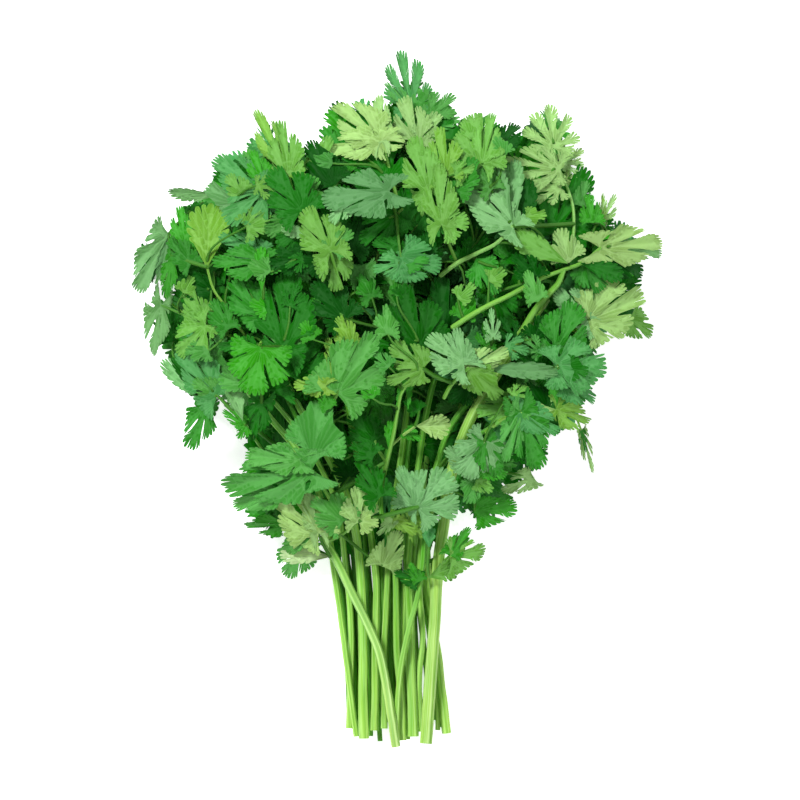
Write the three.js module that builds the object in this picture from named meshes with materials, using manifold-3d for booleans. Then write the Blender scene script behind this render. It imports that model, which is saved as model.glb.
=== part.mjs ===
// A cut bunch of coriander, lying on its side on a flat surface.
// Millimetres, +Z up. The cut ends of the stems point to -Y and the leaf tips to +Y.
// The underside rests on z = 0 and the origin is below the middle of the bunch.
import * as THREE from "three";
import Module from "manifold-3d";

// Driving dimensions
const BLADE_THICKNESS = 0.9; // leaf blade, stiffened enough to be one solid
const CLEARANCE = 0.45; // air kept between one piece and the next
const STEM_SIDES = 6; // faces round a stem
const PETIOLE_SIDES = 3; // faces round a leaf stalk
const FAN = 0.36; // where the veins of a leaflet meet, as a share of its length
const SMOOTHING = 0.1; // finest detail left at a cut edge

// Half outlines of the leaflets, base to tip: [share of the length, share of the width]
const OUTLINES = {
  T: [[0, 0.04], [0.14, 0.36], [0.44, 0.5], [0.54, 0.24], [0.84, 0.24]], // three lobes
  F: [[0, 0.04], [0.2, 0.41], [0.56, 0.5], [0.9, 0.25]], // fan
  L: [[0, 0.04], [0.42, 0.46], [0.66, 0.28], [0.88, 0.24]], // lobe that shares its base with others
  M: [[0, 0.05], [0.5, 0.48], [0.86, 0.3]], // small lobe
  O: [[0, 0.05], [0.3, 0.44], [0.74, 0.36]], // small oval
  S: [[0, 0.05], [0.28, 0.45], [0.72, 0.42]], // under the pile
  D: [[0, 0.04], [0.17, 0.38], [0.3, 0.17], [0.5, 0.48], [0.64, 0.2]], // finely cut
  P: [[0, 0.04], [0.14, 0.3], [0.28, 0.16], [0.46, 0.48], [0.62, 0.2]], // feathery
};

// Leaf greens, from young light leaves to the dark inside of the bunch
const GREENS = {
  l: 0x9fc873, y: 0x7fba46, p: 0x85b173, m: 0x4f9a43, g: 0x46963b,
  b: 0x4b9450, v: 0x4f9f22, s: 0x327826, k: 0x1e5a20,
};
const STEM_GREEN = 0x93c24f;

// Stems: name, then centre line points from the cut end, [x, y, z, radius]

const STEMS = [
  ["stem_01", [[-1.08, -149.86, 21.14, 1.94], [-6.4, -117.69, 21.57, 1.87], [-18.04, -87.51, 24.29, 1.79], [-32.9, -59.56, 31.95, 1.72]]],
  ["stem_02", [[-0.64, -145.99, 18.03, 1.29], [1.31, -113.96, 20.56, 1.22], [8.57, -82.81, 24.18, 1.14], [11.82, -51.81, 32.28, 1.07]]],
  ["stem_03", [[11.82, -148.56, 15.59, 2.69], [13.87, -119.05, 15.83, 2.61], [15.95, -89.65, 18.11, 2.53], [18.44, -61.02, 24.93, 2.45], [22.45, -33.16, 33.95, 2.38], [32.04, -6.27, 41.4, 2.31], [47.26, 18.87, 44.4, 2.23], [63.43, 43.64, 44.8, 2.15]]],
  ["stem_04", [[9.68, -143.41, 11.01, 1.29], [9.24, -116.29, 11.35, 1.29], [9.58, -89.35, 13.77, 1.29], [9.84, -63.01, 20.03, 1.29], [14.01, -37.5, 28.3, 1.29], [22.05, -12.69, 35.7, 1.29], [38.48, 8.39, 39.89, 1.29]]],
  ["stem_05", [[6.25, -145.55, 13.45, 2.36], [5.17, -118.04, 13.32, 2.15], [4.69, -90.6, 15.17, 1.93], [3.32, -63.41, 19.18, 1.71], [2.76, -37.05, 26.92, 1.5], [5.81, -10.96, 34.96, 1.29]]],
  ["stem_06", [[1.5, -147.28, 14.73, 1.83], [-0.24, -114.77, 15.04, 1.61], [-1.16, -82.48, 18.74, 1.39], [-6.53, -51.92, 28.07, 1.17], [-4.95, -21.71, 39.44, 0.97]]],
  ["stem_07", [[3.64, -146.85, 9.81, 1.5], [2.13, -116.33, 10.47, 1.47], [2.82, -85.93, 13.04, 1.43], [5.1, -57.33, 23.19, 1.4], [8.62, -28.5, 32.71, 1.36], [13.38, 0.69, 40.21, 1.33], [24.3, 29.03, 42.6, 1.29]]],
  ["stem_08", [[-6.24, -142.12, 11.25, 1.5], [-6.28, -112.71, 11.78, 1.47], [-5.04, -83.53, 15.03, 1.44], [-3.12, -55.21, 22.67, 1.41], [0.63, -27.65, 32.24, 1.38], [4.24, 0.81, 38.53, 1.35], [9.43, 29.68, 40.36, 1.32], [20.86, 56.54, 40.6, 1.29]]],
  ["stem_09", [[-10.54, -142.97, 14.62, 1.72], [-10.12, -112.13, 14.97, 1.62], [-9.59, -81.46, 17.89, 1.5], [-13, -51.62, 24.75, 1.4], [-18.19, -22.25, 32.6, 1.29], [-23, 7.75, 37.68, 1.18], [-25.16, 38.48, 38.8, 1.07]]],
  ["stem_10", [[-14.83, -146.42, 15.05, 2.15], [-15.26, -115.16, 15.32, 2], [-15.95, -84.08, 18.26, 1.85], [-19.1, -53.96, 25.83, 1.71], [-29.56, -26.19, 35.09, 1.56], [-43.06, -2.62, 49.1, 1.43], [-57.4, 23.44, 42.8, 1.29]]],
  ["stem_11", [[-18.27, -145.56, 11.04, 1.29], [-22.07, -116.04, 11.58, 1.31], [-25.95, -86.73, 14.72, 1.33], [-30.17, -58.43, 22.84, 1.35], [-37.74, -31.51, 32.84, 1.36], [-53.92, -9.5, 44.36, 1.38], [-68.16, 9.24, 58.32, 1.4]]],
  ["stem_12", [[-21.29, -142.12, 8.11, 1.5], [-20.55, -114.76, 8.48, 1.43], [-21.13, -87.55, 11.1, 1.35], [-24.02, -61.17, 17.71, 1.28], [-30.31, -36.04, 26.12, 1.21], [-41.2, -16.79, 41.48, 1.14], [-57.84, 3.22, 44.84, 1.07]]],
  ["stem_13", [[-7.96, -147.7, 4.53, 1.07], [-11.72, -117.93, 4.7, 1.04], [-13.51, -88.01, 6.25, 1.01], [-14.69, -58.35, 10.71, 0.98], [-17.89, -29.05, 16.47, 0.95], [-15.59, 0.45, 20.81, 0.92], [-11.12, 30.12, 22.06, 0.89], [-7.96, 59.99, 22.2, 0.86]]],
  ["stem_14", [[8.81, -142.54, 7.86, 1.29], [6.82, -115.38, 8.22, 1.25], [5.7, -88.24, 10.19, 1.21], [6.95, -61.58, 15.46, 1.18], [14.24, -36.32, 22.29, 1.14], [31.27, -17.64, 30.31, 1.1], [47.09, -7.53, 47.72, 1.07]]],
  ["stem_15", [[16.98, -142.97, 4.53, 1.07], [16.14, -112.56, 3.75, 1.05], [13.43, -82.36, 6, 1.02], [13.58, -52.76, 12.79, 0.99], [20.21, -23.71, 18.94, 0.97], [29.17, 5.06, 23.12, 0.94], [40.72, 33.19, 24.1, 0.91], [55.48, 59.38, 25.75, 0.88], [67.72, 77.19, 43.01, 0.86]]],
  ["stem_16", [[20.86, -144.26, 5.38, 1.94], [17.66, -115.81, 6.92, 1.84], [12.8, -87.6, 8.37, 1.75], [9.67, -59.26, 10.93, 1.66], [11.22, -31.13, 16.27, 1.56], [15.09, -3.03, 20.5, 1.47], [20.2, 25.15, 22, 1.38], [24.3, 53.53, 22.2, 1.29]]],
  ["stem_17", [[-16.55, -143.41, 1.59, 1.29], [-17.56, -114.37, 1.72, 1.21], [-19.55, -85.43, 2.89, 1.13], [-26.02, -57.35, 5.87, 1.06], [-40.09, -33.24, 11.6, 0.98], [-51.7, -21.07, 34.2, 0.94], [-70.75, -5.42, 41.91, 0.87], [-74.61, -2.36, 13.27, 0.86]]],
  ["stem_18", [[-12.26, -145.56, 1.59, 1.29], [-12.92, -116.93, 1.7, 1.23], [-14.86, -88.39, 2.7, 1.18], [-20.66, -60.55, 5.53, 1.12], [-31.31, -34.24, 9.23, 1.06], [-38.35, -19.29, 31.33, 1.03], [-46.93, -1.44, 48.88, 0.99], [-52.62, 10.66, 26.13, 0.96], [-61.59, 31.73, 13.93, 0.92], [-73.31, 57.84, 14, 0.86]]],
  ["stem_19", [[-1.5, -144.69, 1.59, 1.29], [-2.49, -114.99, 1.73, 1.24], [-4.33, -85.36, 2.96, 1.18], [-5.55, -55.85, 6.22, 1.13], [-6.32, -26.42, 10.27, 1.08], [-5.89, 3.15, 13.16, 1.02], [-4.84, 32.84, 13.92, 0.97], [-3.86, 62.54, 13.99, 0.91], [-2.79, 92.24, 14, 0.86]]],
  ["stem_20", [[5.38, -142.55, 1.8, 1.5], [3.6, -113.01, 1.94, 1.42], [1.18, -83.55, 3.24, 1.34], [1.21, -54.19, 6.52, 1.26], [6.06, -25.27, 10.46, 1.19], [13.32, 3.28, 13.2, 1.1], [20.58, 31.95, 13.92, 1.02], [26.71, 60.9, 13.99, 0.94], [31.6, 90.09, 14, 0.86]]],
  ["stem_21", [[13.54, -143.84, 1.59, 1.29], [11.72, -114.41, 1.72, 1.22], [8.27, -85.15, 2.94, 1.14], [8.33, -55.96, 6.11, 1.08], [19.19, -29.02, 9.86, 1.01], [39.82, -8.53, 12.71, 0.93], [52.27, -1.36, 37.66, 0.9], [66.01, 6.24, 50.98, 0.86]]],
  ["stem_22", [[18.27, -141.69, 1.59, 1.29], [14.59, -110.9, 1.63, 1.19], [10.86, -80.16, 3.29, 1.1], [15.38, -50.15, 6.75, 1], [34.22, -29.52, 16.25, 0.91], [48.8, -22.57, 37.86, 0.86]]],
  ["stem_23", [[-20.42, -140.82, 1.59, 1.29], [-20.83, -109.47, 1.76, 1.17], [-24.17, -78.33, 3.36, 1.05], [-34.23, -54.7, 16.77, 0.95], [-53.1, -43.22, 31.29, 0.86]]],
];

const LEAVES = [
  { name: "floor_leaf_01",
    leaflets: [
      ["F", -33.13, -23.43, 0, 8.4, -25.56, 0, 0, 0, 1, 26.76, 0, 0, "g"],
      ["F", -33.81, -1.79, 2.95, -23.56, -18.02, -1.04, -0.04, 0, 1, 29.45, 0.06, -0.03, "s"],
      ["T", -20.61, 4.99, 4.38, 6.42, -29.23, 0, 0, 0, 1, 28.28, 0, 0, "s"],
      ["T", -84.49, 23.94, 0, -19.5, 18.1, 0, 0, 0, 1, 29.07, 0, 0, "m"],
      ["T", -57.91, 35.29, 4.58, -25.47, -15.25, -2.18, -0.09, 0, 1, 30.78, 0.06, -0.03, "s"],
      ["F", -22.24, 27.33, 1.73, -20.9, 16.68, 1.78, 0.09, 0, 1, 28.4, 0.06, -0.03, "b"],
      ["T", -4.95, 25.28, 0, 26.56, -1.68, 0, 0, 0, 1, 29.7, 0, 0, "k"],
      ["T", -61.5, 53.58, 0, -28.17, 13.98, 0, 0, 0, 1, 29.86, 0, 0, "s"],
      ["F", -28.89, 47.81, 4.53, -22.75, 18.02, 0.76, 0.03, 0, 1, 30.03, 0.06, -0.03, "k"],
    ],
    petioles: [
      [0.45, 0.62, 0.3, [[-24.29, 29, 2.36], [-31.15, 49.62, 5.06]]],
      [0.45, 0.62, 0.3, [[-24.29, 29, 2.36], [-2.3, 25.11, 0.85]]],
      [0.45, 0.62, 0.3, [[-24.29, 29, 2.36], [-19.97, 2.07, 4.83]]],
      [0.45, 0.62, 0.3, [[-20.61, 4.99, 4.83], [-36.19, -3.59, 3.29]]],
      [0.45, 0.62, 0.3, [[-33.83, -1.79, 3.4], [-32.29, -25.98, 0.85]]],
      [0.45, 0.62, 0.3, [[-28.88, 47.81, 4.98], [-60.49, 33.77, 4.81]]],
      [0.45, 0.62, 0.3, [[-57.95, 35.29, 5.03], [-64.32, 54.97, 0.85]]],
      [0.45, 0.62, 0.3, [[-57.95, 35.29, 5.03], [-86.44, 25.75, 0.85]]],
    ] },
  { name: "floor_leaf_02",
    leaflets: [
      ["T", 17.77, -29.91, 3.15, -20.37, -23.35, -1.58, -0.08, 0, 1, 26.02, 0.06, -0.03, "k"],
      ["F", 18.22, 6.03, 2.05, 16.67, -22.98, 1.61, -0.1, 0, 0.99, 26.31, 0.06, -0.03, "m"],
      ["T", 41.94, -6.07, 1.39, 25.21, 13.6, 2.4, -0.1, 0, 1, 26.51, 0.06, -0.03, "s"],
      ["T", 34.01, 15.48, 2.05, 21.69, 16.02, 2.52, -0.12, 0, 0.99, 26.73, 0.06, -0.03, "s"],
      ["T", 59.34, 22.35, 5.81, 18.38, 24.4, 0.91, -0.05, 0, 1, 29.48, 0.06, -0.03, "b"],
    ],
    petioles: [
      [0.45, 0.62, 0.3, [[44.42, -4.71, 2.07], [36.12, 17.08, 2.75]]],
      [0.45, 0.62, 0.3, [[33.95, 15.48, 2.5], [19.84, 3.74, 2.66]]],
      [0.45, 0.62, 0.3, [[33.95, 15.48, 2.5], [61.15, 24.79, 6.35]]],
      [0.45, 0.62, 0.3, [[18.17, 6.03, 2.5], [15.7, -32.25, 3.44]]],
    ] },
  { name: "floor_leaf_03",
    leaflets: [
      ["T", 49.63, 58.54, 4.81, 27.02, 16.43, -3.21, 0.12, 0, 0.99, 26.4, 0.06, -0.03, "m"],
      ["T", 76.73, 61.25, 0.97, 27.14, -1.56, 1.96, -0.07, 0, 1, 28.4, 0.06, -0.03, "b"],
      ["F", 50.9, 82.72, 5.29, 29.47, -2.11, 0, 0, 0, 1, 30.03, 0, 0, "g"],
    ],
    petioles: [
      [0.45, 0.62, 0.3, [[52.39, 60.19, 4.94], [53.85, 82.51, 5.74]]],
      [0.45, 0.62, 0.3, [[52.39, 60.19, 4.94], [79.41, 61.09, 1.62]]],
    ] },
  { name: "floor_leaf_04",
    leaflets: [
      ["T", -1.44, 50.66, 1.77, -16.09, 22.13, 0.07, 0, 0, 1, 29.66, 0.06, -0.03, "m"],
      ["F", 22.87, 45.77, 0, 1.03, 28.82, 0, 0, 0, 1, 29.46, 0, 0, "b"],
      ["T", -17.41, 78.13, 4.91, -21.09, 16.05, 0, 0, 0, 1, 30.55, 0, 0, "g"],
      ["T", -0.28, 79.88, 6.45, 1.14, 27.05, -0.08, 0.07, 0, 1, 26.43, 0.06, -0.03, "k"],
      ["F", 22.04, 76.43, 2.45, 13.3, 27.4, 1.35, -0.1, 0, 0.99, 26.85, 0.06, -0.03, "g"],
    ],
    petioles: [
      [0.45, 0.62, 0.3, [[-0.14, 82.58, 6.89], [-19.52, 79.74, 5.36]]],
      [0.45, 0.62, 0.3, [[-0.14, 82.58, 6.89], [23.32, 79.17, 3.03]]],
      [0.45, 0.62, 0.3, [[21.99, 76.43, 2.89], [22.97, 48.65, 0.85]]],
      [0.45, 0.62, 0.3, [[22.87, 45.77, 0.85], [-3.05, 52.87, 2.23]]],
    ] },
  { name: "flank_leaf_01",
    leaflets: [
      ["F", 58.01, 86.39, 43.44, 19.26, -1.21, -13.85, 0.57, 0.31, 0.76, 25.82, 0.06, -0.03, "b"],
      ["T", 51.3, 100.81, 49.29, 22.41, -3.76, -15.42, 0.56, 0.45, 0.7, 26.49, 0.06, -0.03, "v"],
      ["F", 33.67, 98.34, 51.86, 11.77, 9.46, -22.99, 0.5, 0.68, 0.54, 24.66, 0.06, -0.03, "s"],
      ["F", 28.87, 100.63, 47.72, -6.38, 16.17, -18.86, 0.33, 0.77, 0.55, 22.86, 0.06, -0.03, "k"],
    ],
    petioles: [
      [0.45, 0.62, 0.3, [[53.79, 100.64, 48.06], [60.2, 86.4, 42.39]]],
      [0.45, 0.62, 0.3, [[53.79, 100.64, 48.06], [35.08, 99.6, 49.8]]],
      [0.45, 0.62, 0.3, [[33.9, 98.65, 52.1], [28.38, 102.59, 46.08]]],
    ] },
  { name: "flank_leaf_02",
    leaflets: [
      ["F", 76.1, 50.49, 49.5, 17.79, -1.08, -21.11, 0.77, 0.01, 0.64, 24.74, 0.06, -0.03, "g"],
      ["F", 83.43, 60.04, 37.55, 10.06, 11, -17.01, 0.81, 0.15, 0.57, 24.17, 0.06, -0.03, "g"],
      ["T", 41.23, -13.82, 43.64, 19.39, -2.9, -10.83, 0.38, -0.47, 0.8, 24.27, 0.06, -0.03, "b"],
      ["T", 54.78, -3.51, 50.75, 21.12, 5.95, -13.44, 0.57, -0.43, 0.7, 24.63, 0.06, -0.03, "g"],
      ["T", 67.32, 24.06, 51.31, 5.88, -13.15, -18.04, 0.78, -0.35, 0.51, 25.14, 0.06, -0.03, "s"],
      ["T", 74.83, 33.3, 37.74, 16.71, -3.5, -15.51, 0.66, -0.14, 0.74, 26.02, 0.06, -0.03, "b"],
    ],
    petioles: [
      [0.45, 0.62, 0.3, [[68.26, 22.59, 49.73], [76.8, 32.89, 36.52]]],
      [0.45, 0.62, 0.3, [[75.13, 33.24, 38.07], [78.22, 50.38, 47.67]]],
      [0.45, 0.62, 0.3, [[76.44, 50.49, 49.79], [84.8, 61.21, 36.1]]],
      [0.45, 0.62, 0.3, [[68.26, 22.59, 49.73], [57.15, -3.11, 49.72]]],
      [0.45, 0.62, 0.3, [[55.04, -3.71, 51.07], [43.34, -14.32, 42.92]]],
    ] },
  { name: "flank_leaf_03",
    leaflets: [
      ["T", -82.58, 37.26, 32.48, -15.8, 4.1, -15.56, -0.71, -0.08, 0.7, 22.1, 0.06, -0.03, "s"],
      ["T", -75.86, 18.99, 43.83, -15.8, -0.16, -19.51, -0.75, -0.27, 0.61, 24.56, 0.06, -0.03, "m"],
      ["T", -64, 2.9, 53.96, -17.54, 4.36, -20.4, -0.73, -0.44, 0.53, 23.33, 0.06, -0.03, "m"],
      ["T", -49.59, 1.08, 45.78, -3.18, -21.88, -15.35, -0.42, -0.48, 0.77, 24.03, 0.06, -0.03, "s"],
      ["T", -50.83, -39.66, 31.43, 0.68, -15.88, -15.98, -0.35, -0.67, 0.65, 26, 0.06, -0.03, "g"],
    ],
    petioles: [
      [0.45, 0.62, 0.3, [[-66.08, 3.14, 52.16], [-77.77, 18.85, 42.15]]],
      [0.45, 0.62, 0.3, [[-76.19, 18.87, 44.11], [-84.48, 37.63, 31.24]]],
      [0.45, 0.62, 0.3, [[-66.08, 3.14, 52.16], [-50.1, -1.32, 44.59]]],
      [0.45, 0.62, 0.3, [[-66.08, 3.14, 52.16], [-50.92, -41.55, 30.12]]],
    ] },
  { name: "flank_leaf_04",
    leaflets: [
      ["O", 1.35, 114.4, 49.96, 20.62, 11.3, -11.32, 0.1, 0.61, 0.79, 25.92, 0.06, -0.03, "m"],
      ["T", -11.56, 107.55, 49.05, 10.22, 16.27, -11.22, -0.06, 0.59, 0.81, 24.54, 0.06, -0.03, "s"],
      ["F", -22.08, 102.69, 48.59, 14.24, 12.95, -14.25, -0.2, 0.82, 0.54, 25.46, 0.06, -0.03, "k"],
      ["T", -25.04, 92.62, 62.73, -7, 11.44, -19.28, -0.41, 0.71, 0.57, 26.61, 0.06, -0.03, "g"],
    ],
    petioles: [
      [0.45, 0.62, 0.3, [[-10.57, 109.44, 48.29], [3.46, 115.8, 49.18]]],
      [0.45, 0.62, 0.3, [[-10.57, 109.44, 48.29], [-20.75, 104.36, 47.41]]],
      [0.45, 0.62, 0.3, [[-22.17, 103.06, 48.83], [-25.93, 94.08, 61.06]]],
    ] },
  { name: "flank_leaf_05",
    leaflets: [
      ["T", -52, 89.57, 49.22, 0.26, 21.59, -11.9, -0.44, 0.44, 0.78, 25.36, 0.06, -0.03, "k"],
      ["F", -50.12, 93.37, 45.11, -19.83, -2.22, -18.75, -0.64, 0.46, 0.62, 26.7, 0.06, -0.03, "v"],
      ["F", -68.57, 82.07, 46.87, -21.64, -11.22, -13.38, -0.59, 0.2, 0.78, 25.73, 0.06, -0.03, "m"],
      ["F", -87.14, 70.59, 32.96, -14.2, -19.2, -12.59, -0.73, 0.09, 0.68, 25.53, 0.06, -0.03, "s"],
    ],
    petioles: [
      [0.45, 0.62, 0.3, [[-71, 81.04, 45.89], [-52.17, 91.93, 48.38]]],
      [0.45, 0.62, 0.3, [[-52.2, 89.77, 49.57], [-52.39, 93.36, 43.52]]],
      [0.45, 0.62, 0.3, [[-71, 81.04, 45.89], [-88.89, 68.71, 32.01]]],
    ] },
  { name: "core_leaf_01",
    leaflets: [
      ["S", 41.2, 0.44, 29.96, 6.49, 28.78, -3.45, 0.33, 0.04, 0.94, 25.51, 0.06, -0.03, "k"],
      ["S", 59.76, 10.7, 55.44, 23.69, 17.06, -10.87, 0.55, -0.25, 0.8, 30.31, 0.06, -0.03, "k"],
      ["S", 17.83, 40.13, 30.66, 6.73, 28, -0.78, 0.09, 0.01, 1, 30.42, 0.06, -0.03, "k"],
      ["S", 44.52, 36.81, 28.27, 24.37, 20.69, -6.43, 0.27, -0.01, 0.96, 27.77, 0.06, -0.03, "k"],
      ["S", 40.26, 65.98, 32.19, -8.03, 26.49, -6.04, 0.26, 0.29, 0.92, 30.01, 0.06, -0.03, "k"],
      ["S", 65.78, 70.95, 52.42, 15.72, 27.57, -16.72, 0.54, 0.19, 0.82, 31.44, 0.06, -0.03, "k"],
    ],
    petioles: [
      [0.9, 0.8, 0.3, [[44.22, 38.21, 26.2], [44.89, 38.12, 26.96], [46.14, 38.43, 27.76], [47.08, 38.87, 28.06]]],
      [0.45, 0.62, 0.3, [[44.64, 36.8, 28.7], [18.55, 42.93, 31.03]]],
      [0.45, 0.62, 0.3, [[46.14, 38.43, 27.76], [39.58, 68.76, 32]]],
      [0.45, 0.62, 0.3, [[40.38, 66.11, 32.61], [67.6, 73.79, 51.12]]],
      [0.45, 0.62, 0.3, [[44.64, 36.8, 28.7], [42, 3.34, 30.04]]],
      [0.45, 0.62, 0.3, [[41.35, 0.46, 30.38], [62.37, 12.29, 54.71]]],
    ] },
  { name: "core_leaf_02",
    leaflets: [
      ["S", -54.41, -30.33, 34.13, 10.13, 30.29, 16.33, -0.13, -0.44, 0.89, 29.99, 0.06, -0.03, "k"],
      ["S", -18.41, -25.8, 22.66, 1.23, 29.01, 8.58, -0.05, -0.28, 0.96, 28.6, 0.06, -0.03, "k"],
      ["S", 8.59, -19.37, 34.32, 31.86, 1.83, 10.33, -0.25, -0.45, 0.86, 27.23, 0.06, -0.03, "k"],
      ["S", -55.15, 3.73, 60.42, -12.95, 22.84, -3.08, -0.23, 0, 0.97, 24.39, 0.06, -0.03, "k"],
      ["S", 12.11, 3.62, 31.78, -6.45, 29.59, -2.2, -0.15, 0.04, 0.99, 29.4, 0.06, -0.03, "k"],
    ],
    petioles: [
      [0.9, 0.8, 0.3, [[8.27, -19.65, 33.94], [9.08, -19.62, 34.36], [10.7, -19.48, 35.23], [11.66, -19.39, 35.74]]],
      [0.45, 0.62, 0.3, [[10.7, -19.48, 35.23], [11.4, 6.6, 32.01]]],
      [0.45, 0.62, 0.3, [[12.04, 3.64, 32.23], [-18.31, -23.03, 23.95]]],
      [0.45, 0.62, 0.3, [[-18.44, -25.93, 23.09], [-53.45, -27.5, 36.17]]],
      [0.45, 0.62, 0.3, [[-54.46, -30.53, 34.53], [-56.55, 6.02, 60.55]]],
    ] },
  { name: "core_leaf_03",
    leaflets: [
      ["S", -39.03, 16.48, 26.12, 29.62, -8.08, 8.6, -0.26, 0.06, 0.96, 29.59, 0.06, -0.03, "k"],
      ["S", -76.09, 41.5, 41.68, -21.96, 21.05, -10.24, -0.47, -0.06, 0.88, 29.44, 0.06, -0.03, "k"],
      ["S", -36.04, 36.1, 32.97, -16.67, 20.55, -7, -0.2, 0.16, 0.96, 29.6, 0.06, -0.03, "k"],
      ["S", -14.63, 36.49, 30.58, 6.22, 28.74, 0, -0.04, 0.01, 1, 27.8, 0.06, -0.03, "k"],
      ["S", -50.9, 67.35, 50.22, -16.95, 20.6, 0.52, 0, -0.03, 1, 26.12, 0.06, -0.03, "k"],
      ["S", -20.86, 66.98, 60.27, -4.8, 26.41, 6.56, 0.06, -0.23, 0.97, 27.12, 0.06, -0.03, "k"],
      ["S", 1.23, 65.75, 61.68, 4.41, 25.7, -0.71, 0.22, -0.01, 0.97, 26.52, 0.06, -0.03, "k"],
      ["S", -5.89, 94.73, 63.48, -10.91, 23.92, -16.24, 0.13, 0.6, 0.79, 27.19, 0.06, -0.03, "k"],
      ["S", 20.59, 95.48, 57.91, -0.99, 27.41, -9.31, 0.12, 0.32, 0.94, 28.26, 0.06, -0.03, "k"],
    ],
    petioles: [
      [0.9, 0.8, 0.3, [[-11.6, 35.57, 24.33], [-12.67, 36.26, 26.8], [-13.75, 37.63, 29.66], [-14.02, 39.37, 31.03]]],
      [0.45, 0.62, 0.3, [[-14.64, 36.5, 31.03], [-37.8, 38.23, 32.7]]],
      [0.45, 0.62, 0.3, [[-36.13, 36.17, 33.4], [-36.19, 15.7, 27.42]]],
      [0.45, 0.62, 0.3, [[-36.13, 36.17, 33.4], [-52.6, 69.39, 50.72]]],
      [0.45, 0.62, 0.3, [[-50.9, 67.33, 50.67], [-21.32, 69.51, 61.37]]],
      [0.45, 0.62, 0.3, [[-20.84, 66.87, 60.71], [1.77, 68.31, 62.05]]],
      [0.45, 0.62, 0.3, [[1.33, 65.75, 62.12], [-6.93, 97.39, 62.21]]],
      [0.45, 0.62, 0.3, [[-5.84, 95, 63.83], [20.55, 98.37, 57.41]]],
      [0.45, 0.62, 0.3, [[-50.9, 67.33, 50.67], [-78.49, 43.58, 41.05]]],
    ] },
  { name: "leaf_01",
    leaflets: [
      ["L", 22.14, -67.72, 34.21, 15.48, 3.44, -4.1, 0.32, -0.5, 0.8, 21.45, 0.12, -0.03, "g"],
      ["M", 22.14, -67.72, 34.21, 8.6, 13.33, 5.69, 0.15, -0.47, 0.87, 10.13, 0.05, -0.01, "v"],
      ["M", 12.69, -76.75, 30.65, 14.19, 6.02, -1.73, 0.34, -0.59, 0.74, 12.7, 0.05, -0.06, "v"],
      ["M", 9.68, -78.47, 28.23, -11.61, 4.3, 1.04, -0.11, -0.51, 0.85, 11.03, 0.15, -0.09, "s"],
      ["M", 9.68, -78.47, 28.23, -4.73, 7.74, 6.29, 0.02, -0.62, 0.78, 7.12, 0.07, 0, "v"],
    ],
    petioles: [
      [1.18, 1.08, 0.4, [[16.12, -71.59, 10], [19.48, -69.93, 20.14], [22.15, -67.51, 34.21]]],
      [0.95, 0.86, 0.4, [[10.11, -75.03, 5.69], [11.77, -69.76, 19.9], [12.9, -64.28, 33.53]]],
      [0.45, 0.62, 0.3, [[22.15, -67.51, 34.21], [23.84, -67.61, 34.16]]],
      [0.45, 0.62, 0.3, [[12.9, -64.28, 33.53], [12.53, -71.75, 32.1], [14.26, -76.42, 30.81]]],
      [0.45, 0.62, 0.3, [[12.84, -77.02, 30.98], [8.22, -78.18, 28.74]]],
      [0.45, 0.7, 0.45, [[19.48, -69.93, 20.14], [15.62, -69.84, 20.02], [11.77, -69.76, 19.9]]],
    ] },
  { name: "leaf_02",
    leaflets: [
      ["L", -34.33, -57.41, 48.01, -19.64, 15.48, 1.45, -0.26, -0.41, 0.88, 28.43, 0.15, -0.06, "l"],
      ["M", -34.33, -57.41, 48.01, -16.2, -8.6, -12.47, -0.5, -0.26, 0.83, 7.31, 0.05, -0.07, "l"],
      ["M", -34.33, -57.41, 48.01, -4.59, 18.49, 7.95, -0.11, -0.42, 0.9, 11.4, 0.06, 0.01, "l"],
      ["T", -48.38, -53.53, 24.81, -18.92, -1.72, -12.77, -0.45, -0.51, 0.73, 12.13, 0.16, 0, "s"],
      ["F", -41.49, -61.27, 19.62, -6.88, -17.2, -17.01, -0.2, -0.65, 0.73, 18.08, 0.16, -0.05, "b"],
      ["O", -29.02, -67.72, 33.35, -22.36, 0.43, 0.07, 0.01, 0.14, 0.99, 8.25, 0.11, 0, "p"],
    ],
    petioles: [
      [0.9, 0.8, 0.3, [[-29.38, -66.46, 32.44], [-29.73, -66.91, 32.9], [-30.56, -67.4, 33.5], [-31.26, -67.62, 33.81]]],
      [0.45, 0.62, 0.3, [[-30.56, -67.4, 33.5], [-32.82, -61.74, 42.07], [-36.41, -56.04, 48.55]]],
      [0.45, 0.62, 0.3, [[-30.56, -67.4, 33.5], [-36.91, -64.07, 25.69], [-42.27, -63.29, 18.25]]],
      [0.45, 0.62, 0.3, [[-41.58, -61.57, 19.95], [-45.71, -57.09, 22.87], [-50.47, -53.94, 23.86]]],
    ] },
  { name: "leaf_03",
    leaflets: [
      ["O", -82.34, 56.55, 54.68, 1.29, 28.38, -3.42, -0.31, 0.13, 0.94, 19.9, 0.07, -0.09, "y"],
      ["F", -91.38, 66, 45.62, -3.44, 18.06, -6.42, -0.32, 0.26, 0.91, 11.99, 0.07, -0.09, "v"],
      ["L", -98.9, 71.38, 38.43, -13.54, -25.15, -13.68, -0.31, -0.32, 0.9, 17.3, 0.07, 0.01, "p"],
      ["M", -98.9, 71.38, 38.43, -3.65, -18.27, -1.5, 0.42, -0.16, 0.9, 6.7, 0.07, -0.05, "p"],
    ],
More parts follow.
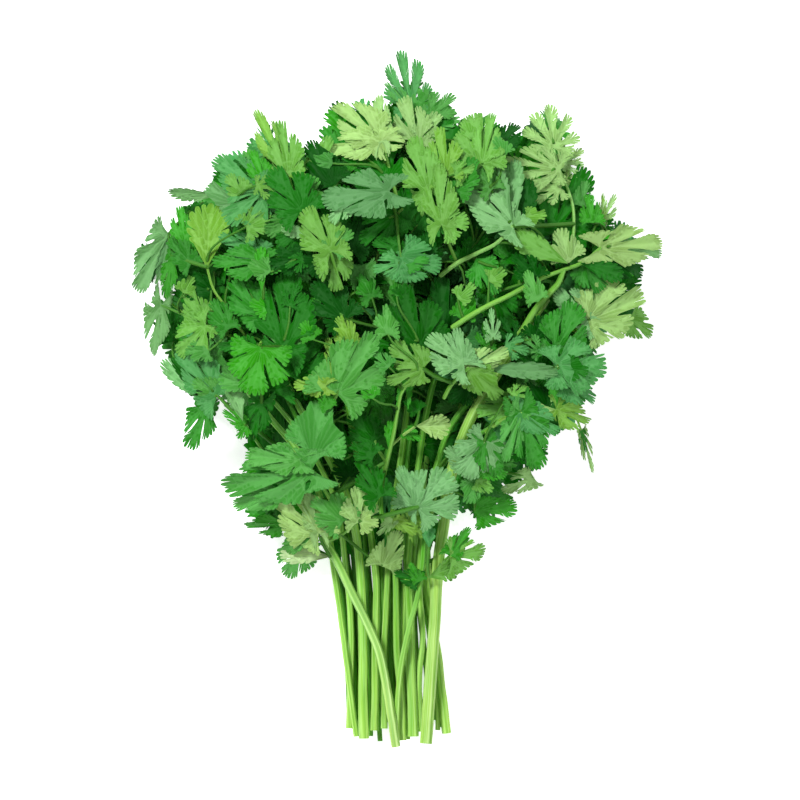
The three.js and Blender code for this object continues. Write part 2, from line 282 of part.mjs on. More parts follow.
    petioles: [
      [0.77, 0.71, 0.4, [[-63.85, 24.72, 42.91], [-69.4, 32.18, 44.95], [-74.37, 40.03, 47.52], [-79.63, 47.68, 50.19], [-82.34, 56.55, 54.68]]],
      [0.56, 0.52, 0.4, [[-85.36, 33.33, 25.99], [-93.68, 38.02, 24.72], [-100.33, 44.75, 25.19], [-99.51, 54.1, 32.89], [-97.4, 62.14, 42.59]]],
      [0.45, 0.62, 0.3, [[-82.34, 56.55, 54.68], [-82.35, 59.44, 54.77]]],
      [0.45, 0.62, 0.3, [[-97.4, 62.14, 42.59], [-91.86, 67.93, 45.39]]],
      [0.45, 0.62, 0.3, [[-97.4, 62.14, 42.59], [-98.64, 66.8, 40.12], [-100.39, 68.72, 37.47]]],
      [0.45, 0.7, 0.45, [[-82.34, 56.55, 54.68], [-89.87, 59.34, 48.64], [-97.4, 62.14, 42.59]]],
    ] },
  { name: "leaf_04",
    leaflets: [
      ["M", -83.85, -1.29, 32.13, -18.28, 18.7, -3.92, -0.01, 0.2, 0.98, 8.68, 0.14, 0.02, "p"],
      ["F", -78.05, 1.5, 45.2, -16.77, 21.5, -5.12, -0.42, -0.11, 0.9, 20.59, 0.12, -0.03, "b"],
      ["M", -83.85, -1.29, 32.13, -13.98, 19.56, 2.51, 0.39, 0.17, 0.9, 6.61, 0.09, 0, "s"],
      ["L", -82.56, -2.79, 37.27, -7.09, -18.06, -8.82, -0.44, -0.25, 0.86, 16.2, 0.11, -0.07, "g"],
      ["M", -82.56, -2.79, 37.27, -7.09, -1.72, -3.97, -0.44, -0.21, 0.87, 6.04, 0.13, -0.09, "v"],
      ["M", -65.15, -11.39, 57.83, -10.75, 6.45, -2.47, -0.34, -0.23, 0.91, 8.31, 0.1, -0.04, "v"],
      ["M", -65.15, -11.39, 57.83, -4.3, -5.16, -2.72, -0.36, -0.18, 0.92, 7.83, 0.08, 0, "v"],
      ["T", -58.7, -1.07, 62.22, -5.16, -15.05, -12.35, -0.3, -0.54, 0.79, 14.67, 0.07, 0, "s"],
    ],
    petioles: [
      [0.73, 0.69, 0.4, [[-58.7, -21.71, 29.78], [-62.32, -16.24, 40.72], [-65.36, -10.96, 57.83]]],
      [0.45, 0.62, 0.3, [[-65.36, -10.96, 57.83], [-66.56, -10.74, 57.95]]],
      [0.45, 0.62, 0.3, [[-65.36, -10.96, 57.83], [-61.58, -5.35, 60.62], [-59.35, -2.82, 61.34]]],
      [0.45, 0.62, 0.3, [[-65.36, -10.96, 57.83], [-72.86, -3.7, 50.77], [-79.91, 3.6, 45.09]]],
      [0.45, 0.62, 0.3, [[-78.23, 1.45, 45.61], [-80.9, -1.21, 40.96], [-83.47, -4.71, 36.78]]],
      [0.45, 0.62, 0.3, [[-82.76, -2.91, 37.66], [-85.68, 0.67, 32.18]]],
    ] },
  { name: "leaf_05",
    leaflets: [
      ["F", -80.19, 46.66, 45.11, -15.48, 5.59, -1.31, -0.15, -0.2, 0.97, 13.29, 0.06, -0.05, "k"],
      ["T", -102.12, 41.06, 26.7, -4.73, -22.79, -7.85, -0.56, -0.16, 0.81, 15.82, 0.06, -0.03, "p"],
      ["L", -82.78, 32.03, 43.78, -9.46, 14.62, 1.93, -0.26, -0.29, 0.92, 16.24, 0.05, -0.08, "g"],
      ["L", -82.78, 32.03, 49.12, -12.47, -13.76, -7.7, -0.46, -0.08, 0.88, 17.85, 0.12, -0.04, "g"],
    ],
    petioles: [
      [0.77, 0.71, 0.4, [[-65.58, 23.86, 42.08], [-74.09, 28.14, 44.42], [-82.78, 32.03, 43.78]]],
      [0.45, 0.62, 0.3, [[-82.78, 32.03, 43.78], [-83.84, 33.37, 44.39]]],
      [0.45, 0.62, 0.3, [[-82.89, 31.9, 44.2], [-84.23, 30.62, 48.75]]],
      [0.45, 0.62, 0.3, [[-82.78, 32.03, 43.78], [-80.96, 40.25, 44.83], [-81.81, 47.12, 45.41]]],
      [0.45, 0.62, 0.3, [[-82.78, 32.03, 43.78], [-94.05, 37.18, 34.17], [-102.85, 38.71, 26.28]]],
    ] },
  { name: "leaf_06",
    leaflets: [
      ["F", -23.86, -52.67, 53.72, -12.47, 10.32, 3.94, -0.04, -0.4, 0.92, 19.11, 0.12, -0.04, "g"],
      ["L", -16.98, -52.67, 54.34, 0, 15.48, 5.74, 0.29, -0.33, 0.9, 17.87, 0.11, -0.06, "l"],
      ["M", -16.98, -52.67, 54.34, 8.6, -0.86, 0.52, -0.1, -0.44, 0.9, 11.51, 0.13, -0.02, "l"],
      ["T", -7.09, -72.03, 26.27, 7.31, 15.48, 9.82, 0.14, -0.58, 0.81, 16.36, 0.09, -0.05, "p"],
      ["L", 8.17, -46.66, 46.72, 13.12, 16.34, 6.04, 0.06, -0.39, 0.92, 31.32, 0.1, -0.07, "p"],
      ["L", 8.17, -46.66, 46.72, -7.53, 17.2, 7.4, 0.01, -0.39, 0.92, 13.03, 0.14, 0.02, "p"],
    ],
    petioles: [
      [0.86, 0.76, 0.4, [[-32.89, -62.56, 17.18], [-24.36, -58.11, 32.78], [-16.98, -52.46, 54.34]]],
      [0.99, 0.95, 0.4, [[6.67, -62.56, 20.24], [7.08, -54.59, 33.97], [8.06, -46.66, 46.72]]],
      [0.45, 0.62, 0.3, [[8.06, -46.66, 46.72], [9.51, -45.2, 47.74]]],
      [0.45, 0.62, 0.3, [[-16.98, -52.46, 54.34], [-16.86, -51.28, 55.32]]],
      [0.45, 0.62, 0.3, [[-16.98, -52.46, 54.34], [-25.13, -51.82, 54.52]]],
      [0.45, 0.62, 0.3, [[-24.36, -58.11, 32.78], [-14.48, -66.45, 29.13], [-6.3, -70.74, 27.62]]],
      [0.45, 0.7, 0.45, [[-16.98, -52.46, 54.34], [-4.46, -49.56, 50.53], [8.06, -46.66, 46.72]]],
    ] },
  { name: "leaf_07",
    leaflets: [
      ["L", 81.48, 34.19, 51.31, 23.22, 10.32, -14.3, 0.5, 0.07, 0.86, 27.73, 0.13, 0.02, "l"],
      ["L", 81.48, 34.19, 51.31, -13.76, 12.04, 4.43, 0.42, 0.15, 0.9, 19.47, 0.08, -0.08, "p"],
      ["F", 99.55, 35.05, 28.38, 10.32, -6.88, -11.36, 0.69, -0.13, 0.71, 14.93, 0.1, -0.07, "b"],
    ],
    petioles: [
      [0.99, 0.93, 0.4, [[66, 23.86, 45.09], [74.03, 28.36, 48.53], [81.48, 33.97, 51.31]]],
      [0.45, 0.62, 0.3, [[81.48, 33.97, 51.31], [84.03, 35.25, 50.27]]],
      [0.45, 0.62, 0.3, [[81.48, 33.97, 51.31], [91.81, 34.71, 38.57], [100.89, 34.3, 27.57]]],
    ] },
  { name: "leaf_08",
    leaflets: [
      ["M", 86.86, 75.89, 35.46, 1.5, 13.33, -3.1, 0.45, 0.15, 0.88, 4.73, 0.07, 0, "y"],
      ["M", 86.86, 75.89, 35.46, 7.09, 12.9, -5.68, 0.48, 0.12, 0.87, 8.22, 0.15, -0.01, "l"],
      ["T", 86.64, 65.14, 50.73, 29.67, 3.01, -21.99, 0.58, 0.15, 0.8, 18.97, 0.09, -0.01, "l"],
      ["F", 96.11, 66, 31.06, 18.49, -3.44, -14.23, 0.61, 0.02, 0.79, 10.38, 0.13, -0.05, "p"],
      ["L", 73.31, 58.7, 58.22, -4.3, 15.05, 0.44, 0.35, 0.07, 0.94, 17.46, 0.09, -0.06, "l"],
      ["L", 72.89, 58.27, 61.47, -25.37, 13.33, 5.15, 0.23, 0.07, 0.97, 11.34, 0.11, -0.03, "l"],
      ["T", 79.77, 58.27, 51.17, 7.74, -11.61, -2.83, 0.43, 0.07, 0.9, 18.66, 0.15, 0, "k"],
      ["F", 91.8, 59.98, 43.53, 15.05, -5.16, -6.63, 0.45, 0.18, 0.88, 14.39, 0.05, -0.07, "k"],
    ],
    petioles: [
      [1.4, 1.13, 0.4, [[23, 30.75, 64.19], [30.51, 35.79, 65.04], [38.37, 40.26, 65.11], [46.5, 44.21, 64.45], [54.46, 48.51, 63.19], [62.54, 52.57, 61.23], [71.01, 55.72, 58.37], [79.43, 59.04, 54.71], [86.64, 64.72, 50.73]]],
      [2.15, 1.72, 0.4, [[52.24, 26.45, 49.06], [56.54, 34.82, 52.09], [61.85, 42.59, 55.01], [68.24, 49.5, 57.77], [71.01, 55.72, 58.37]]],
      [0.45, 0.62, 0.3, [[86.64, 64.72, 50.73], [89.87, 65.51, 48.89]]],
      [0.45, 0.62, 0.3, [[79.43, 59.04, 54.71], [80.77, 57.07, 51.28]]],
      [0.45, 0.62, 0.3, [[71.01, 55.72, 58.37], [73.04, 60.23, 58.68]]],
      [0.45, 0.62, 0.3, [[73.47, 58.73, 58.64], [70.45, 59.63, 62.42]]],
      [0.45, 0.62, 0.3, [[86.64, 64.72, 50.73], [89.73, 62.04, 46.82], [93.51, 59.55, 43.26]]],
      [0.45, 0.62, 0.3, [[92.01, 60.07, 43.92], [94.49, 63.49, 36.76], [98.23, 65.67, 29.99]]],
      [0.45, 0.62, 0.3, [[96.38, 66.01, 31.41], [90.83, 71.37, 34.12], [87.78, 77.24, 35.29]]],
    ] },
  { name: "leaf_09",
    leaflets: [
      ["F", -36.77, -25.16, 62.76, 4.73, 24.51, 6.41, -0.47, -0.14, 0.87, 30.3, 0.14, -0.03, "m"],
      ["F", -9.68, -18.27, 47.2, -11.18, 12.47, 1.9, -0.04, -0.19, 0.98, 16.54, 0.12, -0.08, "s"],
      ["T", -37.2, -30.32, 69.41, -37.84, -6.88, -29.36, -0.55, -0.31, 0.78, 27.04, 0.1, 0.03, "g"],
      ["T", -42.35, -26.02, 69.17, -23.22, 1.72, -12.58, -0.48, -0.16, 0.86, 14.83, 0.14, 0.03, "g"],
      ["T", -49.23, -38.91, 55.56, -23.65, -7.31, -19.61, -0.52, -0.37, 0.77, 13.93, 0.11, -0.04, "g"],
      ["F", -7.96, -41.92, 58.77, -10.32, 16.77, 4.82, 0.26, -0.11, 0.96, 14.81, 0.13, -0.02, "s"],
    ],
    petioles: [
      [0.86, 0.76, 0.4, [[-5.38, -26.88, 41.99], [-9.68, -20, 48.35], [-11.83, -15.69, 47.2]]],
      [1.07, 0.97, 0.4, [[-25.16, -51.81, 21.19], [-29.89, -42.35, 39.86], [-35.91, -31.6, 69.41]]],
      [0.45, 0.62, 0.3, [[-9.68, -20, 48.35], [-10.81, -17.11, 47.83]]],
      [0.45, 0.62, 0.3, [[-35.91, -31.6, 69.41], [-41.22, -31.14, 66.83]]],
      [0.45, 0.62, 0.3, [[-37.44, -30.46, 69.76], [-44.89, -25.91, 68.3]]],
      [0.45, 0.62, 0.3, [[-37.44, -30.46, 69.76], [-36.5, -22.77, 63.8]]],
      [0.45, 0.62, 0.3, [[-36.97, -25.22, 63.16], [-44.42, -33.27, 58.77], [-51.83, -39.81, 53.95]]],
      [0.45, 0.62, 0.3, [[-5.38, -26.88, 41.99], [-6.68, -35.73, 51.84], [-8.87, -40.3, 59.69]]],
      [0.45, 0.7, 0.45, [[-5.38, -26.88, 41.99], [-17.63, -34.61, 40.92], [-29.89, -42.35, 39.86]]],
    ] },
  { name: "leaf_10",
    leaflets: [
      ["L", 36.98, -17.84, 61.37, -9.68, -15.05, -4.3, 0.1, -0.33, 0.94, 23.13, 0.1, -0.01, "p"],
      ["L", 36.98, -17.84, 61.37, 5.8, -15.91, -6.13, 0.17, -0.3, 0.94, 14.64, 0.12, -0.08, "g"],
      ["T", 32.46, -48.38, 34.05, 18.92, 1.72, -2.11, 0.14, -0.47, 0.87, 16.65, 0.11, -0.01, "s"],
    ],
    petioles: [
      [0.99, 0.95, 0.4, [[34.19, -30.32, 39.17], [35.84, -24.15, 49.54], [36.87, -17.84, 61.37]]],
      [0.45, 0.62, 0.3, [[36.87, -17.84, 61.37], [36.06, -19.5, 61.36]]],
      [0.45, 0.62, 0.3, [[34.19, -30.32, 39.17], [32.97, -40.85, 36.48], [34.42, -48.42, 34.23]]],
    ] },
  { name: "leaf_11",
    leaflets: [
      ["L", 67.72, -4.08, 59.94, 15.48, -6.45, -14.41, 0.55, -0.36, 0.75, 13.81, 0.12, -0.07, "y"],
      ["M", 67.72, -4.08, 59.94, -1.72, 15.05, 5.4, -0.18, -0.35, 0.92, 5.71, 0.07, 0.01, "v"],
      ["M", 78.91, -13.33, 33.17, 1.29, -9.24, -3.61, 0.4, -0.28, 0.87, 4.11, 0.09, 0.02, "g"],
      ["M", 78.91, -13.33, 33.17, 5.16, -18.7, -9.44, 0.43, -0.31, 0.85, 5.85, 0.1, -0.07, "g"],
      ["L", 52.39, -5.38, 65.11, 7.17, -24.94, -9.88, 0.24, -0.29, 0.92, 21.73, 0.09, 0.01, "g"],
      ["L", 52.39, -5.38, 65.11, -7.45, -21.5, -2.97, 0.24, -0.21, 0.94, 13.52, 0.14, -0.03, "m"],
      ["L", 52.39, -5.38, 65.11, 17.06, -8.6, -6.18, 0.24, -0.21, 0.95, 14.66, 0.15, -0.06, "b"],
      ["F", 49.66, -2.79, 50.03, -16.34, -2.58, 0.55, 0.04, -0.07, 1, 14.67, 0.06, -0.03, "m"],
      ["F", 64.28, -5.38, 53.87, -10.32, 12.04, 5.82, 0.32, -0.17, 0.93, 14.73, 0.09, -0.05, "k"],
    ],
    petioles: [
      [0.65, 0.58, 0.4, [[72.03, -1.94, 34.1], [76, -6.86, 35.55], [78.69, -13.01, 33.17]]],
      [0.99, 0.93, 0.4, [[37.62, -13.97, 42.3], [44.61, -8.75, 51.84], [52.32, -4.95, 65.11]]],
      [0.45, 0.62, 0.3, [[52.32, -4.95, 65.11], [53.22, -8, 64.54]]],
      [0.45, 0.62, 0.3, [[78.69, -13.01, 33.17], [79.61, -15.34, 32.61]]],
      [0.45, 0.62, 0.3, [[44.61, -8.75, 51.84], [48.05, -3.09, 50.53]]],
      [0.45, 0.62, 0.3, [[49.69, -2.83, 50.48], [58.4, -4.61, 52.53], [63.4, -4.25, 54.87]]],
      [0.45, 0.62, 0.3, [[64.43, -5.45, 54.28], [69.52, -4.89, 58.84]]],
      [0.45, 0.7, 0.45, [[72.03, -1.94, 34.1], [58.32, -5.34, 42.97], [44.61, -8.75, 51.84]]],
    ] },
  { name: "leaf_12",
    leaflets: [
      ["L", 5.38, 124.48, 44.16, -4.73, 26.23, -26.54, -0.05, 0.71, 0.71, 21.53, 0.14, -0.04, "m"],
      ["M", 5.38, 124.48, 44.16, -11.61, 13.76, -12.51, -0.09, 0.63, 0.77, 7.16, 0.07, -0.06, "m"],
      ["D", 13.12, 121.91, 50.2, 11.18, 9.46, -5.43, 0.05, 0.45, 0.89, 15.3, 0.07, 0, "m"],
      ["L", -7.38, 110.73, 60.65, -20.35, 16.77, -14.13, -0.18, 0.49, 0.85, 22.1, 0.06, -0.04, "l"],
      ["L", -7.38, 110.73, 60.65, -1.43, 22.79, -18.02, -0.24, 0.59, 0.77, 10.88, 0.11, -0.05, "l"],
      ["L", -7.38, 110.73, 60.65, -25.51, -4.3, -2.71, -0.16, 0.35, 0.92, 16.66, 0.06, -0.01, "l"],
      ["L", 8.38, 110.51, 56.67, -6.88, 19.56, -7.76, -0.16, 0.31, 0.94, 18.08, 0.09, -0.07, "l"],
      ["M", 8.38, 110.51, 56.67, 9.46, 13.12, -5.05, 0.01, 0.35, 0.94, 12.25, 0.06, -0.04, "l"],
    ],
    petioles: [
      [0.97, 0.92, 0.4, [[2.36, 74.61, 54.57], [0.46, 83.05, 56.43], [-1.8, 91.41, 58.1], [-4.16, 99.74, 59.53], [-6.81, 109.44, 60.65]]],
      [0.86, 0.79, 0.4, [[9.68, 96.11, 39.12], [7.52, 105.17, 40.77], [5.97, 114.36, 42.48], [5.16, 124.06, 44.16]]],
      [0.45, 0.62, 0.3, [[5.16, 124.06, 44.16], [4.88, 127.43, 41.82]]],
      [0.45, 0.62, 0.3, [[-6.81, 109.44, 60.65], [-9.5, 112.62, 59.62]]],
      [0.45, 0.62, 0.3, [[5.35, 124.8, 44.48], [9.74, 123.18, 48.04], [14.26, 123.05, 50.06]]],
      [0.45, 0.62, 0.3, [[13.14, 122.11, 50.6], [10.4, 115.42, 54.37], [7.62, 112.61, 56.31]]],
      [0.45, 0.7, 0.45, [[-1.8, 91.41, 58.1], [3.94, 93.76, 48.61], [9.68, 96.11, 39.12]]],
    ] },
  { name: "leaf_13",
    leaflets: [
      ["F", -27.73, 90.94, 68.75, -10.32, 20.64, -8.09, -0.15, 0.29, 0.94, 18.92, 0.07, -0.05, "k"],
      ["L", -47.09, 95.67, 71.94, -15.05, 30.1, -20.11, -0.11, 0.52, 0.85, 12.99, 0.09, 0.01, "y"],
      ["L", -47.09, 95.67, 71.94, -3.44, 23.65, -9.14, -0.05, 0.35, 0.93, 16.34, 0.14, 0.01, "y"],
      ["L", -58.7, 89.22, 65.01, -20.64, 15.05, -7.5, 0.02, 0.46, 0.89, 22.2, 0.1, -0.07, "b"],
      ["M", -56.12, 90.94, 68.76, -8.17, 17.2, -7.33, -0.28, 0.26, 0.93, 11.27, 0.14, -0.09, "v"],
      ["O", -77.61, 87.94, 57.55, -21.5, 0.86, -13.52, -0.39, -0.72, 0.58, 9.31, 0.11, -0.08, "p"],
      ["L", -56.98, 90.08, 70.3, -17.2, -13.76, -2.62, -0.21, 0.08, 0.97, 21.93, 0.15, 0.03, "b"],
      ["F", -41.49, 80.62, 79.18, -12.04, 18.92, -7.48, -0.2, 0.25, 0.95, 24.09, 0.08, -0.02, "g"],
      ["F", -37.2, 95.25, 63.8, 7.74, 18.06, -3.71, -0.17, 0.27, 0.95, 13.34, 0.14, -0.08, "k"],
      ["F", -68.16, 83.64, 64.2, -15.05, 8.17, -5.47, -0.25, 0.17, 0.95, 12.91, 0.09, -0.01, "b"],
      ["F", -43.21, 70.73, 72.61, -6.02, -11.61, -1.92, 0.07, -0.2, 0.98, 16.54, 0.13, -0.09, "s"],
      ["F", -42.35, 82.34, 69.77, 7.74, 12.9, -1.13, -0.2, 0.2, 0.96, 15.2, 0.12, -0.03, "m"],
    ],
    petioles: [
      [0.99, 0.93, 0.4, [[-20, 59.12, 45.83], [-22.46, 66.94, 49.33], [-24.57, 74.86, 54.33], [-26.29, 82.88, 60.81], [-27.74, 90.94, 68.75]]],
      [0.99, 0.93, 0.4, [[-34.62, 59.12, 49.82], [-38.15, 68.51, 52.92], [-41.61, 77.93, 57.67], [-44.9, 87.41, 64.03], [-47.52, 96.32, 71.94]]],
      [0.45, 0.62, 0.3, [[-27.74, 90.94, 68.75], [-28.83, 93.14, 68.37]]],
      [0.45, 0.62, 0.3, [[-47.52, 96.32, 71.94], [-48.64, 98.92, 70.32]]],
      [0.45, 0.62, 0.3, [[-44.9, 87.41, 64.03], [-41.67, 83.73, 70.09]]],
      [0.45, 0.62, 0.3, [[-42.44, 82.44, 70.2], [-42.12, 81.73, 75.5], [-42.79, 82.63, 78.86]]],
      [0.45, 0.62, 0.3, [[-47.52, 96.32, 71.94], [-52.57, 93.38, 70.32], [-57.06, 92.78, 68.44]]],
      [0.45, 0.62, 0.3, [[-56.24, 91.06, 69.17], [-58.79, 88.75, 70.48]]],
      [0.45, 0.62, 0.3, [[-56.24, 91.06, 69.17], [-60.75, 90.94, 64.66]]],
      [0.45, 0.62, 0.3, [[-44.9, 87.41, 64.03], [-40.5, 92.01, 64.14], [-36.5, 97.17, 63.86]]],
      [0.45, 0.62, 0.3, [[-58.69, 89.43, 65.41], [-64.13, 86.11, 64.99], [-69.77, 84.53, 64.08]]],
      [0.45, 0.62, 0.3, [[-42.12, 81.73, 75.5], [-42.62, 75.58, 74.13], [-43.87, 69.33, 72.83]]],
      [0.45, 0.62, 0.3, [[-68.27, 83.71, 64.63], [-73.91, 85.96, 60.61], [-79.94, 87.7, 56.46]]],
      [0.45, 0.7, 0.45, [[-22.46, 66.94, 49.33], [-28.54, 63.03, 49.57], [-34.62, 59.12, 49.82]]],
    ] },
  { name: "leaf_14",
    leaflets: [
      ["T", 30.75, 62.13, 49, 3.44, 18.49, -2.4, 0.14, 0.1, 0.98, 14.73, 0.06, -0.09, "k"],
      ["F", 33.33, 60.84, 62.02, 9.46, -15.48, -1.01, 0.16, 0.03, 0.99, 15.66, 0.12, -0.04, "b"],
      ["F", 40.2, 46.23, 53.54, 9.46, -15.48, -2.45, 0.21, -0.03, 0.98, 15.68, 0.07, -0.08, "k"],
    ],
    petioles: [
      [0.9, 0.8, 0.3, [[22.88, 57.69, 42.32], [25.83, 59.21, 44.98], [29.23, 61.35, 47.98], [31.15, 64.03, 49.21]]],
      [0.45, 0.62, 0.3, [[30.81, 62.18, 49.45], [32.16, 61.64, 56.95], [34.34, 59.31, 62.36]]],
      [0.45, 0.62, 0.3, [[32.16, 61.64, 56.95], [36.68, 53.03, 55.28], [41.24, 44.66, 53.74]]],
    ] },
  { name: "leaf_15",
    leaflets: [
      ["T", 67.72, 21.29, 59.37, 10.32, 19.78, -4.47, 0.42, -0.01, 0.91, 25, 0.08, 0.02, "b"],
      ["T", 67.72, 14.4, 68.82, 22.36, 1.72, -15.33, 0.55, 0.18, 0.82, 26.85, 0.13, -0.08, "b"],
      ["T", 69.44, 9.24, 66.32, 15.48, -10.32, -13.19, 0.61, -0.08, 0.79, 15, 0.08, -0.04, "b"],
    ],
    petioles: [
      [0.99, 0.93, 0.4, [[64.28, -5.38, 36.71], [66.02, 3.27, 49.22], [67.94, 13.12, 68.82]]],
      [0.95, 0.91, 0.4, [[43.64, -17.41, 37.98], [51.16, -10.85, 42.66], [60.16, -6.89, 47.06], [66.08, 0.26, 54.79], [67.94, 13.12, 68.82]]],
      [0.45, 0.62, 0.3, [[67.94, 13.12, 68.82], [70.21, 14.66, 67.65]]],
      [0.45, 0.62, 0.3, [[67.94, 13.12, 68.82], [71.27, 8.18, 65.35]]],
      [0.45, 0.62, 0.3, [[67.97, 14.49, 69.18], [67.99, 18.5, 63.75], [68.95, 23.26, 59.33]]],
    ] },
  { name: "leaf_16",
    leaflets: [
      ["L", 49.38, 74.18, 70.94, -11.75, 32.68, -9.06, -0.61, 0, 0.79, 13.48, 0.09, 0, "p"],
      ["L", 49.38, 74.18, 70.94, -22.07, 16.34, -4.41, -0.04, 0.21, 0.98, 18.23, 0.07, -0.01, "p"],
      ["L", 49.38, 74.18, 70.94, -0.14, 29.67, -10.98, -0.51, 0.3, 0.81, 10.74, 0.13, -0.05, "p"],
      ["P", 66.86, 108.14, 44.75, -1.72, 19.78, -8.23, 0.31, 0.39, 0.87, 26.26, 0.13, -0.03, "l"],
      ["P", 69.44, 98.69, 51.16, -24.08, 4.73, 4.38, 0.22, 0.26, 0.94, 19.77, 0.07, -0.01, "l"],
      ["P", 69.88, 90.94, 50.36, -16.77, -1.72, 5.39, 0.28, 0.18, 0.94, 13.9, 0.11, -0.03, "l"],
      ["M", 70.52, 101.69, 44.37, 8.81, 6.02, -9.21, 0.5, 0.42, 0.76, 9.47, 0.15, 0.02, "l"],
      ["M", 70.52, 101.69, 44.37, 9.67, -0.43, -3.7, 0.35, 0.32, 0.88, 9.06, 0.07, -0.04, "l"],
    ],
    petioles: [
      [0.97, 0.77, 0.4, [[73.75, 59.12, 45.61], [74.91, 67.32, 46.56], [75.47, 75.59, 46.95], [74.88, 83.83, 47.01], [72.34, 91.69, 47.2], [69.1, 99.31, 46.82], [66.87, 107.71, 44.75]]],
      [1.18, 1.02, 0.4, [[17.84, 53.1, 59.1], [25.41, 58.66, 61.79], [33.84, 62.81, 64.62], [42.15, 67.2, 67.64], [49.31, 73.75, 70.94]]],
      [0.45, 0.62, 0.3, [[49.31, 73.75, 70.94], [47.15, 75.9, 70.94]]],
      [0.45, 0.62, 0.3, [[66.87, 107.71, 44.75], [66.83, 110.3, 44.32]]],
      [0.45, 0.62, 0.3, [[69.1, 99.31, 46.82], [71.68, 102.52, 43.73]]],
      [0.45, 0.62, 0.3, [[72.34, 91.69, 47.2], [68.33, 90.85, 51.33]]],
      [0.45, 0.62, 0.3, [[69.1, 99.31, 46.82], [67.14, 99.27, 52.02]]],
      [0.45, 0.7, 0.45, [[75.47, 75.59, 46.95], [62.39, 74.67, 58.94], [49.31, 73.75, 70.94]]],
    ] },
  { name: "leaf_17",
    leaflets: [
      ["L", 18.49, 74.82, 80.23, -1.93, 26.45, -3.24, -0.02, 0.12, 0.99, 17.2, 0.15, -0.05, "y"],
      ["M", 18.49, 74.82, 80.23, 11.83, 1.51, -1.36, 0.09, 0.17, 0.98, 18.27, 0.12, -0.02, "l"],
      ["T", 12.69, 89.22, 74.47, -7.31, 23.65, -5.72, -0.35, 0.12, 0.93, 20.71, 0.12, -0.06, "y"],
      ["F", 20.43, 95.67, 74.33, -2.58, 21.07, -10.18, -0.3, 0.39, 0.87, 17.66, 0.14, 0.03, "y"],
      ["L", 35.91, 100.41, 70.89, -4.3, 25.37, -19.26, -0.03, 0.6, 0.8, 22.39, 0.1, -0.09, "g"],
      ["L", 35.91, 100.41, 70.89, 4.73, 23.65, -15.05, 0.02, 0.53, 0.85, 13.79, 0.12, 0.02, "g"],
      ["F", 43.64, 108.58, 55.21, 7.74, 10.75, -8.31, 0.07, 0.58, 0.81, 13.28, 0.07, -0.05, "k"],
      ["L", 23.86, 89.66, 73.29, 9.89, 13.76, -0.37, -0.18, 0.16, 0.97, 15.07, 0.15, -0.04, "k"],
      ["M", 23.86, 89.66, 73.29, 1.72, 13.33, -2.55, -0.17, 0.21, 0.96, 6.13, 0.07, -0.03, "s"],
    ],
    petioles: [
      [0.86, 0.79, 0.4, [[25.16, 58.7, 57.96], [21.97, 66.07, 67.11], [19.03, 74.28, 80.23]]],
      [0.45, 0.62, 0.3, [[19.03, 74.28, 80.23], [18.29, 77.52, 80.36]]],
      [0.45, 0.62, 0.3, [[18.48, 74.87, 80.68], [15.04, 83.2, 77.34], [11.79, 91.64, 74.31]]],
      [0.45, 0.62, 0.3, [[12.53, 89.28, 74.88], [16.96, 93.31, 74.67], [20.03, 97.96, 73.71]]],
      [0.45, 0.62, 0.3, [[20.29, 95.85, 74.72], [24.77, 91.1, 73.69]]],
      [0.45, 0.62, 0.3, [[23.78, 89.73, 73.73], [30.69, 96.32, 72.07], [35.46, 103.21, 69.32]]],
      [0.45, 0.62, 0.3, [[35.89, 100.68, 71.25], [40.15, 105.06, 62.47], [44.45, 109.91, 54.75]]],
    ] },
  { name: "leaf_18",
    leaflets: [
      ["O", 7.52, -11.39, 61.12, 15.05, 0.43, -0.64, 0.05, -0.26, 0.96, 11.58, 0.11, 0, "l"],
      ["O", 2.36, -13.12, 54.19, 7.31, -4.3, -1.33, 0.01, -0.28, 0.96, 7.07, 0.14, -0.02, "v"],
      ["O", -4.51, -20.86, 51.9, 1.29, 12.04, 3.43, 0, -0.27, 0.96, 5.16, 0.08, 0, "v"],
      ["O", 9.24, -5.38, 54.43, -6.45, 6.02, 1.41, 0.01, -0.22, 0.98, 8.7, 0.09, 0.02, "s"],
    ],
    petioles: [
      [0.77, 0.71, 0.4, [[-3.23, -20, 43.43], [1.53, -15.68, 52.31], [7.1, -11.61, 61.12]]],
      [0.45, 0.62, 0.3, [[7.1, -11.61, 61.12], [9.05, -11.47, 61.49]]],
      [0.45, 0.62, 0.3, [[1.53, -15.68, 52.31], [3.65, -13.99, 54.39]]],
      [0.45, 0.62, 0.3, [[1.53, -15.68, 52.31], [-4.36, -19.54, 52.74]]],
      [0.45, 0.62, 0.3, [[7.1, -11.61, 61.12], [8.36, -8.11, 57.52], [8.17, -4.46, 55.11]]],
    ] },
  { name: "leaf_19",
    leaflets: [
      ["L", -58.7, 62.56, 66.15, -18.49, 7.74, -8.49, -0.29, 0.3, 0.91, 13.06, 0.06, -0.1, "b"],
      ["L", -57.84, 59.12, 69.09, -21.93, 0, -7.92, -0.34, 0.03, 0.94, 16.35, 0.09, 0.03, "b"],
      ["F", -57.84, 35.91, 58.72, -14.62, 15.05, -5.17, -0.12, 0.22, 0.97, 18.1, 0.12, -0.08, "m"],
    ],
    petioles: [
      [0.9, 0.8, 0.3, [[-57.47, 25.22, 45.07], [-57.3, 28.95, 50.46], [-57.49, 33.52, 56.43], [-59.35, 37.51, 58.64]]],
      [0.45, 0.62, 0.3, [[-57.89, 36, 59.16], [-57.89, 49.31, 65.14], [-60.18, 59.14, 68.73]]],
      [0.45, 0.62, 0.3, [[-57.99, 59.14, 69.52], [-60.67, 63.48, 65.7]]],
    ] },
  { name: "leaf_20",
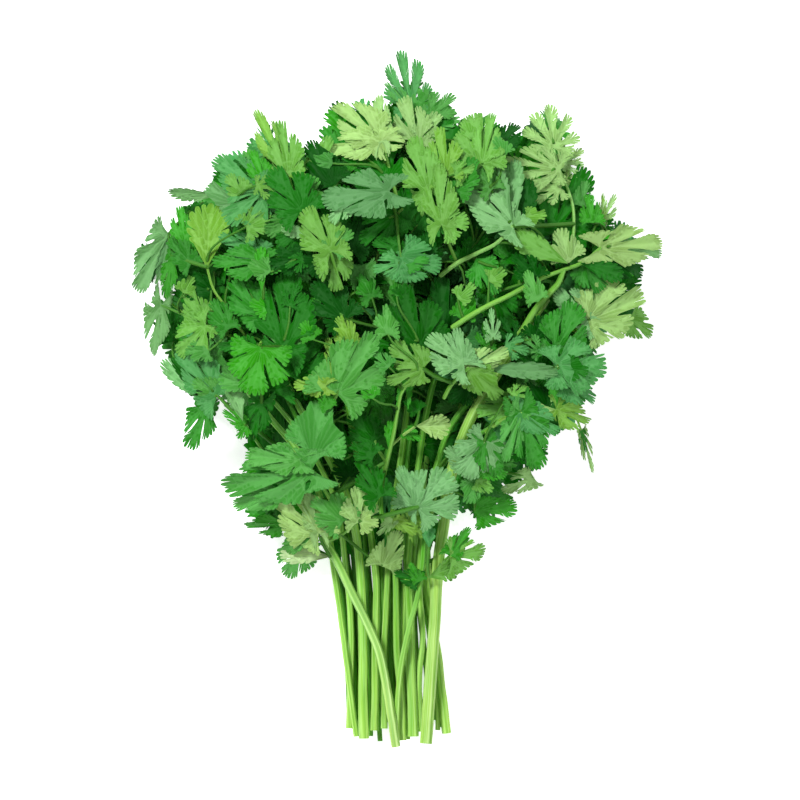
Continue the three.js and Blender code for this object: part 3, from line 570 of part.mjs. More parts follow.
    leaflets: [
      ["F", -58.7, 22.57, 74.52, -3.44, -21.07, -2.96, -0.19, -0.11, 0.97, 27.94, 0.11, -0.02, "v"],
      ["T", -49.23, 22.14, 65.74, 2.58, 33.11, -1.65, -0.28, 0.07, 0.96, 28.71, 0.08, 0.01, "m"],
      ["F", -44.94, 9.24, 63.18, 12.04, 20.64, -2.88, 0.19, 0.03, 0.98, 22.6, 0.16, -0.1, "s"],
      ["F", -41.92, 23, 65.93, -15.91, 8.6, -6.69, -0.27, 0.22, 0.94, 13.79, 0.07, 0.02, "m"],
    ],
    petioles: [
      [0.73, 0.69, 0.4, [[-59.98, 14.4, 46.28], [-59.98, 20.46, 57.27], [-58.91, 24.51, 74.52]]],
      [0.45, 0.62, 0.3, [[-58.91, 24.51, 74.52], [-59.13, 20.42, 74.66]]],
      [0.45, 0.62, 0.3, [[-58.78, 22.53, 74.96], [-53.32, 22.86, 69.88], [-49.1, 25.49, 66]]],
      [0.45, 0.62, 0.3, [[-49.36, 22.18, 66.17], [-43.64, 23.97, 65.68]]],
      [0.45, 0.62, 0.3, [[-49.36, 22.18, 66.17], [-46.78, 14.74, 64.71], [-43.65, 11.32, 63.34]]],
    ] },
  { name: "leaf_21",
    leaflets: [
      ["F", -22.57, 34.19, 69.46, -14.19, 16.34, -0.6, 0.07, 0.1, 0.99, 19.05, 0.06, -0.03, "k"],
      ["F", -1.5, 29.88, 55.45, -7.31, 12.9, -0.68, -0.02, 0.04, 1, 17.2, 0.14, -0.02, "k"],
      ["F", -26.45, 2.36, 73.79, 16.77, 25.8, 1.01, 0.06, -0.08, 0.99, 29.37, 0.12, -0.07, "g"],
    ],
    petioles: [
      [1.07, 1.03, 0.4, [[-31.18, -6.67, 52.4], [-28.57, -1.95, 62.21], [-26.23, 2.58, 73.79]]],
      [0.45, 0.62, 0.3, [[-26.23, 2.58, 73.79], [-24.74, 4.91, 74.34]]],
      [0.45, 0.62, 0.3, [[-26.23, 2.58, 73.79], [-24.02, 20.67, 71.56], [-23.96, 35.86, 69.85]]],
      [0.45, 0.62, 0.3, [[-22.54, 34.23, 69.91], [-10.22, 31.33, 61.88], [-2.25, 31.21, 55.84]]],
    ] },
  { name: "leaf_22",
    leaflets: [
      ["L", -29.02, 63.42, 81.79, -10.75, 18.92, -1.07, -0.12, -0.01, 0.99, 21.64, 0.09, 0.02, "y"],
      ["M", -29.02, 63.42, 81.79, 9.46, 8.6, -0.86, -0.05, 0.15, 0.99, 12.17, 0.1, 0.01, "y"],
      ["L", -28.16, 62.56, 77.18, 1.29, -16.34, -3.85, 0.16, -0.21, 0.96, 17.38, 0.08, -0.04, "g"],
      ["F", -15.7, 58.27, 64.12, 1.29, -16.77, 0.28, -0.08, 0.01, 1, 12.94, 0.09, -0.02, "m"],
      ["F", -20, 63.42, 66.6, 6.88, 16.34, -0.65, -0.07, 0.07, 1, 14.67, 0.15, -0.01, "k"],
    ],
    petioles: [
      [0.99, 0.93, 0.4, [[-20, 33.33, 58.37], [-23.08, 43.05, 64.29], [-25.94, 52.84, 72.13], [-29.03, 63, 81.79]]],
      [0.45, 0.62, 0.3, [[-29.03, 63, 81.79], [-30.16, 65.31, 82.13]]],
      [0.45, 0.62, 0.3, [[-29.03, 63, 81.79], [-27.96, 60.83, 77.22]]],
      [0.45, 0.62, 0.3, [[-25.94, 52.84, 72.13], [-22.64, 58.7, 69.22], [-19.34, 65.09, 66.98]]],
      [0.45, 0.62, 0.3, [[-20.02, 63.46, 67.05], [-15.6, 56.59, 64.6]]],
    ] },
  { name: "leaf_23",
    leaflets: [
      ["T", -4.08, 89.22, 85.77, -29.24, -3.01, -0.3, -0.03, 0.2, 0.98, 22.85, 0.12, -0.03, "p"],
      ["F", -0.65, 79.77, 66.34, -15.91, -12.04, 3.42, 0.16, 0.07, 0.98, 18.94, 0.07, -0.08, "s"],
      ["T", 0.65, 61.27, 75.13, 18.06, -4.3, -4.5, 0.26, 0.07, 0.96, 21.68, 0.15, -0.08, "b"],
    ],
    petioles: [
      [0.77, 0.71, 0.4, [[-9.68, 59.12, 49.91], [-6.92, 68.48, 54.43], [-2.73, 77.26, 59.77], [1.72, 81.91, 66.34]]],
      [0.45, 0.62, 0.3, [[1.72, 81.91, 66.34], [-2.16, 78.59, 67.13]]],
      [0.45, 0.62, 0.3, [[-0.57, 79.8, 66.78], [-0.06, 69.23, 71.9], [2.57, 60.88, 75.11]]],
      [0.45, 0.62, 0.3, [[-0.57, 79.8, 66.78], [-2.84, 85.25, 77.95], [-7.02, 89.02, 86.18]]],
    ] },
  { name: "leaf_24",
    leaflets: [
      ["F", 9.24, 22.57, 66.59, -7.74, 27.52, 10.6, -0.1, -0.38, 0.92, 28.86, 0.09, -0.07, "k"],
      ["F", 19.57, 22.14, 57.62, -1.72, 30.96, 0.92, 0.06, -0.03, 1, 19.82, 0.05, 0.02, "k"],
      ["O", 34.19, 13.54, 65.88, 34.4, -1.72, 6.59, -0.19, -0.24, 0.95, 8.42, 0.11, -0.03, "p"],
      ["L", 29.02, 12.69, 71.97, 18.06, 9.03, 0.31, 0.1, -0.23, 0.97, 14.22, 0.13, -0.06, "l"],
      ["L", 29.88, 13.54, 74.68, 13.76, -12.9, -9.1, 0.15, -0.46, 0.88, 15.83, 0.16, 0.02, "l"],
      ["L", 28.16, 14.84, 74.09, -15.91, 12.04, 1.56, 0.03, -0.09, 0.99, 19.81, 0.07, -0.08, "l"],
      ["M", 28.16, 14.84, 74.09, -3.44, 15.91, 1.56, -0.07, -0.11, 0.99, 12.95, 0.12, 0.01, "l"],
      ["L", 10.75, 13.12, 70.97, -13.97, 11.18, 0.33, -0.02, -0.06, 1, 17.23, 0.15, -0.09, "l"],
      ["M", 10.75, 13.12, 70.97, -16.12, -5.59, 1.65, 0.15, -0.14, 0.98, 13.13, 0.15, 0.02, "y"],
      ["F", 2.79, 4.95, 61.01, 3.87, 24.94, 3.53, 0.03, -0.14, 0.99, 9.47, 0.07, -0.07, "v"],
    ],
    petioles: [
      [1.18, 0.97, 0.4, [[-10.54, -46.66, 32.45], [-8.08, -38.3, 39.66], [-5.76, -29.92, 46.19], [-3.62, -21.48, 52.14], [-1.74, -12.98, 57.58], [-0.19, -4.42, 62.56], [2.03, 4, 67.05], [8.28, 12.47, 70.97]]],
      [0.99, 0.93, 0.4, [[19.57, 0.65, 56.05], [23.39, 7.2, 64.3], [28.6, 12.9, 71.97]]],
      [0.45, 0.62, 0.3, [[28.6, 12.9, 71.97], [30.88, 13.48, 72.43]]],
      [0.45, 0.62, 0.3, [[8.28, 12.47, 70.97], [9.34, 14.21, 71.45]]],
      [0.45, 0.62, 0.3, [[29.07, 12.58, 72.4], [31.33, 12.05, 74.16]]],
      [0.45, 0.62, 0.3, [[29.95, 13.34, 75.07], [26.59, 16, 74.69]]],
      [0.45, 0.62, 0.3, [[2.03, 4, 67.05], [3.19, 7.37, 61.81]]],
      [0.45, 0.62, 0.3, [[28.6, 12.9, 71.97], [37.54, 13.27, 66.97]]],
      [0.45, 0.62, 0.3, [[10.74, 13.09, 71.42], [9.7, 19, 69.1], [8.43, 25.16, 68.07]]],
      [0.45, 0.62, 0.3, [[9.2, 22.4, 67.01], [15.16, 22.6, 61.88], [19.42, 25.23, 58.16]]],
      [0.45, 0.7, 0.45, [[8.28, 12.47, 70.97], [15.83, 9.84, 67.64], [23.39, 7.2, 64.3]]],
    ] },
];

const wasm = await Module();
wasm.setup();
const { Manifold, Mesh } = wasm;

const vec = (x, y, z) => new THREE.Vector3(x, y, z);

function solid(points, faces) {
  const body = new Manifold(new Mesh({
    numProp: 3,
    vertProperties: new Float32Array(points.flatMap((p) => [p.x, p.y, p.z])),
    triVerts: new Uint32Array(faces.flat()),
  }));
  return body;
}

// A thin curved plate with the outline of one leaflet. grow widens it on every side.
function leaflet([kind, bx, by, bz, tx, ty, tz, nx, ny, nz, width, cup, bend], grow = 0) {
  const base = vec(bx, by, bz);
  const along = vec(tx, ty, tz);
  const length = along.length();
  const normal = vec(nx, ny, nz).addScaledVector(along, -vec(nx, ny, nz).dot(along) / (length * length)).normalize();
  const side = normal.clone().cross(along).normalize();
  const half = OUTLINES[kind];
  const rim = [...half, [1, 0], ...half.map(([u, v]) => [u, -v]).reverse()];
  const at = (u, v, lift) => {
    const relief = bend * length * u * u - cup * width * 2 * v * v;
    return base.clone()
      .addScaledVector(along, u)
      .addScaledVector(side, v * width)
      .addScaledVector(normal, relief + lift);
  };
  const wide = (u, v) => {
    if (!grow) return [u, v];
    const du = (u - FAN) * length, dv = v * width;
    const r = Math.hypot(du, dv);
    return [FAN + (du * (1 + grow / r)) / length, (dv * (1 + grow / r)) / width];
  };
  const edge = rim.map(([u, v]) => wide(u, v));
  const n = edge.length;
  const points = [], faces = [];
  for (const lift of [-grow, BLADE_THICKNESS + grow]) {
    points.push(at(FAN, 0, lift));
    for (const [u, v] of edge) points.push(at(u, v, lift));
  }
  for (let i = 0; i < n; i++) {
    const j = (i + 1) % n;
    faces.push([0, 1 + i, 1 + j], [n + 1, n + 2 + j, n + 2 + i]);
    faces.push([1 + i, n + 2 + i, n + 2 + j], [1 + i, n + 2 + j, 1 + j]);
  }
  return solid(points, faces);
}

// A closed round bar that follows a line of points, with a radius at each point.
function bar(line, radii, sides, grow = 0) {
  const n = line.length;
  const points = [], faces = [];
  let up = null;
  for (let i = 0; i < n; i++) {
    const a = line[Math.max(i - 1, 0)], b = line[Math.min(i + 1, n - 1)];
    const dir = b.clone().sub(a).normalize();
    if (!up) up = Math.abs(dir.z) < 0.8 ? vec(0, 0, 1) : vec(1, 0, 0);
    up = up.clone().addScaledVector(dir, -up.dot(dir)).normalize();
    const across = dir.clone().cross(up);
    const push = i === 0 ? -grow : i === n - 1 ? grow : 0;
    const centre = line[i].clone().addScaledVector(dir, push);
    for (let k = 0; k < sides; k++) {
      const t = (2 * Math.PI * (k + 0.5)) / sides;
      const r = (radii[i] + grow) * 1.04;
      points.push(centre.clone().addScaledVector(across, r * Math.cos(t)).addScaledVector(up, r * Math.sin(t)));
    }
  }
  for (let i = 0; i + 1 < n; i++) {
    for (let k = 0; k < sides; k++) {
      const a = i * sides + k, b = i * sides + ((k + 1) % sides), c = a + sides, d = b + sides;
      faces.push([a, b, d], [a, d, c]);
    }
  }
  for (let k = 1; k + 1 < sides; k++) {
    const e = (n - 1) * sides;
    faces.push([0, k + 1, k], [e, e + k, e + k + 1]);
  }
  let body = solid(points, faces);
  if (body.volume() < 0) body = solid(points, faces.map(([a, b, c]) => [a, c, b]));
  return body;
}

const stemBody = ([, pts], grow) =>
  bar(pts.map((p) => vec(p[0], p[1], p[2])), pts.map((p) => p[3]), STEM_SIDES, grow);
const petioleBody = ([root, middle, end, pts], grow) =>
  bar(pts.map((p) => vec(...p)), pts.map((_, i) => (i === 0 ? root : i === pts.length - 1 ? end : middle)), PETIOLE_SIDES, grow);

function meets(a, b) {
  const p = a.boundingBox(), q = b.boundingBox();
  return [0, 1, 2].every((k) => p.min[k] < q.max[k] && q.min[k] < p.max[k]);
}
function cut(body, others) {
  const near = others.filter((o) => meets(body, o));
  return near.length ? body.subtract(Manifold.union(near)) : body;
}
function largest(body) {
  return body.decompose().reduce((a, b) => (b.volume() > a.volume() ? b : a));
}

// Each stem keeps clear of the stems laid before it.
const stemGrown = STEMS.map((row) => stemBody(row, CLEARANCE));
const stemSolids = STEMS.map((row, i) => cut(stemBody(row, 0), stemGrown.slice(0, i)));

// Each leaf is its blades and stalks in one piece. Stalks pass between the blades of other leaves.
const stalks = LEAVES.map((leaf) => leaf.petioles.map((row) => petioleBody(row, 0)));
const stalksGrown = LEAVES.map((leaf) => leaf.petioles.map((row) => petioleBody(row, CLEARANCE)));
const bladesGrown = LEAVES.map((leaf) => leaf.leaflets.map((row) => leaflet(row, CLEARANCE)));
const leafSolids = LEAVES.map((leaf, g) => {
  const stalk = stalks[g].length
    ? cut(Manifold.union(stalks[g]), [...stemGrown, ...stalksGrown.slice(0, g).flat()])
    : null;
  const blades = cut(Manifold.union(leaf.leaflets.map((row) => leaflet(row))), [
    ...stemGrown,
    ...stalksGrown.filter((_, h) => h !== g).flat(),
    ...bladesGrown.slice(0, g).flat(),
  ]);
  return stalk ? stalk.add(blades) : blades;
});

function piece(name, body, colour, roughness) {
  const kept = largest(largest(body).simplify(SMOOTHING));
  const mesh = kept.getMesh();
  const geometry = new THREE.BufferGeometry();
  geometry.setAttribute("position", new THREE.BufferAttribute(new Float32Array(mesh.vertProperties), 3));
  geometry.setIndex(new THREE.BufferAttribute(new Uint32Array(mesh.triVerts), 1));
  geometry.computeVertexNormals();
  const out = new THREE.Mesh(geometry, new THREE.MeshStandardMaterial({ color: colour, roughness, metalness: 0 }));
  out.name = name;
  return out;
}

// The commonest green among the leaflets of one leaf
function tone(leaf) {
  const count = {};
  for (const row of leaf.leaflets) {
    const t = row[row.length - 1];
    count[t] = (count[t] || 0) + 1;
  }
  return GREENS[Object.keys(count).sort((a, b) => count[b] - count[a])[0]];
}

const group = new THREE.Group();
group.name = "coriander_bunch";
STEMS.forEach((row, i) => group.add(piece(row[0], stemSolids[i], STEM_GREEN, 0.45)));
LEAVES.forEach((leaf, g) => group.add(piece(leaf.name, leafSolids[g], tone(leaf), 0.55)));

export default group;
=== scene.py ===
"""A bunch of fresh coriander laid down on a pale table and seen from straight above.

Every leaflet is grown from its own outline: lobes set around the base of the leaflet, each with its teeth, a fan of
veins, and a blade that bends, cups and ruffles. Stems are ribbed tubes with cut ends. Lengths in the tables are in
millimetres and the pieces are in metres.
"""
import bpy, math, random
import numpy as np
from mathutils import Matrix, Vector
from mathutils.geometry import delaunay_2d_cdt


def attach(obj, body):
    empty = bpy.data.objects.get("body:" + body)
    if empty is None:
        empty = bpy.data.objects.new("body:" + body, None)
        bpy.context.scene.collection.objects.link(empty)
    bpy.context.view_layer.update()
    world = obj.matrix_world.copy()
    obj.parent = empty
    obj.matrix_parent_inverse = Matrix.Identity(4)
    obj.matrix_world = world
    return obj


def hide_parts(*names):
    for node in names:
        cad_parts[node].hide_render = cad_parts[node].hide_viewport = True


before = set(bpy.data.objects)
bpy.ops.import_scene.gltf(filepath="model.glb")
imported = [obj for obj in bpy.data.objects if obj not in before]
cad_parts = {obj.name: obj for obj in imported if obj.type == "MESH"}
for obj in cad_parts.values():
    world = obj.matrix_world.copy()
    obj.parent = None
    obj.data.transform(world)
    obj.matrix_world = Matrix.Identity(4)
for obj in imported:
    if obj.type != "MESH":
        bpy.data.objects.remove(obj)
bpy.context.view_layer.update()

MM = 0.001
THICK = 0.28          # leaf blade, mm
TOOTH = 2.6           # distance between two teeth of the margin, mm
GRID = 1.30           # mesh size on a blade that shows, mm
GRID_DEEP = 2.8       # mesh size on a blade inside the bunch, mm

# Leaf colours, sRGB: upper side and underside. They are partly painted light and shade: the darkest tone, 'k', and in
# part 's', are painted shade on leaflets that lie in shadow inside the bunch, and a pale tone such as 'l' is also set
# on a steep leaflet as painted light.
TONES = {
    "w": ((172, 200, 146), (178, 204, 152)), "r": ((88, 150, 84), (128, 178, 120)),
    "l": ((152, 198, 110), (170, 210, 134)),
    "y": ((122, 182, 56), (152, 205, 92)),
    "h": ((106, 174, 62), (150, 202, 116)), "q": ((102, 164, 92), (142, 188, 132)),
    "p": ((120, 184, 110), (84, 166, 70)),
    "m": ((76, 159, 60), (124, 188, 106)),
    "g": ((48, 143, 32), (108, 182, 90)),
    "b": ((74, 158, 78), (122, 182, 118)),
    "v": ((50, 160, 10), (112, 190, 64)),
    "s": ((20, 116, 6), (88, 168, 70)),
    "k": ((4, 88, 2), (56, 138, 44)),
}
EXPOSE = 1.0          # leaf colours are lowered by this, because the table is lit to white
STEM_EXPOSE = 0.91


# Compound leaves: node, layer, material slot, leaflets (kind, tone, base, direction and length, face, width, cup, bend)
# and stalks (two radii, whether it shows, points).
LEAVES = [
 ("floor_leaf_01", "floor", "leaf_dark", [
  ("F", "g", [-34.11,-23.49,0], [8.4,-25.56,-0], [0,0,1], 26.8, 0, 0.000),
  ("F", "s", [-34.79,-1.85,2.95], [-23.56,-18.02,-1.04], [-0.044,0,0.999], 29.4, 0.06, -0.030),
  ("T", "s", [-21.59,4.93,4.38], [6.42,-29.23,-0], [0,0,1], 28.3, 0, 0.000),
  ("T", "m", [-85.47,23.88,0], [-19.5,18.1,0], [0,0,1], 29.1, 0, 0.000),
  ("T", "s", [-58.89,35.23,4.58], [-25.47,-15.25,-2.18], [-0.085,0,0.996], 30.8, 0.06, -0.030),
  ("F", "b", [-23.22,27.27,1.73], [-20.9,16.68,1.78], [0.085,0,0.996], 28.4, 0.06, -0.030),
  ("T", "k", [-5.93,25.22,0], [26.56,-1.68,-0], [0,0,1], 29.7, 0, 0.000),
  ("T", "s", [-62.48,53.52,0], [-28.17,13.98,0], [0,0,1], 29.9, 0, 0.000),
  ("F", "k", [-29.87,47.75,4.53], [-22.75,18.02,0.76], [0.033,0,0.999], 30, 0.06, -0.030),
 ], [
  (0.8, 0.5, 0, [-25.3,28.9,2.4,-32.1,49.6,5.1]),
  (0.8, 0.5, 0, [-25.3,28.9,2.4,-3.3,25.1,0.8]),
  (0.8, 0.5, 0, [-25.3,28.9,2.4,-20.9,2,4.8]),
  (0.8, 0.5, 0, [-21.6,4.9,4.8,-37.2,-3.6,3.3]),
  (0.8, 0.5, 0, [-34.8,-1.9,3.4,-33.3,-26,0.8]),
  (0.8, 0.5, 0, [-29.9,47.8,5,-61.5,33.7,4.8]),
  (0.8, 0.5, 0, [-58.9,35.2,5,-65.3,54.9,0.8]),
  (0.8, 0.5, 0, [-58.9,35.2,5,-87.4,25.7,0.8]),
 ]),
 ("floor_leaf_02", "floor", "leaf_dark", [
  ("T", "k", [16.79,-29.97,3.15], [-20.37,-23.35,-1.58], [-0.077,-0,0.997], 26, 0.06, -0.030),
  ("F", "m", [17.24,5.97,2.05], [16.67,-22.98,1.61], [-0.096,0,0.995], 26.3, 0.06, -0.030),
  ("T", "s", [40.96,-6.13,1.39], [25.21,13.6,2.4], [-0.095,-0,0.996], 26.5, 0.06, -0.030),
  ("T", "s", [33.03,15.42,2.05], [21.69,16.02,2.52], [-0.115,0,0.993], 26.7, 0.06, -0.030),
  ("T", "b", [58.36,22.29,5.81], [18.38,24.4,0.91], [-0.049,0,0.999], 29.5, 0.06, -0.030),
 ], [
  (0.8, 0.5, 0, [43.4,-4.8,2.1,35.1,17,2.8]),
  (0.8, 0.5, 0, [33,15.4,2.5,18.9,3.7,2.7]),
  (0.8, 0.5, 0, [33,15.4,2.5,60.2,24.7,6.3]),
  (0.8, 0.5, 0, [17.2,6,2.5,14.7,-32.3,3.4]),
 ]),
 ("floor_leaf_03", "floor", "leaf_mid", [
  ("T", "m", [48.65,58.48,4.81], [27.02,16.43,-3.21], [0.118,0,0.993], 26.4, 0.06, -0.030),
  ("T", "b", [75.75,61.19,0.97], [27.14,-1.56,1.96], [-0.072,0,0.997], 28.4, 0.06, -0.030),
  ("F", "g", [49.92,82.66,5.29], [29.47,-2.11,-0], [0,0,1], 30, 0, 0.000),
 ], [
  (0.8, 0.5, 0, [51.4,60.1,4.9,52.9,82.5,5.7]),
  (0.8, 0.5, 0, [51.4,60.1,4.9,78.4,61,1.6]),
 ]),
 ("floor_leaf_04", "floor", "leaf_mid", [
  ("T", "m", [-2.42,50.6,1.77], [-16.09,22.13,0.07], [0.004,0,1], 29.7, 0.06, -0.030),
  ("F", "b", [21.89,45.71,0], [1.03,28.82,-0], [0,0,1], 29.5, 0, 0.000),
  ("T", "g", [-18.39,78.07,4.91], [-21.09,16.05,0], [0,0,1], 30.6, 0, 0.000),
  ("T", "k", [-1.26,79.82,6.45], [1.14,27.05,-0.08], [0.07,-0,0.998], 26.4, 0.06, -0.030),
  ("F", "g", [21.06,76.37,2.45], [13.3,27.4,1.35], [-0.101,0,0.995], 26.9, 0.06, -0.030),
 ], [
  (0.8, 0.5, 0, [-1.1,82.5,6.9,-20.5,79.7,5.4]),
  (0.8, 0.5, 0, [-1.1,82.5,6.9,22.3,79.1,3]),
  (0.8, 0.5, 0, [21,76.4,2.9,22,48.6,0.8]),
  (0.8, 0.5, 0, [21.9,45.7,0.8,-4,52.8,2.2]),
 ]),
 ("flank_leaf_01", "flank", "leaf_mid", [
  ("F", "b", [57.03,86.33,43.44], [19.26,-1.21,-13.85], [0.568,0.309,0.763], 25.8, 0.06, -0.030),
  ("T", "v", [50.32,100.75,49.29], [22.41,-3.76,-15.42], [0.557,0.445,0.701], 26.5, 0.06, -0.030),
  ("F", "s", [32.69,98.28,51.86], [11.77,9.46,-22.99], [0.499,0.681,0.536], 24.7, 0.06, -0.030),
  ("F", "k", [27.89,100.57,47.72], [-6.38,16.17,-18.86], [0.331,0.769,0.547], 22.9, 0.06, -0.030),
 ], [
  (0.8, 0.5, 0, [52.8,100.6,48.1,59.2,86.3,42.4]),
  (0.8, 0.5, 0, [52.8,100.6,48.1,34.1,99.5,49.8]),
  (0.8, 0.5, 0, [32.9,98.6,52.1,27.4,102.5,46.1]),
 ]),
 ("flank_leaf_02", "flank", "leaf_mid", [
  ("F", "g", [75.12,50.43,49.5], [17.79,-1.08,-21.11], [0.765,0.009,0.644], 24.7, 0.06, -0.030),
  ("F", "g", [82.45,59.98,37.55], [10.06,11,-17.01], [0.805,0.151,0.574], 24.2, 0.06, -0.030),
  ("T", "b", [40.25,-13.88,43.64], [19.39,-2.9,-10.83], [0.375,-0.473,0.798], 24.3, 0.06, -0.030),
  ("T", "g", [53.8,-3.57,50.75], [21.12,5.95,-13.44], [0.568,-0.43,0.702], 24.6, 0.06, -0.030),
  ("T", "s", [66.34,24,51.31], [5.88,-13.15,-18.04], [0.784,-0.352,0.512], 25.1, 0.06, -0.030),
  ("T", "b", [73.85,33.24,37.74], [16.71,-3.5,-15.51], [0.658,-0.138,0.74], 26, 0.06, -0.030),
 ], [
  (0.8, 0.5, 0, [67.3,22.5,49.7,75.8,32.8,36.5]),
  (0.8, 0.5, 0, [74.1,33.2,38.1,77.2,50.3,47.7]),
  (0.8, 0.5, 0, [75.5,50.4,49.8,83.8,61.1,36.1]),
  (0.8, 0.5, 0, [67.3,22.5,49.7,56.2,-3.2,49.7]),
  (0.8, 0.5, 0, [54.1,-3.8,51.1,42.4,-14.4,42.9]),
 ]),
 ("flank_leaf_03", "flank", "leaf_mid", [
  ("T", "s", [-83.56,37.2,32.48], [-15.8,4.1,-15.56], [-0.71,-0.076,0.701], 22.1, 0.06, -0.030),
  ("T", "m", [-76.84,18.93,43.83], [-15.8,-0.16,-19.51], [-0.747,-0.269,0.608], 24.6, 0.06, -0.030),
  ("T", "m", [-64.98,2.84,53.96], [-17.54,4.36,-20.4], [-0.726,-0.438,0.53], 23.3, 0.06, -0.030),
  ("T", "s", [-50.57,1.02,45.78], [-3.18,-21.88,-15.35], [-0.418,-0.48,0.771], 24, 0.06, -0.030),
  ("T", "g", [-51.81,-39.72,31.43], [0.68,-15.88,-15.98], [-0.351,-0.672,0.653], 26, 0.06, -0.030),
 ], [
  (0.8, 0.5, 0, [-67.1,3.1,52.2,-78.8,18.8,42.1]),
  (0.8, 0.5, 0, [-77.2,18.8,44.1,-85.5,37.6,31.2]),
  (0.8, 0.5, 0, [-67.1,3.1,52.2,-51.1,-1.4,44.6]),
  (0.8, 0.5, 0, [-67.1,3.1,52.2,-51.9,-41.6,30.1]),
 ]),
 ("flank_leaf_04", "flank", "leaf_mid", [
  ("O", "m", [0.37,114.34,49.96], [20.62,11.3,-11.32], [0.1,0.608,0.788], 25.9, 0.06, -0.030),
  ("T", "s", [-12.54,107.49,49.05], [10.22,16.27,-11.22], [-0.057,0.591,0.805], 24.5, 0.06, -0.030),
  ("F", "k", [-23.06,102.63,48.59], [14.24,12.95,-14.25], [-0.203,0.817,0.54], 25.5, 0.06, -0.030),
  ("T", "g", [-26.02,92.56,62.73], [-7,11.44,-19.28], [-0.411,0.711,0.571], 26.6, 0.06, -0.030),
 ], [
  (0.8, 0.5, 0, [-11.6,109.4,48.3,2.5,115.7,49.2]),
  (0.8, 0.5, 0, [-11.6,109.4,48.3,-21.7,104.3,47.4]),
  (0.8, 0.5, 0, [-23.2,103,48.8,-26.9,94,61.1]),
 ]),
 ("flank_leaf_05", "flank", "leaf_mid", [
  ("T", "k", [-52.98,89.51,49.22], [0.26,21.59,-11.9], [-0.442,0.437,0.783], 25.4, 0.06, -0.030),
  ("F", "v", [-51.1,93.31,45.11], [-19.83,-2.22,-18.75], [-0.637,0.459,0.619], 26.7, 0.06, -0.030),
  ("F", "m", [-69.55,82.01,46.87], [-21.64,-11.22,-13.38], [-0.589,0.204,0.782], 25.7, 0.06, -0.030),
  ("F", "s", [-88.12,70.53,32.96], [-14.2,-19.2,-12.59], [-0.728,0.093,0.68], 25.5, 0.06, -0.030),
 ], [
  (0.8, 0.5, 0, [-72,81,45.9,-53.1,91.9,48.4]),
  (0.8, 0.5, 0, [-53.2,89.7,49.6,-53.4,93.3,43.5]),
  (0.8, 0.5, 0, [-72,81,45.9,-89.9,68.6,32]),
 ]),
 ("core_leaf_01", "core", "leaf_dark", [
  ("F", "s", [40.22,0.38,29.96], [6.49,28.78,-3.45], [0.325,0.04,0.945], 25.5, 0.06, -0.030),
  ("F", "s", [58.78,10.64,55.44], [23.69,17.06,-10.87], [0.546,-0.249,0.8], 30.3, 0.06, -0.030),
  ("T", "s", [16.85,40.07,30.66], [6.73,28,-0.78], [0.093,0.005,0.996], 30.4, 0.06, -0.030),
  ("T", "s", [43.54,36.75,28.27], [24.37,20.69,-6.43], [0.267,-0.014,0.964], 27.8, 0.06, -0.030),
  ("T", "s", [39.28,65.92,32.19], [-8.03,26.49,-6.04], [0.26,0.289,0.922], 30, 0.06, -0.030),
  ("T", "s", [64.8,70.89,52.42], [15.72,27.57,-16.72], [0.538,0.191,0.821], 31.4, 0.06, -0.030),
 ], [
  (1.1, 0.8, 0, [43.2,38.1,26.2,43.9,38.1,27,45.2,38.4,27.8,46.1,38.8,28.1]),
  (0.8, 0.5, 0, [43.7,36.7,28.7,17.6,42.9,31]),
  (0.8, 0.5, 0, [45.2,38.4,27.8,38.6,68.7,32]),
  (0.8, 0.5, 0, [39.4,66,32.6,66.6,73.7,51.1]),
  (0.8, 0.5, 0, [43.7,36.7,28.7,41,3.3,30]),
  (0.8, 0.5, 0, [40.4,0.4,30.4,61.4,12.2,54.7]),
 ]),
 ("core_leaf_02", "core", "leaf_dark", [
  ("T", "s", [-55.39,-30.39,21.13], [10.13,30.29,16.33], [-0.127,-0.437,0.89], 30, 0.06, -0.030),
  ("T", "s", [-19.39,-25.86,22.66], [1.23,29.01,8.58], [-0.054,-0.281,0.958], 28.6, 0.06, -0.030),
  ("T", "s", [7.61,-19.43,20.32], [31.86,1.83,10.33], [-0.253,-0.446,0.858], 27.2, 0.06, -0.030),
  ("T", "s", [-56.13,3.67,60.42], [-12.95,22.84,-3.08], [-0.234,-0.002,0.972], 24.4, 0.06, -0.030),
  ("F", "s", [11.13,3.56,31.78], [-6.45,29.59,-2.2], [-0.15,0.041,0.988], 29.4, 0.06, -0.030),
 ], [
  (1.1, 0.8, 0, [7.3,-19.7,33.9,8.1,-19.7,34.4,9.7,-19.5,35.2,10.7,-19.4,35.7]),
  (0.8, 0.5, 0, [9.7,-19.5,35.2,10.4,6.5,32]),
  (0.8, 0.5, 0, [11.1,3.6,32.2,-19.3,-23.1,23.9]),
  (0.8, 0.5, 0, [-19.4,-26,23.1,-54.4,-27.6,36.2]),
  (0.8, 0.5, 0, [-55.4,-30.6,34.5,-57.5,6,60.5]),
 ]),
 ("core_leaf_03", "core", "leaf_dark", [
  ("F", "s", [-40.01,16.42,26.12], [29.62,-8.08,8.6], [-0.262,0.063,0.963], 29.6, 0.06, -0.030),
  ("T", "s", [-77.07,41.44,41.68], [-21.96,21.05,-10.24], [-0.469,-0.061,0.881], 29.4, 0.06, -0.030),
  ("T", "s", [-37.02,36.04,32.97], [-16.67,20.55,-7], [-0.204,0.163,0.965], 29.6, 0.06, -0.030),
  ("T", "s", [-15.61,36.43,30.58], [6.22,28.74,-0], [-0.037,0.008,0.999], 27.8, 0.06, -0.030),
  ("T", "s", [-51.88,67.29,50.22], [-16.95,20.6,0.52], [-0.004,-0.029,1], 26.1, 0.06, -0.030),
  ("T", "s", [-21.84,66.92,60.27], [-4.8,26.41,6.56], [0.055,-0.231,0.971], 27.1, 0.06, -0.030),
  ("T", "s", [0.25,65.69,61.68], [4.41,25.7,-0.71], [0.224,-0.011,0.975], 26.5, 0.06, -0.030),
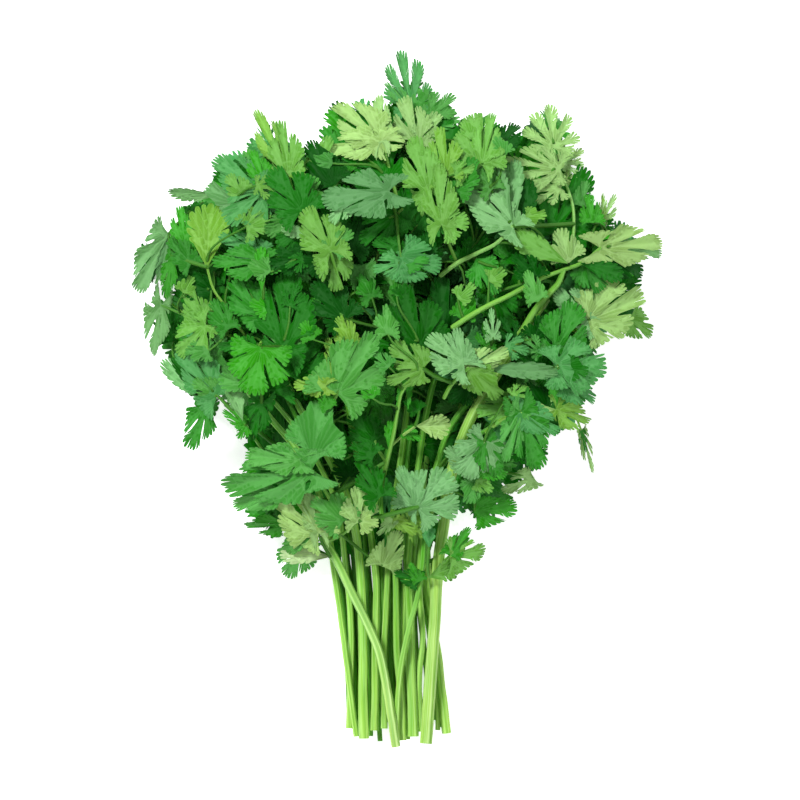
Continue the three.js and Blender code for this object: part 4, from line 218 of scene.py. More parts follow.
  ("F", "s", [-6.87,94.67,63.48], [-10.91,23.92,-16.24], [0.129,0.597,0.792], 27.2, 0.06, -0.030),
  ("F", "s", [19.61,95.42,57.91], [-0.99,27.41,-9.31], [0.118,0.323,0.939], 28.3, 0.06, -0.030),
 ], [
  (1.1, 0.8, 0, [-12.6,35.5,24.3,-13.7,36.2,26.8,-14.7,37.6,29.7,-15,39.3,31]),
  (0.8, 0.5, 0, [-15.6,36.4,31,-38.8,38.2,32.7]),
  (0.8, 0.5, 0, [-37.1,36.1,33.4,-37.2,15.6,27.4]),
  (0.8, 0.5, 0, [-37.1,36.1,33.4,-53.6,69.3,50.7]),
  (0.8, 0.5, 0, [-51.9,67.3,50.7,-22.3,69.5,61.4]),
  (0.8, 0.5, 0, [-21.8,66.8,60.7,0.8,68.2,62]),
  (0.8, 0.5, 0, [0.4,65.7,62.1,-7.9,97.3,62.2]),
  (0.8, 0.5, 0, [-6.8,94.9,63.8,19.6,98.3,57.4]),
  (0.8, 0.5, 0, [-51.9,67.3,50.7,-79.5,43.5,41]),
 ]),
 ("leaf_01", "visible", "leaf_mid", [
  ("T", "h", [21.16,-67.78,34.21], [15.48,3.44,-4.1], [0.324,-0.499,0.804], 21.4, 0.12, -0.033),
  ("T", "v", [21.16,-67.78,34.21], [8.6,13.33,5.69], [0.151,-0.469,0.871], 10.1, 0.05, -0.008),
  ("O", "h", [11.71,-76.81,30.65], [14.19,6.02,-1.73], [0.338,-0.586,0.736], 12.7, 0.05, -0.058),
  ("T", "s", [8.7,-78.53,28.23], [-11.61,4.3,1.04], [-0.112,-0.509,0.853], 11, 0.15, -0.086),
  ("T", "v", [8.7,-78.53,28.23], [-4.73,7.74,6.29], [0.017,-0.624,0.781], 7.1, 0.07, 0.003),
  ("O", "b", [12.14,-64.34,33.53], [-0.43,11.18,4.71], [0.021,-0.387,0.922], 6, 0.13, -0.007),
 ], [
  (1.18, 0.99, 1, [15.1,-71.7,10,18.5,-70,20.1,21.2,-67.6,34.2]),
  (0.95, 0.77, 1, [9.1,-75.1,5.7,10.8,-69.8,19.9,11.9,-64.3,33.5]),
  (0.8, 0.5, 0, [21.2,-67.6,34.2,22.9,-67.7,34.2]),
  (0.8, 0.5, 0, [11.9,-64.3,33.5,11.5,-71.8,32.1,13.3,-76.5,30.8]),
  (0.8, 0.5, 0, [11.9,-77.1,31,7.2,-78.2,28.7]),
  (0.8, 0.5, 0, [11.9,-64.3,33.5,12.1,-63.1,34.5]),
  (1, 1, 0, [18.5,-70,20.1,14.6,-69.9,20,10.8,-69.8,19.9]),
 ]),
 ("leaf_02", "visible", "leaf_light", [
  ("T", "l", [-35.31,-57.47,48.01], [-19.64,15.48,1.45], [-0.258,-0.409,0.875], 28.4, 0.15, -0.060),
  ("O", "m", [-35.31,-57.47,48.01], [-16.2,-8.6,-12.47], [-0.501,-0.255,0.827], 7.3, 0.05, -0.065),
  ("T", "l", [-35.31,-57.47,48.01], [-4.59,18.49,7.95], [-0.114,-0.416,0.902], 11.4, 0.06, 0.006),
  ("T", "v", [-49.36,-53.59,24.81], [-18.92,-1.72,-12.77], [-0.449,-0.511,0.734], 12.1, 0.16, -0.004),
  ("F", "m", [-42.47,-61.33,19.62], [-6.88,-17.2,-17.01], [-0.198,-0.648,0.735], 18.1, 0.16, -0.051),
  ("O", "w", [-30,-67.78,33.35], [-22.36,0.43,0.07], [0.006,0.141,0.99], 8.2, 0.11, -0.003),
 ], [
  (1.1, 0.8, 0, [-30.4,-66.5,32.4,-30.7,-67,32.9,-31.5,-67.5,33.5,-32.2,-67.7,33.8]),
  (0.8, 0.5, 0, [-31.5,-67.5,33.5,-33.8,-61.8,42.1,-37.4,-56.1,48.5]),
  (0.8, 0.5, 0, [-31.5,-67.5,33.5,-37.9,-64.1,25.7,-43.2,-63.4,18.2]),
  (0.8, 0.5, 0, [-42.6,-61.6,19.9,-46.7,-57.2,22.9,-51.4,-54,23.9]),
 ]),
 ("leaf_03", "visible", "leaf_light", [
  ("O", "y", [-83.32,56.49,54.68], [1.29,28.38,-3.42], [-0.307,0.127,0.943], 19.9, 0.07, -0.092),
  ("T", "v", [-92.36,65.94,45.62], [-3.44,18.06,-6.42], [-0.318,0.263,0.911], 12, 0.07, -0.089),
  ("F", "s", [-92.36,79.71,33.21], [9.89,3.87,5.47], [-0.531,0.19,0.826], 8.2, 0.13, -0.004),
  ("F", "p", [-99.88,71.32,38.43], [-13.54,-25.15,-13.68], [-0.306,-0.323,0.896], 17.3, 0.07, 0.008),
  ("O", "p", [-99.88,71.32,38.43], [-3.65,-18.27,-1.5], [0.417,-0.157,0.895], 6.7, 0.07, -0.046),
  ("T", "v", [-98.37,60.78,42.59], [-3.01,-17.63,-4.82], [-0.337,-0.194,0.921], 8.5, 0.08, -0.006),
  ("F", "g", [-90.2,58.21,49.49], [-9.46,11.18,-5.66], [-0.464,0.055,0.884], 12.6, 0.06, -0.038),
 ], [
  (0.77, 0.65, 1, [-64.8,24.7,42.9,-70.4,32.1,45,-75.4,40,47.5,-80.6,47.6,50.2,-83.3,56.5,54.7]),
  (0.56, 0.47, 1, [-86.3,33.3,26,-94.7,38,24.7,-101.3,44.7,25.2,-100.5,54,32.9,-98.4,62.1,42.6]),
  (0.8, 0.5, 0, [-83.3,56.5,54.7,-83.3,59.4,54.8]),
  (0.8, 0.5, 0, [-98.4,62.1,42.6,-92.8,67.9,45.4]),
  (0.8, 0.5, 0, [-98.4,62.1,42.6,-99.6,66.7,40.1,-101.4,68.7,37.5]),
  (0.8, 0.5, 0, [-98.4,62.1,42.6,-98.8,58.9,42.5]),
  (0.8, 0.5, 0, [-83.3,56.5,54.7,-91.4,59.3,49.3]),
  (0.8, 0.5, 0, [-100,71.2,38.8,-96,76,35.7,-91.4,80.3,34.3]),
  (1, 1, 0, [-83.3,56.5,54.7,-90.9,59.3,48.6,-98.4,62.1,42.6]),
 ]),
 ("leaf_04", "visible", "leaf_mid", [
  ("O", "p", [-84.83,-1.35,32.13], [-18.28,18.7,-3.92], [-0.007,0.199,0.98], 8.7, 0.14, 0.024),
  ("F", "b", [-79.03,1.44,45.2], [-16.77,21.5,-5.12], [-0.421,-0.114,0.9], 20.6, 0.12, -0.028),
  ("O", "s", [-84.83,-1.35,32.13], [-13.98,19.56,2.51], [0.393,0.165,0.904], 6.6, 0.09, 0.003),
  ("T", "g", [-83.54,-2.85,37.27], [-7.09,-18.06,-8.82], [-0.444,-0.246,0.861], 16.2, 0.11, -0.072),
  ("F", "v", [-83.54,-2.85,37.27], [-7.09,-1.72,-3.97], [-0.438,-0.21,0.874], 6, 0.13, -0.086),
  ("O", "p", [-67.84,-9.3,63.47], [-5.16,16.34,0.75], [0.324,0.059,0.944], 8.2, 0.08, -0.018),
  ("T", "v", [-66.13,-11.45,57.83], [-10.75,6.45,-2.47], [-0.345,-0.226,0.911], 8.3, 0.1, -0.041),
  ("T", "v", [-66.13,-11.45,57.83], [-4.3,-5.16,-2.72], [-0.361,-0.182,0.915], 7.8, 0.08, 0.003),
  ("O", "m", [-59.68,5.74,70.74], [-19.35,3.44,-5.58], [-0.293,-0.106,0.95], 8.7, 0.09, 0.029),
  ("T", "s", [-59.68,-1.13,62.22], [-5.16,-15.05,-12.35], [-0.3,-0.542,0.785], 14.7, 0.07, 0.003),
 ], [
  (0.73, 0.65, 1, [-59.7,-21.8,29.8,-63.3,-16.3,40.7,-66.3,-11,57.8]),
  (0.8, 0.5, 0, [-66.3,-11,57.8,-67.5,-10.8,58]),
  (0.8, 0.5, 0, [-66.3,-11,57.8,-62.6,-5.4,60.6,-60.3,-2.9,61.3]),
  (0.8, 0.5, 0, [-66.3,-11,57.8,-73.8,-3.8,50.8,-80.9,3.5,45.1]),
  (0.8, 0.5, 0, [-79.2,1.4,45.6,-81.9,-1.3,41,-84.5,-4.8,36.8]),
  (0.8, 0.5, 0, [-83.7,-3,37.7,-86.7,0.6,32.2]),
  (0.8, 0.5, 0, [-66.3,-11.6,58.2,-68.2,-7.6,64]),
  (0.8, 0.5, 0, [-59.8,-1.4,62.6,-59.8,2.7,67.5,-61.7,6,70.6]),
 ]),
 ("leaf_05", "visible", "leaf_mid", [
  ("F", "k", [-81.17,46.6,45.11], [-15.48,5.59,-1.31], [-0.154,-0.201,0.967], 13.3, 0.06, -0.054),
  ("T", "q", [-103.1,41,26.7], [-4.73,-22.79,-7.85], [-0.565,-0.161,0.809], 15.8, 0.06, -0.032),
  ("F", "h", [-83.76,31.97,43.78], [-9.46,14.62,1.93], [-0.262,-0.291,0.92], 16.2, 0.05, -0.081),
  ("T", "h", [-83.76,31.97,49.12], [-12.47,-13.76,-7.7], [-0.46,-0.078,0.884], 17.9, 0.12, -0.044),
  ("F", "g", [-73.87,30.26,54.1], [-7.31,12.9,-3.08], [-0.173,0.135,0.976], 12.9, 0.15, 0.028),
 ], [
  (0.77, 0.65, 1, [-66.6,23.8,42.1,-75.1,28.1,44.4,-83.8,32,43.8]),
  (0.8, 0.5, 0, [-83.8,32,43.8,-84.8,33.3,44.4]),
  (0.8, 0.5, 0, [-83.9,31.8,44.2,-85.2,30.6,48.8]),
  (0.8, 0.5, 0, [-83.8,32,43.8,-81.9,40.2,44.8,-82.8,47.1,45.4]),
  (0.8, 0.5, 0, [-83.8,32,43.8,-95,37.1,34.2,-103.8,38.6,26.3]),
  (0.8, 0.5, 0, [-75.1,28.1,44.4,-74.4,29.2,50.3,-74.7,31.6,54.2]),
 ]),
 ("leaf_06", "visible", "leaf_light", [
  ("F", "m", [-24.84,-52.73,53.72], [-12.47,10.32,3.94], [-0.043,-0.401,0.915], 19.1, 0.12, -0.042),
  ("T", "l", [-17.96,-52.73,54.34], [0,15.48,5.74], [0.289,-0.333,0.898], 17.9, 0.11, -0.055),
  ("F", "l", [-17.96,-52.73,54.34], [8.6,-0.86,0.52], [-0.098,-0.436,0.895], 11.5, 0.13, -0.023),
  ("T", "l", [-8.07,-72.09,26.27], [7.31,15.48,9.82], [0.141,-0.577,0.805], 16.4, 0.09, -0.051),
  ("T", "y", [5.69,-56.61,38.56], [-3.01,12.04,6.32], [0.009,-0.463,0.886], 8.6, 0.11, -0.065),
  ("T", "l", [-3.56,-51.44,43.48], [-6.66,-7.74,-4.56], [-0.01,-0.501,0.866], 5.8, 0.07, -0.018),
  ("T", "y", [-3.56,-51.44,43.48], [10.54,-6.45,-3.61], [-0,-0.489,0.873], 7.5, 0.1, -0.038),
  ("T", "p", [7.19,-46.72,46.72], [13.12,16.34,6.04], [0.058,-0.387,0.92], 31.3, 0.1, -0.069),
  ("T", "p", [7.19,-46.72,46.72], [-7.53,17.2,7.4], [0.009,-0.392,0.92], 13, 0.14, 0.022),
 ], [
  (0.86, 0.65, 1, [-33.9,-62.6,17.2,-25.3,-58.2,32.8,-18,-52.5,54.3]),
  (0.99, 0.9, 1, [5.7,-62.6,20.2,6.1,-54.7,34,7.1,-46.7,46.7]),
  (0.8, 0.5, 0, [7.1,-46.7,46.7,8.5,-45.3,47.7]),
  (0.8, 0.5, 0, [-18,-52.5,54.3,-17.8,-51.3,55.3]),
  (0.8, 0.5, 0, [-18,-52.5,54.3,-26.1,-51.9,54.5]),
  (0.8, 0.5, 0, [-25.3,-58.2,32.8,-15.5,-66.5,29.1,-7.3,-70.8,27.6]),
  (0.8, 0.5, 0, [6.1,-54.7,34,5.4,-55.5,39.6]),
  (0.8, 0.5, 0, [5.7,-56.8,39,0.1,-53.7,41.9,-2.3,-52.4,43.5]),
  (1, 1, 0, [-18,-52.5,54.3,-5.4,-49.6,50.5,7.1,-46.7,46.7]),
 ]),
 ("leaf_07", "visible", "leaf_light", [
  ("F", "l", [80.5,34.13,51.31], [23.22,10.32,-14.3], [0.501,0.069,0.863], 27.7, 0.13, 0.017),
  ("T", "p", [80.5,34.13,51.31], [-13.76,12.04,4.43], [0.417,0.146,0.897], 19.5, 0.08, -0.077),
  ("T", "h", [98.57,34.99,28.38], [10.32,-6.88,-11.36], [0.694,-0.13,0.709], 14.9, 0.1, -0.073),
 ], [
  (0.99, 0.86, 1, [65,23.8,45.1,73,28.3,48.5,80.5,33.9,51.3]),
  (0.8, 0.5, 0, [80.5,33.9,51.3,83,35.2,50.3]),
  (0.8, 0.5, 0, [80.5,33.9,51.3,90.8,34.6,38.6,99.9,34.2,27.6]),
 ]),
 ("leaf_08", "visible", "leaf_light", [
  ("T", "m", [77.49,83.14,43.88], [2.15,11.18,-3.62], [0.43,0.202,0.88], 10.2, 0.11, 0.011),
  ("T", "v", [82.22,75.83,45.03], [-1.72,12.47,-1.27], [0.41,0.148,0.9], 12.3, 0.06, -0.061),
  ("D", "y", [85.88,75.83,35.46], [1.5,13.33,-3.1], [0.448,0.154,0.881], 4.7, 0.07, -0.002),
  ("D", "l", [85.88,75.83,35.46], [7.09,12.9,-5.68], [0.477,0.12,0.87], 8.2, 0.15, -0.005),
  ("T", "l", [85.66,65.08,50.73], [29.67,3.01,-21.99], [0.579,0.147,0.802], 19, 0.09, -0.012),
  ("T", "p", [95.13,65.94,31.06], [18.49,-3.44,-14.23], [0.612,0.018,0.791], 10.4, 0.13, -0.047),
  ("F", "l", [72.33,58.64,58.22], [-4.3,15.05,0.44], [0.346,0.072,0.936], 17.5, 0.09, -0.057),
  ("O", "h", [71.91,58.21,61.47], [-25.37,13.33,5.15], [0.234,0.071,0.97], 11.3, 0.11, -0.031),
  ("O", "s", [77.07,58.64,57.26], [19.78,-5.59,-9.58], [0.44,0.021,0.898], 8.7, 0.08, -0.012),
  ("T", "g", [78.79,58.21,51.17], [7.74,-11.61,-2.83], [0.431,0.068,0.9], 18.7, 0.15, 0.001),
  ("T", "k", [90.82,59.92,43.53], [15.05,-5.16,-6.63], [0.448,0.181,0.876], 14.4, 0.05, -0.072),
 ], [
  (1.4, 0.86, 1, [22,30.7,64.2,29.5,35.7,65,37.4,40.2,65.1,45.5,44.1,64.5,53.5,48.4,63.2,61.6,52.5,61.2,70,55.7,58.4,78.5,59,54.7,85.7,64.7,50.7]),
  (2.15, 1.29, 1, [51.3,26.4,49.1,55.6,34.8,52.1,60.9,42.5,55,67.3,49.4,57.8,70,55.7,58.4]),
  (0.8, 0.5, 0, [85.7,64.7,50.7,88.9,65.5,48.9]),
  (0.8, 0.5, 0, [78.5,59,54.7,79.8,57,51.3]),
  (0.8, 0.5, 0, [70,55.7,58.4,72.1,60.2,58.7]),
  (0.8, 0.5, 0, [72.5,58.7,58.6,69.5,59.6,62.4]),
  (0.8, 0.5, 0, [85.7,64.7,50.7,88.8,62,46.8,92.5,59.5,43.3]),
  (0.8, 0.5, 0, [91,60,43.9,93.5,63.4,36.8,97.2,65.6,30]),
  (0.8, 0.5, 0, [95.4,66,31.4,89.8,71.3,34.1,86.8,77.2,35.3]),
  (0.8, 0.5, 0, [78.5,59,54.7,79.2,58.1,56.7]),
  (0.8, 0.5, 0, [86.1,75.9,35.9,84,75.8,41.4,82.2,77.4,45.3]),
  (0.8, 0.5, 0, [82.4,75.9,45.4,78,84.6,43.8]),
 ]),
 ("leaf_09", "visible", "leaf_mid", [
  ("F", "m", [-37.75,-25.22,62.76], [4.73,24.51,6.41], [-0.466,-0.139,0.874], 30.3, 0.14, -0.032),
  ("F", "s", [-10.66,-18.33,47.2], [-11.18,12.47,1.9], [-0.043,-0.188,0.981], 16.5, 0.12, -0.078),
  ("F", "s", [-11.52,-24.35,66.81], [-9.89,5.16,1.1], [-0.05,-0.299,0.953], 11.7, 0.11, -0.013),
  ("T", "m", [-38.18,-30.38,69.41], [-37.84,-6.88,-29.36], [-0.546,-0.312,0.777], 27, 0.1, 0.029),
  ("T", "m", [-43.33,-26.08,69.17], [-23.22,1.72,-12.58], [-0.479,-0.156,0.864], 14.8, 0.14, 0.028),
  ("T", "m", [-50.21,-38.97,55.56], [-23.65,-7.31,-19.61], [-0.522,-0.372,0.768], 13.9, 0.11, -0.035),
  ("F", "s", [-8.94,-41.98,58.77], [-10.32,16.77,4.82], [0.264,-0.113,0.958], 14.8, 0.13, -0.018),
  ("F", "k", [-21.84,-33.82,36.14], [-6.02,9.46,3.81], [-0.042,-0.396,0.917], 11.5, 0.12, -0.038),
 ], [
  (0.86, 0.65, 1, [-6.4,-26.9,42,-10.7,-20.1,48.4,-12.8,-15.8,47.2]),
  (1.07, 0.86, 1, [-26.1,-51.9,21.2,-30.9,-42.4,39.9,-36.9,-31.7,69.4]),
  (0.8, 0.5, 0, [-10.7,-20.1,48.4,-11.8,-17.2,47.8]),
  (0.8, 0.5, 0, [-36.9,-31.7,69.4,-42.2,-31.2,66.8]),
  (0.8, 0.5, 0, [-38.4,-30.5,69.8,-45.9,-26,68.3]),
  (0.8, 0.5, 0, [-38.4,-30.5,69.8,-37.5,-22.8,63.8]),
  (0.8, 0.5, 0, [-37.9,-25.3,63.2,-45.4,-33.3,58.8,-52.8,-39.9,54]),
  (0.8, 0.5, 0, [-6.4,-26.9,42,-7.7,-35.8,51.8,-9.8,-40.4,59.7]),
  (0.8, 0.5, 0, [-30.9,-42.4,39.9,-25.5,-37.9,37.8,-22.6,-32.8,37]),
  (0.8, 0.5, 0, [-10.7,-20.1,48.4,-10.7,-22.8,59.2,-12.9,-23.8,67.4]),
  (1, 1, 0, [-6.4,-26.9,42,-18.6,-34.7,40.9,-30.9,-42.4,39.9]),
 ]),
 ("leaf_10", "visible", "leaf_mid", [
  ("T", "p", [36,-17.9,61.37], [-9.68,-15.05,-4.3], [0.099,-0.332,0.938], 23.1, 0.1, -0.009),
  ("T", "g", [36,-17.9,61.37], [5.8,-15.91,-6.13], [0.171,-0.299,0.939], 14.6, 0.12, -0.083),
  ("T", "p", [29.77,-29.51,51.94], [-10.32,9.03,4.01], [0.179,-0.221,0.959], 12.9, 0.09, -0.043),
  ("T", "v", [34.5,-27.79,56.03], [11.18,-5.59,-4.64], [0.235,-0.298,0.925], 11.3, 0.09, -0.073),
  ("F", "m", [32.35,-33.39,50.66], [-3.87,-12.04,-4.45], [0.246,-0.405,0.881], 12.8, 0.15, -0.012),
  ("T", "h", [32.35,-34.68,52.05], [6.88,-5.16,-4.1], [0.242,-0.385,0.891], 8.7, 0.1, -0.004),
  ("T", "l", [57.29,-33.39,37.63], [-13.76,-6.45,-1.1], [0.142,-0.452,0.881], 11.7, 0.09, -0.081),
  ("T", "v", [31.48,-48.44,34.05], [18.92,1.72,-2.11], [0.14,-0.471,0.871], 16.6, 0.11, -0.006),
 ], [
  (0.99, 0.9, 1, [33.2,-30.4,39.2,34.9,-24.2,49.5,35.9,-17.9,61.4]),
  (0.8, 0.5, 0, [35.9,-17.9,61.4,35.1,-19.6,61.4]),
  (0.8, 0.5, 0, [33.2,-30.4,39.2,32,-40.9,36.5,33.4,-48.5,34.2]),
  (0.8, 0.5, 0, [34.9,-24.2,49.5,35.9,-28.6,55.9]),
  (0.8, 0.5, 0, [34.6,-27.9,56.4,28.8,-28.7,52.8]),
  (0.8, 0.5, 0, [29.8,-29.6,52.4,32,-34.9,50.6]),
  (0.8, 0.5, 0, [32.5,-33.6,51,33.5,-35.7,51.8]),
  (0.8, 0.5, 0, [33.2,-30.4,39.2,47.5,-32,38.5,56,-34.2,37.9]),
 ]),
 ("leaf_11", "visible", "leaf_mid", [
  ("T", "y", [66.74,-4.14,59.94], [15.48,-6.45,-14.41], [0.553,-0.357,0.753], 13.8, 0.12, -0.067),
  ("O", "v", [66.74,-4.14,59.94], [-1.72,15.05,5.4], [-0.182,-0.35,0.919], 5.7, 0.07, 0.015),
  ("D", "g", [77.93,-13.39,33.17], [1.29,-9.24,-3.61], [0.402,-0.284,0.87], 4.1, 0.09, 0.023),
  # this steep leaflet would render dark; its pale 'l' tone is painted light
  ("D", "l", [77.93,-13.39,33.17], [5.16,-18.7,-9.44], [0.426,-0.311,0.85], 5.8, 0.1, -0.071),
  ("T", "g", [51.41,-5.44,65.11], [7.17,-24.94,-9.88], [0.245,-0.295,0.923], 21.7, 0.09, 0.013),
  ("T", "m", [51.41,-5.44,65.11], [-7.45,-21.5,-2.97], [0.245,-0.215,0.945], 13.5, 0.14, -0.025),
  ("T", "b", [51.41,-5.44,65.11], [17.06,-8.6,-6.18], [0.24,-0.206,0.949], 14.7, 0.15, -0.055),
  ("F", "h", [48.68,-2.85,50.03], [-16.34,-2.58,0.55], [0.045,-0.075,0.996], 14.7, 0.06, -0.028),
  ("F", "k", [63.3,-5.44,53.87], [-10.32,12.04,5.82], [0.323,-0.174,0.931], 14.7, 0.09, -0.048),
  ("O", "l", [67.6,-4.57,56.63], [-15.48,-0.43,4.98], [0.297,0.183,0.937], 7.4, 0.07, -0.062),
 ], [
  (0.65, 0.52, 1, [71,-2,34.1,75,-6.9,35.5,77.7,-13.1,33.2]),
  (0.99, 0.86, 1, [36.6,-14,42.3,43.6,-8.8,51.8,51.3,-5,65.1]),
  (0.8, 0.5, 0, [51.3,-5,65.1,52.2,-8.1,64.5]),
  (0.8, 0.5, 0, [77.7,-13.1,33.2,78.6,-15.4,32.6]),
  (0.8, 0.5, 0, [43.6,-8.8,51.8,47.1,-3.1,50.5]),
  (0.8, 0.5, 0, [48.7,-2.9,50.5,57.4,-4.7,52.5,62.4,-4.3,54.9]),
  (0.8, 0.5, 0, [63.5,-5.5,54.3,68.5,-4.9,58.8]),
  (0.8, 0.5, 0, [67,-4.3,60.3,66.2,-4.5,57.5]),
  (1, 1, 0, [71,-2,34.1,57.3,-5.4,43,43.6,-8.8,51.8]),
 ]),
 ("leaf_12", "visible", "leaf_light", [
  ("P", "b", [4.4,124.42,44.16], [-4.73,26.23,-26.54], [-0.049,0.706,0.707], 21.5, 0.14, -0.038),
  ("D", "m", [4.4,124.42,44.16], [-11.61,13.76,-12.51], [-0.086,0.629,0.772], 7.2, 0.07, -0.055),
  ("D", "m", [12.14,121.85,50.2], [11.18,9.46,-5.43], [0.049,0.453,0.89], 15.3, 0.07, -0.003),
  ("T", "l", [-8.36,110.67,60.65], [-20.35,16.77,-14.13], [-0.184,0.493,0.85], 22.1, 0.06, -0.037),
  ("T", "l", [-8.36,110.67,60.65], [-1.43,22.79,-18.02], [-0.236,0.593,0.769], 10.9, 0.11, -0.048),
  ("T", "l", [-8.36,110.67,60.65], [-25.51,-4.3,-2.71], [-0.157,0.351,0.923], 16.7, 0.06, -0.005),
  ("T", "l", [7.4,110.45,56.67], [-6.88,19.56,-7.76], [-0.162,0.314,0.935], 18.1, 0.09, -0.067),
  ("F", "l", [7.4,110.45,56.67], [9.46,13.12,-5.05], [0.014,0.35,0.937], 12.2, 0.06, -0.043),
 ], [
  (0.97, 0.86, 1, [1.4,74.5,54.6,-0.5,83,56.4,-2.8,91.3,58.1,-5.1,99.7,59.5,-7.8,109.4,60.6]),
  (0.86, 0.73, 1, [8.7,96,39.1,6.5,105.1,40.8,5,114.3,42.5,4.2,124,44.2]),
  (0.8, 0.5, 0, [4.2,124,44.2,3.9,127.4,41.8]),
  (0.8, 0.5, 0, [-7.8,109.4,60.6,-10.5,112.6,59.6]),
  (0.8, 0.5, 0, [4.4,124.7,44.5,8.8,123.1,48,13.3,123,50.1]),
  (0.8, 0.5, 0, [12.2,122,50.6,9.4,115.4,54.4,6.6,112.5,56.3]),
  (1, 1, 0, [-2.8,91.3,58.1,3,93.7,48.6,8.7,96,39.1]),
 ]),
 ("leaf_13", "visible", "leaf_mid", [
  ("F", "k", [-28.71,90.88,68.75], [-10.32,20.64,-8.09], [-0.15,0.294,0.944], 18.9, 0.07, -0.054),
  ("D", "y", [-48.07,95.61,71.94], [-15.05,30.1,-20.11], [-0.107,0.515,0.851], 13, 0.09, 0.008),
  ("F", "h", [-48.07,95.61,71.94], [-3.44,23.65,-9.14], [-0.049,0.354,0.934], 16.3, 0.14, 0.013),
  ("T", "b", [-59.68,89.16,65.01], [-20.64,15.05,-7.5], [0.016,0.463,0.886], 22.2, 0.1, -0.074),
  ("F", "v", [-57.1,90.88,68.76], [-8.17,17.2,-7.33], [-0.275,0.263,0.925], 11.3, 0.14, -0.092),
  ("O", "p", [-78.59,87.88,57.55], [-21.5,0.86,-13.52], [-0.392,-0.716,0.578], 9.3, 0.11, -0.078),
  ("T", "b", [-57.96,90.02,70.3], [-17.2,-13.76,-2.62], [-0.214,0.082,0.973], 21.9, 0.15, 0.027),
  ("F", "s", [-42.47,80.56,79.18], [-12.04,18.92,-7.48], [-0.197,0.249,0.948], 24.1, 0.08, -0.023),
  ("F", "h", [-38.18,95.19,63.8], [7.74,18.06,-3.71], [-0.168,0.267,0.949], 13.3, 0.14, -0.084),
  ("F", "q", [-69.14,83.58,64.2], [-15.05,8.17,-5.47], [-0.251,0.174,0.952], 12.9, 0.09, -0.012),
  ("T", "s", [-44.19,70.67,72.61], [-6.02,-11.61,-1.92], [0.072,-0.199,0.977], 16.5, 0.13, -0.092),
  ("T", "m", [-46.78,76.69,71.52], [-11.61,-5.16,-0.85], [0.018,-0.203,0.979], 14.9, 0.06, -0.005),
  ("F", "m", [-43.33,82.28,69.77], [7.74,12.9,-1.13], [-0.198,0.203,0.959], 15.2, 0.12, -0.027),
 ], [
  (0.99, 0.86, 1, [-21,59.1,45.8,-23.4,66.9,49.3,-25.6,74.8,54.3,-27.3,82.8,60.8,-28.7,90.9,68.8]),
  (0.99, 0.86, 1, [-35.6,59.1,49.8,-39.1,68.5,52.9,-42.6,77.9,57.7,-45.9,87.3,64,-48.5,96.3,71.9]),
  (0.8, 0.5, 0, [-28.7,90.9,68.8,-29.8,93.1,68.4]),
  (0.8, 0.5, 0, [-48.5,96.3,71.9,-49.6,98.9,70.3]),
  (0.8, 0.5, 0, [-45.9,87.3,64,-42.6,83.7,70.1]),
  (0.8, 0.5, 0, [-43.4,82.4,70.2,-43.1,81.7,75.5,-43.8,82.6,78.9]),
  (0.8, 0.5, 0, [-48.5,96.3,71.9,-53.5,93.3,70.3,-58,92.7,68.4]),
  (0.8, 0.5, 0, [-57.2,91,69.2,-59.8,88.7,70.5]),
  (0.8, 0.5, 0, [-57.2,91,69.2,-61.7,90.9,64.7]),
  (0.8, 0.5, 0, [-45.9,87.3,64,-41.5,92,64.1,-37.5,97.1,63.9]),
  (0.8, 0.5, 0, [-59.7,89.4,65.4,-65.1,86,65,-70.8,84.5,64.1]),
  (0.8, 0.5, 0, [-43.1,81.7,75.5,-43.6,75.5,74.1,-44.8,69.3,72.8]),
  (0.8, 0.5, 0, [-69.2,83.6,64.6,-74.9,85.9,60.6,-80.9,87.6,56.5]),
  (0.8, 0.5, 0, [-43.6,75.5,74.1,-48.1,76,71.9]),
  (1, 1, 0, [-23.4,66.9,49.3,-29.5,63,49.6,-35.6,59.1,49.8]),
 ]),
 ("leaf_14", "visible", "leaf_dark", [
  ("F", "s", [28.04,59.06,51.53], [8.6,11.18,-2.31], [0.164,0.077,0.983], 14.7, 0.1, -0.073),
  ("T", "k", [29.77,62.07,49], [3.44,18.49,-2.4], [0.141,0.102,0.985], 14.7, 0.06, -0.090),
  ("F", "g", [32.35,60.78,62.02], [9.46,-15.48,-1.01], [0.157,0.031,0.987], 15.7, 0.12, -0.042),
  ("F", "k", [58.57,52.18,64.83], [-10.75,10.32,2.97], [0.123,-0.154,0.98], 12.9, 0.07, -0.066),
  ("T", "m", [59,41.86,66.91], [-4.73,13.76,1.64], [0.266,-0.024,0.964], 10.6, 0.16, -0.050),
  ("F", "s", [39.22,46.17,53.54], [9.46,-15.48,-2.45], [0.207,-0.028,0.978], 15.7, 0.07, -0.081),
 ], [
  (1.1, 0.8, 0, [21.9,57.6,42.3,24.8,59.1,45,28.2,61.3,48,30.2,64,49.2]),
  (0.8, 0.5, 0, [29.8,62.1,49.5,31.2,61.6,57,33.4,59.2,62.4]),
  (0.8, 0.5, 0, [31.2,61.6,57,35.7,53,55.3,40.3,44.6,53.7]),
  (0.8, 0.5, 0, [29.8,62.1,49.5,29,60.3,51.7]),
  (0.8, 0.5, 0, [39.3,46.1,54,50.8,49.3,60.4,57.6,53.1,65.6]),
  (0.8, 0.5, 0, [58.6,52.1,65.3,59,46.1,66.4,58.6,43.3,67.5]),
 ]),
 ("leaf_15", "visible", "leaf_mid", [
  ("D", "p", [39.65,25.96,69.68], [-0.86,13.33,1], [0.016,-0.074,0.997], 7.7, 0.07, -0.000),
  ("T", "g", [66.74,21.23,59.37], [10.32,19.78,-4.47], [0.419,-0.013,0.908], 25, 0.08, 0.019),
  ("T", "b", [66.74,14.34,68.82], [22.36,1.72,-15.33], [0.546,0.185,0.817], 26.9, 0.13, -0.082),
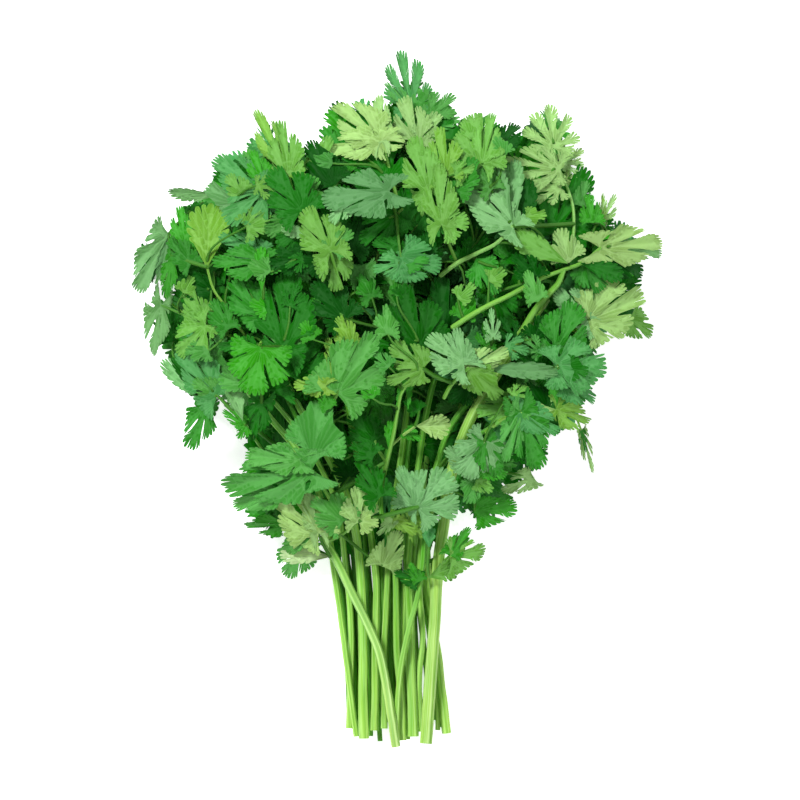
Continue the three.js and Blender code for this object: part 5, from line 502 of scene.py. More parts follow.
  ("T", "b", [68.46,9.18,66.32], [15.48,-10.32,-13.19], [0.614,-0.082,0.785], 15, 0.08, -0.045),
  ("F", "k", [57.72,25.53,61.33], [9.03,9.46,-3.35], [0.335,0.014,0.942], 15.9, 0.06, -0.061),
  ("D", "b", [44.82,23.37,69.94], [10.75,-3.01,-2.92], [0.236,-0.097,0.967], 11.2, 0.14, -0.082),
  ("D", "v", [37.5,21.23,58.37], [-1.72,12.04,3.5], [0.444,-0.191,0.875], 9.4, 0.13, 0.010),
  ("D", "k", [49.11,25.53,67.12], [-6.45,9.46,2.04], [0.216,-0.062,0.974], 11.3, 0.14, -0.077),
  ("D", "m", [59.86,20.37,62], [-8.6,6.88,3.3], [0.273,-0.117,0.955], 9.5, 0.13, -0.021),
 ], [
  (0.99, 0.86, 1, [63.3,-5.4,36.7,65,3.2,49.2,67,13.1,68.8]),
  (0.95, 0.86, 1, [42.7,-17.5,38,50.2,-10.9,42.7,59.2,-6.9,47.1,65.1,0.2,54.8,67,13.1,68.8]),
  (0.8, 0.5, 0, [67,13.1,68.8,69.2,14.6,67.7]),
  (0.8, 0.5, 0, [67,13.1,68.8,70.3,8.1,65.3]),
  (0.8, 0.5, 0, [67,14.4,69.2,67,18.4,63.8,68,23.2,59.3]),
  (0.8, 0.5, 0, [67,18.4,63.8,58.9,21.2,62.9]),
  (0.8, 0.5, 0, [60,20.3,62.4,58.9,26.6,61.4]),
  (0.8, 0.5, 0, [57.9,25.5,61.8,53,25.4,65.1,48.4,26.7,67.8]),
  (0.8, 0.5, 0, [49.2,25.5,67.6,46.3,22.9,70]),
  (0.8, 0.5, 0, [44.9,23.3,70.4,39.6,27.4,70.2]),
  (0.8, 0.5, 0, [39.7,25.9,70.1,38.6,22.9,63.5,37.5,22.6,59.2]),
 ]),
 ("leaf_16", "visible", "leaf_light", [
  ("O", "p", [48.4,74.12,70.94], [-11.75,32.68,-9.06], [-0.613,-0.002,0.79], 13.5, 0.09, 0.001),
  ("T", "p", [48.4,74.12,70.94], [-22.07,16.34,-4.41], [-0.043,0.206,0.978], 18.2, 0.07, -0.008),
  ("O", "p", [48.4,74.12,70.94], [-0.14,29.67,-10.98], [-0.506,0.297,0.81], 10.7, 0.13, -0.049),
  ("O", "k", [55.57,71.97,65.62], [-2.15,23.22,-0.42], [-0.263,-0.007,0.965], 8.9, 0.08, -0.084),
  ("P", "l", [65.88,108.08,44.75], [-1.72,19.78,-8.23], [0.306,0.388,0.869], 26.3, 0.13, -0.033),
  ("P", "l", [68.46,98.63,51.16], [-24.08,4.73,4.38], [0.221,0.257,0.941], 19.8, 0.07, -0.013),
  ("P", "l", [68.9,90.88,50.36], [-16.77,-1.72,5.39], [0.284,0.181,0.942], 13.9, 0.11, -0.034),
  ("D", "l", [69.54,101.63,44.37], [8.81,6.02,-9.21], [0.502,0.421,0.756], 9.5, 0.15, 0.020),
  ("D", "l", [69.54,101.63,44.37], [9.67,-0.43,-3.7], [0.351,0.322,0.879], 9.1, 0.07, -0.041),
  ("D", "l", [71.05,94.33,44.18], [5.16,2.58,-2.74], [0.364,0.231,0.902], 6.9, 0.15, -0.045),
 ], [
  (0.97, 0.56, 1, [72.8,59.1,45.6,73.9,67.3,46.6,74.5,75.5,47,73.9,83.8,47,71.4,91.6,47.2,68.1,99.2,46.8,65.9,107.6,44.8]),
  (1.18, 0.86, 1, [16.9,53,59.1,24.4,58.6,61.8,32.9,62.8,64.6,41.2,67.1,67.6,48.3,73.7,70.9]),
  (0.8, 0.5, 0, [48.3,73.7,70.9,46.2,75.8,70.9]),
  (0.8, 0.5, 0, [65.9,107.6,44.8,65.8,110.2,44.3]),
  (0.8, 0.5, 0, [68.1,99.2,46.8,70.7,102.5,43.7]),
  (0.8, 0.5, 0, [71.4,91.6,47.2,67.3,90.8,51.3]),
  (0.8, 0.5, 0, [68.1,99.2,46.8,66.2,99.2,52]),
  (0.8, 0.5, 0, [71.4,91.6,47.2,72.4,95,44]),
  (0.8, 0.5, 0, [48.3,73.7,70.9,55.2,74.3,66]),
  (1, 1, 0, [74.5,75.5,47,61.4,74.6,58.9,48.3,73.7,70.9]),
 ]),
 ("leaf_17", "visible", "leaf_light", [
  ("T", "h", [17.51,74.76,80.23], [-1.93,26.45,-3.24], [-0.019,0.12,0.993], 17.2, 0.15, -0.051),
  ("T", "h", [17.51,74.76,80.23], [11.83,1.51,-1.36], [0.092,0.165,0.982], 18.3, 0.12, -0.016),
  ("O", "g", [16.86,84.86,62.88], [-2.58,-15.48,2.87], [0.076,0.17,0.983], 10.3, 0.12, -0.068),
  ("T", "h", [11.71,89.16,74.47], [-7.31,23.65,-5.72], [-0.354,0.115,0.928], 20.7, 0.12, -0.061),
  ("F", "y", [19.45,95.61,74.33], [-2.58,21.07,-10.18], [-0.301,0.385,0.873], 17.7, 0.14, 0.030),
  ("F", "h", [34.93,100.35,70.89], [-4.3,25.37,-19.26], [-0.034,0.601,0.799], 22.4, 0.1, -0.087),
  ("T", "h", [34.93,100.35,70.89], [4.73,23.65,-15.05], [0.024,0.533,0.846], 13.8, 0.12, 0.021),
  ("T", "k", [42.66,108.52,55.21], [7.74,10.75,-8.31], [0.069,0.578,0.813], 13.3, 0.07, -0.052),
  ("F", "g", [22.88,89.6,73.29], [9.89,13.76,-0.37], [-0.185,0.159,0.97], 15.1, 0.15, -0.042),
  ("O", "s", [22.88,89.6,73.29], [1.72,13.33,-2.55], [-0.168,0.206,0.964], 6.1, 0.07, -0.028),
  ("F", "m", [39.22,90.02,69.95], [-8.6,10.32,-1.27], [0.08,0.187,0.979], 13.1, 0.13, 0.009),
 ], [
  (0.86, 0.73, 1, [24.2,58.6,58,21,66,67.1,18.1,74.2,80.2]),
  (0.8, 0.5, 0, [18.1,74.2,80.2,17.3,77.5,80.4]),
  (0.8, 0.5, 0, [17.5,74.8,80.7,14.1,83.1,77.3,10.8,91.6,74.3]),
  (0.8, 0.5, 0, [11.5,89.2,74.9,16,93.2,74.7,19.1,97.9,73.7]),
  (0.8, 0.5, 0, [19.3,95.8,74.7,23.8,91,73.7]),
  (0.8, 0.5, 0, [22.8,89.7,73.7,29.7,96.3,72.1,34.5,103.1,69.3]),
  (0.8, 0.5, 0, [34.9,100.6,71.2,39.2,105,62.5,43.5,109.8,54.8]),
  (0.8, 0.5, 0, [34.9,100.6,71.2,37.6,94.4,70.8,38.3,91.3,70.2]),
  (0.8, 0.5, 0, [22.8,89.7,73.7,19.5,87.3,67.7,16.6,83.4,63.6]),
 ]),
 ("leaf_18", "visible", "leaf_mid", [
  ("O", "l", [6.54,-11.45,61.12], [15.05,0.43,-0.64], [0.049,-0.261,0.964], 11.6, 0.11, -0.004),
  ("T", "v", [1.38,-13.18,54.19], [7.31,-4.3,-1.33], [0.011,-0.277,0.961], 7.1, 0.14, -0.017),
  ("O", "v", [-5.49,-20.92,51.9], [1.29,12.04,3.43], [0.004,-0.274,0.962], 5.2, 0.08, 0.001),
  ("F", "s", [8.26,-5.44,54.43], [-6.45,6.02,1.41], [0.01,-0.218,0.976], 8.7, 0.09, 0.019),
 ], [
  (0.77, 0.65, 1, [-4.2,-20.1,43.4,0.6,-15.7,52.3,6.1,-11.7,61.1]),
  (0.8, 0.5, 0, [6.1,-11.7,61.1,8.1,-11.5,61.5]),
  (0.8, 0.5, 0, [0.6,-15.7,52.3,2.7,-14.1,54.4]),
  (0.8, 0.5, 0, [0.6,-15.7,52.3,-5.3,-19.6,52.7]),
  (0.8, 0.5, 0, [6.1,-11.7,61.1,7.4,-8.2,57.5,7.2,-4.5,55.1]),
 ]),
 ("leaf_19", "visible", "leaf_mid", [
  ("F", "b", [-59.68,62.5,66.15], [-18.49,7.74,-8.49], [-0.289,0.305,0.907], 13.1, 0.06, -0.098),
  ("T", "g", [-58.82,59.06,69.09], [-21.93,0,-7.92], [-0.339,0.027,0.94], 16.4, 0.09, 0.025),
  ("O", "v", [-59.68,46.17,72.76], [0,19.35,-2.84], [0.039,0.145,0.989], 6.9, 0.06, 0.015),
  ("F", "g", [-58.82,35.85,58.72], [-14.62,15.05,-5.17], [-0.119,0.218,0.969], 18.1, 0.12, -0.079),
 ], [
  (1.1, 0.8, 0, [-58.4,25.2,45.1,-58.3,28.9,50.5,-58.5,33.5,56.4,-60.3,37.4,58.6]),
  (0.8, 0.5, 0, [-58.9,35.9,59.2,-58.9,49.2,65.1,-61.2,59.1,68.7]),
  (0.8, 0.5, 0, [-59,59.1,69.5,-61.6,63.4,65.7]),
  (0.8, 0.5, 0, [-58.9,49.2,65.1,-59.7,48.2,72.9]),
 ]),
 ("leaf_20", "visible", "leaf_mid", [
  ("F", "v", [-59.68,22.51,74.52], [-3.44,-21.07,-2.96], [-0.193,-0.106,0.975], 27.9, 0.11, -0.022),
  ("F", "s", [-63.97,22.94,62.15], [-15.48,0,-7.12], [-0.418,-0.023,0.908], 8.6, 0.11, -0.043),
  ("T", "s", [-50.21,22.08,65.74], [2.58,33.11,-1.65], [-0.281,0.07,0.957], 28.7, 0.08, 0.012),
  ("F", "s", [-45.92,9.18,63.18], [12.04,20.64,-2.88], [0.187,0.028,0.982], 22.6, 0.16, -0.098),
  ("F", "m", [-42.9,22.94,65.93], [-15.91,8.6,-6.69], [-0.273,0.223,0.936], 13.8, 0.07, 0.024),
 ], [
  (0.73, 0.65, 1, [-61,14.3,46.3,-61,20.4,57.3,-59.9,24.5,74.5]),
  (0.8, 0.5, 0, [-59.9,24.5,74.5,-60.1,20.4,74.7]),
  (0.8, 0.5, 0, [-59.8,22.5,75,-54.3,22.8,69.9,-50.1,25.4,66]),
  (0.8, 0.5, 0, [-50.3,22.1,66.2,-44.6,23.9,65.7]),
  (0.8, 0.5, 0, [-50.3,22.1,66.2,-47.8,14.7,64.7,-44.6,11.3,63.3]),
  (0.8, 0.5, 0, [-61,20.4,57.3,-65.7,22.9,61.9]),
 ]),
 ("leaf_21", "visible", "leaf_light", [
  ("F", "k", [-23.55,34.13,69.46], [-14.19,16.34,-0.6], [0.069,0.097,0.993], 19.1, 0.06, -0.032),
  ("F", "k", [-2.48,29.82,55.45], [-7.31,12.9,-0.68], [-0.02,0.042,0.999], 17.2, 0.14, -0.023),
  ("T", "y", [-27.86,10.9,63.17], [-3.87,15.48,1.34], [-0.119,-0.115,0.986], 7.8, 0.11, -0.095),
  ("T", "s", [-28.71,4.89,60.9], [-2.15,13.76,0.93], [-0.05,-0.075,0.996], 6, 0.11, -0.029),
  ("F", "m", [-27.43,2.3,73.79], [16.77,25.8,1.01], [0.06,-0.078,0.995], 29.4, 0.12, -0.068),
  ("F", "y", [-20.98,22.94,69.94], [-6.02,12.9,1.91], [0.058,-0.12,0.991], 11.2, 0.16, 0.005),
  ("T", "y", [-32.16,5.74,75.13], [-14.19,0.43,-2.14], [-0.152,-0.161,0.975], 10.5, 0.16, -0.086),
  ("T", "v", [-30,-4.14,71.18], [-5.16,9.03,1.14], [-0.126,-0.195,0.973], 7.9, 0.06, 0.014),
 ], [
  (1.07, 0.99, 1, [-32.2,-6.7,52.4,-29.6,-2,62.2,-27.2,2.5,73.8]),
  (0.8, 0.5, 0, [-27.2,2.5,73.8,-25.7,4.9,74.3]),
  (0.8, 0.5, 0, [-27.2,2.5,73.8,-25,20.6,71.6,-24.9,35.8,69.8]),
  (0.8, 0.5, 0, [-23.5,34.2,69.9,-11.2,31.3,61.9,-3.2,31.2,55.8]),
  (0.8, 0.5, 0, [-25,20.6,71.6,-21.6,24.2,70.6]),
  (0.8, 0.5, 0, [-27.4,2.3,74.2,-33.7,5.7,75.3]),
  (0.8, 0.5, 0, [-29.6,-2,62.2,-29,6.3,61.5]),
  (0.8, 0.5, 0, [-28.7,4.9,61.4,-28.3,12.4,63.8]),
  (0.8, 0.5, 0, [-27.4,2.3,74.2,-30.8,-2.9,71.8]),
 ]),
 ("leaf_22", "visible", "leaf_light", [
  ("T", "h", [-30,63.36,81.79], [-10.75,18.92,-1.07], [-0.124,-0.014,0.992], 21.6, 0.09, 0.018),
  ("T", "m", [-30,63.36,81.79], [9.46,8.6,-0.86], [-0.048,0.151,0.987], 12.2, 0.1, 0.011),
  ("O", "p", [-37.75,69.82,78.74], [-13.76,3.87,-3.39], [-0.318,-0.362,0.876], 7.1, 0.09, -0.034),
  ("T", "h", [-29.14,62.5,77.18], [1.29,-16.34,-3.85], [0.163,-0.214,0.963], 17.4, 0.08, -0.045),
  ("F", "k", [-43.33,60.78,74.01], [-12.9,-3.01,-1.43], [-0.089,-0.088,0.992], 13.8, 0.12, 0.027),
  ("F", "k", [-34.74,59.06,75.41], [-9.46,-3.87,-0.35], [0.052,-0.215,0.975], 13.2, 0.14, -0.025),
  ("T", "m", [-16.68,58.21,64.12], [1.29,-16.77,0.28], [-0.076,0.011,0.997], 12.9, 0.09, -0.016),
  ("F", "k", [-20.98,63.36,66.6], [6.88,16.34,-0.65], [-0.065,0.067,0.996], 14.7, 0.15, -0.006),
 ], [
  (0.99, 0.86, 1, [-21,33.3,58.4,-24.1,43,64.3,-26.9,52.8,72.1,-30,62.9,81.8]),
  (0.8, 0.5, 0, [-30,62.9,81.8,-31.1,65.2,82.1]),
  (0.8, 0.5, 0, [-30,62.9,81.8,-28.9,60.8,77.2]),
  (0.8, 0.5, 0, [-26.9,52.8,72.1,-23.6,58.6,69.2,-20.3,65,67]),
  (0.8, 0.5, 0, [-21,63.4,67,-16.6,56.5,64.6]),
  (0.8, 0.5, 0, [-29.1,62.4,77.6,-36.1,58.4,75.8]),
  (0.8, 0.5, 0, [-34.7,59,75.8,-44.8,60.4,74.3]),
  (0.8, 0.5, 0, [-30.1,63.4,82.2,-34.4,66.9,80.5,-39.3,70,78.8]),
 ]),
 ("leaf_23", "visible", "leaf_mid", [
  ("T", "r", [-5.06,89.16,85.77], [-29.24,-3.01,-0.3], [-0.031,0.204,0.978], 22.9, 0.12, -0.032),
  ("T", "p", [-22.69,84.86,84.2], [-7.74,-9.03,0.65], [-0.099,0.156,0.983], 11.4, 0.15, -0.091),
  ("F", "s", [-1.63,79.71,66.34], [-15.91,-12.04,3.42], [0.161,0.067,0.985], 18.9, 0.07, -0.082),
  ("T", "s", [0.52,64.22,71.25], [-12.9,3.01,-0.64], [-0.025,0.107,0.994], 10.4, 0.06, -0.084),
  ("T", "b", [0.52,59.06,73.38], [-12.47,-3.87,-0.02], [-0.003,0.004,1], 12.9, 0.12, -0.065),
  ("T", "b", [-0.33,61.21,75.13], [18.06,-4.3,-4.5], [0.258,0.074,0.963], 21.7, 0.15, -0.078),
  ("F", "k", [8.26,59.06,67.69], [3.44,12.9,-0.8], [0.027,0.055,0.998], 12.9, 0.08, -0.057),
 ], [
  (0.77, 0.65, 1, [-10.7,59.1,49.9,-7.9,68.4,54.4,-3.7,77.2,59.8,0.7,81.8,66.3]),
  (0.8, 0.5, 0, [0.7,81.8,66.3,-3.1,78.5,67.1]),
  (0.8, 0.5, 0, [-1.5,79.7,66.8,-1,69.2,71.9,1.6,60.8,75.1]),
  (0.8, 0.5, 0, [-1.5,79.7,66.8,-3.8,85.2,78,-8,89,86.2]),
  (0.8, 0.5, 0, [-0.2,61.2,75.6,-0.9,58.6,73.8]),
  (0.8, 0.5, 0, [-0.2,61.2,75.6,-0.9,64.6,71.6]),
  (0.8, 0.5, 0, [0.5,59.1,73.8,5,59,70.6,8.7,60.5,68]),
  (0.8, 0.5, 0, [-5.1,89.3,86.2,-14.9,87.1,85.3,-23.7,83.8,84.7]),
 ]),
 ("leaf_24", "visible", "leaf_light", [
  ("F", "s", [8.26,22.51,66.59], [-7.74,27.52,10.6], [-0.095,-0.381,0.92], 28.9, 0.09, -0.074),
  ("F", "k", [18.59,22.08,57.62], [-1.72,30.96,0.92], [0.064,-0.026,0.998], 19.8, 0.05, 0.024),
  ("F", "v", [25.9,34.13,63.9], [4.73,12.04,-0.01], [0.118,-0.045,0.992], 12.1, 0.07, -0.081),
  ("O", "q", [33.21,13.48,65.88], [34.4,-1.72,6.59], [-0.194,-0.238,0.952], 8.4, 0.11, -0.028),
  ("T", "l", [28.04,12.63,71.97], [18.06,9.03,0.31], [0.1,-0.233,0.967], 14.2, 0.13, -0.062),
  ("F", "h", [28.9,13.48,74.68], [13.76,-12.9,-9.1], [0.149,-0.459,0.876], 15.8, 0.16, 0.019),
  ("T", "p", [27.18,14.78,74.09], [-15.91,12.04,1.56], [0.027,-0.093,0.995], 19.8, 0.07, -0.083),
  ("T", "p", [27.18,14.78,74.09], [-3.44,15.91,1.56], [-0.069,-0.112,0.991], 12.9, 0.12, 0.012),
  ("T", "h", [9.77,13.06,70.97], [-13.97,11.18,0.33], [-0.024,-0.059,0.998], 17.2, 0.15, -0.091),
  ("T", "h", [9.77,13.06,70.97], [-16.12,-5.59,1.65], [0.15,-0.145,0.978], 13.1, 0.15, 0.019),
  ("F", "b", [28.9,14.34,59.38], [-15.48,-5.16,0.41], [0.078,-0.157,0.984], 8.7, 0.08, -0.056),
  ("F", "k", [29.77,6.18,48.66], [-9.46,-7.31,-0.98], [0.076,-0.228,0.971], 15, 0.14, 0.017),
  ("T", "v", [1.81,4.89,61.01], [3.87,24.94,3.53], [0.028,-0.144,0.989], 9.5, 0.07, -0.072),
 ], [
  (1.18, 0.77, 1, [-11.5,-46.7,32.5,-9.1,-38.4,39.7,-6.7,-30,46.2,-4.6,-21.5,52.1,-2.7,-13,57.6,-1.2,-4.5,62.6,1,3.9,67,7.3,12.4,71]),
  (0.99, 0.86, 1, [18.6,0.6,56,22.4,7.1,64.3,27.6,12.8,72]),
  (0.8, 0.5, 0, [27.6,12.8,72,29.9,13.4,72.4]),
  (0.8, 0.5, 0, [7.3,12.4,71,8.4,14.2,71.5]),
  (0.8, 0.5, 0, [28.1,12.5,72.4,30.3,12,74.2]),
  (0.8, 0.5, 0, [29,13.3,75.1,25.6,15.9,74.7]),
  (0.8, 0.5, 0, [1,3.9,67,2.2,7.3,61.8]),
  (0.8, 0.5, 0, [27.6,12.8,72,36.6,13.2,67]),
  (0.8, 0.5, 0, [9.8,13,71.4,8.7,18.9,69.1,7.4,25.1,68.1]),
  (0.8, 0.5, 0, [8.2,22.3,67,14.2,22.5,61.9,18.4,25.2,58.2]),
  (0.8, 0.5, 0, [33.1,13.4,66.3,27.4,13.8,59.9]),
  (0.8, 0.5, 0, [28.9,14.3,59.8,29.8,9.8,53.7,28.6,5.2,49]),
  (0.8, 0.5, 0, [18.6,22.1,58.1,22.7,28.6,61.7,26.5,35.5,64.3]),
  (1, 1, 0, [7.3,12.4,71,14.8,9.8,67.6,22.4,7.1,64.3]),
 ]),
]
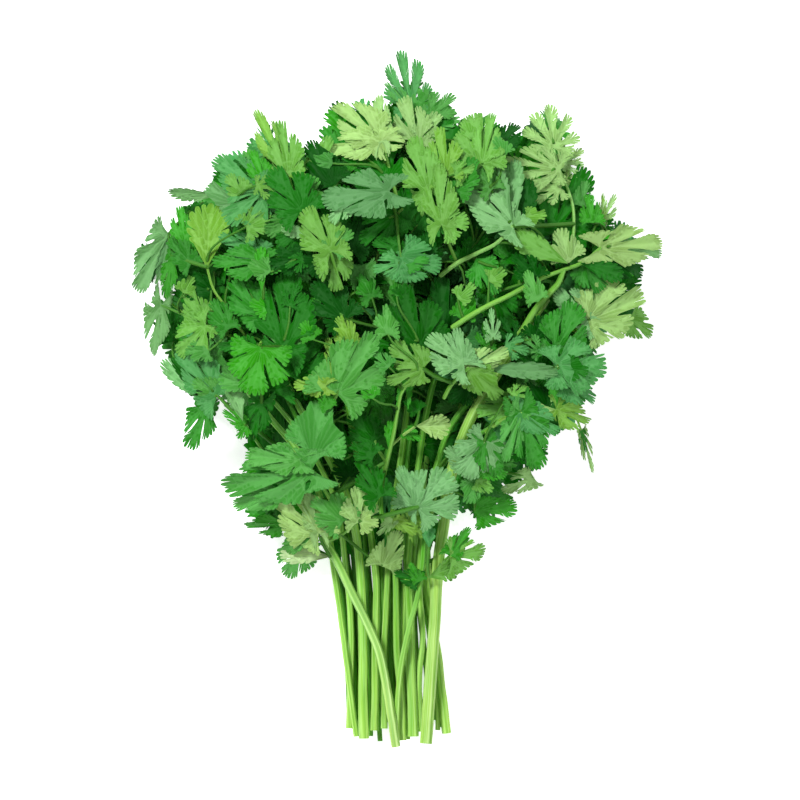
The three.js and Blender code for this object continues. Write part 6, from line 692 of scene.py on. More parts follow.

# Stems: node, colour near the cut and near the leaves, points, radii. The colour near the leaves is partly painted
# light and shade: on most stems it darkens as painted shade where they run under the leaves; stem_10 to stem_12 keep a
# bright green there, as painted light where leaves above shade them; stem_13 and stem_17 to stem_23, lowest in the
# bunch, are painted dark all along as shade.
STEMS = [
 ("stem_01", (168, 210, 106), (142, 210, 86), [-2.1,-149.9,21.1,-2.9,-144.9,21.6,-3.6,-139.8,21.8,-4.5,-134.8,21.6,-5.2,-129.8,21.6,-6.1,-124.8,21.5,-7,-119.7,21.5,-8,-114.8,21.6,-9.2,-109.8,21.8,-10.9,-105,22.1,-12.9,-100.3,22.4,-15,-95.7,23,-17.2,-91.1,23.6,-19.5,-86.5,24.5,-21.8,-82,25.5,-23.9,-77.4,26.6,-26.1,-72.7,27.8,-28.4,-68.2,29.1,-31.1,-63.9,30.5,-33.9,-59.6,31.9], [1.94,1.92,1.91,1.9,1.89,1.88,1.87,1.86,1.84,1.83,1.82,1.81,1.8,1.79,1.78,1.77,1.75,1.74,1.73,1.72]),
 ("stem_02", (158, 212, 84), (78, 176, 34), [-1.6,-146.1,18,-1.7,-141,18.6,-1.6,-136,19.1,-1.4,-131,19.6,-1.1,-126,19.9,-0.6,-121,20.2,0,-116,20.4,0.8,-111.1,20.7,1.8,-106.1,21.1,2.9,-101.3,21.5,4.1,-96.4,22,5.5,-91.6,22.6,6.8,-86.7,23.4,7.8,-81.8,24.4,8.6,-76.9,25.4,9.2,-71.9,26.6,9.7,-66.9,28,10,-61.9,29.4,10.4,-56.9,30.8,10.8,-51.9,32.3], [1.29,1.28,1.27,1.26,1.24,1.23,1.22,1.21,1.2,1.19,1.18,1.17,1.15,1.14,1.13,1.12,1.11,1.1,1.09,1.07]),
 ("stem_03", (164, 210, 94), (146, 208, 80), [10.8,-148.6,15.6,11.2,-143.7,15.6,11.5,-138.7,15.6,11.8,-133.8,15.6,12.2,-128.8,15.7,12.5,-123.9,15.7,12.9,-118.9,15.8,13.3,-114,16,13.7,-109,16.2,14,-104,16.5,14.4,-99.1,16.9,14.8,-94.1,17.5,15,-89.2,18.2,15.2,-84.2,19.1,15.5,-79.3,20.1,15.8,-74.3,21.2,16.3,-69.4,22.5,16.9,-64.4,23.9,17.7,-59.5,25.4,18.5,-54.6,26.9,19,-49.7,28.5,19.4,-44.8,30.1,20.1,-39.8,31.8,21.1,-35,33.4,22.2,-30.1,35,23.6,-25.3,36.4,25.1,-20.6,37.8,26.8,-16,39.1,28.7,-11.4,40.3,30.8,-6.9,41.3,33.1,-2.5,42.2,35.7,1.8,42.9,38.3,6,43.5,40.9,10.2,43.9,43.5,14.4,44.2,46.2,18.6,44.4,48.8,22.8,44.5,51.5,27,44.6,54.2,31.2,44.7,56.9,35.3,44.7,59.7,39.5,44.8,62.5,43.6,44.8], [2.69,2.67,2.66,2.65,2.64,2.62,2.61,2.6,2.58,2.57,2.56,2.54,2.53,2.52,2.5,2.49,2.48,2.46,2.45,2.44,2.43,2.41,2.4,2.39,2.37,2.36,2.35,2.33,2.32,2.31,2.29,2.28,2.27,2.25,2.24,2.23,2.22,2.2,2.19,2.18,2.16,2.15]),
 ("stem_04", (158, 212, 84), (78, 176, 34), [8.7,-143.5,11,8.3,-138.5,11,8,-133.5,11,7.9,-128.5,11,7.9,-123.6,11.1,8.1,-118.6,11.3,8.5,-113.6,11.4,9.1,-108.7,11.7,9.5,-103.7,12.1,9.4,-98.7,12.5,9,-93.8,13.1,8.5,-88.8,13.9,8.1,-83.8,14.8,7.9,-78.9,15.8,8,-73.9,17,8.3,-68.9,18.3,8.8,-64,19.8,9.3,-59,21.3,9.9,-54.1,22.8,10.7,-49.1,24.4,11.5,-44.2,26.1,12.6,-39.3,27.7,13.8,-34.5,29.3,15.1,-29.7,30.9,16.6,-24.9,32.4,18,-20.2,33.7,19.7,-15.5,35,21.9,-11,36.1,24.6,-6.9,37.1,27.7,-3,38,31.2,0.6,38.7,34.5,4.4,39.3,37.5,8.3,39.9], [1.29,1.29,1.29,1.29,1.29,1.29,1.29,1.29,1.29,1.29,1.29,1.29,1.29,1.29,1.29,1.29,1.29,1.29,1.29,1.29,1.29,1.29,1.29,1.29,1.29,1.29,1.29,1.29,1.29,1.29,1.29,1.29,1.29]),
 ("stem_05", (158, 212, 84), (78, 176, 34), [5.3,-145.6,13.4,5.2,-140.6,13.4,5,-135.6,13.3,4.9,-130.6,13.3,4.6,-125.6,13.3,4.3,-120.7,13.3,4.1,-115.7,13.3,3.9,-110.7,13.5,4,-105.7,13.7,4,-100.7,14,3.9,-95.7,14.5,3.7,-90.7,15.2,3.5,-85.7,15.9,3.3,-80.7,16.8,3,-75.7,17.7,2.7,-70.7,18.3,2.5,-65.7,18.9,2.2,-60.7,19.5,2,-55.7,20.9,1.8,-50.8,22.3,1.7,-45.8,24.1,1.7,-40.8,25.8,1.8,-35.8,27.4,2,-30.8,28.8,2.3,-25.8,30.3,2.9,-20.8,31.8,3.8,-15.9,33.4,4.8,-11,35], [2.36,2.33,2.29,2.25,2.21,2.17,2.13,2.09,2.05,2.01,1.97,1.93,1.89,1.85,1.81,1.77,1.73,1.69,1.65,1.61,1.57,1.53,1.49,1.45,1.41,1.37,1.33,1.29]),
 ("stem_06", (158, 212, 84), (78, 176, 34), [0.5,-147.3,14.7,0.4,-142.3,14.7,0.4,-137.2,14.7,0.2,-132.1,14.8,-0.1,-127.1,14.8,-0.5,-122,14.9,-1,-117,15,-1.5,-112,15.1,-1.8,-106.9,15.4,-1.9,-101.8,15.8,-2,-96.8,16.3,-2,-91.7,17,-2.1,-86.6,17.9,-2.1,-81.6,18.9,-2.3,-76.5,20.2,-2.7,-71.5,21.5,-3.5,-66.5,23,-4.6,-61.5,24.6,-6,-56.6,26.4,-7.6,-51.8,28.1,-8.6,-46.9,30,-8.7,-41.8,31.8,-8.2,-36.8,33.7,-7.4,-31.8,35.6,-6.7,-26.8,37.6,-5.9,-21.8,39.4], [1.83,1.79,1.76,1.72,1.69,1.66,1.62,1.59,1.55,1.52,1.48,1.45,1.41,1.38,1.35,1.31,1.28,1.24,1.21,1.17,1.14,1.11,1.07,1.04,1,0.97]),
 ("stem_07", (158, 212, 84), (78, 176, 34), [2.7,-146.9,9.8,2.4,-141.9,9.9,2.2,-137,10,1.9,-132,10.1,1.7,-127.1,10.2,1.4,-122.1,10.3,1.2,-117.2,10.4,1,-112.2,10.6,0.9,-107.2,10.9,1.1,-102.3,11.2,1.3,-97.3,11.6,1.5,-92.3,12.1,1.8,-87.4,12.7,2.1,-82.4,13.9,2.4,-77.5,15.3,2.9,-72.5,17.7,3.3,-67.5,20.2,3.7,-62.6,21.6,4.1,-57.7,23.1,4.5,-52.7,24.6,5.1,-47.8,26.2,5.7,-42.9,27.9,6.3,-38,29.5,7,-33,31.2,7.7,-28.1,32.9,8.3,-23.2,34.4,9,-18.3,35.9,9.7,-13.3,37.2,10.5,-8.5,38.4,11.5,-3.6,39.5,12.5,1.3,40.3,13.8,6.1,41,15.3,10.8,41.5,17.1,15.4,41.9,19.1,20,42.2,21.2,24.5,42.4,23.3,29,42.6], [1.5,1.5,1.49,1.49,1.48,1.48,1.47,1.46,1.46,1.45,1.45,1.44,1.43,1.43,1.42,1.42,1.41,1.4,1.4,1.39,1.39,1.38,1.37,1.37,1.36,1.36,1.35,1.34,1.34,1.33,1.33,1.32,1.31,1.31,1.3,1.3,1.29]),
 ("stem_08", (158, 212, 84), (78, 176, 34), [-7.2,-142.2,11.2,-7.2,-137.1,11.3,-7.2,-132.1,11.3,-7.2,-127,11.4,-7.2,-122,11.5,-7.3,-116.9,11.6,-7.3,-111.8,11.8,-7.2,-106.8,12.1,-7,-101.7,12.5,-6.7,-96.7,13,-6.4,-91.6,13.6,-6.2,-86.6,14.4,-5.9,-81.5,15.4,-5.7,-76.5,16.6,-5.4,-71.4,17.8,-5,-66.4,19.2,-4.7,-61.3,20.7,-4.2,-56.3,22.3,-3.7,-51.3,24,-3,-46.2,25.7,-2.4,-41.2,27.4,-1.6,-36.2,29.2,-0.9,-31.2,31,-0.1,-26.2,32.8,0.6,-21.2,34.3,1.2,-16.2,35.6,1.8,-11.2,36.6,2.4,-6.1,37.5,3,-1.1,38.3,3.7,3.9,38.9,4.4,8.9,39.5,5.2,13.9,39.8,6.1,18.9,40.1,7.1,23.8,40.2,8.2,28.7,40.4,9.5,33.6,40.4,10.9,38.5,40.5,12.5,43.3,40.5,14.6,47.9,40.6,17,52.3,40.6,19.9,56.5,40.6], [1.5,1.5,1.49,1.49,1.48,1.48,1.47,1.47,1.46,1.46,1.45,1.45,1.44,1.44,1.43,1.42,1.42,1.41,1.41,1.4,1.4,1.39,1.39,1.38,1.38,1.37,1.37,1.36,1.35,1.35,1.34,1.34,1.33,1.33,1.32,1.32,1.31,1.31,1.3,1.3,1.29]),
 ("stem_09", (158, 212, 84), (78, 176, 34), [-11.5,-143,14.6,-11.4,-138.1,14.6,-11.2,-133.2,14.7,-11.1,-128.2,14.7,-11.1,-123.3,14.7,-11.1,-118.4,14.8,-11.1,-113.4,14.9,-11.1,-108.5,15.1,-11,-103.5,15.3,-10.8,-98.6,15.7,-10.7,-93.7,16.2,-10.6,-88.8,16.8,-10.5,-83.8,17.5,-10.6,-78.9,18.3,-11,-74,19.3,-11.5,-69,20.4,-12.2,-64.2,21.5,-12.8,-59.3,22.7,-13.6,-54.4,24,-14.3,-49.5,25.3,-15.1,-44.6,26.7,-15.9,-39.8,28,-16.7,-34.9,29.4,-17.6,-30,30.7,-18.6,-25.2,31.9,-19.6,-20.4,33.1,-20.5,-15.5,34.1,-21.4,-10.7,35.1,-22.2,-5.8,36,-22.9,-0.9,36.7,-23.5,4,37.3,-24.1,8.9,37.8,-24.6,13.8,38.1,-25.1,18.7,38.3,-25.4,23.6,38.5,-25.7,28.6,38.6,-25.9,33.5,38.7,-26.1,38.4,38.8], [1.72,1.7,1.69,1.67,1.65,1.63,1.62,1.6,1.58,1.56,1.55,1.53,1.51,1.49,1.48,1.46,1.44,1.42,1.41,1.39,1.37,1.35,1.34,1.32,1.3,1.28,1.27,1.25,1.23,1.21,1.2,1.18,1.16,1.14,1.13,1.11,1.09,1.07]),
 ("stem_10", (158, 212, 84), (138, 224, 84), [-15.8,-146.5,15.1,-16,-141.5,15.1,-16.1,-136.5,15.1,-16.2,-131.5,15.1,-16.3,-126.5,15.1,-16.3,-121.6,15.2,-16.2,-116.6,15.3,-16.2,-111.6,15.4,-16.3,-106.6,15.7,-16.3,-101.6,16,-16.5,-96.6,16.5,-16.6,-91.7,17.1,-16.8,-86.7,17.8,-17,-81.7,18.7,-17.3,-76.7,19.7,-17.7,-71.8,20.9,-18.1,-66.8,22.2,-18.7,-61.8,23.5,-19.5,-56.9,24.9,-20.5,-52,26.4,-21.6,-47.2,27.9,-23,-42.4,29.4,-24.8,-37.8,30.9,-26.9,-33.2,32.4,-29.1,-28.8,33.8,-31.6,-24.4,36,-34.1,-20.1,38.3,-36.6,-15.8,42.4,-39.1,-11.5,46.5,-41.5,-7.2,48.5,-44,-2.8,49.2,-46.3,1.6,46.4,-48.5,6.1,43.7,-50.8,10.5,43,-53.2,14.8,42.3,-55.8,19.1,42.6,-58.4,23.4,42.8], [2.15,2.13,2.1,2.08,2.05,2.03,2.01,1.98,1.96,1.94,1.91,1.89,1.86,1.84,1.82,1.79,1.77,1.74,1.72,1.7,1.67,1.65,1.62,1.6,1.58,1.55,1.53,1.5,1.48,1.46,1.43,1.41,1.39,1.36,1.34,1.31,1.29]),
 ("stem_11", (158, 212, 84), (138, 224, 84), [-19.2,-145.6,11,-19.9,-140.6,11.1,-20.6,-135.6,11.2,-21.2,-130.6,11.2,-21.9,-125.5,11.3,-22.5,-120.5,11.4,-23.1,-115.5,11.6,-23.8,-110.5,11.8,-24.4,-105.5,12.2,-25.1,-100.5,12.6,-25.8,-95.4,13.2,-26.4,-90.4,14,-27.1,-85.4,15,-27.8,-80.4,16.1,-28.6,-75.4,17.4,-29.3,-70.4,18.9,-30,-65.4,20.5,-30.8,-60.4,22.2,-31.7,-55.4,23.9,-32.7,-50.4,25.7,-33.9,-45.5,27.6,-35.3,-40.6,29.4,-36.9,-35.9,31.2,-38.9,-31.2,33,-41.2,-26.7,34.8,-44.1,-22.5,36.8,-47.2,-18.6,38.8,-50.4,-14.7,41,-53.8,-10.9,43.5,-57.1,-7,46,-60.3,-3.1,52.1,-63.4,0.8,58.3,-66.4,5,58.3,-69.1,9.2,58.3], [1.29,1.29,1.3,1.3,1.3,1.31,1.31,1.31,1.32,1.32,1.32,1.33,1.33,1.33,1.34,1.34,1.34,1.35,1.35,1.35,1.36,1.36,1.36,1.36,1.37,1.37,1.37,1.38,1.38,1.38,1.39,1.39,1.39,1.4]),
 ("stem_12", (158, 212, 84), (138, 224, 84), [-22.3,-142.2,8.1,-22.1,-137.2,8.1,-22,-132.2,8.1,-21.9,-127.1,8.2,-21.8,-122.1,8.3,-21.6,-117.1,8.4,-21.5,-112.1,8.6,-21.4,-107.1,8.8,-21.4,-102.1,9.2,-21.6,-97.1,9.7,-21.8,-92,10.4,-22.2,-87,11.2,-22.7,-82.1,12.2,-23.4,-77.1,13.3,-23.9,-72.1,14.6,-24.4,-67.1,15.9,-24.9,-62.1,17.4,-25.5,-57.2,19,-26.1,-52.2,20.6,-27.2,-47.3,22.2,-28.7,-42.5,23.9,-30.5,-37.8,25.5,-32.6,-33.3,27.1,-34.9,-28.8,29.8,-37.3,-24.4,32.5,-40,-20.2,37.5,-42.7,-16,42.5,-45.6,-11.9,44.4,-48.7,-7.9,45.5,-51.9,-4.1,46.1,-55.2,-0.3,46.7,-58.8,3.2,44.8], [1.5,1.49,1.48,1.46,1.45,1.44,1.42,1.41,1.39,1.38,1.37,1.35,1.34,1.32,1.31,1.3,1.28,1.27,1.26,1.24,1.23,1.21,1.2,1.19,1.17,1.16,1.14,1.13,1.12,1.1,1.09,1.07]),
 ("stem_13", (92, 170, 32), (40, 128, 14), [-8.9,-147.8,4.5,-9.2,-142.8,4.5,-9.6,-137.8,4.5,-10.2,-132.9,4.6,-11.1,-128,4.6,-12,-123.1,4.6,-12.7,-118.2,4.7,-13.2,-113.2,4.8,-13.7,-108.3,4.9,-14.1,-103.3,5.1,-14.3,-98.4,5.4,-14.4,-93.4,5.8,-14.5,-88.4,6.2,-14.6,-83.4,6.8,-14.7,-78.5,7.4,-14.8,-73.5,8.1,-15,-68.5,8.9,-15.3,-63.5,9.8,-15.7,-58.6,10.7,-16.1,-53.6,11.6,-16.6,-48.7,12.6,-17.3,-43.7,13.6,-17.9,-38.8,14.6,-18.5,-33.9,15.6,-18.9,-28.9,16.5,-19.2,-23.9,17.4,-19.3,-19,18.3,-18.9,-14,19,-18.2,-9.1,19.7,-17.3,-4.2,20.3,-16.5,0.7,20.8,-15.7,5.6,21.2,-14.9,10.5,21.6,-14.1,15.4,21.8,-13.4,20.4,21.9,-12.7,25.3,22,-12.1,30.2,22.1,-11.5,35.2,22.1,-11,40.1,22.1,-10.4,45.1,22.2,-9.9,50,22.2,-9.4,55,22.2,-8.9,59.9,22.2], [1.07,1.07,1.06,1.06,1.05,1.05,1.04,1.04,1.03,1.03,1.02,1.02,1.01,1.01,1,1,0.99,0.99,0.98,0.98,0.97,0.97,0.96,0.96,0.95,0.95,0.94,0.94,0.93,0.93,0.92,0.92,0.91,0.91,0.9,0.9,0.89,0.89,0.88,0.88,0.87,0.87,0.86]),
 ("stem_14", (158, 212, 84), (78, 176, 34), [7.8,-142.6,7.9,7.3,-137.6,7.9,6.8,-132.5,7.9,6.4,-127.5,8,6.2,-122.4,8.1,5.9,-117.3,8.2,5.7,-112.3,8.3,5.4,-107.2,8.5,5.1,-102.2,8.8,4.9,-97.1,9.2,4.8,-92,9.7,4.7,-87,10.4,4.7,-81.9,11.1,4.9,-76.8,12,5.1,-71.8,13.1,5.4,-66.7,14.2,6,-61.7,15.4,6.8,-56.7,16.7,7.9,-51.7,18.1,9.3,-46.8,19.4,10.9,-42,20.7,12.8,-37.3,22,15,-32.8,23.3,17.7,-28.5,24.4,21,-24.7,25.4,25,-21.6,26.4,29.1,-18.6,29.4,33.2,-15.7,32.5,37.5,-12.9,39.9,41.8,-10.2,47.3,46.1,-7.6,47.7], [1.29,1.28,1.28,1.27,1.26,1.25,1.25,1.24,1.23,1.23,1.22,1.21,1.2,1.2,1.19,1.18,1.18,1.17,1.16,1.15,1.15,1.14,1.13,1.13,1.12,1.11,1.1,1.1,1.09,1.08,1.07]),
 ("stem_15", (158, 212, 84), (78, 176, 34), [16,-143,4.5,16.1,-138.1,4.3,16,-133.1,4.2,15.9,-128.2,4,15.8,-123.2,3.9,15.5,-118.3,3.8,15.2,-113.4,3.7,14.8,-108.4,3.8,14.3,-103.5,3.9,13.8,-98.6,4.2,13.3,-93.7,4.5,12.9,-88.8,5,12.5,-83.8,5.8,12.2,-78.9,6.7,12,-73.9,7.9,12.1,-69,9.3,11.8,-64,10.7,11.9,-59.1,11.6,12.4,-54.2,12.5,13.1,-49.3,13.5,14.1,-44.4,14.5,15.1,-39.6,15.6,16.3,-34.8,16.6,17.5,-30,17.7,18.8,-25.2,18.6,20.1,-20.5,19.6,21.5,-15.7,20.4,22.9,-11,21.2,24.4,-6.2,21.9,25.9,-1.5,22.5,27.5,3.1,23,29.2,7.8,23.4,30.9,12.4,23.6,32.7,17,23.8,34.6,21.6,23.9,36.5,26.2,24,38.6,30.7,24.1,40.7,35.1,24.1,43,39.5,24.1,45.3,43.9,24.2,47.7,48.2,24.2,50.2,52.5,24.2,52.8,56.7,24.2,55.5,60.8,26.7,58.2,65,29.1,61,69.1,36.6,63.9,73.1,44,66.7,77.1,43], [1.07,1.07,1.07,1.06,1.06,1.05,1.05,1.04,1.04,1.03,1.03,1.02,1.02,1.02,1.01,1.01,1,1,0.99,0.99,0.98,0.98,0.97,0.97,0.97,0.96,0.96,0.95,0.95,0.94,0.94,0.93,0.93,0.92,0.92,0.91,0.91,0.91,0.9,0.9,0.89,0.89,0.88,0.88,0.87,0.87,0.86,0.86]),
 ("stem_16", (158, 212, 84), (78, 176, 34), [19.9,-144.3,5.4,19.3,-139.4,5.8,18.8,-134.4,6.3,18.2,-129.4,6.7,17.5,-124.5,6.8,17,-119.5,6.9,16.6,-114.6,6.9,15.9,-109.6,7.1,15,-104.7,7.2,14,-99.8,7.5,13,-94.9,7.8,12.2,-90,8.2,11.4,-85.1,8.6,10.7,-80.1,9.1,10,-75.2,9.6,9.1,-70.2,9.8,8.9,-65.2,10.2,8.7,-60.3,10.8,8.7,-55.3,11.6,8.8,-50.3,12.6,9,-45.3,13.6,9.3,-40.3,14.5,9.8,-35.3,15.5,10.3,-30.4,16.4,10.9,-25.4,17.3,11.6,-20.5,18.1,12.2,-15.5,18.9,12.9,-10.6,19.6,13.7,-5.6,20.2,14.5,-0.7,20.8,15.4,4.2,21.2,16.3,9.1,21.5,17.2,14,21.7,18.1,18.9,21.9,19,23.8,22,19.9,28.8,22.1,20.7,33.7,22.1,21.5,38.6,22.1,22.1,43.6,22.2,22.7,48.5,22.2,23.3,53.5,22.2], [1.94,1.92,1.9,1.89,1.87,1.85,1.84,1.82,1.81,1.79,1.77,1.76,1.74,1.73,1.71,1.69,1.68,1.66,1.64,1.63,1.61,1.6,1.58,1.56,1.55,1.53,1.52,1.5,1.48,1.47,1.45,1.44,1.42,1.4,1.39,1.37,1.35,1.34,1.32,1.31,1.29]),
 ("stem_17", (92, 170, 32), (40, 128, 14), [-17.5,-143.5,1.6,-17.8,-138.4,1.6,-18,-133.4,1.6,-18.3,-128.3,1.6,-18.4,-123.3,1.6,-18.5,-118.3,1.7,-18.6,-113.2,1.7,-18.6,-108.2,1.8,-18.9,-103.1,1.9,-19.2,-98.1,2.1,-19.7,-93.1,2.4,-20.2,-88.1,2.7,-20.8,-83,3.1,-21.6,-78.1,3.5,-22.4,-73.1,4,-23.5,-68.2,4.5,-24.9,-63.3,5.1,-26.5,-58.5,5.7,-28.5,-53.9,6.3,-30.7,-49.4,7,-33.1,-44.9,7.6,-35.7,-40.6,8.2,-38.6,-36.5,8.8,-41.7,-32.5,12.3,-45,-28.7,15.7,-48.5,-25.1,25,-52.2,-21.6,34.2,-55.9,-18.2,34.2,-59.8,-15,34,-63.8,-11.9,33.5,-67.7,-8.7,36.7,-71.6,-5.6,42.7,-75.6,-2.4,13.3], [1.29,1.28,1.26,1.25,1.24,1.22,1.21,1.2,1.18,1.17,1.16,1.14,1.13,1.12,1.1,1.09,1.07,1.06,1.05,1.03,1.02,1.01,0.99,0.98,0.97,0.95,0.94,0.93,0.91,0.9,0.89,0.87,0.86]),
 ("stem_18", (92, 170, 32), (40, 128, 14), [-13.2,-145.6,1.6,-13.3,-140.6,1.6,-13.4,-135.6,1.6,-13.5,-130.6,1.6,-13.7,-125.6,1.6,-13.8,-120.6,1.7,-14,-115.6,1.7,-14.1,-110.6,1.8,-14.4,-105.6,1.9,-14.7,-100.6,2.1,-15.1,-95.6,2.3,-15.6,-90.6,2.5,-16.2,-85.6,2.9,-16.9,-80.7,3.3,-17.8,-75.7,3.8,-18.8,-70.8,4.3,-20,-66,4.9,-21.4,-61.2,5.5,-23.1,-56.4,6.1,-24.8,-51.7,6.7,-26.7,-47.1,7.4,-28.6,-42.5,8.1,-30.7,-37.9,8.7,-32.7,-33.3,9.4,-34.9,-28.8,13.8,-37,-24.3,18.2,-39.1,-19.7,30.3,-41.3,-15.2,42.4,-43.5,-10.7,45.4,-45.7,-6.2,47.4,-47.8,-1.7,48.9,-50,2.9,48.3,-52.1,7.4,35.4,-54.2,11.9,22.4,-56.3,16.5,18.1,-58.3,21.1,13.8,-60.2,25.7,13.9,-62.1,30.4,13.9,-63.9,35,13.9,-65.7,39.7,14,-67.7,44.3,14,-69.8,48.8,14,-72,53.3,14,-74.3,57.8,14], [1.29,1.28,1.27,1.26,1.25,1.24,1.23,1.22,1.21,1.2,1.19,1.18,1.17,1.16,1.15,1.14,1.13,1.12,1.11,1.1,1.09,1.08,1.07,1.06,1.05,1.04,1.03,1.02,1.01,1,0.99,0.98,0.97,0.96,0.95,0.94,0.93,0.92,0.91,0.9,0.89,0.88,0.87,0.86]),
 ("stem_19", (92, 170, 32), (40, 128, 14), [-2.5,-144.8,1.6,-2.6,-139.7,1.6,-2.6,-134.7,1.6,-2.8,-129.6,1.6,-2.9,-124.6,1.6,-3.2,-119.5,1.7,-3.5,-114.5,1.7,-3.8,-109.5,1.8,-4.1,-104.4,1.9,-4.5,-99.4,2.1,-4.8,-94.4,2.4,-5.1,-89.3,2.7,-5.4,-84.3,3,-5.6,-79.3,3.5,-5.8,-74.2,4,-6,-69.2,4.5,-6.2,-64.1,5.2,-6.4,-59.1,5.8,-6.6,-54.1,6.5,-6.8,-49,7.2,-7,-44,7.9,-7.1,-38.9,8.6,-7.2,-33.9,9.3,-7.3,-28.8,10,-7.3,-23.8,10.6,-7.3,-18.8,11.2,-7.3,-13.7,11.8,-7.2,-8.7,12.3,-7.1,-3.6,12.7,-6.9,1.4,13.1,-6.7,6.5,13.3,-6.6,11.5,13.6,-6.4,16.6,13.7,-6.2,21.6,13.8,-6,26.6,13.9,-5.9,31.7,13.9,-5.7,36.7,13.9,-5.5,41.8,14,-5.4,46.8,14,-5.2,51.8,14,-5,56.9,14,-4.9,61.9,14,-4.7,67,14,-4.5,72,14,-4.3,77,14,-4.2,82.1,14,-4,87.1,14,-3.8,92.2,14], [1.29,1.28,1.27,1.26,1.25,1.24,1.24,1.23,1.22,1.21,1.2,1.19,1.18,1.17,1.16,1.15,1.14,1.13,1.13,1.12,1.11,1.1,1.09,1.08,1.07,1.06,1.05,1.04,1.03,1.02,1.02,1.01,1,0.99,0.98,0.97,0.96,0.95,0.94,0.93,0.92,0.91,0.91,0.9,0.89,0.88,0.87,0.86]),
 ("stem_20", (92, 170, 32), (40, 128, 14), [4.4,-142.6,1.8,4.2,-137.6,1.8,3.9,-132.6,1.8,3.7,-127.5,1.8,3.4,-122.5,1.9,3,-117.5,1.9,2.6,-112.5,1.9,2.1,-107.5,2,1.7,-102.5,2.2,1.3,-97.5,2.4,0.9,-92.5,2.6,0.4,-87.5,3,0.1,-82.5,3.3,-0.2,-77.5,3.8,-0.4,-72.4,4.3,-0.5,-67.4,4.9,-0.4,-62.4,5.5,-0.1,-57.4,6.1,0.4,-52.4,6.8,1.1,-47.4,7.5,1.8,-42.4,8.1,2.6,-37.5,8.8,3.5,-32.5,9.5,4.6,-27.6,10.2,5.7,-22.7,10.8,6.9,-17.8,11.4,8.1,-13,11.9,9.3,-8.1,12.4,10.6,-3.2,12.8,11.9,1.6,13.1,13.2,6.5,13.4,14.5,11.3,13.6,15.8,16.2,13.7,17,21.1,13.8,18.2,25.9,13.9,19.3,30.8,13.9,20.5,35.7,13.9,21.6,40.6,14,22.6,45.5,14,23.6,50.4,14,24.7,55.4,14,25.6,60.3,14,26.6,65.2,14,27.5,70.2,14,28.3,75.1,14,29.1,80.1,14,29.9,85.1,14,30.6,90,14], [1.5,1.49,1.48,1.46,1.45,1.44,1.42,1.41,1.4,1.38,1.37,1.35,1.34,1.33,1.31,1.3,1.29,1.27,1.26,1.24,1.23,1.22,1.2,1.19,1.18,1.16,1.15,1.13,1.12,1.11,1.09,1.08,1.07,1.05,1.04,1.02,1.01,1,0.98,0.97,0.96,0.94,0.93,0.91,0.9,0.89,0.87,0.86]),
 ("stem_21", (92, 170, 32), (40, 128, 14), [12.6,-143.9,1.6,12.4,-138.8,1.6,12.2,-133.8,1.6,11.9,-128.8,1.6,11.6,-123.7,1.6,11.2,-118.7,1.7,10.7,-113.6,1.7,10.1,-108.6,1.8,9.6,-103.6,1.9,8.9,-98.6,2.1,8.3,-93.6,2.4,7.6,-88.5,2.7,7.1,-83.5,3.1,6.7,-78.5,3.5,6.4,-73.4,4,6.2,-68.4,4.6,6.3,-63.3,5.2,6.9,-58.3,5.8,7.9,-53.4,6.5,9.2,-48.5,7.1,10.7,-43.7,7.8,12.6,-39,8.5,14.8,-34.5,9.1,17.5,-30.1,9.7,20.4,-26,10.3,23.5,-22.1,10.8,27,-18.4,11.3,30.7,-15,11.7,34.6,-11.7,12.1,38.6,-8.7,12.4,42.9,-6,17.9,47.3,-3.5,23.4,51.8,-1.2,39.4,56.2,1.3,55.3,60.6,3.7,53.6,65,6.2,51], [1.29,1.28,1.27,1.25,1.24,1.23,1.22,1.2,1.19,1.18,1.17,1.15,1.14,1.13,1.12,1.11,1.09,1.08,1.07,1.06,1.04,1.03,1.02,1.01,1,0.98,0.97,0.96,0.95,0.93,0.92,0.91,0.9,0.88,0.87,0.86]),
 ("stem_22", (92, 170, 32), (40, 128, 14), [17.3,-141.8,1.6,16.8,-136.7,1.5,16.3,-131.6,1.4,15.8,-126.5,1.4,15.1,-121.5,1.4,14.4,-116.5,1.5,13.7,-111.4,1.6,13,-106.4,1.8,12.3,-101.3,1.9,11.6,-96.3,2.2,10.9,-91.2,2.5,10.3,-86.2,2.8,9.9,-81.1,3.2,9.6,-76,3.7,9.4,-71,4.2,9.6,-65.9,4.8,10.4,-60.9,5.4,11.9,-56,6,13.8,-51.3,6.6,16.2,-46.8,7.2,18.9,-42.5,7.8,22.2,-38.6,8.4,25.9,-35.1,8.9,29.8,-31.9,13,34,-29,17,38.4,-26.5,28.2,43.1,-24.4,39.3,47.8,-22.6,37.9], [1.29,1.27,1.26,1.24,1.23,1.21,1.19,1.18,1.16,1.15,1.13,1.11,1.1,1.08,1.07,1.05,1.04,1.02,1,0.99,0.97,0.96,0.94,0.92,0.91,0.89,0.88,0.86]),
 ("stem_23", (92, 170, 32), (40, 128, 14), [-21.4,-140.9,1.6,-21.2,-135.8,1.6,-21,-130.8,1.6,-21,-125.7,1.6,-21.1,-120.6,1.6,-21.4,-115.6,1.7,-21.7,-110.5,1.7,-22.1,-105.5,1.9,-22.5,-100.4,2,-22.9,-95.4,2.2,-23.5,-90.4,2.5,-24.1,-85.3,2.8,-24.8,-80.3,3.2,-25.7,-75.3,3.6,-26.9,-70.4,4.1,-28.6,-65.7,4.6,-30.8,-61.1,8.1,-33.5,-56.8,11.7,-36.7,-52.9,21.3,-40.4,-49.5,30.9,-44.6,-46.6,32.1,-49.2,-44.6,32.5,-54.1,-43.3,31.3], [1.29,1.27,1.25,1.23,1.21,1.19,1.17,1.15,1.13,1.11,1.09,1.07,1.06,1.04,1.02,1,0.98,0.96,0.94,0.92,0.9,0.88,0.86]),
]

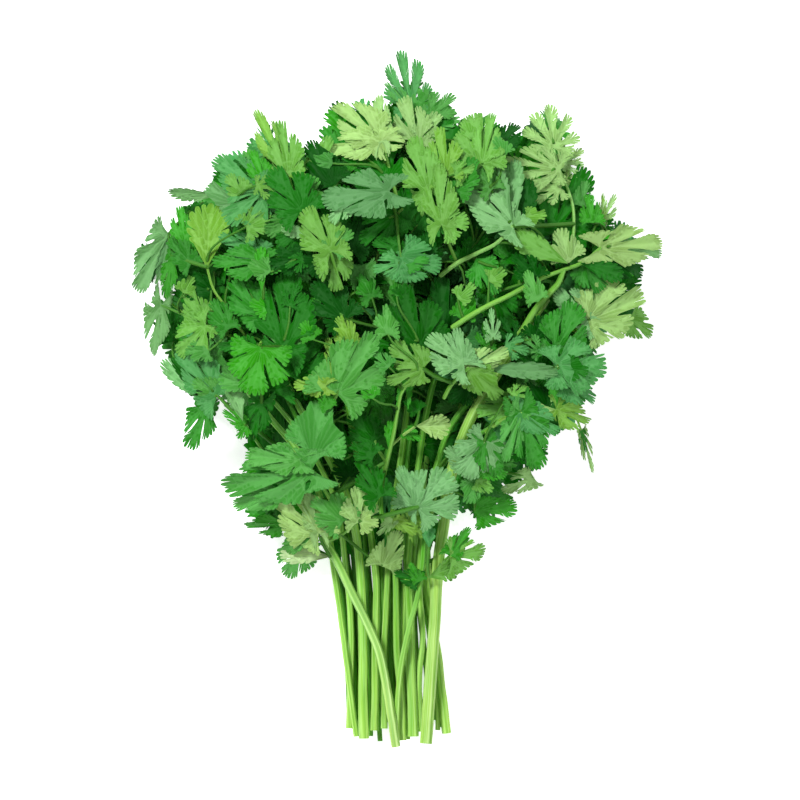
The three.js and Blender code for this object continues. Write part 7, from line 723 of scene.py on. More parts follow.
# Leaflets inside the bunch and on its sides: piece, slot, leaflets (as above, then the points of the stalk).
INNER = [
 ("under_leaves_01", "leaf_dark", [
  ("T", "s", [-36.4,38,46], [-15.7,-3,0.5], [0.02,0.07,1], 17.2, 0.12, -0.085, [-26.1,38.4,38.8,-30.1,39.7,42.4,-36.4,38,46]),
  ("T", "s", [-56.2,32.8,34.2], [-19.9,-3.9,0.5], [0.05,-0.13,0.99], 18.9, 0.1, -0.04, [-38.8,38.2,32.7,-44.4,37.1,33.2,-50.6,34.7,33.8,-56.2,32.8,34.2]),
  ("T", "s", [-98,25,15.4], [9.8,17.3,-10.1], [0.01,0.5,0.87], 24.2, 0.03, -0.039, [-86.7,0.6,32.2,-89,3.4,29,-92,7.4,25.8,-95,11.9,22.8,-97.5,16.7,20,-98.7,21.2,17.5,-98,25,15.4]),
  ("F", "s", [-66.1,27.2,32], [-16,2.8,-3.4], [-0.25,-0.3,0.92], 16, 0.01, -0.017, [-58.4,23.4,42.8,-61.6,26.2,37.7,-66.1,27.2,32]),
  ("T", "b", [-71.8,25,16.3], [-18.2,4.5,3.7], [0.2,-0,0.98], 21.6, 0.05, -0.048, [-60.2,25.7,13.9,-65.3,26.2,14.9,-71.8,25,16.3]),
  ("F", "s", [-79.7,19.2,32.6], [0.7,-17.8,-9.1], [-0.44,-0.42,0.79], 21.8, 0.01, -0.129, [-83.8,32,43.8,-84.6,30.4,41.2,-81.8,24.8,36.4,-79.7,19.2,32.6]),
  ("T", "g", [-68.3,21.3,35.2], [-19.6,-5.2,-0.2], [0.05,-0.21,0.98], 20.1, 0.14, -0.131, [-58.4,23.4,42.8,-62.8,23.7,39.1,-68.3,21.3,35.2]),
  ("T", "s", [-49.8,21.8,24.1], [-15.5,-5.1,-0.8], [-0.1,0.16,0.98], 15.2, 0.01, -0.005, [-37.2,15.6,27.4,-42.1,17.8,25.4,-49.8,21.8,24.1]),
  ("T", "v", [-64.6,15.4,26.7], [-1.7,18,-7.1], [0.41,0.37,0.83], 18.6, 0.01, 0.029, [-52.1,7.4,35.4,-55.6,9.2,31.6,-61.3,11.7,28.7,-64.6,15.4,26.7]),
  ("T", "g", [-29.2,26.3,32.1], [0.5,17.1,-8.8], [0.15,0.45,0.88], 21.9, 0.02, -0.037, [-25.1,18.7,38.3,-27.3,22.6,35.7,-29.2,26.3,32.1]),
  ("F", "m", [-60.2,5.9,21.8], [-2.4,-15.6,-1.1], [0.05,-0.08,1], 14.6, 0.11, 0.02, [-54.2,11.9,22.4,-57.2,10,21.4,-60.2,5.9,21.8]),
  ("F", "v", [-41.5,16.6,30.2], [-22.7,-5.7,3.9], [0.08,0.34,0.94], 23.3, 0.15, -0.011, [-37.2,15.6,27.4,-38.8,15.8,28.6,-41.5,16.6,30.2]),
  ("F", "s", [-10.3,34.4,42.8], [0.7,18.7,-7.4], [-0.16,0.37,0.92], 22.5, 0.16, -0.122, [-3.2,31.2,55.8,-3.7,31.1,51.7,-7.8,31.9,46.3,-10.3,34.4,42.8]),
  ("F", "g", [-34.6,19.8,34.5], [-8.7,15.5,-0.7], [-0.12,-0.02,0.99], 17.4, 0.15, -0.137, [-24.6,13.8,38.1,-29.2,17,36.4,-34.6,19.8,34.5]),
  ("T", "s", [-25.2,24.5,16.1], [4.1,21.5,0.8], [0.21,-0.07,0.98], 22.8, 0.01, 0.016, [-14.9,10.5,21.6,-17.4,15.2,20.2,-22.8,19.9,17.5,-25.2,24.5,16.1]),
  ("F", "v", [-42.7,5,17.9], [-21.5,-2.8,2.4], [0.08,0.25,0.97], 22.9, 0.01, -0.097, [-15.7,5.6,21.2,-17.4,8.4,21.1,-22.7,8.8,20.1,-29.8,7.7,18.9,-37,6.1,18,-42.7,5,17.9]),
  ("T", "m", [-53.8,-6.6,33.1], [-20,9.6,-0.4], [-0.08,-0.12,0.99], 20.6, 0.03, -0.106, [-47.2,-18.6,38.8,-50,-12.1,36.5,-53.8,-6.6,33.1]),
  ("F", "s", [-48.5,-1.9,17.7], [-7.3,-18.7,2.2], [-0.26,0.21,0.94], 19.8, 0.14, -0.012, [-54.2,11.9,22.4,-52.7,9.8,19.3,-49.4,3.7,17.8,-48.5,-1.9,17.7]),
  ("T", "b", [-44.1,-6.4,23.8], [13.2,-11.6,-9.5], [0.36,-0.31,0.88], 20.7, 0.08, -0.058, [-52.1,7.4,35.4,-51.2,5.2,30.7,-47.9,-1.1,26.8,-44.1,-6.4,23.8]),
  ("F", "m", [-31.5,1.9,20.8], [-22.3,-7.7,-2.8], [-0.22,0.29,0.93], 26.8, 0.06, -0.089, [-15.7,5.6,21.2,-18.6,6.9,21.4,-25.4,4.4,21.2,-31.5,1.9,20.8]),
  ("F", "g", [-23.7,10.6,25], [-7.2,22.8,1.3], [0.11,-0.02,0.99], 24.3, 0.01, -0.034, [-16.5,0.7,20.8,-19.5,5.7,23,-23.7,10.6,25]),
  ("T", "k", [-36.7,-13.1,24.9], [-14.6,-10.6,-8], [-0.35,-0.21,0.91], 21.8, 0.09, 0.02, [-22.2,-5.8,36,-25.4,-4.8,34,-31.4,-8.8,29,-36.7,-13.1,24.9]),
  ("T", "g", [-20.2,9.2,20.1], [-4.4,-15.7,-4.2], [0.27,-0.32,0.91], 19.1, 0.08, -0.065, [-14.1,15.4,21.8,-16.8,14,21.2,-20.2,9.2,20.1]),
 ]),
 ("under_leaves_02", "leaf_dark", [
  ("F", "g", [-51.6,-44.3,13.4], [-4.1,-15.8,-0.3], [-0.22,0.04,0.97], 17.4, 0, -0.11, [-45,-28.7,15.7,-47.6,-30.5,16.3,-49.9,-37.7,14.6,-51.6,-44.3,13.4]),
  ("F", "g", [-53.5,-48.5,13.9], [-14,0.8,-7.6], [-0.47,-0.27,0.84], 15.4, 0.11, -0.098, [-36.7,-52.9,21.3,-40.8,-51,21.9,-47.6,-49.4,17.9,-53.5,-48.5,13.9]),
  ("F", "b", [-30.8,-17.3,14.7], [-3.4,-17.6,-2.7], [-0.08,-0.14,0.99], 18.3, 0.07, 0.011, [-18.2,-9.1,19.7,-21,-8.5,18.8,-27,-12.4,16.4,-30.8,-17.3,14.7]),
  ("T", "g", [-33.1,-28.4,21.2], [-18,-1.6,-1.2], [-0.02,-0.45,0.89], 17, 0.06, -0.131, [-19.3,-23.1,23.9,-23.3,-25.5,22.9,-28.4,-27.4,21.8,-33.1,-28.4,21.2]),
  ("T", "g", [-14.5,8.8,61.3], [12.6,-5.7,-7.3], [0.33,-0.38,0.86], 14.5, 0.08, -0.14, [-28.3,12.4,63.8,-22.5,12.5,63.6,-14.5,8.8,61.3]),
  ("T", "s", [-33.1,-35.5,17.4], [-9.7,-13.4,-5], [0.06,-0.38,0.92], 15.9, 0.07, 0.038, [-19.2,-23.9,17.4,-22.3,-24,18.1,-28.3,-29.8,18.2,-33.1,-35.5,17.4]),
  ("F", "s", [-36.6,-44.7,13.7], [7.2,-20.9,-5.1], [0.15,-0.19,0.97], 23.5, 0.08, -0.032, [-41.7,-32.5,12.3,-40.2,-36.5,14,-36.6,-44.7,13.7]),
  ("T", "b", [-39.4,-58.2,13.9], [-11.3,-9,-8.1], [-0.41,-0.27,0.87], 15.3, 0.11, -0.118, [-36.7,-52.9,21.3,-37.7,-54.7,18.9,-39.4,-58.2,13.9]),
  ("F", "s", [-26.4,-25.6,11], [-3.2,-19.2,2.6], [-0.09,0.15,0.99], 19.4, 0.02, 0.013, [-19.3,-19,18.3,-22.6,-19.9,14.7,-26.4,-25.6,11]),
  ("T", "v", [-17.7,-7.5,15.3], [-2.4,-21.1,-2.9], [0.12,-0.15,0.98], 22.8, 0.01, -0.138, [-16.5,0.7,20.8,-16.9,-1.4,18.3,-17.7,-7.5,15.3]),
  ("T", "s", [-21.2,-18.7,10.3], [9.1,-18.1,2.3], [0.02,0.14,0.99], 18.6, 0.09, 0.005, [-18.2,-9.1,19.7,-20.1,-11.3,15,-21.2,-18.7,10.3]),
  ("F", "m", [-25.3,-35,14.9], [7.8,-18.6,-4.9], [-0.28,-0.35,0.89], 19.6, 0.04, -0.027, [-34.9,-28.8,13.8,-30.9,-30.1,15.4,-25.3,-35,14.9]),
  ("T", "s", [-1.8,37.1,43.3], [-17.4,-7.6,-6.1], [-0.37,0.1,0.93], 18.2, 0.04, -0.05, [10.9,38.5,40.5,6.1,39.6,42.3,-1.8,37.1,43.3]),
  ("F", "g", [-27,-57.5,6.1], [10.1,-13,-1.4], [0.17,0.03,0.98], 16.5, 0.12, -0.049, [-28.5,-53.9,6.3,-28.1,-55,6.3,-27,-57.5,6.1]),
  ("F", "s", [-11.3,-5.2,25.3], [-15.9,-5.4,-4], [-0.29,0.14,0.95], 15.8, 0.1, 0.025, [2.4,-6.1,37.5,0.1,-3.4,34.9,-5.6,-3.7,29.1,-11.3,-5.2,25.3]),
  ("F", "k", [-12.6,-22.4,18.8], [-16.3,-9.8,2.4], [0.04,0.17,0.99], 17.9, 0.05, -0.139, [-7.3,-18.8,11.2,-9.1,-19.1,15,-12.6,-22.4,18.8]),
  ("F", "g", [-11.8,-22.8,16.3], [15.3,-1.1,-5.1], [0.32,0.36,0.88], 15.6, 0.13, -0.064, [-19.2,-23.9,17.4,-16.3,-22.6,17.3,-11.8,-22.8,16.3]),
  ("F", "g", [-13,-42.9,10.7], [4.7,-15.7,-1.9], [0.13,-0.08,0.99], 15.2, 0.1, -0.002, [-17.9,-38.8,14.6,-15.8,-39.4,12.9,-13,-42.9,10.7]),
  ("F", "g", [-9.2,-17.2,28.7], [8,-14,-6.3], [0.49,-0.11,0.86], 18.2, 0.15, -0.109, [-21.4,-10.7,35.1,-19,-9.9,34.2,-13.3,-13.2,31.2,-9.2,-17.2,28.7]),
  ("F", "m", [-4.2,2.3,30.3], [-3.3,-20.7,-6.8], [-0.01,-0.31,0.95], 23.2, 0.04, -0.059, [4.4,8.9,39.5,0.5,8.3,35.5,-4.2,2.3,30.3]),
  ("F", "s", [-7.9,-51,12.1], [11.6,-16.6,-6.2], [0.3,-0.14,0.94], 20.3, 0.16, -0.058, [-17.3,-43.7,13.6,-13.4,-45.3,13.4,-7.9,-51,12.1]),
  ("F", "b", [-5.6,-27.5,14.4], [-4.4,-23.2,1.5], [0.31,0,0.95], 25.3, 0, -0.055, [-7.3,-18.8,11.2,-6.3,-21.3,12.9,-5.6,-27.5,14.4]),
  ("T", "s", [-6.6,-43.1,12.6], [18.6,-12.8,-6.8], [0.14,-0.29,0.95], 27, 0.08, -0.055, [-17.9,-38.8,14.6,-13.4,-39.1,14.2,-6.6,-43.1,12.6]),
  ("F", "g", [-6,-51.1,9.9], [-12.4,-17.5,-3.9], [-0.33,0.02,0.94], 22.4, 0.07, 0.024, [1.1,-47.4,7.5,-1.9,-47.8,8.9,-6,-51.1,9.9]),
 ]),
 ("under_leaves_03", "leaf_dark", [
  ("F", "g", [-0.7,2.2,19.4], [21.9,-8.3,-0.8], [-0.06,-0.25,0.97], 21.8, 0.06, -0.01, [-6.7,6.5,13.3,-4.6,5.6,16.4,-0.7,2.2,19.4]),
  ("F", "s", [-0.2,21.6,58.5], [-13.5,-3.5,-5.9], [-0.29,-0.38,0.88], 13.8, 0.09, -0.135, [7.4,25.1,68.1,4.5,24.9,63.6,-0.2,21.6,58.5]),
  ("F", "s", [5.8,-55.4,7.1], [-0.6,-16.3,-5.2], [0.08,-0.31,0.95], 16.7, 0.01, -0.013, [9.2,-48.5,7.1,7.7,-50.5,7.4,5.8,-55.4,7.1]),
  ("T", "g", [1.6,7.7,26.9], [21,3,-5.2], [0.27,-0.29,0.92], 22.1, 0.15, -0.031, [-15.7,5.6,21.2,-11.9,8.2,23.2,-4.8,7.9,26,1.6,7.7,26.9]),
  ("F", "s", [3.7,-11.9,25.6], [15,-12.3,-8.8], [-0.01,-0.59,0.81], 23.4, 0.04, -0.133, [2.4,-6.1,37.5,2.3,-7,32.3,3.7,-11.9,25.6]),
  ("F", "k", [2.1,7.3,17.2], [-4.4,-19.1,0.5], [-0.26,0.09,0.96], 19.5, 0.01, -0.066, [-6.4,16.6,13.7,-1.8,14.5,15.5,2.1,7.3,17.2]),
  ("F", "m", [8,-41.9,10.7], [14.3,-6.1,0.8], [-0.09,-0.07,0.99], 16.7, 0.01, 0.028, [2.6,-37.5,8.8,4.7,-38.7,9.8,8,-41.9,10.7]),
  ("T", "s", [6.2,-5.6,24.3], [-5.8,-16.2,-7.5], [-0.41,-0.26,0.88], 19.3, 0.01, -0.032, [10.4,6.5,32,8.8,3.3,28.6,6.2,-5.6,24.3]),
  ("T", "s", [9.3,-22.6,13.8], [-11.4,-13.2,-1.5], [0.29,-0.35,0.89], 16, 0.07, 0.033, [12.2,-15.5,18.9,11.5,-17.5,16.6,9.3,-22.6,13.8]),
  ("T", "g", [14,-50.4,12.5], [-7,-14,-6.9], [-0.5,-0.17,0.85], 19.1, 0.11, 0.019, [14.1,-44.4,14.5,14.4,-46.3,13.9,14,-50.4,12.5]),
  ("F", "m", [-0.9,39.6,50.4], [-5.2,16.8,3], [-0.25,-0.25,0.94], 19.2, 0.05, -0.027, [-3.2,31.2,55.8,-1,34.4,52.3,-0.9,39.6,50.4]),
  ("F", "v", [12.8,-25.3,10.9], [-3.6,-19,-3.1], [0.4,-0.22,0.89], 22.4, 0.11, -0.126, [12.2,-15.5,18.9,12.9,-18,15.3,12.8,-25.3,10.9]),
  ("T", "m", [7.3,4.6,17.3], [-2,15.3,-0.8], [-0.07,0.04,1], 14.7, 0.03, -0.131, [10.6,-3.2,12.8,9.3,0.6,15.2,7.3,4.6,17.3]),
  ("F", "g", [16.9,-24.1,18.1], [8.3,-16.6,-7.7], [-0.01,-0.42,0.91], 19.9, 0.1, -0.078, [11.6,-20.5,18.1,14.1,-21.1,18.5,16.9,-24.1,18.1]),
  ("T", "v", [16.1,-16.9,12.6], [14,-6.1,2.7], [-0.01,0.38,0.92], 16.9, 0.05, -0.011, [8.1,-13,11.9,11.5,-13.7,12.2,16.1,-16.9,12.6]),
  ("F", "g", [22.9,-30.5,22.3], [11.4,-16.5,-0], [-0.11,-0.08,0.99], 18.7, 0.03, -0.068, [21,-24.7,25.4,22,-26.5,24,22.9,-30.5,22.3]),
  ("F", "s", [21.8,-20.2,17.1], [-14.2,-10.4,-3.2], [-0.13,-0.13,0.98], 17.8, 0.12, -0.085, [21.5,-15.7,20.4,22.2,-17.1,19,21.8,-20.2,17.1]),
  ("F", "g", [24.8,-27.4,18.1], [13.3,-9.7,-3.7], [-0.08,-0.46,0.89], 19.3, 0, -0.092, [18.8,-25.2,18.6,21.5,-25.3,18.7,24.8,-27.4,18.1]),
  ("F", "m", [5.8,22.8,24], [5.7,17.9,-9.8], [-0.18,0.52,0.84], 19.1, 0.12, -0.041, [10.4,6.5,32,9,12,30.2,6.5,17.8,27,5.8,22.8,24]),
  ("F", "k", [17.8,-6.3,22.2], [15.5,-8.5,-8.4], [0.33,-0.29,0.9], 17.7, 0.08, 0.037, [13.7,-5.6,20.2,15.4,-5.3,21.5,17.8,-6.3,22.2]),
  ("F", "m", [12.5,10.2,29.7], [16.3,-8,-4.7], [0.36,0.18,0.92], 18, 0.02, -0.129, [5.2,13.9,39.8,8,13.9,35.2,12.5,10.2,29.7]),
  ("T", "s", [7.9,22.3,27.7], [16.3,-5.1,-3], [0.15,-0.12,0.98], 19.7, 0.08, -0.017, [-12.7,25.3,22,-9.9,27.5,23.1,-4.1,26.6,25.3,2.5,24.3,27.3,7.9,22.3,27.7]),
  ("F", "g", [39.8,-32.5,18.6], [-3.1,-20.5,-2.5], [0.38,-0.17,0.91], 21.2, 0.07, -0.127, [38.4,-26.5,28.2,39.7,-28.2,24.6,39.8,-32.5,18.6]),
  ("T", "s", [33.8,-21.1,30], [16.9,-16.5,-2.8], [0.31,0.16,0.94], 21.7, 0, -0.051, [29.1,-18.6,29.4,31.4,-19.2,30.1,33.8,-21.1,30]),
 ]),
 ("under_leaves_04", "leaf_dark", [
  ("T", "m", [14.7,13,29.2], [-12.2,9.7,-0.7], [0.18,0.29,0.94], 15.2, 0.05, 0.027, [27.5,3.1,23,25.7,7,24.8,19.9,10.1,27.8,14.7,13,29.2]),
  ("F", "g", [25.6,-5.3,22.5], [14.7,12.4,-7], [0.48,-0.08,0.87], 19.9, 0.06, 0.032, [22.9,-11,21.2,24,-7.9,22.2,25.6,-5.3,22.5]),
  ("F", "m", [37.7,-25,30.9], [18.6,3.5,2.6], [-0.2,0.38,0.9], 18.2, 0.06, -0.063, [25,-21.6,26.4,31,-22.7,28.7,37.7,-25,30.9]),
  ("F", "v", [30.4,-7.3,18], [8.2,-14.9,1.7], [-0.19,0.01,0.98], 17.5, 0, -0.119, [25.9,-1.5,22.5,28,-2.8,20.2,30.4,-7.3,18]),
  ("T", "m", [28,-3,22.1], [-16.5,-11.8,1.6], [0.22,-0.17,0.96], 19.8, 0.09, 0.013, [27.5,3.1,23,28.5,1,22.5,28,-3,22.1]),
  ("T", "m", [37.4,-7.2,27.9], [15.7,-0.1,-5.7], [0.3,-0.47,0.83], 18.6, 0.06, 0.032, [24.6,-6.9,37.1,28.1,-5.4,35.4,32.9,-6.4,31.1,37.4,-7.2,27.9]),
  ("F", "g", [36,-4.5,31], [19.5,9,-2.8], [0.02,0.26,0.97], 21.3, 0.02, -0.044, [24.6,-6.9,37.1,29.9,-5.1,34.5,36,-4.5,31]),
  ("T", "s", [50.9,-18.9,48.5], [12.2,-5.9,-6.5], [0.29,-0.36,0.88], 16.1, 0.11, -0.063, [43.6,-8.8,51.8,46.9,-12.8,51.7,50.9,-18.9,48.5]),
  ("T", "m", [46.1,-6.2,27], [-8.3,-17.3,2.4], [-0.37,0.3,0.88], 18.3, 0.15, -0.123, [47.3,-3.5,23.4,47.2,-4.3,25.5,46.1,-6.2,27]),
  ("T", "m", [32.3,8.7,24.9], [22.9,4.4,-5.2], [0.21,0.06,0.98], 23.7, 0.11, 0.024, [29.2,7.8,23.4,30.5,8.5,24.3,32.3,8.7,24.9]),
  ("F", "s", [56,-6.1,29], [19.8,3.5,-6.8], [0.33,-0.01,0.95], 23, 0.07, -0.027, [47.3,-3.5,23.4,51.3,-4.7,27.3,56,-6.1,29]),
  ("F", "v", [54.8,5.9,22.9], [15.4,-5.7,-6.2], [0.21,-0.41,0.89], 16.5, 0.02, -0.136, [41,3.3,30,43.6,2.4,28.6,49.6,4.9,25.5,54.8,5.9,22.9]),
  ("F", "g", [42.8,17.5,18.9], [16.7,2.2,-2.7], [0.08,0.48,0.87], 19.3, 0, -0.093, [32.7,17,23.8,37.1,18.2,21.6,42.8,17.5,18.9]),
  ("F", "s", [57.7,13.2,37.6], [15.6,1.6,2.4], [-0.16,0.06,0.99], 16.4, 0.11, 0.013, [43.5,14.4,44.2,47.3,15.6,42.5,52.7,14.1,39.1,57.7,13.2,37.6]),
  ("T", "k", [37.7,23,33.5], [22.5,-5.2,-1.1], [-0,-0.2,0.98], 23.1, 0.05, -0.021, [23.3,29,42.6,26.9,29.6,40.4,32.4,26,36,37.7,23,33.5]),
  ("F", "m", [56.1,16.2,35], [3,-13.9,-5.3], [0.08,-0.34,0.94], 17, 0.15, -0.129, [51.5,27,44.6,53.5,26.5,42.5,55,21.4,38.2,56.1,16.2,35]),
  ("T", "s", [27.5,30.1,40], [12.9,10.3,-1.7], [-0.21,0.41,0.89], 17.3, 0.09, 0.033, [23.3,29,42.6,25.2,29.7,41.4,27.5,30.1,40]),
  ("F", "g", [47.1,23.5,27.2], [4.8,14.8,2.5], [-0.14,-0.12,0.98], 15.1, 0.16, -0.036, [41,3.3,30,41.5,3.3,29.6,43.3,9.3,28.4,45.4,17.3,27.3,47.1,23.5,27.2]),
  ("F", "g", [56.6,25.1,25.4], [14.6,-4.9,-4.6], [0.14,-0.43,0.89], 14.5, 0.11, -0.07, [38.6,30.7,24.1,43.1,31.6,24.8,50.3,28.3,25.7,56.6,25.1,25.4]),
  ("F", "v", [33.4,31.3,33.8], [0.2,-17.1,0.8], [-0.11,0.05,0.99], 15.6, 0.14, -0.014, [43.9,38.1,27,39.6,36,31.4,33.4,31.3,33.8]),
  ("F", "g", [68.9,25.5,28.3], [16.2,10.3,3.1], [0.09,-0.42,0.9], 20.8, 0.13, -0.067, [48.8,22.8,44.5,51.8,25,42.8,55.8,25.2,38.6,60.4,24.6,33.6,65,24.3,29.6,68.9,25.5,28.3]),
  ("T", "s", [41.3,32.6,20.2], [8.2,-13.2,2.9], [0.29,0.38,0.88], 17.1, 0.15, -0.12, [40.7,35.1,24.1,41,34.7,22.1,41.3,32.6,20.2]),
  ("T", "b", [73.1,27.5,36.6], [8.1,-15,-7.2], [0.29,-0.28,0.91], 19.2, 0.02, -0.118, [75.8,32.8,36.5,74.5,31,36.4,73.1,27.5,36.6]),
  ("T", "g", [70.1,32.1,33], [3.6,20.9,-0.2], [0.28,-0.04,0.96], 21.5, 0.11, 0.006, [73,28.3,48.5,73.7,29.2,45.2,71.3,29.7,37.4,70.1,32.1,33]),
 ]),
 ("under_leaves_05", "leaf_dark", [
  ("T", "s", [20.5,39.1,19.3], [4.8,-22.5,-2.2], [0.4,-0,0.92], 25, 0.02, -0.134, [22.1,43.6,22.2,21.3,42.4,20.8,20.5,39.1,19.3]),
  ("T", "g", [47.8,39,37.5], [5,14.2,-7.6], [-0.02,0.48,0.88], 16.4, 0.14, 0.022, [51.5,27,44.6,50,33,41.8,47.8,39,37.5]),
  ("T", "b", [66.6,39.4,27.3], [17.8,6.7,-4.9], [0.23,0.11,0.97], 20.2, 0.07, -0.098, [46.1,38.8,28.1,50.6,39.6,28.8,56.3,39.2,28.8,62,38.8,28.2,66.6,39.4,27.3]),
  ("T", "b", [34.8,39.6,37.7], [-6.4,15.1,2.1], [0.03,-0.12,0.99], 16.6, 0.13, -0.133, [38.6,30.7,24.1,38.8,33.9,27.5,37,36.4,33.9,34.8,39.6,37.7]),
  ("T", "v", [67.2,39.6,29.9], [-6.1,14.7,-3], [0.3,0.31,0.9], 18.3, 0.03, -0.006, [75.8,32.8,36.5,72.6,35.8,32.5,67.2,39.6,29.9]),
  ("T", "s", [84.8,41.5,37.3], [12.1,16.3,-4.5], [0.31,0.03,0.95], 22.3, 0.12, -0.124, [75.8,32.8,36.5,80.1,36.8,36.3,84.8,41.5,37.3]),
  ("T", "g", [85.3,46.2,17.7], [18.5,5.9,2], [-0.14,0.11,0.98], 19.5, 0.09, -0.045, [75.8,32.8,36.5,77.7,36.2,31.5,79.3,40.1,25.1,81.6,43.8,19.7,85.3,46.2,17.7]),
  ("F", "k", [20.1,42.9,27.3], [-13.7,8.1,-3], [-0.02,0.31,0.95], 17.4, 0.08, -0.041, [21.5,38.6,22.1,21.5,41.1,24.8,20.1,42.9,27.3]),
  ("T", "v", [65,50.1,19.7], [10.8,13.1,-0.1], [0.01,-0.01,1], 17.5, 0.15, -0.094, [47.7,48.2,24.2,52.5,49.8,23,59.7,48.9,20.9,65,50.1,19.7]),
  ("F", "v", [69,50.8,34.9], [18.8,11,-2.4], [0.22,-0.17,0.96], 20.4, 0.13, 0.002, [62.5,43.6,44.8,65.3,47.7,40,69,50.8,34.9]),
  ("F", "s", [55.4,48.9,28.3], [8.6,-18,-1.1], [0.01,-0.06,1], 21.2, 0.08, 0.012, [52.8,56.7,24.2,54.2,54.4,26.3,55.4,48.9,28.3]),
  ("F", "k", [28.2,44.7,33.5], [13.8,-1.7,-6.7], [0.45,0.12,0.89], 16.8, 0.13, 0.019, [14.6,47.9,40.6,18,48.9,39.1,23.3,46.6,36.1,28.2,44.7,33.5]),
  ("F", "v", [39.8,46.9,49.5], [14.1,9.7,-8.8], [0.43,0.18,0.88], 19.3, 0.03, 0.009, [40.3,44.6,53.7,39.9,45.1,51.8,39.8,46.9,49.5]),
  ("T", "b", [92.1,62.7,22.4], [3.4,14.1,-4.7], [-0.13,0.34,0.93], 15.2, 0.13, -0.14, [83.8,61.1,36.1,86.6,61.7,31.5,90,61.1,25.9,92.1,62.7,22.4]),
  ("T", "m", [25.1,46.9,24.2], [-9.7,13.9,2.9], [0.02,-0.19,0.98], 19.5, 0.08, -0.122, [21.5,38.6,22.1,23.9,42.9,23,25.1,46.9,24.2]),
  ("T", "g", [40.9,51.2,34.2], [2.6,17.1,0], [-0.13,0.02,0.99], 15.7, 0.14, 0.036, [43.9,38.1,27,44.2,40.4,30.2,42,45.9,33,40.9,51.2,34.2]),
  ("F", "s", [58.2,58.6,33.2], [22.7,-5.2,-4.8], [0.14,-0.27,0.95], 26.2, 0.03, -0.079, [38.6,68.7,32,40.4,69.7,32.7,45.8,66.3,33.3,52.6,61.5,33.6,58.2,58.6,33.2]),
  ("T", "s", [73.7,65.7,38.7], [20,-0.2,-11.3], [0.49,0.13,0.86], 20.9, 0.04, -0.03, [63.9,73.1,44,68,70,43.1,73.7,65.7,38.7]),
  ("F", "b", [30.8,51.6,39.3], [-6.9,16.3,-8.9], [-0.55,0.21,0.81], 21.1, 0.15, -0.075, [40.3,44.6,53.7,39.2,43.6,50.1,34.6,47,43.9,30.8,51.6,39.3]),
  ("T", "g", [48.2,58.8,52.5], [-1.4,16.4,-8.2], [-0.32,0.4,0.86], 16.9, 0.14, 0.033, [50.8,49.3,60.4,50.7,53.2,57.6,48.2,58.8,52.5]),
  ("F", "g", [69.3,67.6,26.5], [6.6,18.6,2.4], [0.08,-0.16,0.98], 18.2, 0.11, -0.02, [55.5,60.8,26.7,59.6,63.1,27.3,65.5,64.8,26.8,69.3,67.6,26.5]),
  ("T", "s", [71.8,72.2,33.3], [20.2,5.8,-5.3], [0.09,0.48,0.87], 23, 0.14, -0.032, [61,69.1,36.6,65.7,70.9,36.2,71.8,72.2,33.3]),
  ("F", "s", [59.4,67.1,32.8], [9.9,21.1,-1.2], [-0.39,0.23,0.89], 23.7, 0.1, -0.053, [58.2,65,29.1,58.8,65.9,31.2,59.4,67.1,32.8]),
 ]),
 ("under_leaves_06", "leaf_dark", [
  ("F", "s", [72.3,74.8,22.2], [23,-5.1,-4.3], [0.24,0.34,0.91], 22.2, 0.08, -0.054, [58.2,65,29.1,61.9,69.4,28.5,67,73.5,24.8,72.3,74.8,22.2]),
  ("T", "s", [54,68.3,49.8], [-6.5,16.5,-5.1], [-0.48,0.08,0.87], 17.1, 0.06, -0.137, [61.6,52.5,61.2,62.7,55.3,59.2,60.3,59.4,55.6,56.7,64,52.1,54,68.3,49.8]),
  ("T", "g", [52.1,69.3,47.8], [10.6,-19.2,-2.1], [-0.07,-0.14,0.99], 20.7, 0.02, -0.089, [59.2,86.3,42.4,57.7,81,43.1,53.3,74.8,46.2,52.1,69.3,47.8]),
  ("T", "s", [62.8,79.9,28.9], [13.1,15.3,-1.1], [0.18,-0.09,0.98], 22.4, 0.06, -0.124, [58.2,65,29.1,59.7,69.5,30,60.9,75.3,29.5,62.8,79.9,28.9]),
  ("T", "g", [58,77.8,39.1], [11.3,-16.1,-0.7], [0.37,0.22,0.9], 20.1, 0.05, -0.113, [59.2,86.3,42.4,58.4,82,40.5,58,77.8,39.1]),
  ("T", "g", [68.4,86.2,41.5], [4.3,14.6,-7.7], [0.51,0.28,0.81], 17.2, 0.05, -0.136, [66.7,77.1,43,67.9,81.6,42.5,68.4,86.2,41.5]),
  ("T", "v", [38.7,66.5,36.2], [-8,15.6,-1.8], [-0.15,0.04,0.99], 16.3, 0.09, -0.006, [50.2,52.5,24.2,50,56.1,26.1,46.5,59.4,30.4,42,62.8,34.5,38.7,66.5,36.2]),
  ("F", "m", [24.6,63,30.4], [-1.5,15.3,-1.2], [-0.11,0.07,0.99], 16.1, 0.1, 0, [23.3,53.5,22.2,24.2,58.2,26.4,24.6,63,30.4]),
  ("F", "g", [32.6,70.8,40.9], [16.8,-3.7,-1.5], [0.02,-0.29,0.96], 16.7, 0.14, -0.052, [24.8,59.1,45,28.3,65.8,44,32.6,70.8,40.9]),
  ("T", "m", [20,59.9,45], [1.4,15,-3.2], [-0.09,0.22,0.97], 17.2, 0.15, -0.087, [17,52.3,40.6,18.9,56,43,20,59.9,45]),
  ("F", "s", [47.6,86.4,53.7], [19.2,-7.7,-3.8], [0.26,0.18,0.95], 18.9, 0.04, -0.113, [34.1,99.5,49.8,34.3,96.4,51.2,40.9,90.6,53.2,47.6,86.4,53.7]),
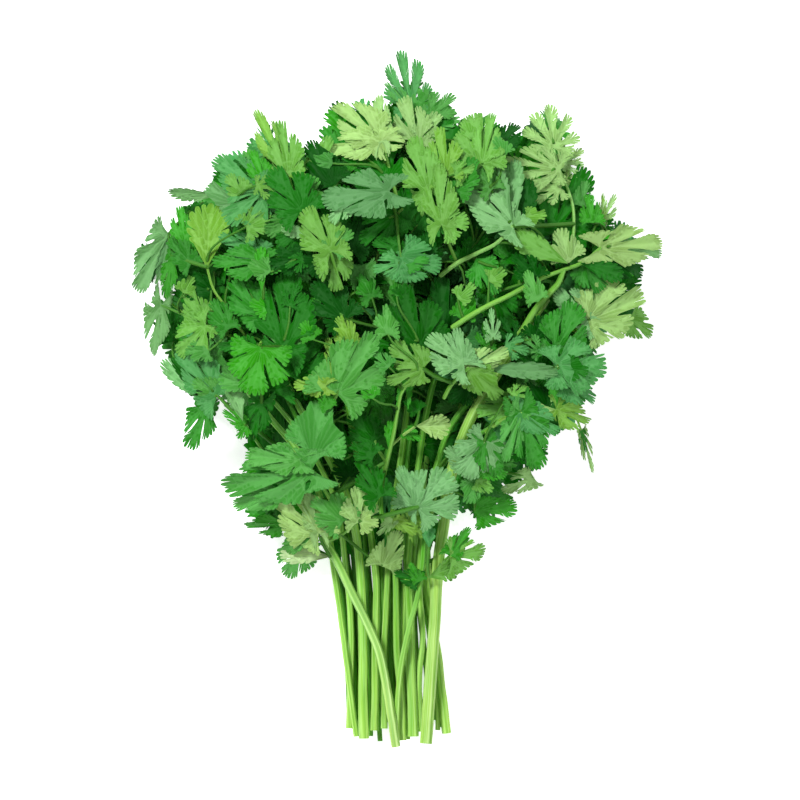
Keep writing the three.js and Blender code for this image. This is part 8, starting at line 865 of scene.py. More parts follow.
  ("F", "s", [62.8,101.6,17.7], [3,16.1,1.4], [0.15,-0.11,0.98], 15.1, 0.1, 0.035, [58.2,65,29.1,60,68.9,29.9,61,73.8,28.7,61.5,79.4,26.3,61.8,85.4,23.3,61.9,91.3,20.4,62.2,96.8,18.3,62.8,101.6,17.7]),
  ("T", "s", [60.2,102.5,26], [-8.6,13.5,-5.3], [-0.5,0.02,0.87], 16.8, 0.01, -0.126, [72.4,95,44,71.5,97.3,39.7,68,98.5,34.1,63.6,99.9,29,60.2,102.5,26]),
  ("F", "k", [56.4,99.6,27.4], [14.8,3.6,2], [-0.21,0.33,0.92], 15.7, 0.06, 0.035, [30.6,90,14,32.4,93.4,14.9,36.1,95.7,17.2,41,97.1,20.3,46.5,98,23.4,51.9,98.8,26,56.4,99.6,27.4]),
  ("F", "s", [50.9,99,44], [4.8,14.7,-8.5], [0.24,0.42,0.87], 19.4, 0.14, -0.056, [59.2,86.3,42.4,57.5,87.3,42.6,52.9,93.4,44.1,50.9,99,44]),
  ("T", "k", [42.3,90,28.9], [5,23.4,1.7], [-0.34,0.01,0.94], 24.7, 0.09, -0.091, [38.6,68.7,32,38.5,73.6,31.8,39.5,79.3,30.6,41,85.1,29.3,42.3,90,28.9]),
  ("F", "k", [48.3,98,50.3], [13.7,-8.9,-6.3], [0.51,0.19,0.84], 17.4, 0.11, -0.121, [43.5,109.8,54.8,45.4,105.3,52,48.3,98,50.3]),
  ("F", "b", [15,59.1,54], [-14.2,4.9,-4.3], [-0.16,0.36,0.92], 14.3, 0.02, -0.027, [24.4,58.6,61.8,21.8,59.1,58.6,15,59.1,54]),
  ("T", "g", [30.6,87.9,45.1], [18.8,9.4,-8.7], [0.3,0.26,0.92], 22.7, 0.04, -0.076, [16.6,83.4,63.6,16.9,82.1,59.3,20.6,83.2,53.7,25.8,85.5,48.5,30.6,87.9,45.1]),
  ("T", "s", [20.8,73.8,30.3], [19.1,9,-5.8], [0.26,0.06,0.96], 23.6, 0.1, 0.027, [19.9,56.5,40.6,20.6,60.7,39.2,19.7,66,36,19.1,70.8,32.5,20.8,73.8,30.3]),
  ("T", "b", [26.4,90.3,52.1], [0.2,22,2.7], [0.43,-0.12,0.9], 22.1, 0.05, -0.131, [30.2,64,49.2,31.3,68.1,50.4,30.5,73.6,51,28.8,79.6,51.4,27.1,85.4,51.7,26.4,90.3,52.1]),
  ("T", "k", [3.4,48,19.8], [17.6,8.4,-6.4], [0.09,0.49,0.87], 18.5, 0.12, -0.08, [-10.4,45.1,22.2,-4.6,47.4,21.4,3.4,48,19.8]),
  ("T", "g", [19.9,86.6,65.1], [1.5,15.6,-5.2], [0.16,0.3,0.94], 16.3, 0.12, 0.02, [16.6,83.4,63.6,18,84.3,64.2,19.9,86.6,65.1]),
  ("F", "s", [6.1,59.4,44.5], [-7.3,14.3,-2.8], [-0.08,0.15,0.99], 17.2, 0.04, -0.067, [14.6,47.9,40.6,11.6,53.7,42.8,6.1,59.4,44.5]),
 ]),
 ("under_leaves_07", "leaf_dark", [
  ("F", "s", [19.6,104.7,55.3], [14.5,14.9,-8.8], [0,0.51,0.86], 20.7, 0.01, -0.119, [19.6,98.3,57.4,19.8,101.2,56.4,19.6,104.7,55.3]),
  ("T", "s", [12.6,87,26.2], [-10.6,21.3,0.4], [0.01,-0.01,1], 27, 0.01, -0.078, [28.3,75.1,14,26.7,78.8,15.9,21.9,81.3,20.1,16.4,83.6,24.3,12.6,87,26.2]),
  ("T", "g", [5.5,64.2,51.5], [11.3,9.3,-4.4], [0.21,0.19,0.96], 13.7, 0.14, 0.019, [-7.9,68.4,54.4,-1.9,66.7,54,5.5,64.2,51.5]),
  ("F", "v", [4.1,75.1,47.2], [12.7,10.3,0.4], [0.15,-0.22,0.96], 16, 0.05, -0.114, [-7.9,68.4,54.4,-5,71.2,53.3,-0.2,73,49.4,4.1,75.1,47.2]),
  ("F", "s", [9.2,120.1,29.5], [13.9,-12.4,3.3], [0.12,0.37,0.92], 17.3, 0.1, 0.024, [3.9,127.4,41.8,4.5,127.6,37.4,6.4,123.9,31.8,9.2,120.1,29.5]),
  ("T", "m", [1.1,68.2,35.7], [4.4,16.4,-6.1], [-0.15,0.38,0.91], 20.5, 0.02, -0.129, [14.6,47.9,40.6,13.4,52.8,40.1,8.2,58.1,39,2.9,63.3,37.4,1.1,68.2,35.7]),
  ("T", "g", [2.3,112.1,36.2], [-17.1,13.8,-9.6], [-0.37,0.18,0.91], 22.5, 0.14, -0.07, [6.5,105.1,40.8,4.9,109,39,2.3,112.1,36.2]),
  ("F", "s", [-0.4,96.5,18.6], [9.2,18.8,-0.8], [-0.36,0.21,0.91], 21.7, 0.06, -0.001, [-3.8,92.2,14,-2.4,94.4,16.3,-0.4,96.5,18.6]),
  ("F", "s", [-1,109.6,18.7], [9.7,21,2.3], [0.08,-0.14,0.99], 21, 0.13, 0.021, [-3.8,92.2,14,-3.4,97.9,15.1,-2.6,104.2,17.2,-1,109.6,18.7]),
  ("F", "k", [-3.9,112.8,34.9], [-20.1,10.4,2.8], [0.24,0.22,0.95], 21.9, 0.16, 0.004, [6.5,105.1,40.8,2.2,109.7,37.9,-3.9,112.8,34.9]),
  ("T", "m", [-2,60.6,45.7], [-17.7,3.2,-10], [-0.5,-0.06,0.86], 21.3, 0.13, -0.041, [17,52.3,40.6,15.9,55.6,41.8,10.4,58,44.2,3.4,59.6,46.1,-2,60.6,45.7]),
  ("T", "b", [-4.8,95.4,49], [-0.8,15,-5.3], [0.27,0.33,0.9], 17, 0.14, -0.11, [-0.5,83,56.4,-2,87.1,55.2,-3.8,91.3,51.7,-4.8,95.4,49]),
  ("F", "b", [-10.5,86.5,35.4], [5.7,19.3,-6.6], [-0.03,0.33,0.94], 20.5, 0.11, 0.019, [-23.4,66.9,49.3,-23.1,70.7,49.2,-20.3,74.6,46.3,-16.5,78.6,42.1,-12.8,82.5,38,-10.5,86.5,35.4]),
  ("F", "k", [-10.2,78.3,35.4], [12.7,8.8,-2.5], [0.28,-0.14,0.95], 16.4, 0.04, -0.095, [-23.4,66.9,49.3,-22.7,70.4,48.3,-19.2,73.3,43.6,-14.5,75.9,38.3,-10.2,78.3,35.4]),
  ("F", "g", [-9.6,75.8,30.6], [-23.2,-3.8,2.9], [0.18,-0.41,0.9], 21.6, 0.07, -0.069, [-4.3,77,14,-4.6,79,18.2,-6.1,77.5,26.1,-9.6,75.8,30.6]),
  ("F", "g", [-9.6,72.9,44.2], [-0.2,16.5,3.4], [0.28,-0.19,0.94], 19.3, 0.12, -0.068, [-7.9,68.4,54.4,-8.5,70.5,49.5,-9.6,72.9,44.2]),
  ("T", "v", [-20.4,112.7,43.2], [-11.7,11.4,-2], [-0.07,0.1,0.99], 17.2, 0.12, -0.1, [-21.7,104.3,47.4,-21.2,107.4,45.3,-20.4,112.7,43.2]),
  ("T", "b", [-17.3,96.1,51.1], [7.3,17.1,0.4], [-0.05,0,1], 20.9, 0.06, -0.061, [-27.3,82.8,60.8,-25.5,87,59.7,-20.9,91.4,54.3,-17.3,96.1,51.1]),
  ("T", "g", [-23.9,105.2,47.6], [-10.2,11.9,-0.1], [0.17,0.16,0.97], 16.9, 0.14, -0.068, [-5.1,99.7,59.5,-8.2,102.3,58.1,-13.7,102.9,54,-19.5,103.2,49.6,-23.9,105.2,47.6]),
  ("F", "s", [-22.1,99.6,37.1], [-6.6,19.6,-8.1], [0.03,0.39,0.92], 25.4, 0.04, -0.138, [-25.6,74.8,54.3,-25.7,78.5,54.7,-24.9,82.6,52.4,-23.6,87,48.4,-22.4,91.5,43.8,-21.7,95.7,39.7,-22.1,99.6,37.1]),
  ("T", "k", [-4.6,49.3,33.3], [-12,16,-4.9], [-0.47,-0.08,0.88], 20.8, 0.01, 0.016, [10.9,38.5,40.5,9.5,41.8,39.6,4.9,44.2,37.4,-0.7,46.5,35,-4.6,49.3,33.3]),
  ("T", "b", [-26.6,91.9,41.1], [6.8,19.8,0.1], [-0.17,0.05,0.98], 21.3, 0.04, -0.088, [-25.6,74.8,54.3,-26.5,78.7,53.5,-27.2,83.1,48.8,-27.4,87.6,43.6,-26.6,91.9,41.1]),
  ("F", "b", [-50.8,100.9,40.7], [-13.8,11.2,-5.2], [-0.09,0.33,0.94], 19.8, 0.07, -0.03, [-53.4,93.3,43.5,-51.5,97,41.6,-50.8,100.9,40.7]),
  ("T", "s", [-32.2,75.7,44], [2.3,19.6,0.6], [0.44,-0.08,0.9], 18, 0.12, -0.08, [-29.5,63,49.6,-32.2,67.2,46.8,-32.2,75.7,44]),
 ]),
 ("under_leaves_08", "leaf_dark", [
  ("T", "s", [-45.3,82,44.4], [-5.3,20.9,-4.7], [-0.31,0.14,0.94], 23.1, 0.14, -0.067, [-39.1,68.5,52.9,-41.2,72.8,51.5,-43.6,77.4,47.4,-45.3,82,44.4]),
  ("F", "g", [-15.8,53.8,26.5], [-10.5,12.1,0.4], [-0.26,-0.26,0.93], 18.1, 0.05, -0.137, [-9.9,50,22.2,-12.2,52.1,24.3,-15.8,53.8,26.5]),
  ("T", "m", [-62.4,91.8,35.9], [-2.9,16.9,-4.5], [-0.02,0.26,0.97], 20.3, 0.07, -0.032, [-53.6,69.3,50.7,-55.5,73.3,50.6,-57.7,77.8,47.4,-59.7,82.6,42.9,-61.3,87.3,38.5,-62.4,91.8,35.9]),
  ("F", "s", [-65.7,92.3,48.7], [-14.9,5.7,-1.4], [-0.23,-0.39,0.89], 16.3, 0.03, 0.024, [-53.1,91.9,48.4,-57.2,92.2,48.8,-65.7,92.3,48.7]),
  ("T", "v", [-52.1,79.6,47.1], [-18.6,-3,-6.9], [-0.35,0.01,0.94], 18.1, 0.02, -0.039, [-42.6,77.9,57.7,-46.5,80.2,53.5,-52.1,79.6,47.1]),
  ("T", "b", [-58.5,83.4,53.3], [-16.9,3.5,1], [0.04,-0.08,1], 16.1, 0.07, -0.11, [-42.6,77.9,57.7,-46.3,80.8,57.4,-52.7,82.4,54.8,-58.5,83.4,53.3]),
  ("T", "g", [-51.3,71.7,59.9], [-13.6,10.3,-6.9], [-0.47,-0.03,0.88], 16.9, 0.13, -0.014, [-44.8,69.3,72.8,-47.3,68.3,66.6,-51.3,71.7,59.9]),
  ("T", "m", [-46.7,68,38.6], [10.1,18.1,-6.2], [0.37,0.11,0.92], 21.7, 0.07, -0.005, [-53.6,69.3,50.7,-51.4,68.6,45.6,-46.7,68,38.6]),
  ("T", "v", [-47.7,67.7,54.3], [-15.7,-1.8,2.8], [0.11,0.42,0.9], 15.5, 0.06, 0.023, [-39.1,68.5,52.9,-42.9,68.9,53.7,-47.7,67.7,54.3]),
  ("T", "s", [-77.1,78.1,25], [-20.3,-6.2,-2.3], [-0.01,-0.31,0.95], 21.7, 0.04, 0.023, [-53.4,93.3,43.5,-54.6,93.9,39.5,-57.7,92,35.5,-62.1,88.4,31.7,-67.2,84.2,28.5,-72.3,80.4,26.2,-77.1,78.1,25]),
  ("F", "g", [-65.4,68.9,35.3], [-12.2,10.3,3.1], [0.31,0.09,0.95], 16.4, 0.13, 0.037, [-53.6,69.3,50.7,-56.7,70.4,47.5,-61,68.5,39.3,-65.4,68.9,35.3]),
  ("T", "g", [-36.2,55.4,30.8], [2.7,17.8,-4.9], [0.16,0.24,0.96], 18.4, 0.09, -0.06, [-38.8,38.2,32.7,-40.3,41.8,32.6,-38.2,49,31.9,-36.2,55.4,30.8]),
  ("F", "b", [-51.9,61.1,47], [-11.3,10.7,-1.6], [-0.04,0.11,0.99], 15.9, 0.11, -0.068, [-35.6,59.1,49.8,-40.8,57.8,49.3,-47.1,58.7,48,-51.9,61.1,47]),
  ("F", "g", [-54.8,59.7,46.9], [-16.8,-7.1,-3.1], [-0.05,-0.3,0.95], 17.8, 0.13, -0.088, [-39.1,68.5,52.9,-42.9,68.6,52.2,-49.1,63.9,49.2,-54.8,59.7,46.9]),
  ("T", "g", [-73.2,62.5,49.5], [10.9,12.6,0.3], [0.08,-0.1,0.99], 19, 0.07, 0.029, [-83.3,56.5,54.7,-79.4,59.6,52.6,-73.2,62.5,49.5]),
  ("T", "k", [-48.3,54.5,50], [-15,3.5,1.4], [0.08,-0.05,1], 16.9, 0.08, -0.01, [-35.6,59.1,49.8,-41.8,55.8,49.8,-48.3,54.5,50]),
  ("T", "g", [-85.8,63.9,25.3], [-18.3,-12.8,-5.8], [-0.34,0.06,0.94], 21.3, 0.1, -0.096, [-89.9,68.6,32,-87.7,66.4,28.4,-85.8,63.9,25.3]),
  ("T", "v", [-33.7,48.4,42.3], [-7.1,17.2,-6], [-0.33,0.19,0.93], 18.7, 0.03, -0.065, [-26.1,38.4,38.8,-29.5,43.6,41,-33.7,48.4,42.3]),
  ("F", "g", [-39.6,48.3,40.1], [-14.2,5.6,-2.5], [-0.1,0.17,0.98], 14.1, 0.1, 0.007, [-26.1,38.4,38.8,-28.8,42.6,39.3,-34.3,46,40.1,-39.6,48.3,40.1]),
  ("T", "s", [-82.1,55.1,24.8], [-14,-14.7,-9.5], [-0.38,-0.22,0.9], 24.8, 0.03, 0.01, [-89.9,68.6,32,-88.6,64.8,29.5,-83.5,59.4,27,-82.1,55.1,24.8]),
  ("T", "g", [-32.2,45.1,55.2], [-14.8,0.5,-5], [-0.3,0.26,0.92], 14.2, 0.02, 0.006, [-24.1,43,64.3,-27.3,45,60.8,-32.2,45.1,55.2]),
  ("F", "g", [-65.3,49.4,37.3], [-21.9,0.5,-9.7], [-0.38,-0.36,0.85], 26.6, 0.02, 0.029, [-38.8,38.2,32.7,-43.8,39.5,33.7,-49.4,42.3,35.5,-55.1,45.6,37.2,-60.6,48.3,38.1,-65.3,49.4,37.3]),
  ("F", "m", [-44.4,40.5,50.1], [-12.2,13,-2.5], [-0.03,0.16,0.99], 18, 0.15, 0.028, [-25.9,33.5,38.7,-28.3,36.5,40.7,-33.7,37.7,44.7,-39.8,38.4,48.7,-44.4,40.5,50.1]),
  ("F", "v", [-11.8,40,49.7], [-10.4,11.4,-0.3], [0.27,0.26,0.93], 15.6, 0.03, 0.032, [-3.2,31.2,55.8,-5.5,34.6,52,-11.8,40,49.7]),
 ]),
 ("flank_leaves_01", "leaf_mid", [
  ("F", "s", [-69.4,32.4,9.9], [-15.7,-6.3,-3.5], [-0.23,0.02,0.97], 18, 0.09, -0.002, [-63.9,35,13.9,-66.3,34.7,12.1,-69.4,32.4,9.9]),
  ("F", "g", [-72.8,28.5,9.2], [-16,-19.1,1.3], [0.04,0.04,1], 28.7, 0.04, -0.056, [-63.9,35,13.9,-68,33.8,11.5,-72.8,28.5,9.2]),
  ("F", "b", [-86.6,24.4,10.3], [-10.6,-17.2,-3.7], [0.31,-0.38,0.87], 19.5, 0, -0.033, [-65.7,39.7,14,-68.5,41.1,13.7,-73.1,38.8,13,-78.4,34.2,12.1,-83.3,28.9,11.1,-86.6,24.4,10.3]),
  ("F", "g", [-83.6,22.9,32.6], [-8.5,-9.5,-19.5], [-0.76,-0.39,0.52], 22.4, 0.03, -0.004, [-75.1,28.1,44.4,-78.5,27.9,42.6,-81.5,25.4,37.4,-83.6,22.9,32.6]),
  ("F", "g", [-79.8,14.8,16.5], [-10.5,-13.7,-6.3], [0.04,-0.45,0.89], 17.3, 0.11, -0.071, [-62.1,30.4,13.9,-65.3,31.1,14.7,-70.4,26.5,16,-75.8,20,17,-79.8,14.8,16.5]),
  ("T", "s", [-60,21.1,6], [-21,-2.5,-2.2], [-0.13,0.21,0.97], 21.5, 0.11, 0.032, [-58.3,21.1,13.8,-58.6,21.7,9.5,-60,21.1,6]),
  ("T", "s", [-64.2,15.5,6.5], [-10.6,-13.8,-5.6], [-0.28,-0.17,0.95], 17.8, 0.01, 0.038, [-58.3,21.1,13.8,-60.9,19.9,9.8,-64.2,15.5,6.5]),
  ("T", "m", [-84.1,7.3,30.5], [-13.4,-1,-6.8], [-0.44,-0.1,0.89], 14.1, 0.11, -0.116, [-80.9,3.5,45.1,-82,5.7,40.8,-82.2,7.1,34.7,-84.1,7.3,30.5]),
  ("F", "g", [-55.5,13.9,17.5], [-23.4,-2.8,-5.8], [-0.26,0.41,0.87], 26.4, 0.05, -0.085, [-54.2,11.9,22.4,-54.4,13.2,19.5,-55.5,13.9,17.5]),
  ("F", "g", [-59.2,9.2,36.4], [-14.8,2.1,-8.1], [-0.39,0.43,0.82], 17, 0.13, -0.023, [-50.8,10.5,43,-54.5,10.6,40.1,-59.2,9.2,36.4]),
  ("T", "s", [-55.5,-1.1,7.3], [-6.9,-13.9,-0.4], [0.24,-0.15,0.96], 14.9, 0.07, -0.109, [-56.3,16.5,18.1,-56.6,16,14.9,-55.6,11,11.4,-54.8,4.3,8.5,-55.5,-1.1,7.3]),
  ("F", "s", [-51.9,-0.7,11.6], [-21.6,4.8,-0.7], [-0.01,0.09,1], 22.4, 0.12, 0.034, [-37,-24.3,18.2,-38.8,-20,19.5,-41.2,-14.2,18.2,-44.2,-8.2,15.5,-47.7,-3.3,12.9,-51.9,-0.7,11.6]),
  ("F", "v", [-57.4,-27.5,34.5], [-7.8,-13.7,-6.7], [0.15,-0.5,0.85], 18.9, 0.15, -0.138, [-52.2,-21.6,34.2,-54.7,-23.7,35.4,-57.4,-27.5,34.5]),
  ("F", "k", [-49,-21.3,30.3], [-11.9,-3,-11], [-0.66,-0.1,0.74], 16.2, 0.05, -0.064, [-44.1,-22.5,36.8,-46.4,-21.1,34.4,-49,-21.3,30.3]),
  ("F", "s", [-43.1,-18.7,8], [-16.6,2.3,-4.1], [-0.26,-0.15,0.95], 18.8, 0.01, -0.06, [-34.9,-28.8,13.8,-38,-23,12.2,-43.1,-18.7,8]),
  ("T", "g", [-52.3,-32.5,24.6], [-9.8,-14.4,-8.7], [0.03,-0.53,0.85], 21.5, 0.01, -0.042, [-48.5,-25.1,25,-50.3,-27.9,25.9,-52.3,-32.5,24.6]),
  ("F", "g", [-55.5,-37.5,46.2], [-9.7,-6.9,-9.8], [-0.23,-0.67,0.7], 14.2, 0.11, -0.095, [-52.8,-39.9,54,-54.2,-38.8,50.3,-55.5,-37.5,46.2]),
  ("T", "s", [-56.7,-43.2,9.5], [-12.9,9.6,0.2], [-0.13,-0.2,0.97], 18.4, 0.08, -0.129, [-33.1,-44.9,7.6,-37.3,-42.9,8.2,-44.1,-43.4,8.8,-51.3,-44.3,9.3,-56.7,-43.2,9.5]),
  ("F", "m", [-48.9,-34.1,10], [-12.7,11,-4.1], [-0.45,-0.19,0.87], 19.4, 0.09, -0.051, [-38.6,-36.5,8.8,-43.6,-35.1,9.8,-48.9,-34.1,10]),
  ("F", "s", [-46.7,-37.6,42.7], [-10.6,0.5,-12.5], [-0.7,-0.43,0.57], 15.6, 0.08, 0.031, [-45.4,-33.3,58.8,-46.3,-35.8,54.6,-45.7,-37.2,48,-46.7,-37.6,42.7]),
  ("T", "k", [-45.7,-37.8,8.8], [-12.4,-8,-3.2], [-0.13,-0.19,0.97], 16.2, 0.02, -0.085, [-38.6,-36.5,8.8,-41.9,-36.2,9.1,-45.7,-37.8,8.8]),
 ]),
 ("flank_leaves_02", "leaf_mid", [
  ("T", "m", [-44,-39.6,35], [-7.9,-7,-12.5], [-0.68,-0.37,0.64], 16.9, 0.08, -0.081, [-38.9,-31.2,33,-41.3,-34.1,35.1,-44,-39.6,35]),
  ("T", "m", [-44.6,-43.5,12.4], [1.4,-16.4,-4.2], [0.19,-0.23,0.95], 19.4, 0.03, -0.046, [-41.7,-32.5,12.3,-43.8,-36.2,13.3,-44.6,-43.5,12.4]),
  ("F", "b", [-36,-35.6,6.5], [2.4,-21.4,-2.7], [0.02,-0.12,0.99], 21.3, 0.15, -0.074, [-34.9,-28.8,13.8,-35.9,-30.5,10.9,-36,-35.6,6.5]),
  ("T", "s", [-15.4,-42.1,3.4], [-16.5,-17.8,1.9], [-0.07,0.17,0.98], 24.9, 0.08, -0.078, [-7.1,-38.9,8.6,-10.6,-38.7,6,-15.4,-42.1,3.4]),
  ("F", "b", [22.6,-41.9,5.6], [17.6,-0.4,-0.8], [0.05,0.33,0.94], 16.9, 0.15, -0.004, [18.9,-42.5,7.8,20.5,-41.8,6.8,22.6,-41.9,5.6]),
  ("T", "b", [21.3,-22.8,2.7], [7.8,-15.9,0.9], [-0.01,0.06,1], 17, 0.05, -0.047, [8.1,-13,11.9,11.6,-12.4,9.7,17.2,-17.2,5.1,21.3,-22.8,2.7]),
  ("F", "s", [35.7,-34.7,38.8], [4,-9.5,-12.2], [0.54,-0.57,0.62], 17.2, 0.08, 0.005, [34.9,-24.2,49.5,35.1,-25.5,49,35.1,-30.5,43.7,35.7,-34.7,38.8]),
  ("T", "b", [38.9,-32.1,17.6], [11.6,-4.7,-9.8], [0.63,-0.06,0.78], 16.3, 0.05, -0.009, [34,-29,17,36.4,-30.2,18,38.9,-32.1,17.6]),
  ("F", "b", [31.2,-11.2,8.1], [3.8,-18.1,-3.9], [-0.2,-0.25,0.95], 21.5, 0, -0.06, [25.9,-1.5,22.5,27.7,-1,19.2,29.8,-5.6,12.4,31.2,-11.2,8.1]),
  ("F", "k", [39.6,-12.5,17.6], [6.3,-14.6,-6], [0.06,-0.36,0.93], 15.4, 0.07, -0.073, [42.9,-6,17.9,41.4,-8.4,18.6,39.6,-12.5,17.6]),
  ("F", "k", [52.1,-19.7,23.1], [5.1,-11.2,-18], [0.61,-0.58,0.54], 22, 0.04, -0.01, [47.8,-22.6,37.9,50.4,-20.8,34.3,51.4,-19.2,28.2,52.1,-19.7,23.1]),
  ("F", "v", [36.4,-1.6,19.1], [10.3,-13,-7.7], [-0.08,-0.56,0.83], 17, 0.12, -0.109, [27.5,3.1,23,31.7,2.6,21.6,36.4,-1.6,19.1]),
  ("T", "k", [47.8,-13.8,5.4], [14,-7.4,0.3], [-0.01,0.01,1], 15.2, 0.04, -0.105, [38.6,-8.7,12.4,43.1,-9.9,9,47.8,-13.8,5.4]),
  ("T", "v", [50.6,-12.9,26.3], [11.9,-10.6,-3.5], [0.18,-0.12,0.98], 16.9, 0.04, -0.09, [47.3,-3.5,23.4,48.8,-7.2,25.8,50.6,-12.9,26.3]),
  ("F", "m", [48.3,-8.4,24.5], [14.9,-1.3,-12.1], [0.63,0.05,0.77], 19.9, 0.02, -0.017, [37.5,-12.9,39.9,40.5,-10.9,38.5,44.2,-9,30.9,48.3,-8.4,24.5]),
  ("F", "s", [50,-2.3,35.5], [11.4,-11.8,-12.2], [0.47,-0.38,0.8], 23.2, 0.01, -0.09, [51.8,-1.2,39.4,50.7,-1.4,38.1,50,-2.3,35.5]),
  ("T", "m", [45.3,4.8,6.4], [5.7,-20.9,0.8], [-0.27,-0.04,0.96], 20.1, 0.15, -0.068, [34.6,21.6,23.9,36.5,23.1,22.2,39,20.5,17.8,41.5,15.6,12.5,43.7,9.8,8.1,45.3,4.8,6.4]),
  ("F", "m", [45.7,4.9,19.2], [11.1,-7.1,-9.3], [0.66,0.06,0.75], 14.6, 0.14, 0.007, [41,3.3,30,42.4,3.4,25.3,45.7,4.9,19.2]),
  ("F", "m", [62.8,4.7,15.6], [6,-19.9,-6.3], [0.38,-0.17,0.91], 21.6, 0.08, -0.046, [36.5,26.2,24,39.6,28.1,23.6,44.4,26.3,22.5,50.1,21.8,20.9,55.6,15.9,19,60.2,9.8,17.2,62.8,4.7,15.6]),
  ("F", "m", [59.7,7.1,10.9], [20.1,-6.6,-0], [-0.01,-0.03,1], 22.8, 0.08, -0.077, [42.9,-6,17.9,46.1,-2.8,18.7,50.4,2.1,16.1,55.2,6.2,12.6,59.7,7.1,10.9]),
  ("F", "b", [52.4,12.4,4.8], [13.8,6.3,-3], [0.23,-0.05,0.97], 14.9, 0.07, 0.005, [38.6,-8.7,12.4,41.6,-5.2,11.9,44.1,-0.3,10.3,46.5,4.9,8.2,49.1,9.5,6.2,52.4,12.4,4.8]),
 ]),
 ("flank_leaves_03", "leaf_mid", [
  ("T", "m", [54.9,12.9,8.9], [10.1,-18.2,-2.3], [-0.03,-0.14,0.99], 19.9, 0.03, -0.018, [38.6,30.7,24.1,41.1,32.1,22.6,44.6,29.3,19,48.5,24,14.6,52.1,17.9,10.8,54.9,12.9,8.9]),
  ("F", "s", [65.4,11.4,28.7], [15.9,-12.6,-13.5], [0.39,-0.4,0.83], 24, 0.15, -0.081, [48.8,22.8,44.5,51.5,24.2,43.3,55,22.3,40.1,58.7,18.6,36,62.3,14.5,31.8,65.4,11.4,28.7]),
  ("F", "m", [69.5,12.9,15.3], [15.8,-3.6,-5.3], [0.34,0.14,0.93], 18.8, 0.13, -0.071, [47.3,-3.5,23.4,50.7,-0.7,25,55,3.8,23.7,59.9,8.6,20.8,64.9,12.1,17.6,69.5,12.9,15.3]),
  ("F", "s", [52.1,21,17.7], [17.8,-10.4,-6.2], [0.18,-0.26,0.95], 24.1, 0.06, -0.059, [38.6,30.7,24.1,42.1,30.6,22.8,47.3,25.5,20,52.1,21,17.7]),
  ("F", "s", [61.2,17.9,31.1], [10.2,-11.5,-12.4], [0.36,-0.52,0.78], 18.6, 0.14, -0.085, [51.5,27,44.6,54.7,27.2,41.9,58.1,22.5,36,61.2,17.9,31.1]),
  ("F", "g", [72.8,14.4,45.2], [9.8,-8,-10.7], [0.61,-0.26,0.75], 16.5, 0, -0.019, [68,23.2,59.3,68.9,22.9,54.9,70.5,18.4,49.5,72.8,14.4,45.2]),
  ("F", "b", [76,17.2,29.1], [8.1,-3.5,-12.7], [0.81,-0.16,0.56], 16.2, 0.06, 0.021, [73,28.3,48.5,75.2,27.9,47.1,75.2,24.3,41.5,74.9,19.9,34.5,76,17.2,29.1]),
  ("F", "m", [57.3,29.6,36.6], [18.5,-6.2,-2.1], [0.16,0.15,0.97], 19.7, 0.06, -0.03, [54.2,31.2,44.7,55.4,31.4,40.7,57.3,29.6,36.6]),
  ("T", "g", [61.9,29.2,9.7], [15.6,-9.7,-1.5], [-0.13,-0.36,0.92], 20.5, 0.08, -0.015, [43,39.5,24.1,45.6,41.2,22.7,49.3,39.6,19.2,53.6,36.2,15,58,32.3,11.4,61.9,29.2,9.7]),
  ("F", "g", [73.9,30,19.1], [11.8,-8.4,-11.2], [0.68,-0.02,0.74], 18.1, 0.09, -0.007, [75.8,32.8,36.5,75.6,33.7,31.2,73.5,32.3,24.1,73.9,30,19.1]),
  ("T", "v", [53.6,33.2,6.3], [15.6,-5.3,-1.7], [0.06,-0.14,0.99], 17.3, 0.13, -0.125, [40.7,35.1,24.1,43,37.3,21.4,46,36.9,15.5,49.6,35.1,9.4,53.6,33.2,6.3]),
  ("F", "m", [62.2,34.6,29.9], [9.3,-2.5,-13.4], [0.8,-0.14,0.58], 17.8, 0.05, -0.088, [56.9,35.3,44.7,58.8,36.8,41.7,60.3,35.8,35.3,62.2,34.6,29.9]),
  ("F", "s", [74,33.9,7.9], [17.9,0.5,-1.9], [0.11,-0.11,0.99], 18.5, 0.09, -0.01, [45.3,43.9,24.2,48.3,46,23,52.6,44.9,20.2,57.8,41.9,16.4,63.4,38.2,12.5,69,35.1,9.4,74,33.9,7.9]),
  ("T", "b", [92.2,37.5,9.5], [13.2,-7.6,-2], [-0.13,-0.45,0.88], 14.9, 0.08, -0.098, [75.8,32.8,36.5,77.9,35.1,32.5,80.2,37.1,27.1,82.7,38.5,21.2,85.6,39.2,15.7,88.8,39,11.5,92.2,37.5,9.5]),
  ("F", "s", [89.9,37.9,24], [8,-7.6,-11.3], [0.4,-0.6,0.69], 14.6, 0.11, 0, [90.8,34.6,38.6,91.2,36,34,89.8,38,28.3,89.9,37.9,24]),
  ("F", "k", [82.7,40.6,31.9], [13.4,-6.4,-2.6], [0.28,0.21,0.94], 15.1, 0.02, -0.067, [75.8,32.8,36.5,78.8,37.8,33.6,82.7,40.6,31.9]),
  ("F", "b", [80,42.6,10.9], [19.9,1.4,-5.8], [0.28,-0.07,0.96], 19.2, 0.11, -0.102, [50.2,52.5,24.2,53.4,54.5,23.4,58,53.3,21.3,63.6,50.3,18.5,69.5,46.7,15.5,75.1,43.7,12.8,80,42.6,10.9]),
  ("F", "v", [76.9,43,47], [0.1,-15,-8.2], [0.2,-0.47,0.86], 18.2, 0.01, 0.014, [77.2,50.3,47.7,77.2,47.9,48,76.9,43,47]),
  ("F", "m", [62.1,46,10.3], [18.9,-14.8,-3.5], [0.02,-0.2,0.98], 26.7, 0.09, -0.034, [50.2,52.5,24.2,53.6,53.5,20.7,57.8,50.1,14.2,62.1,46,10.3]),
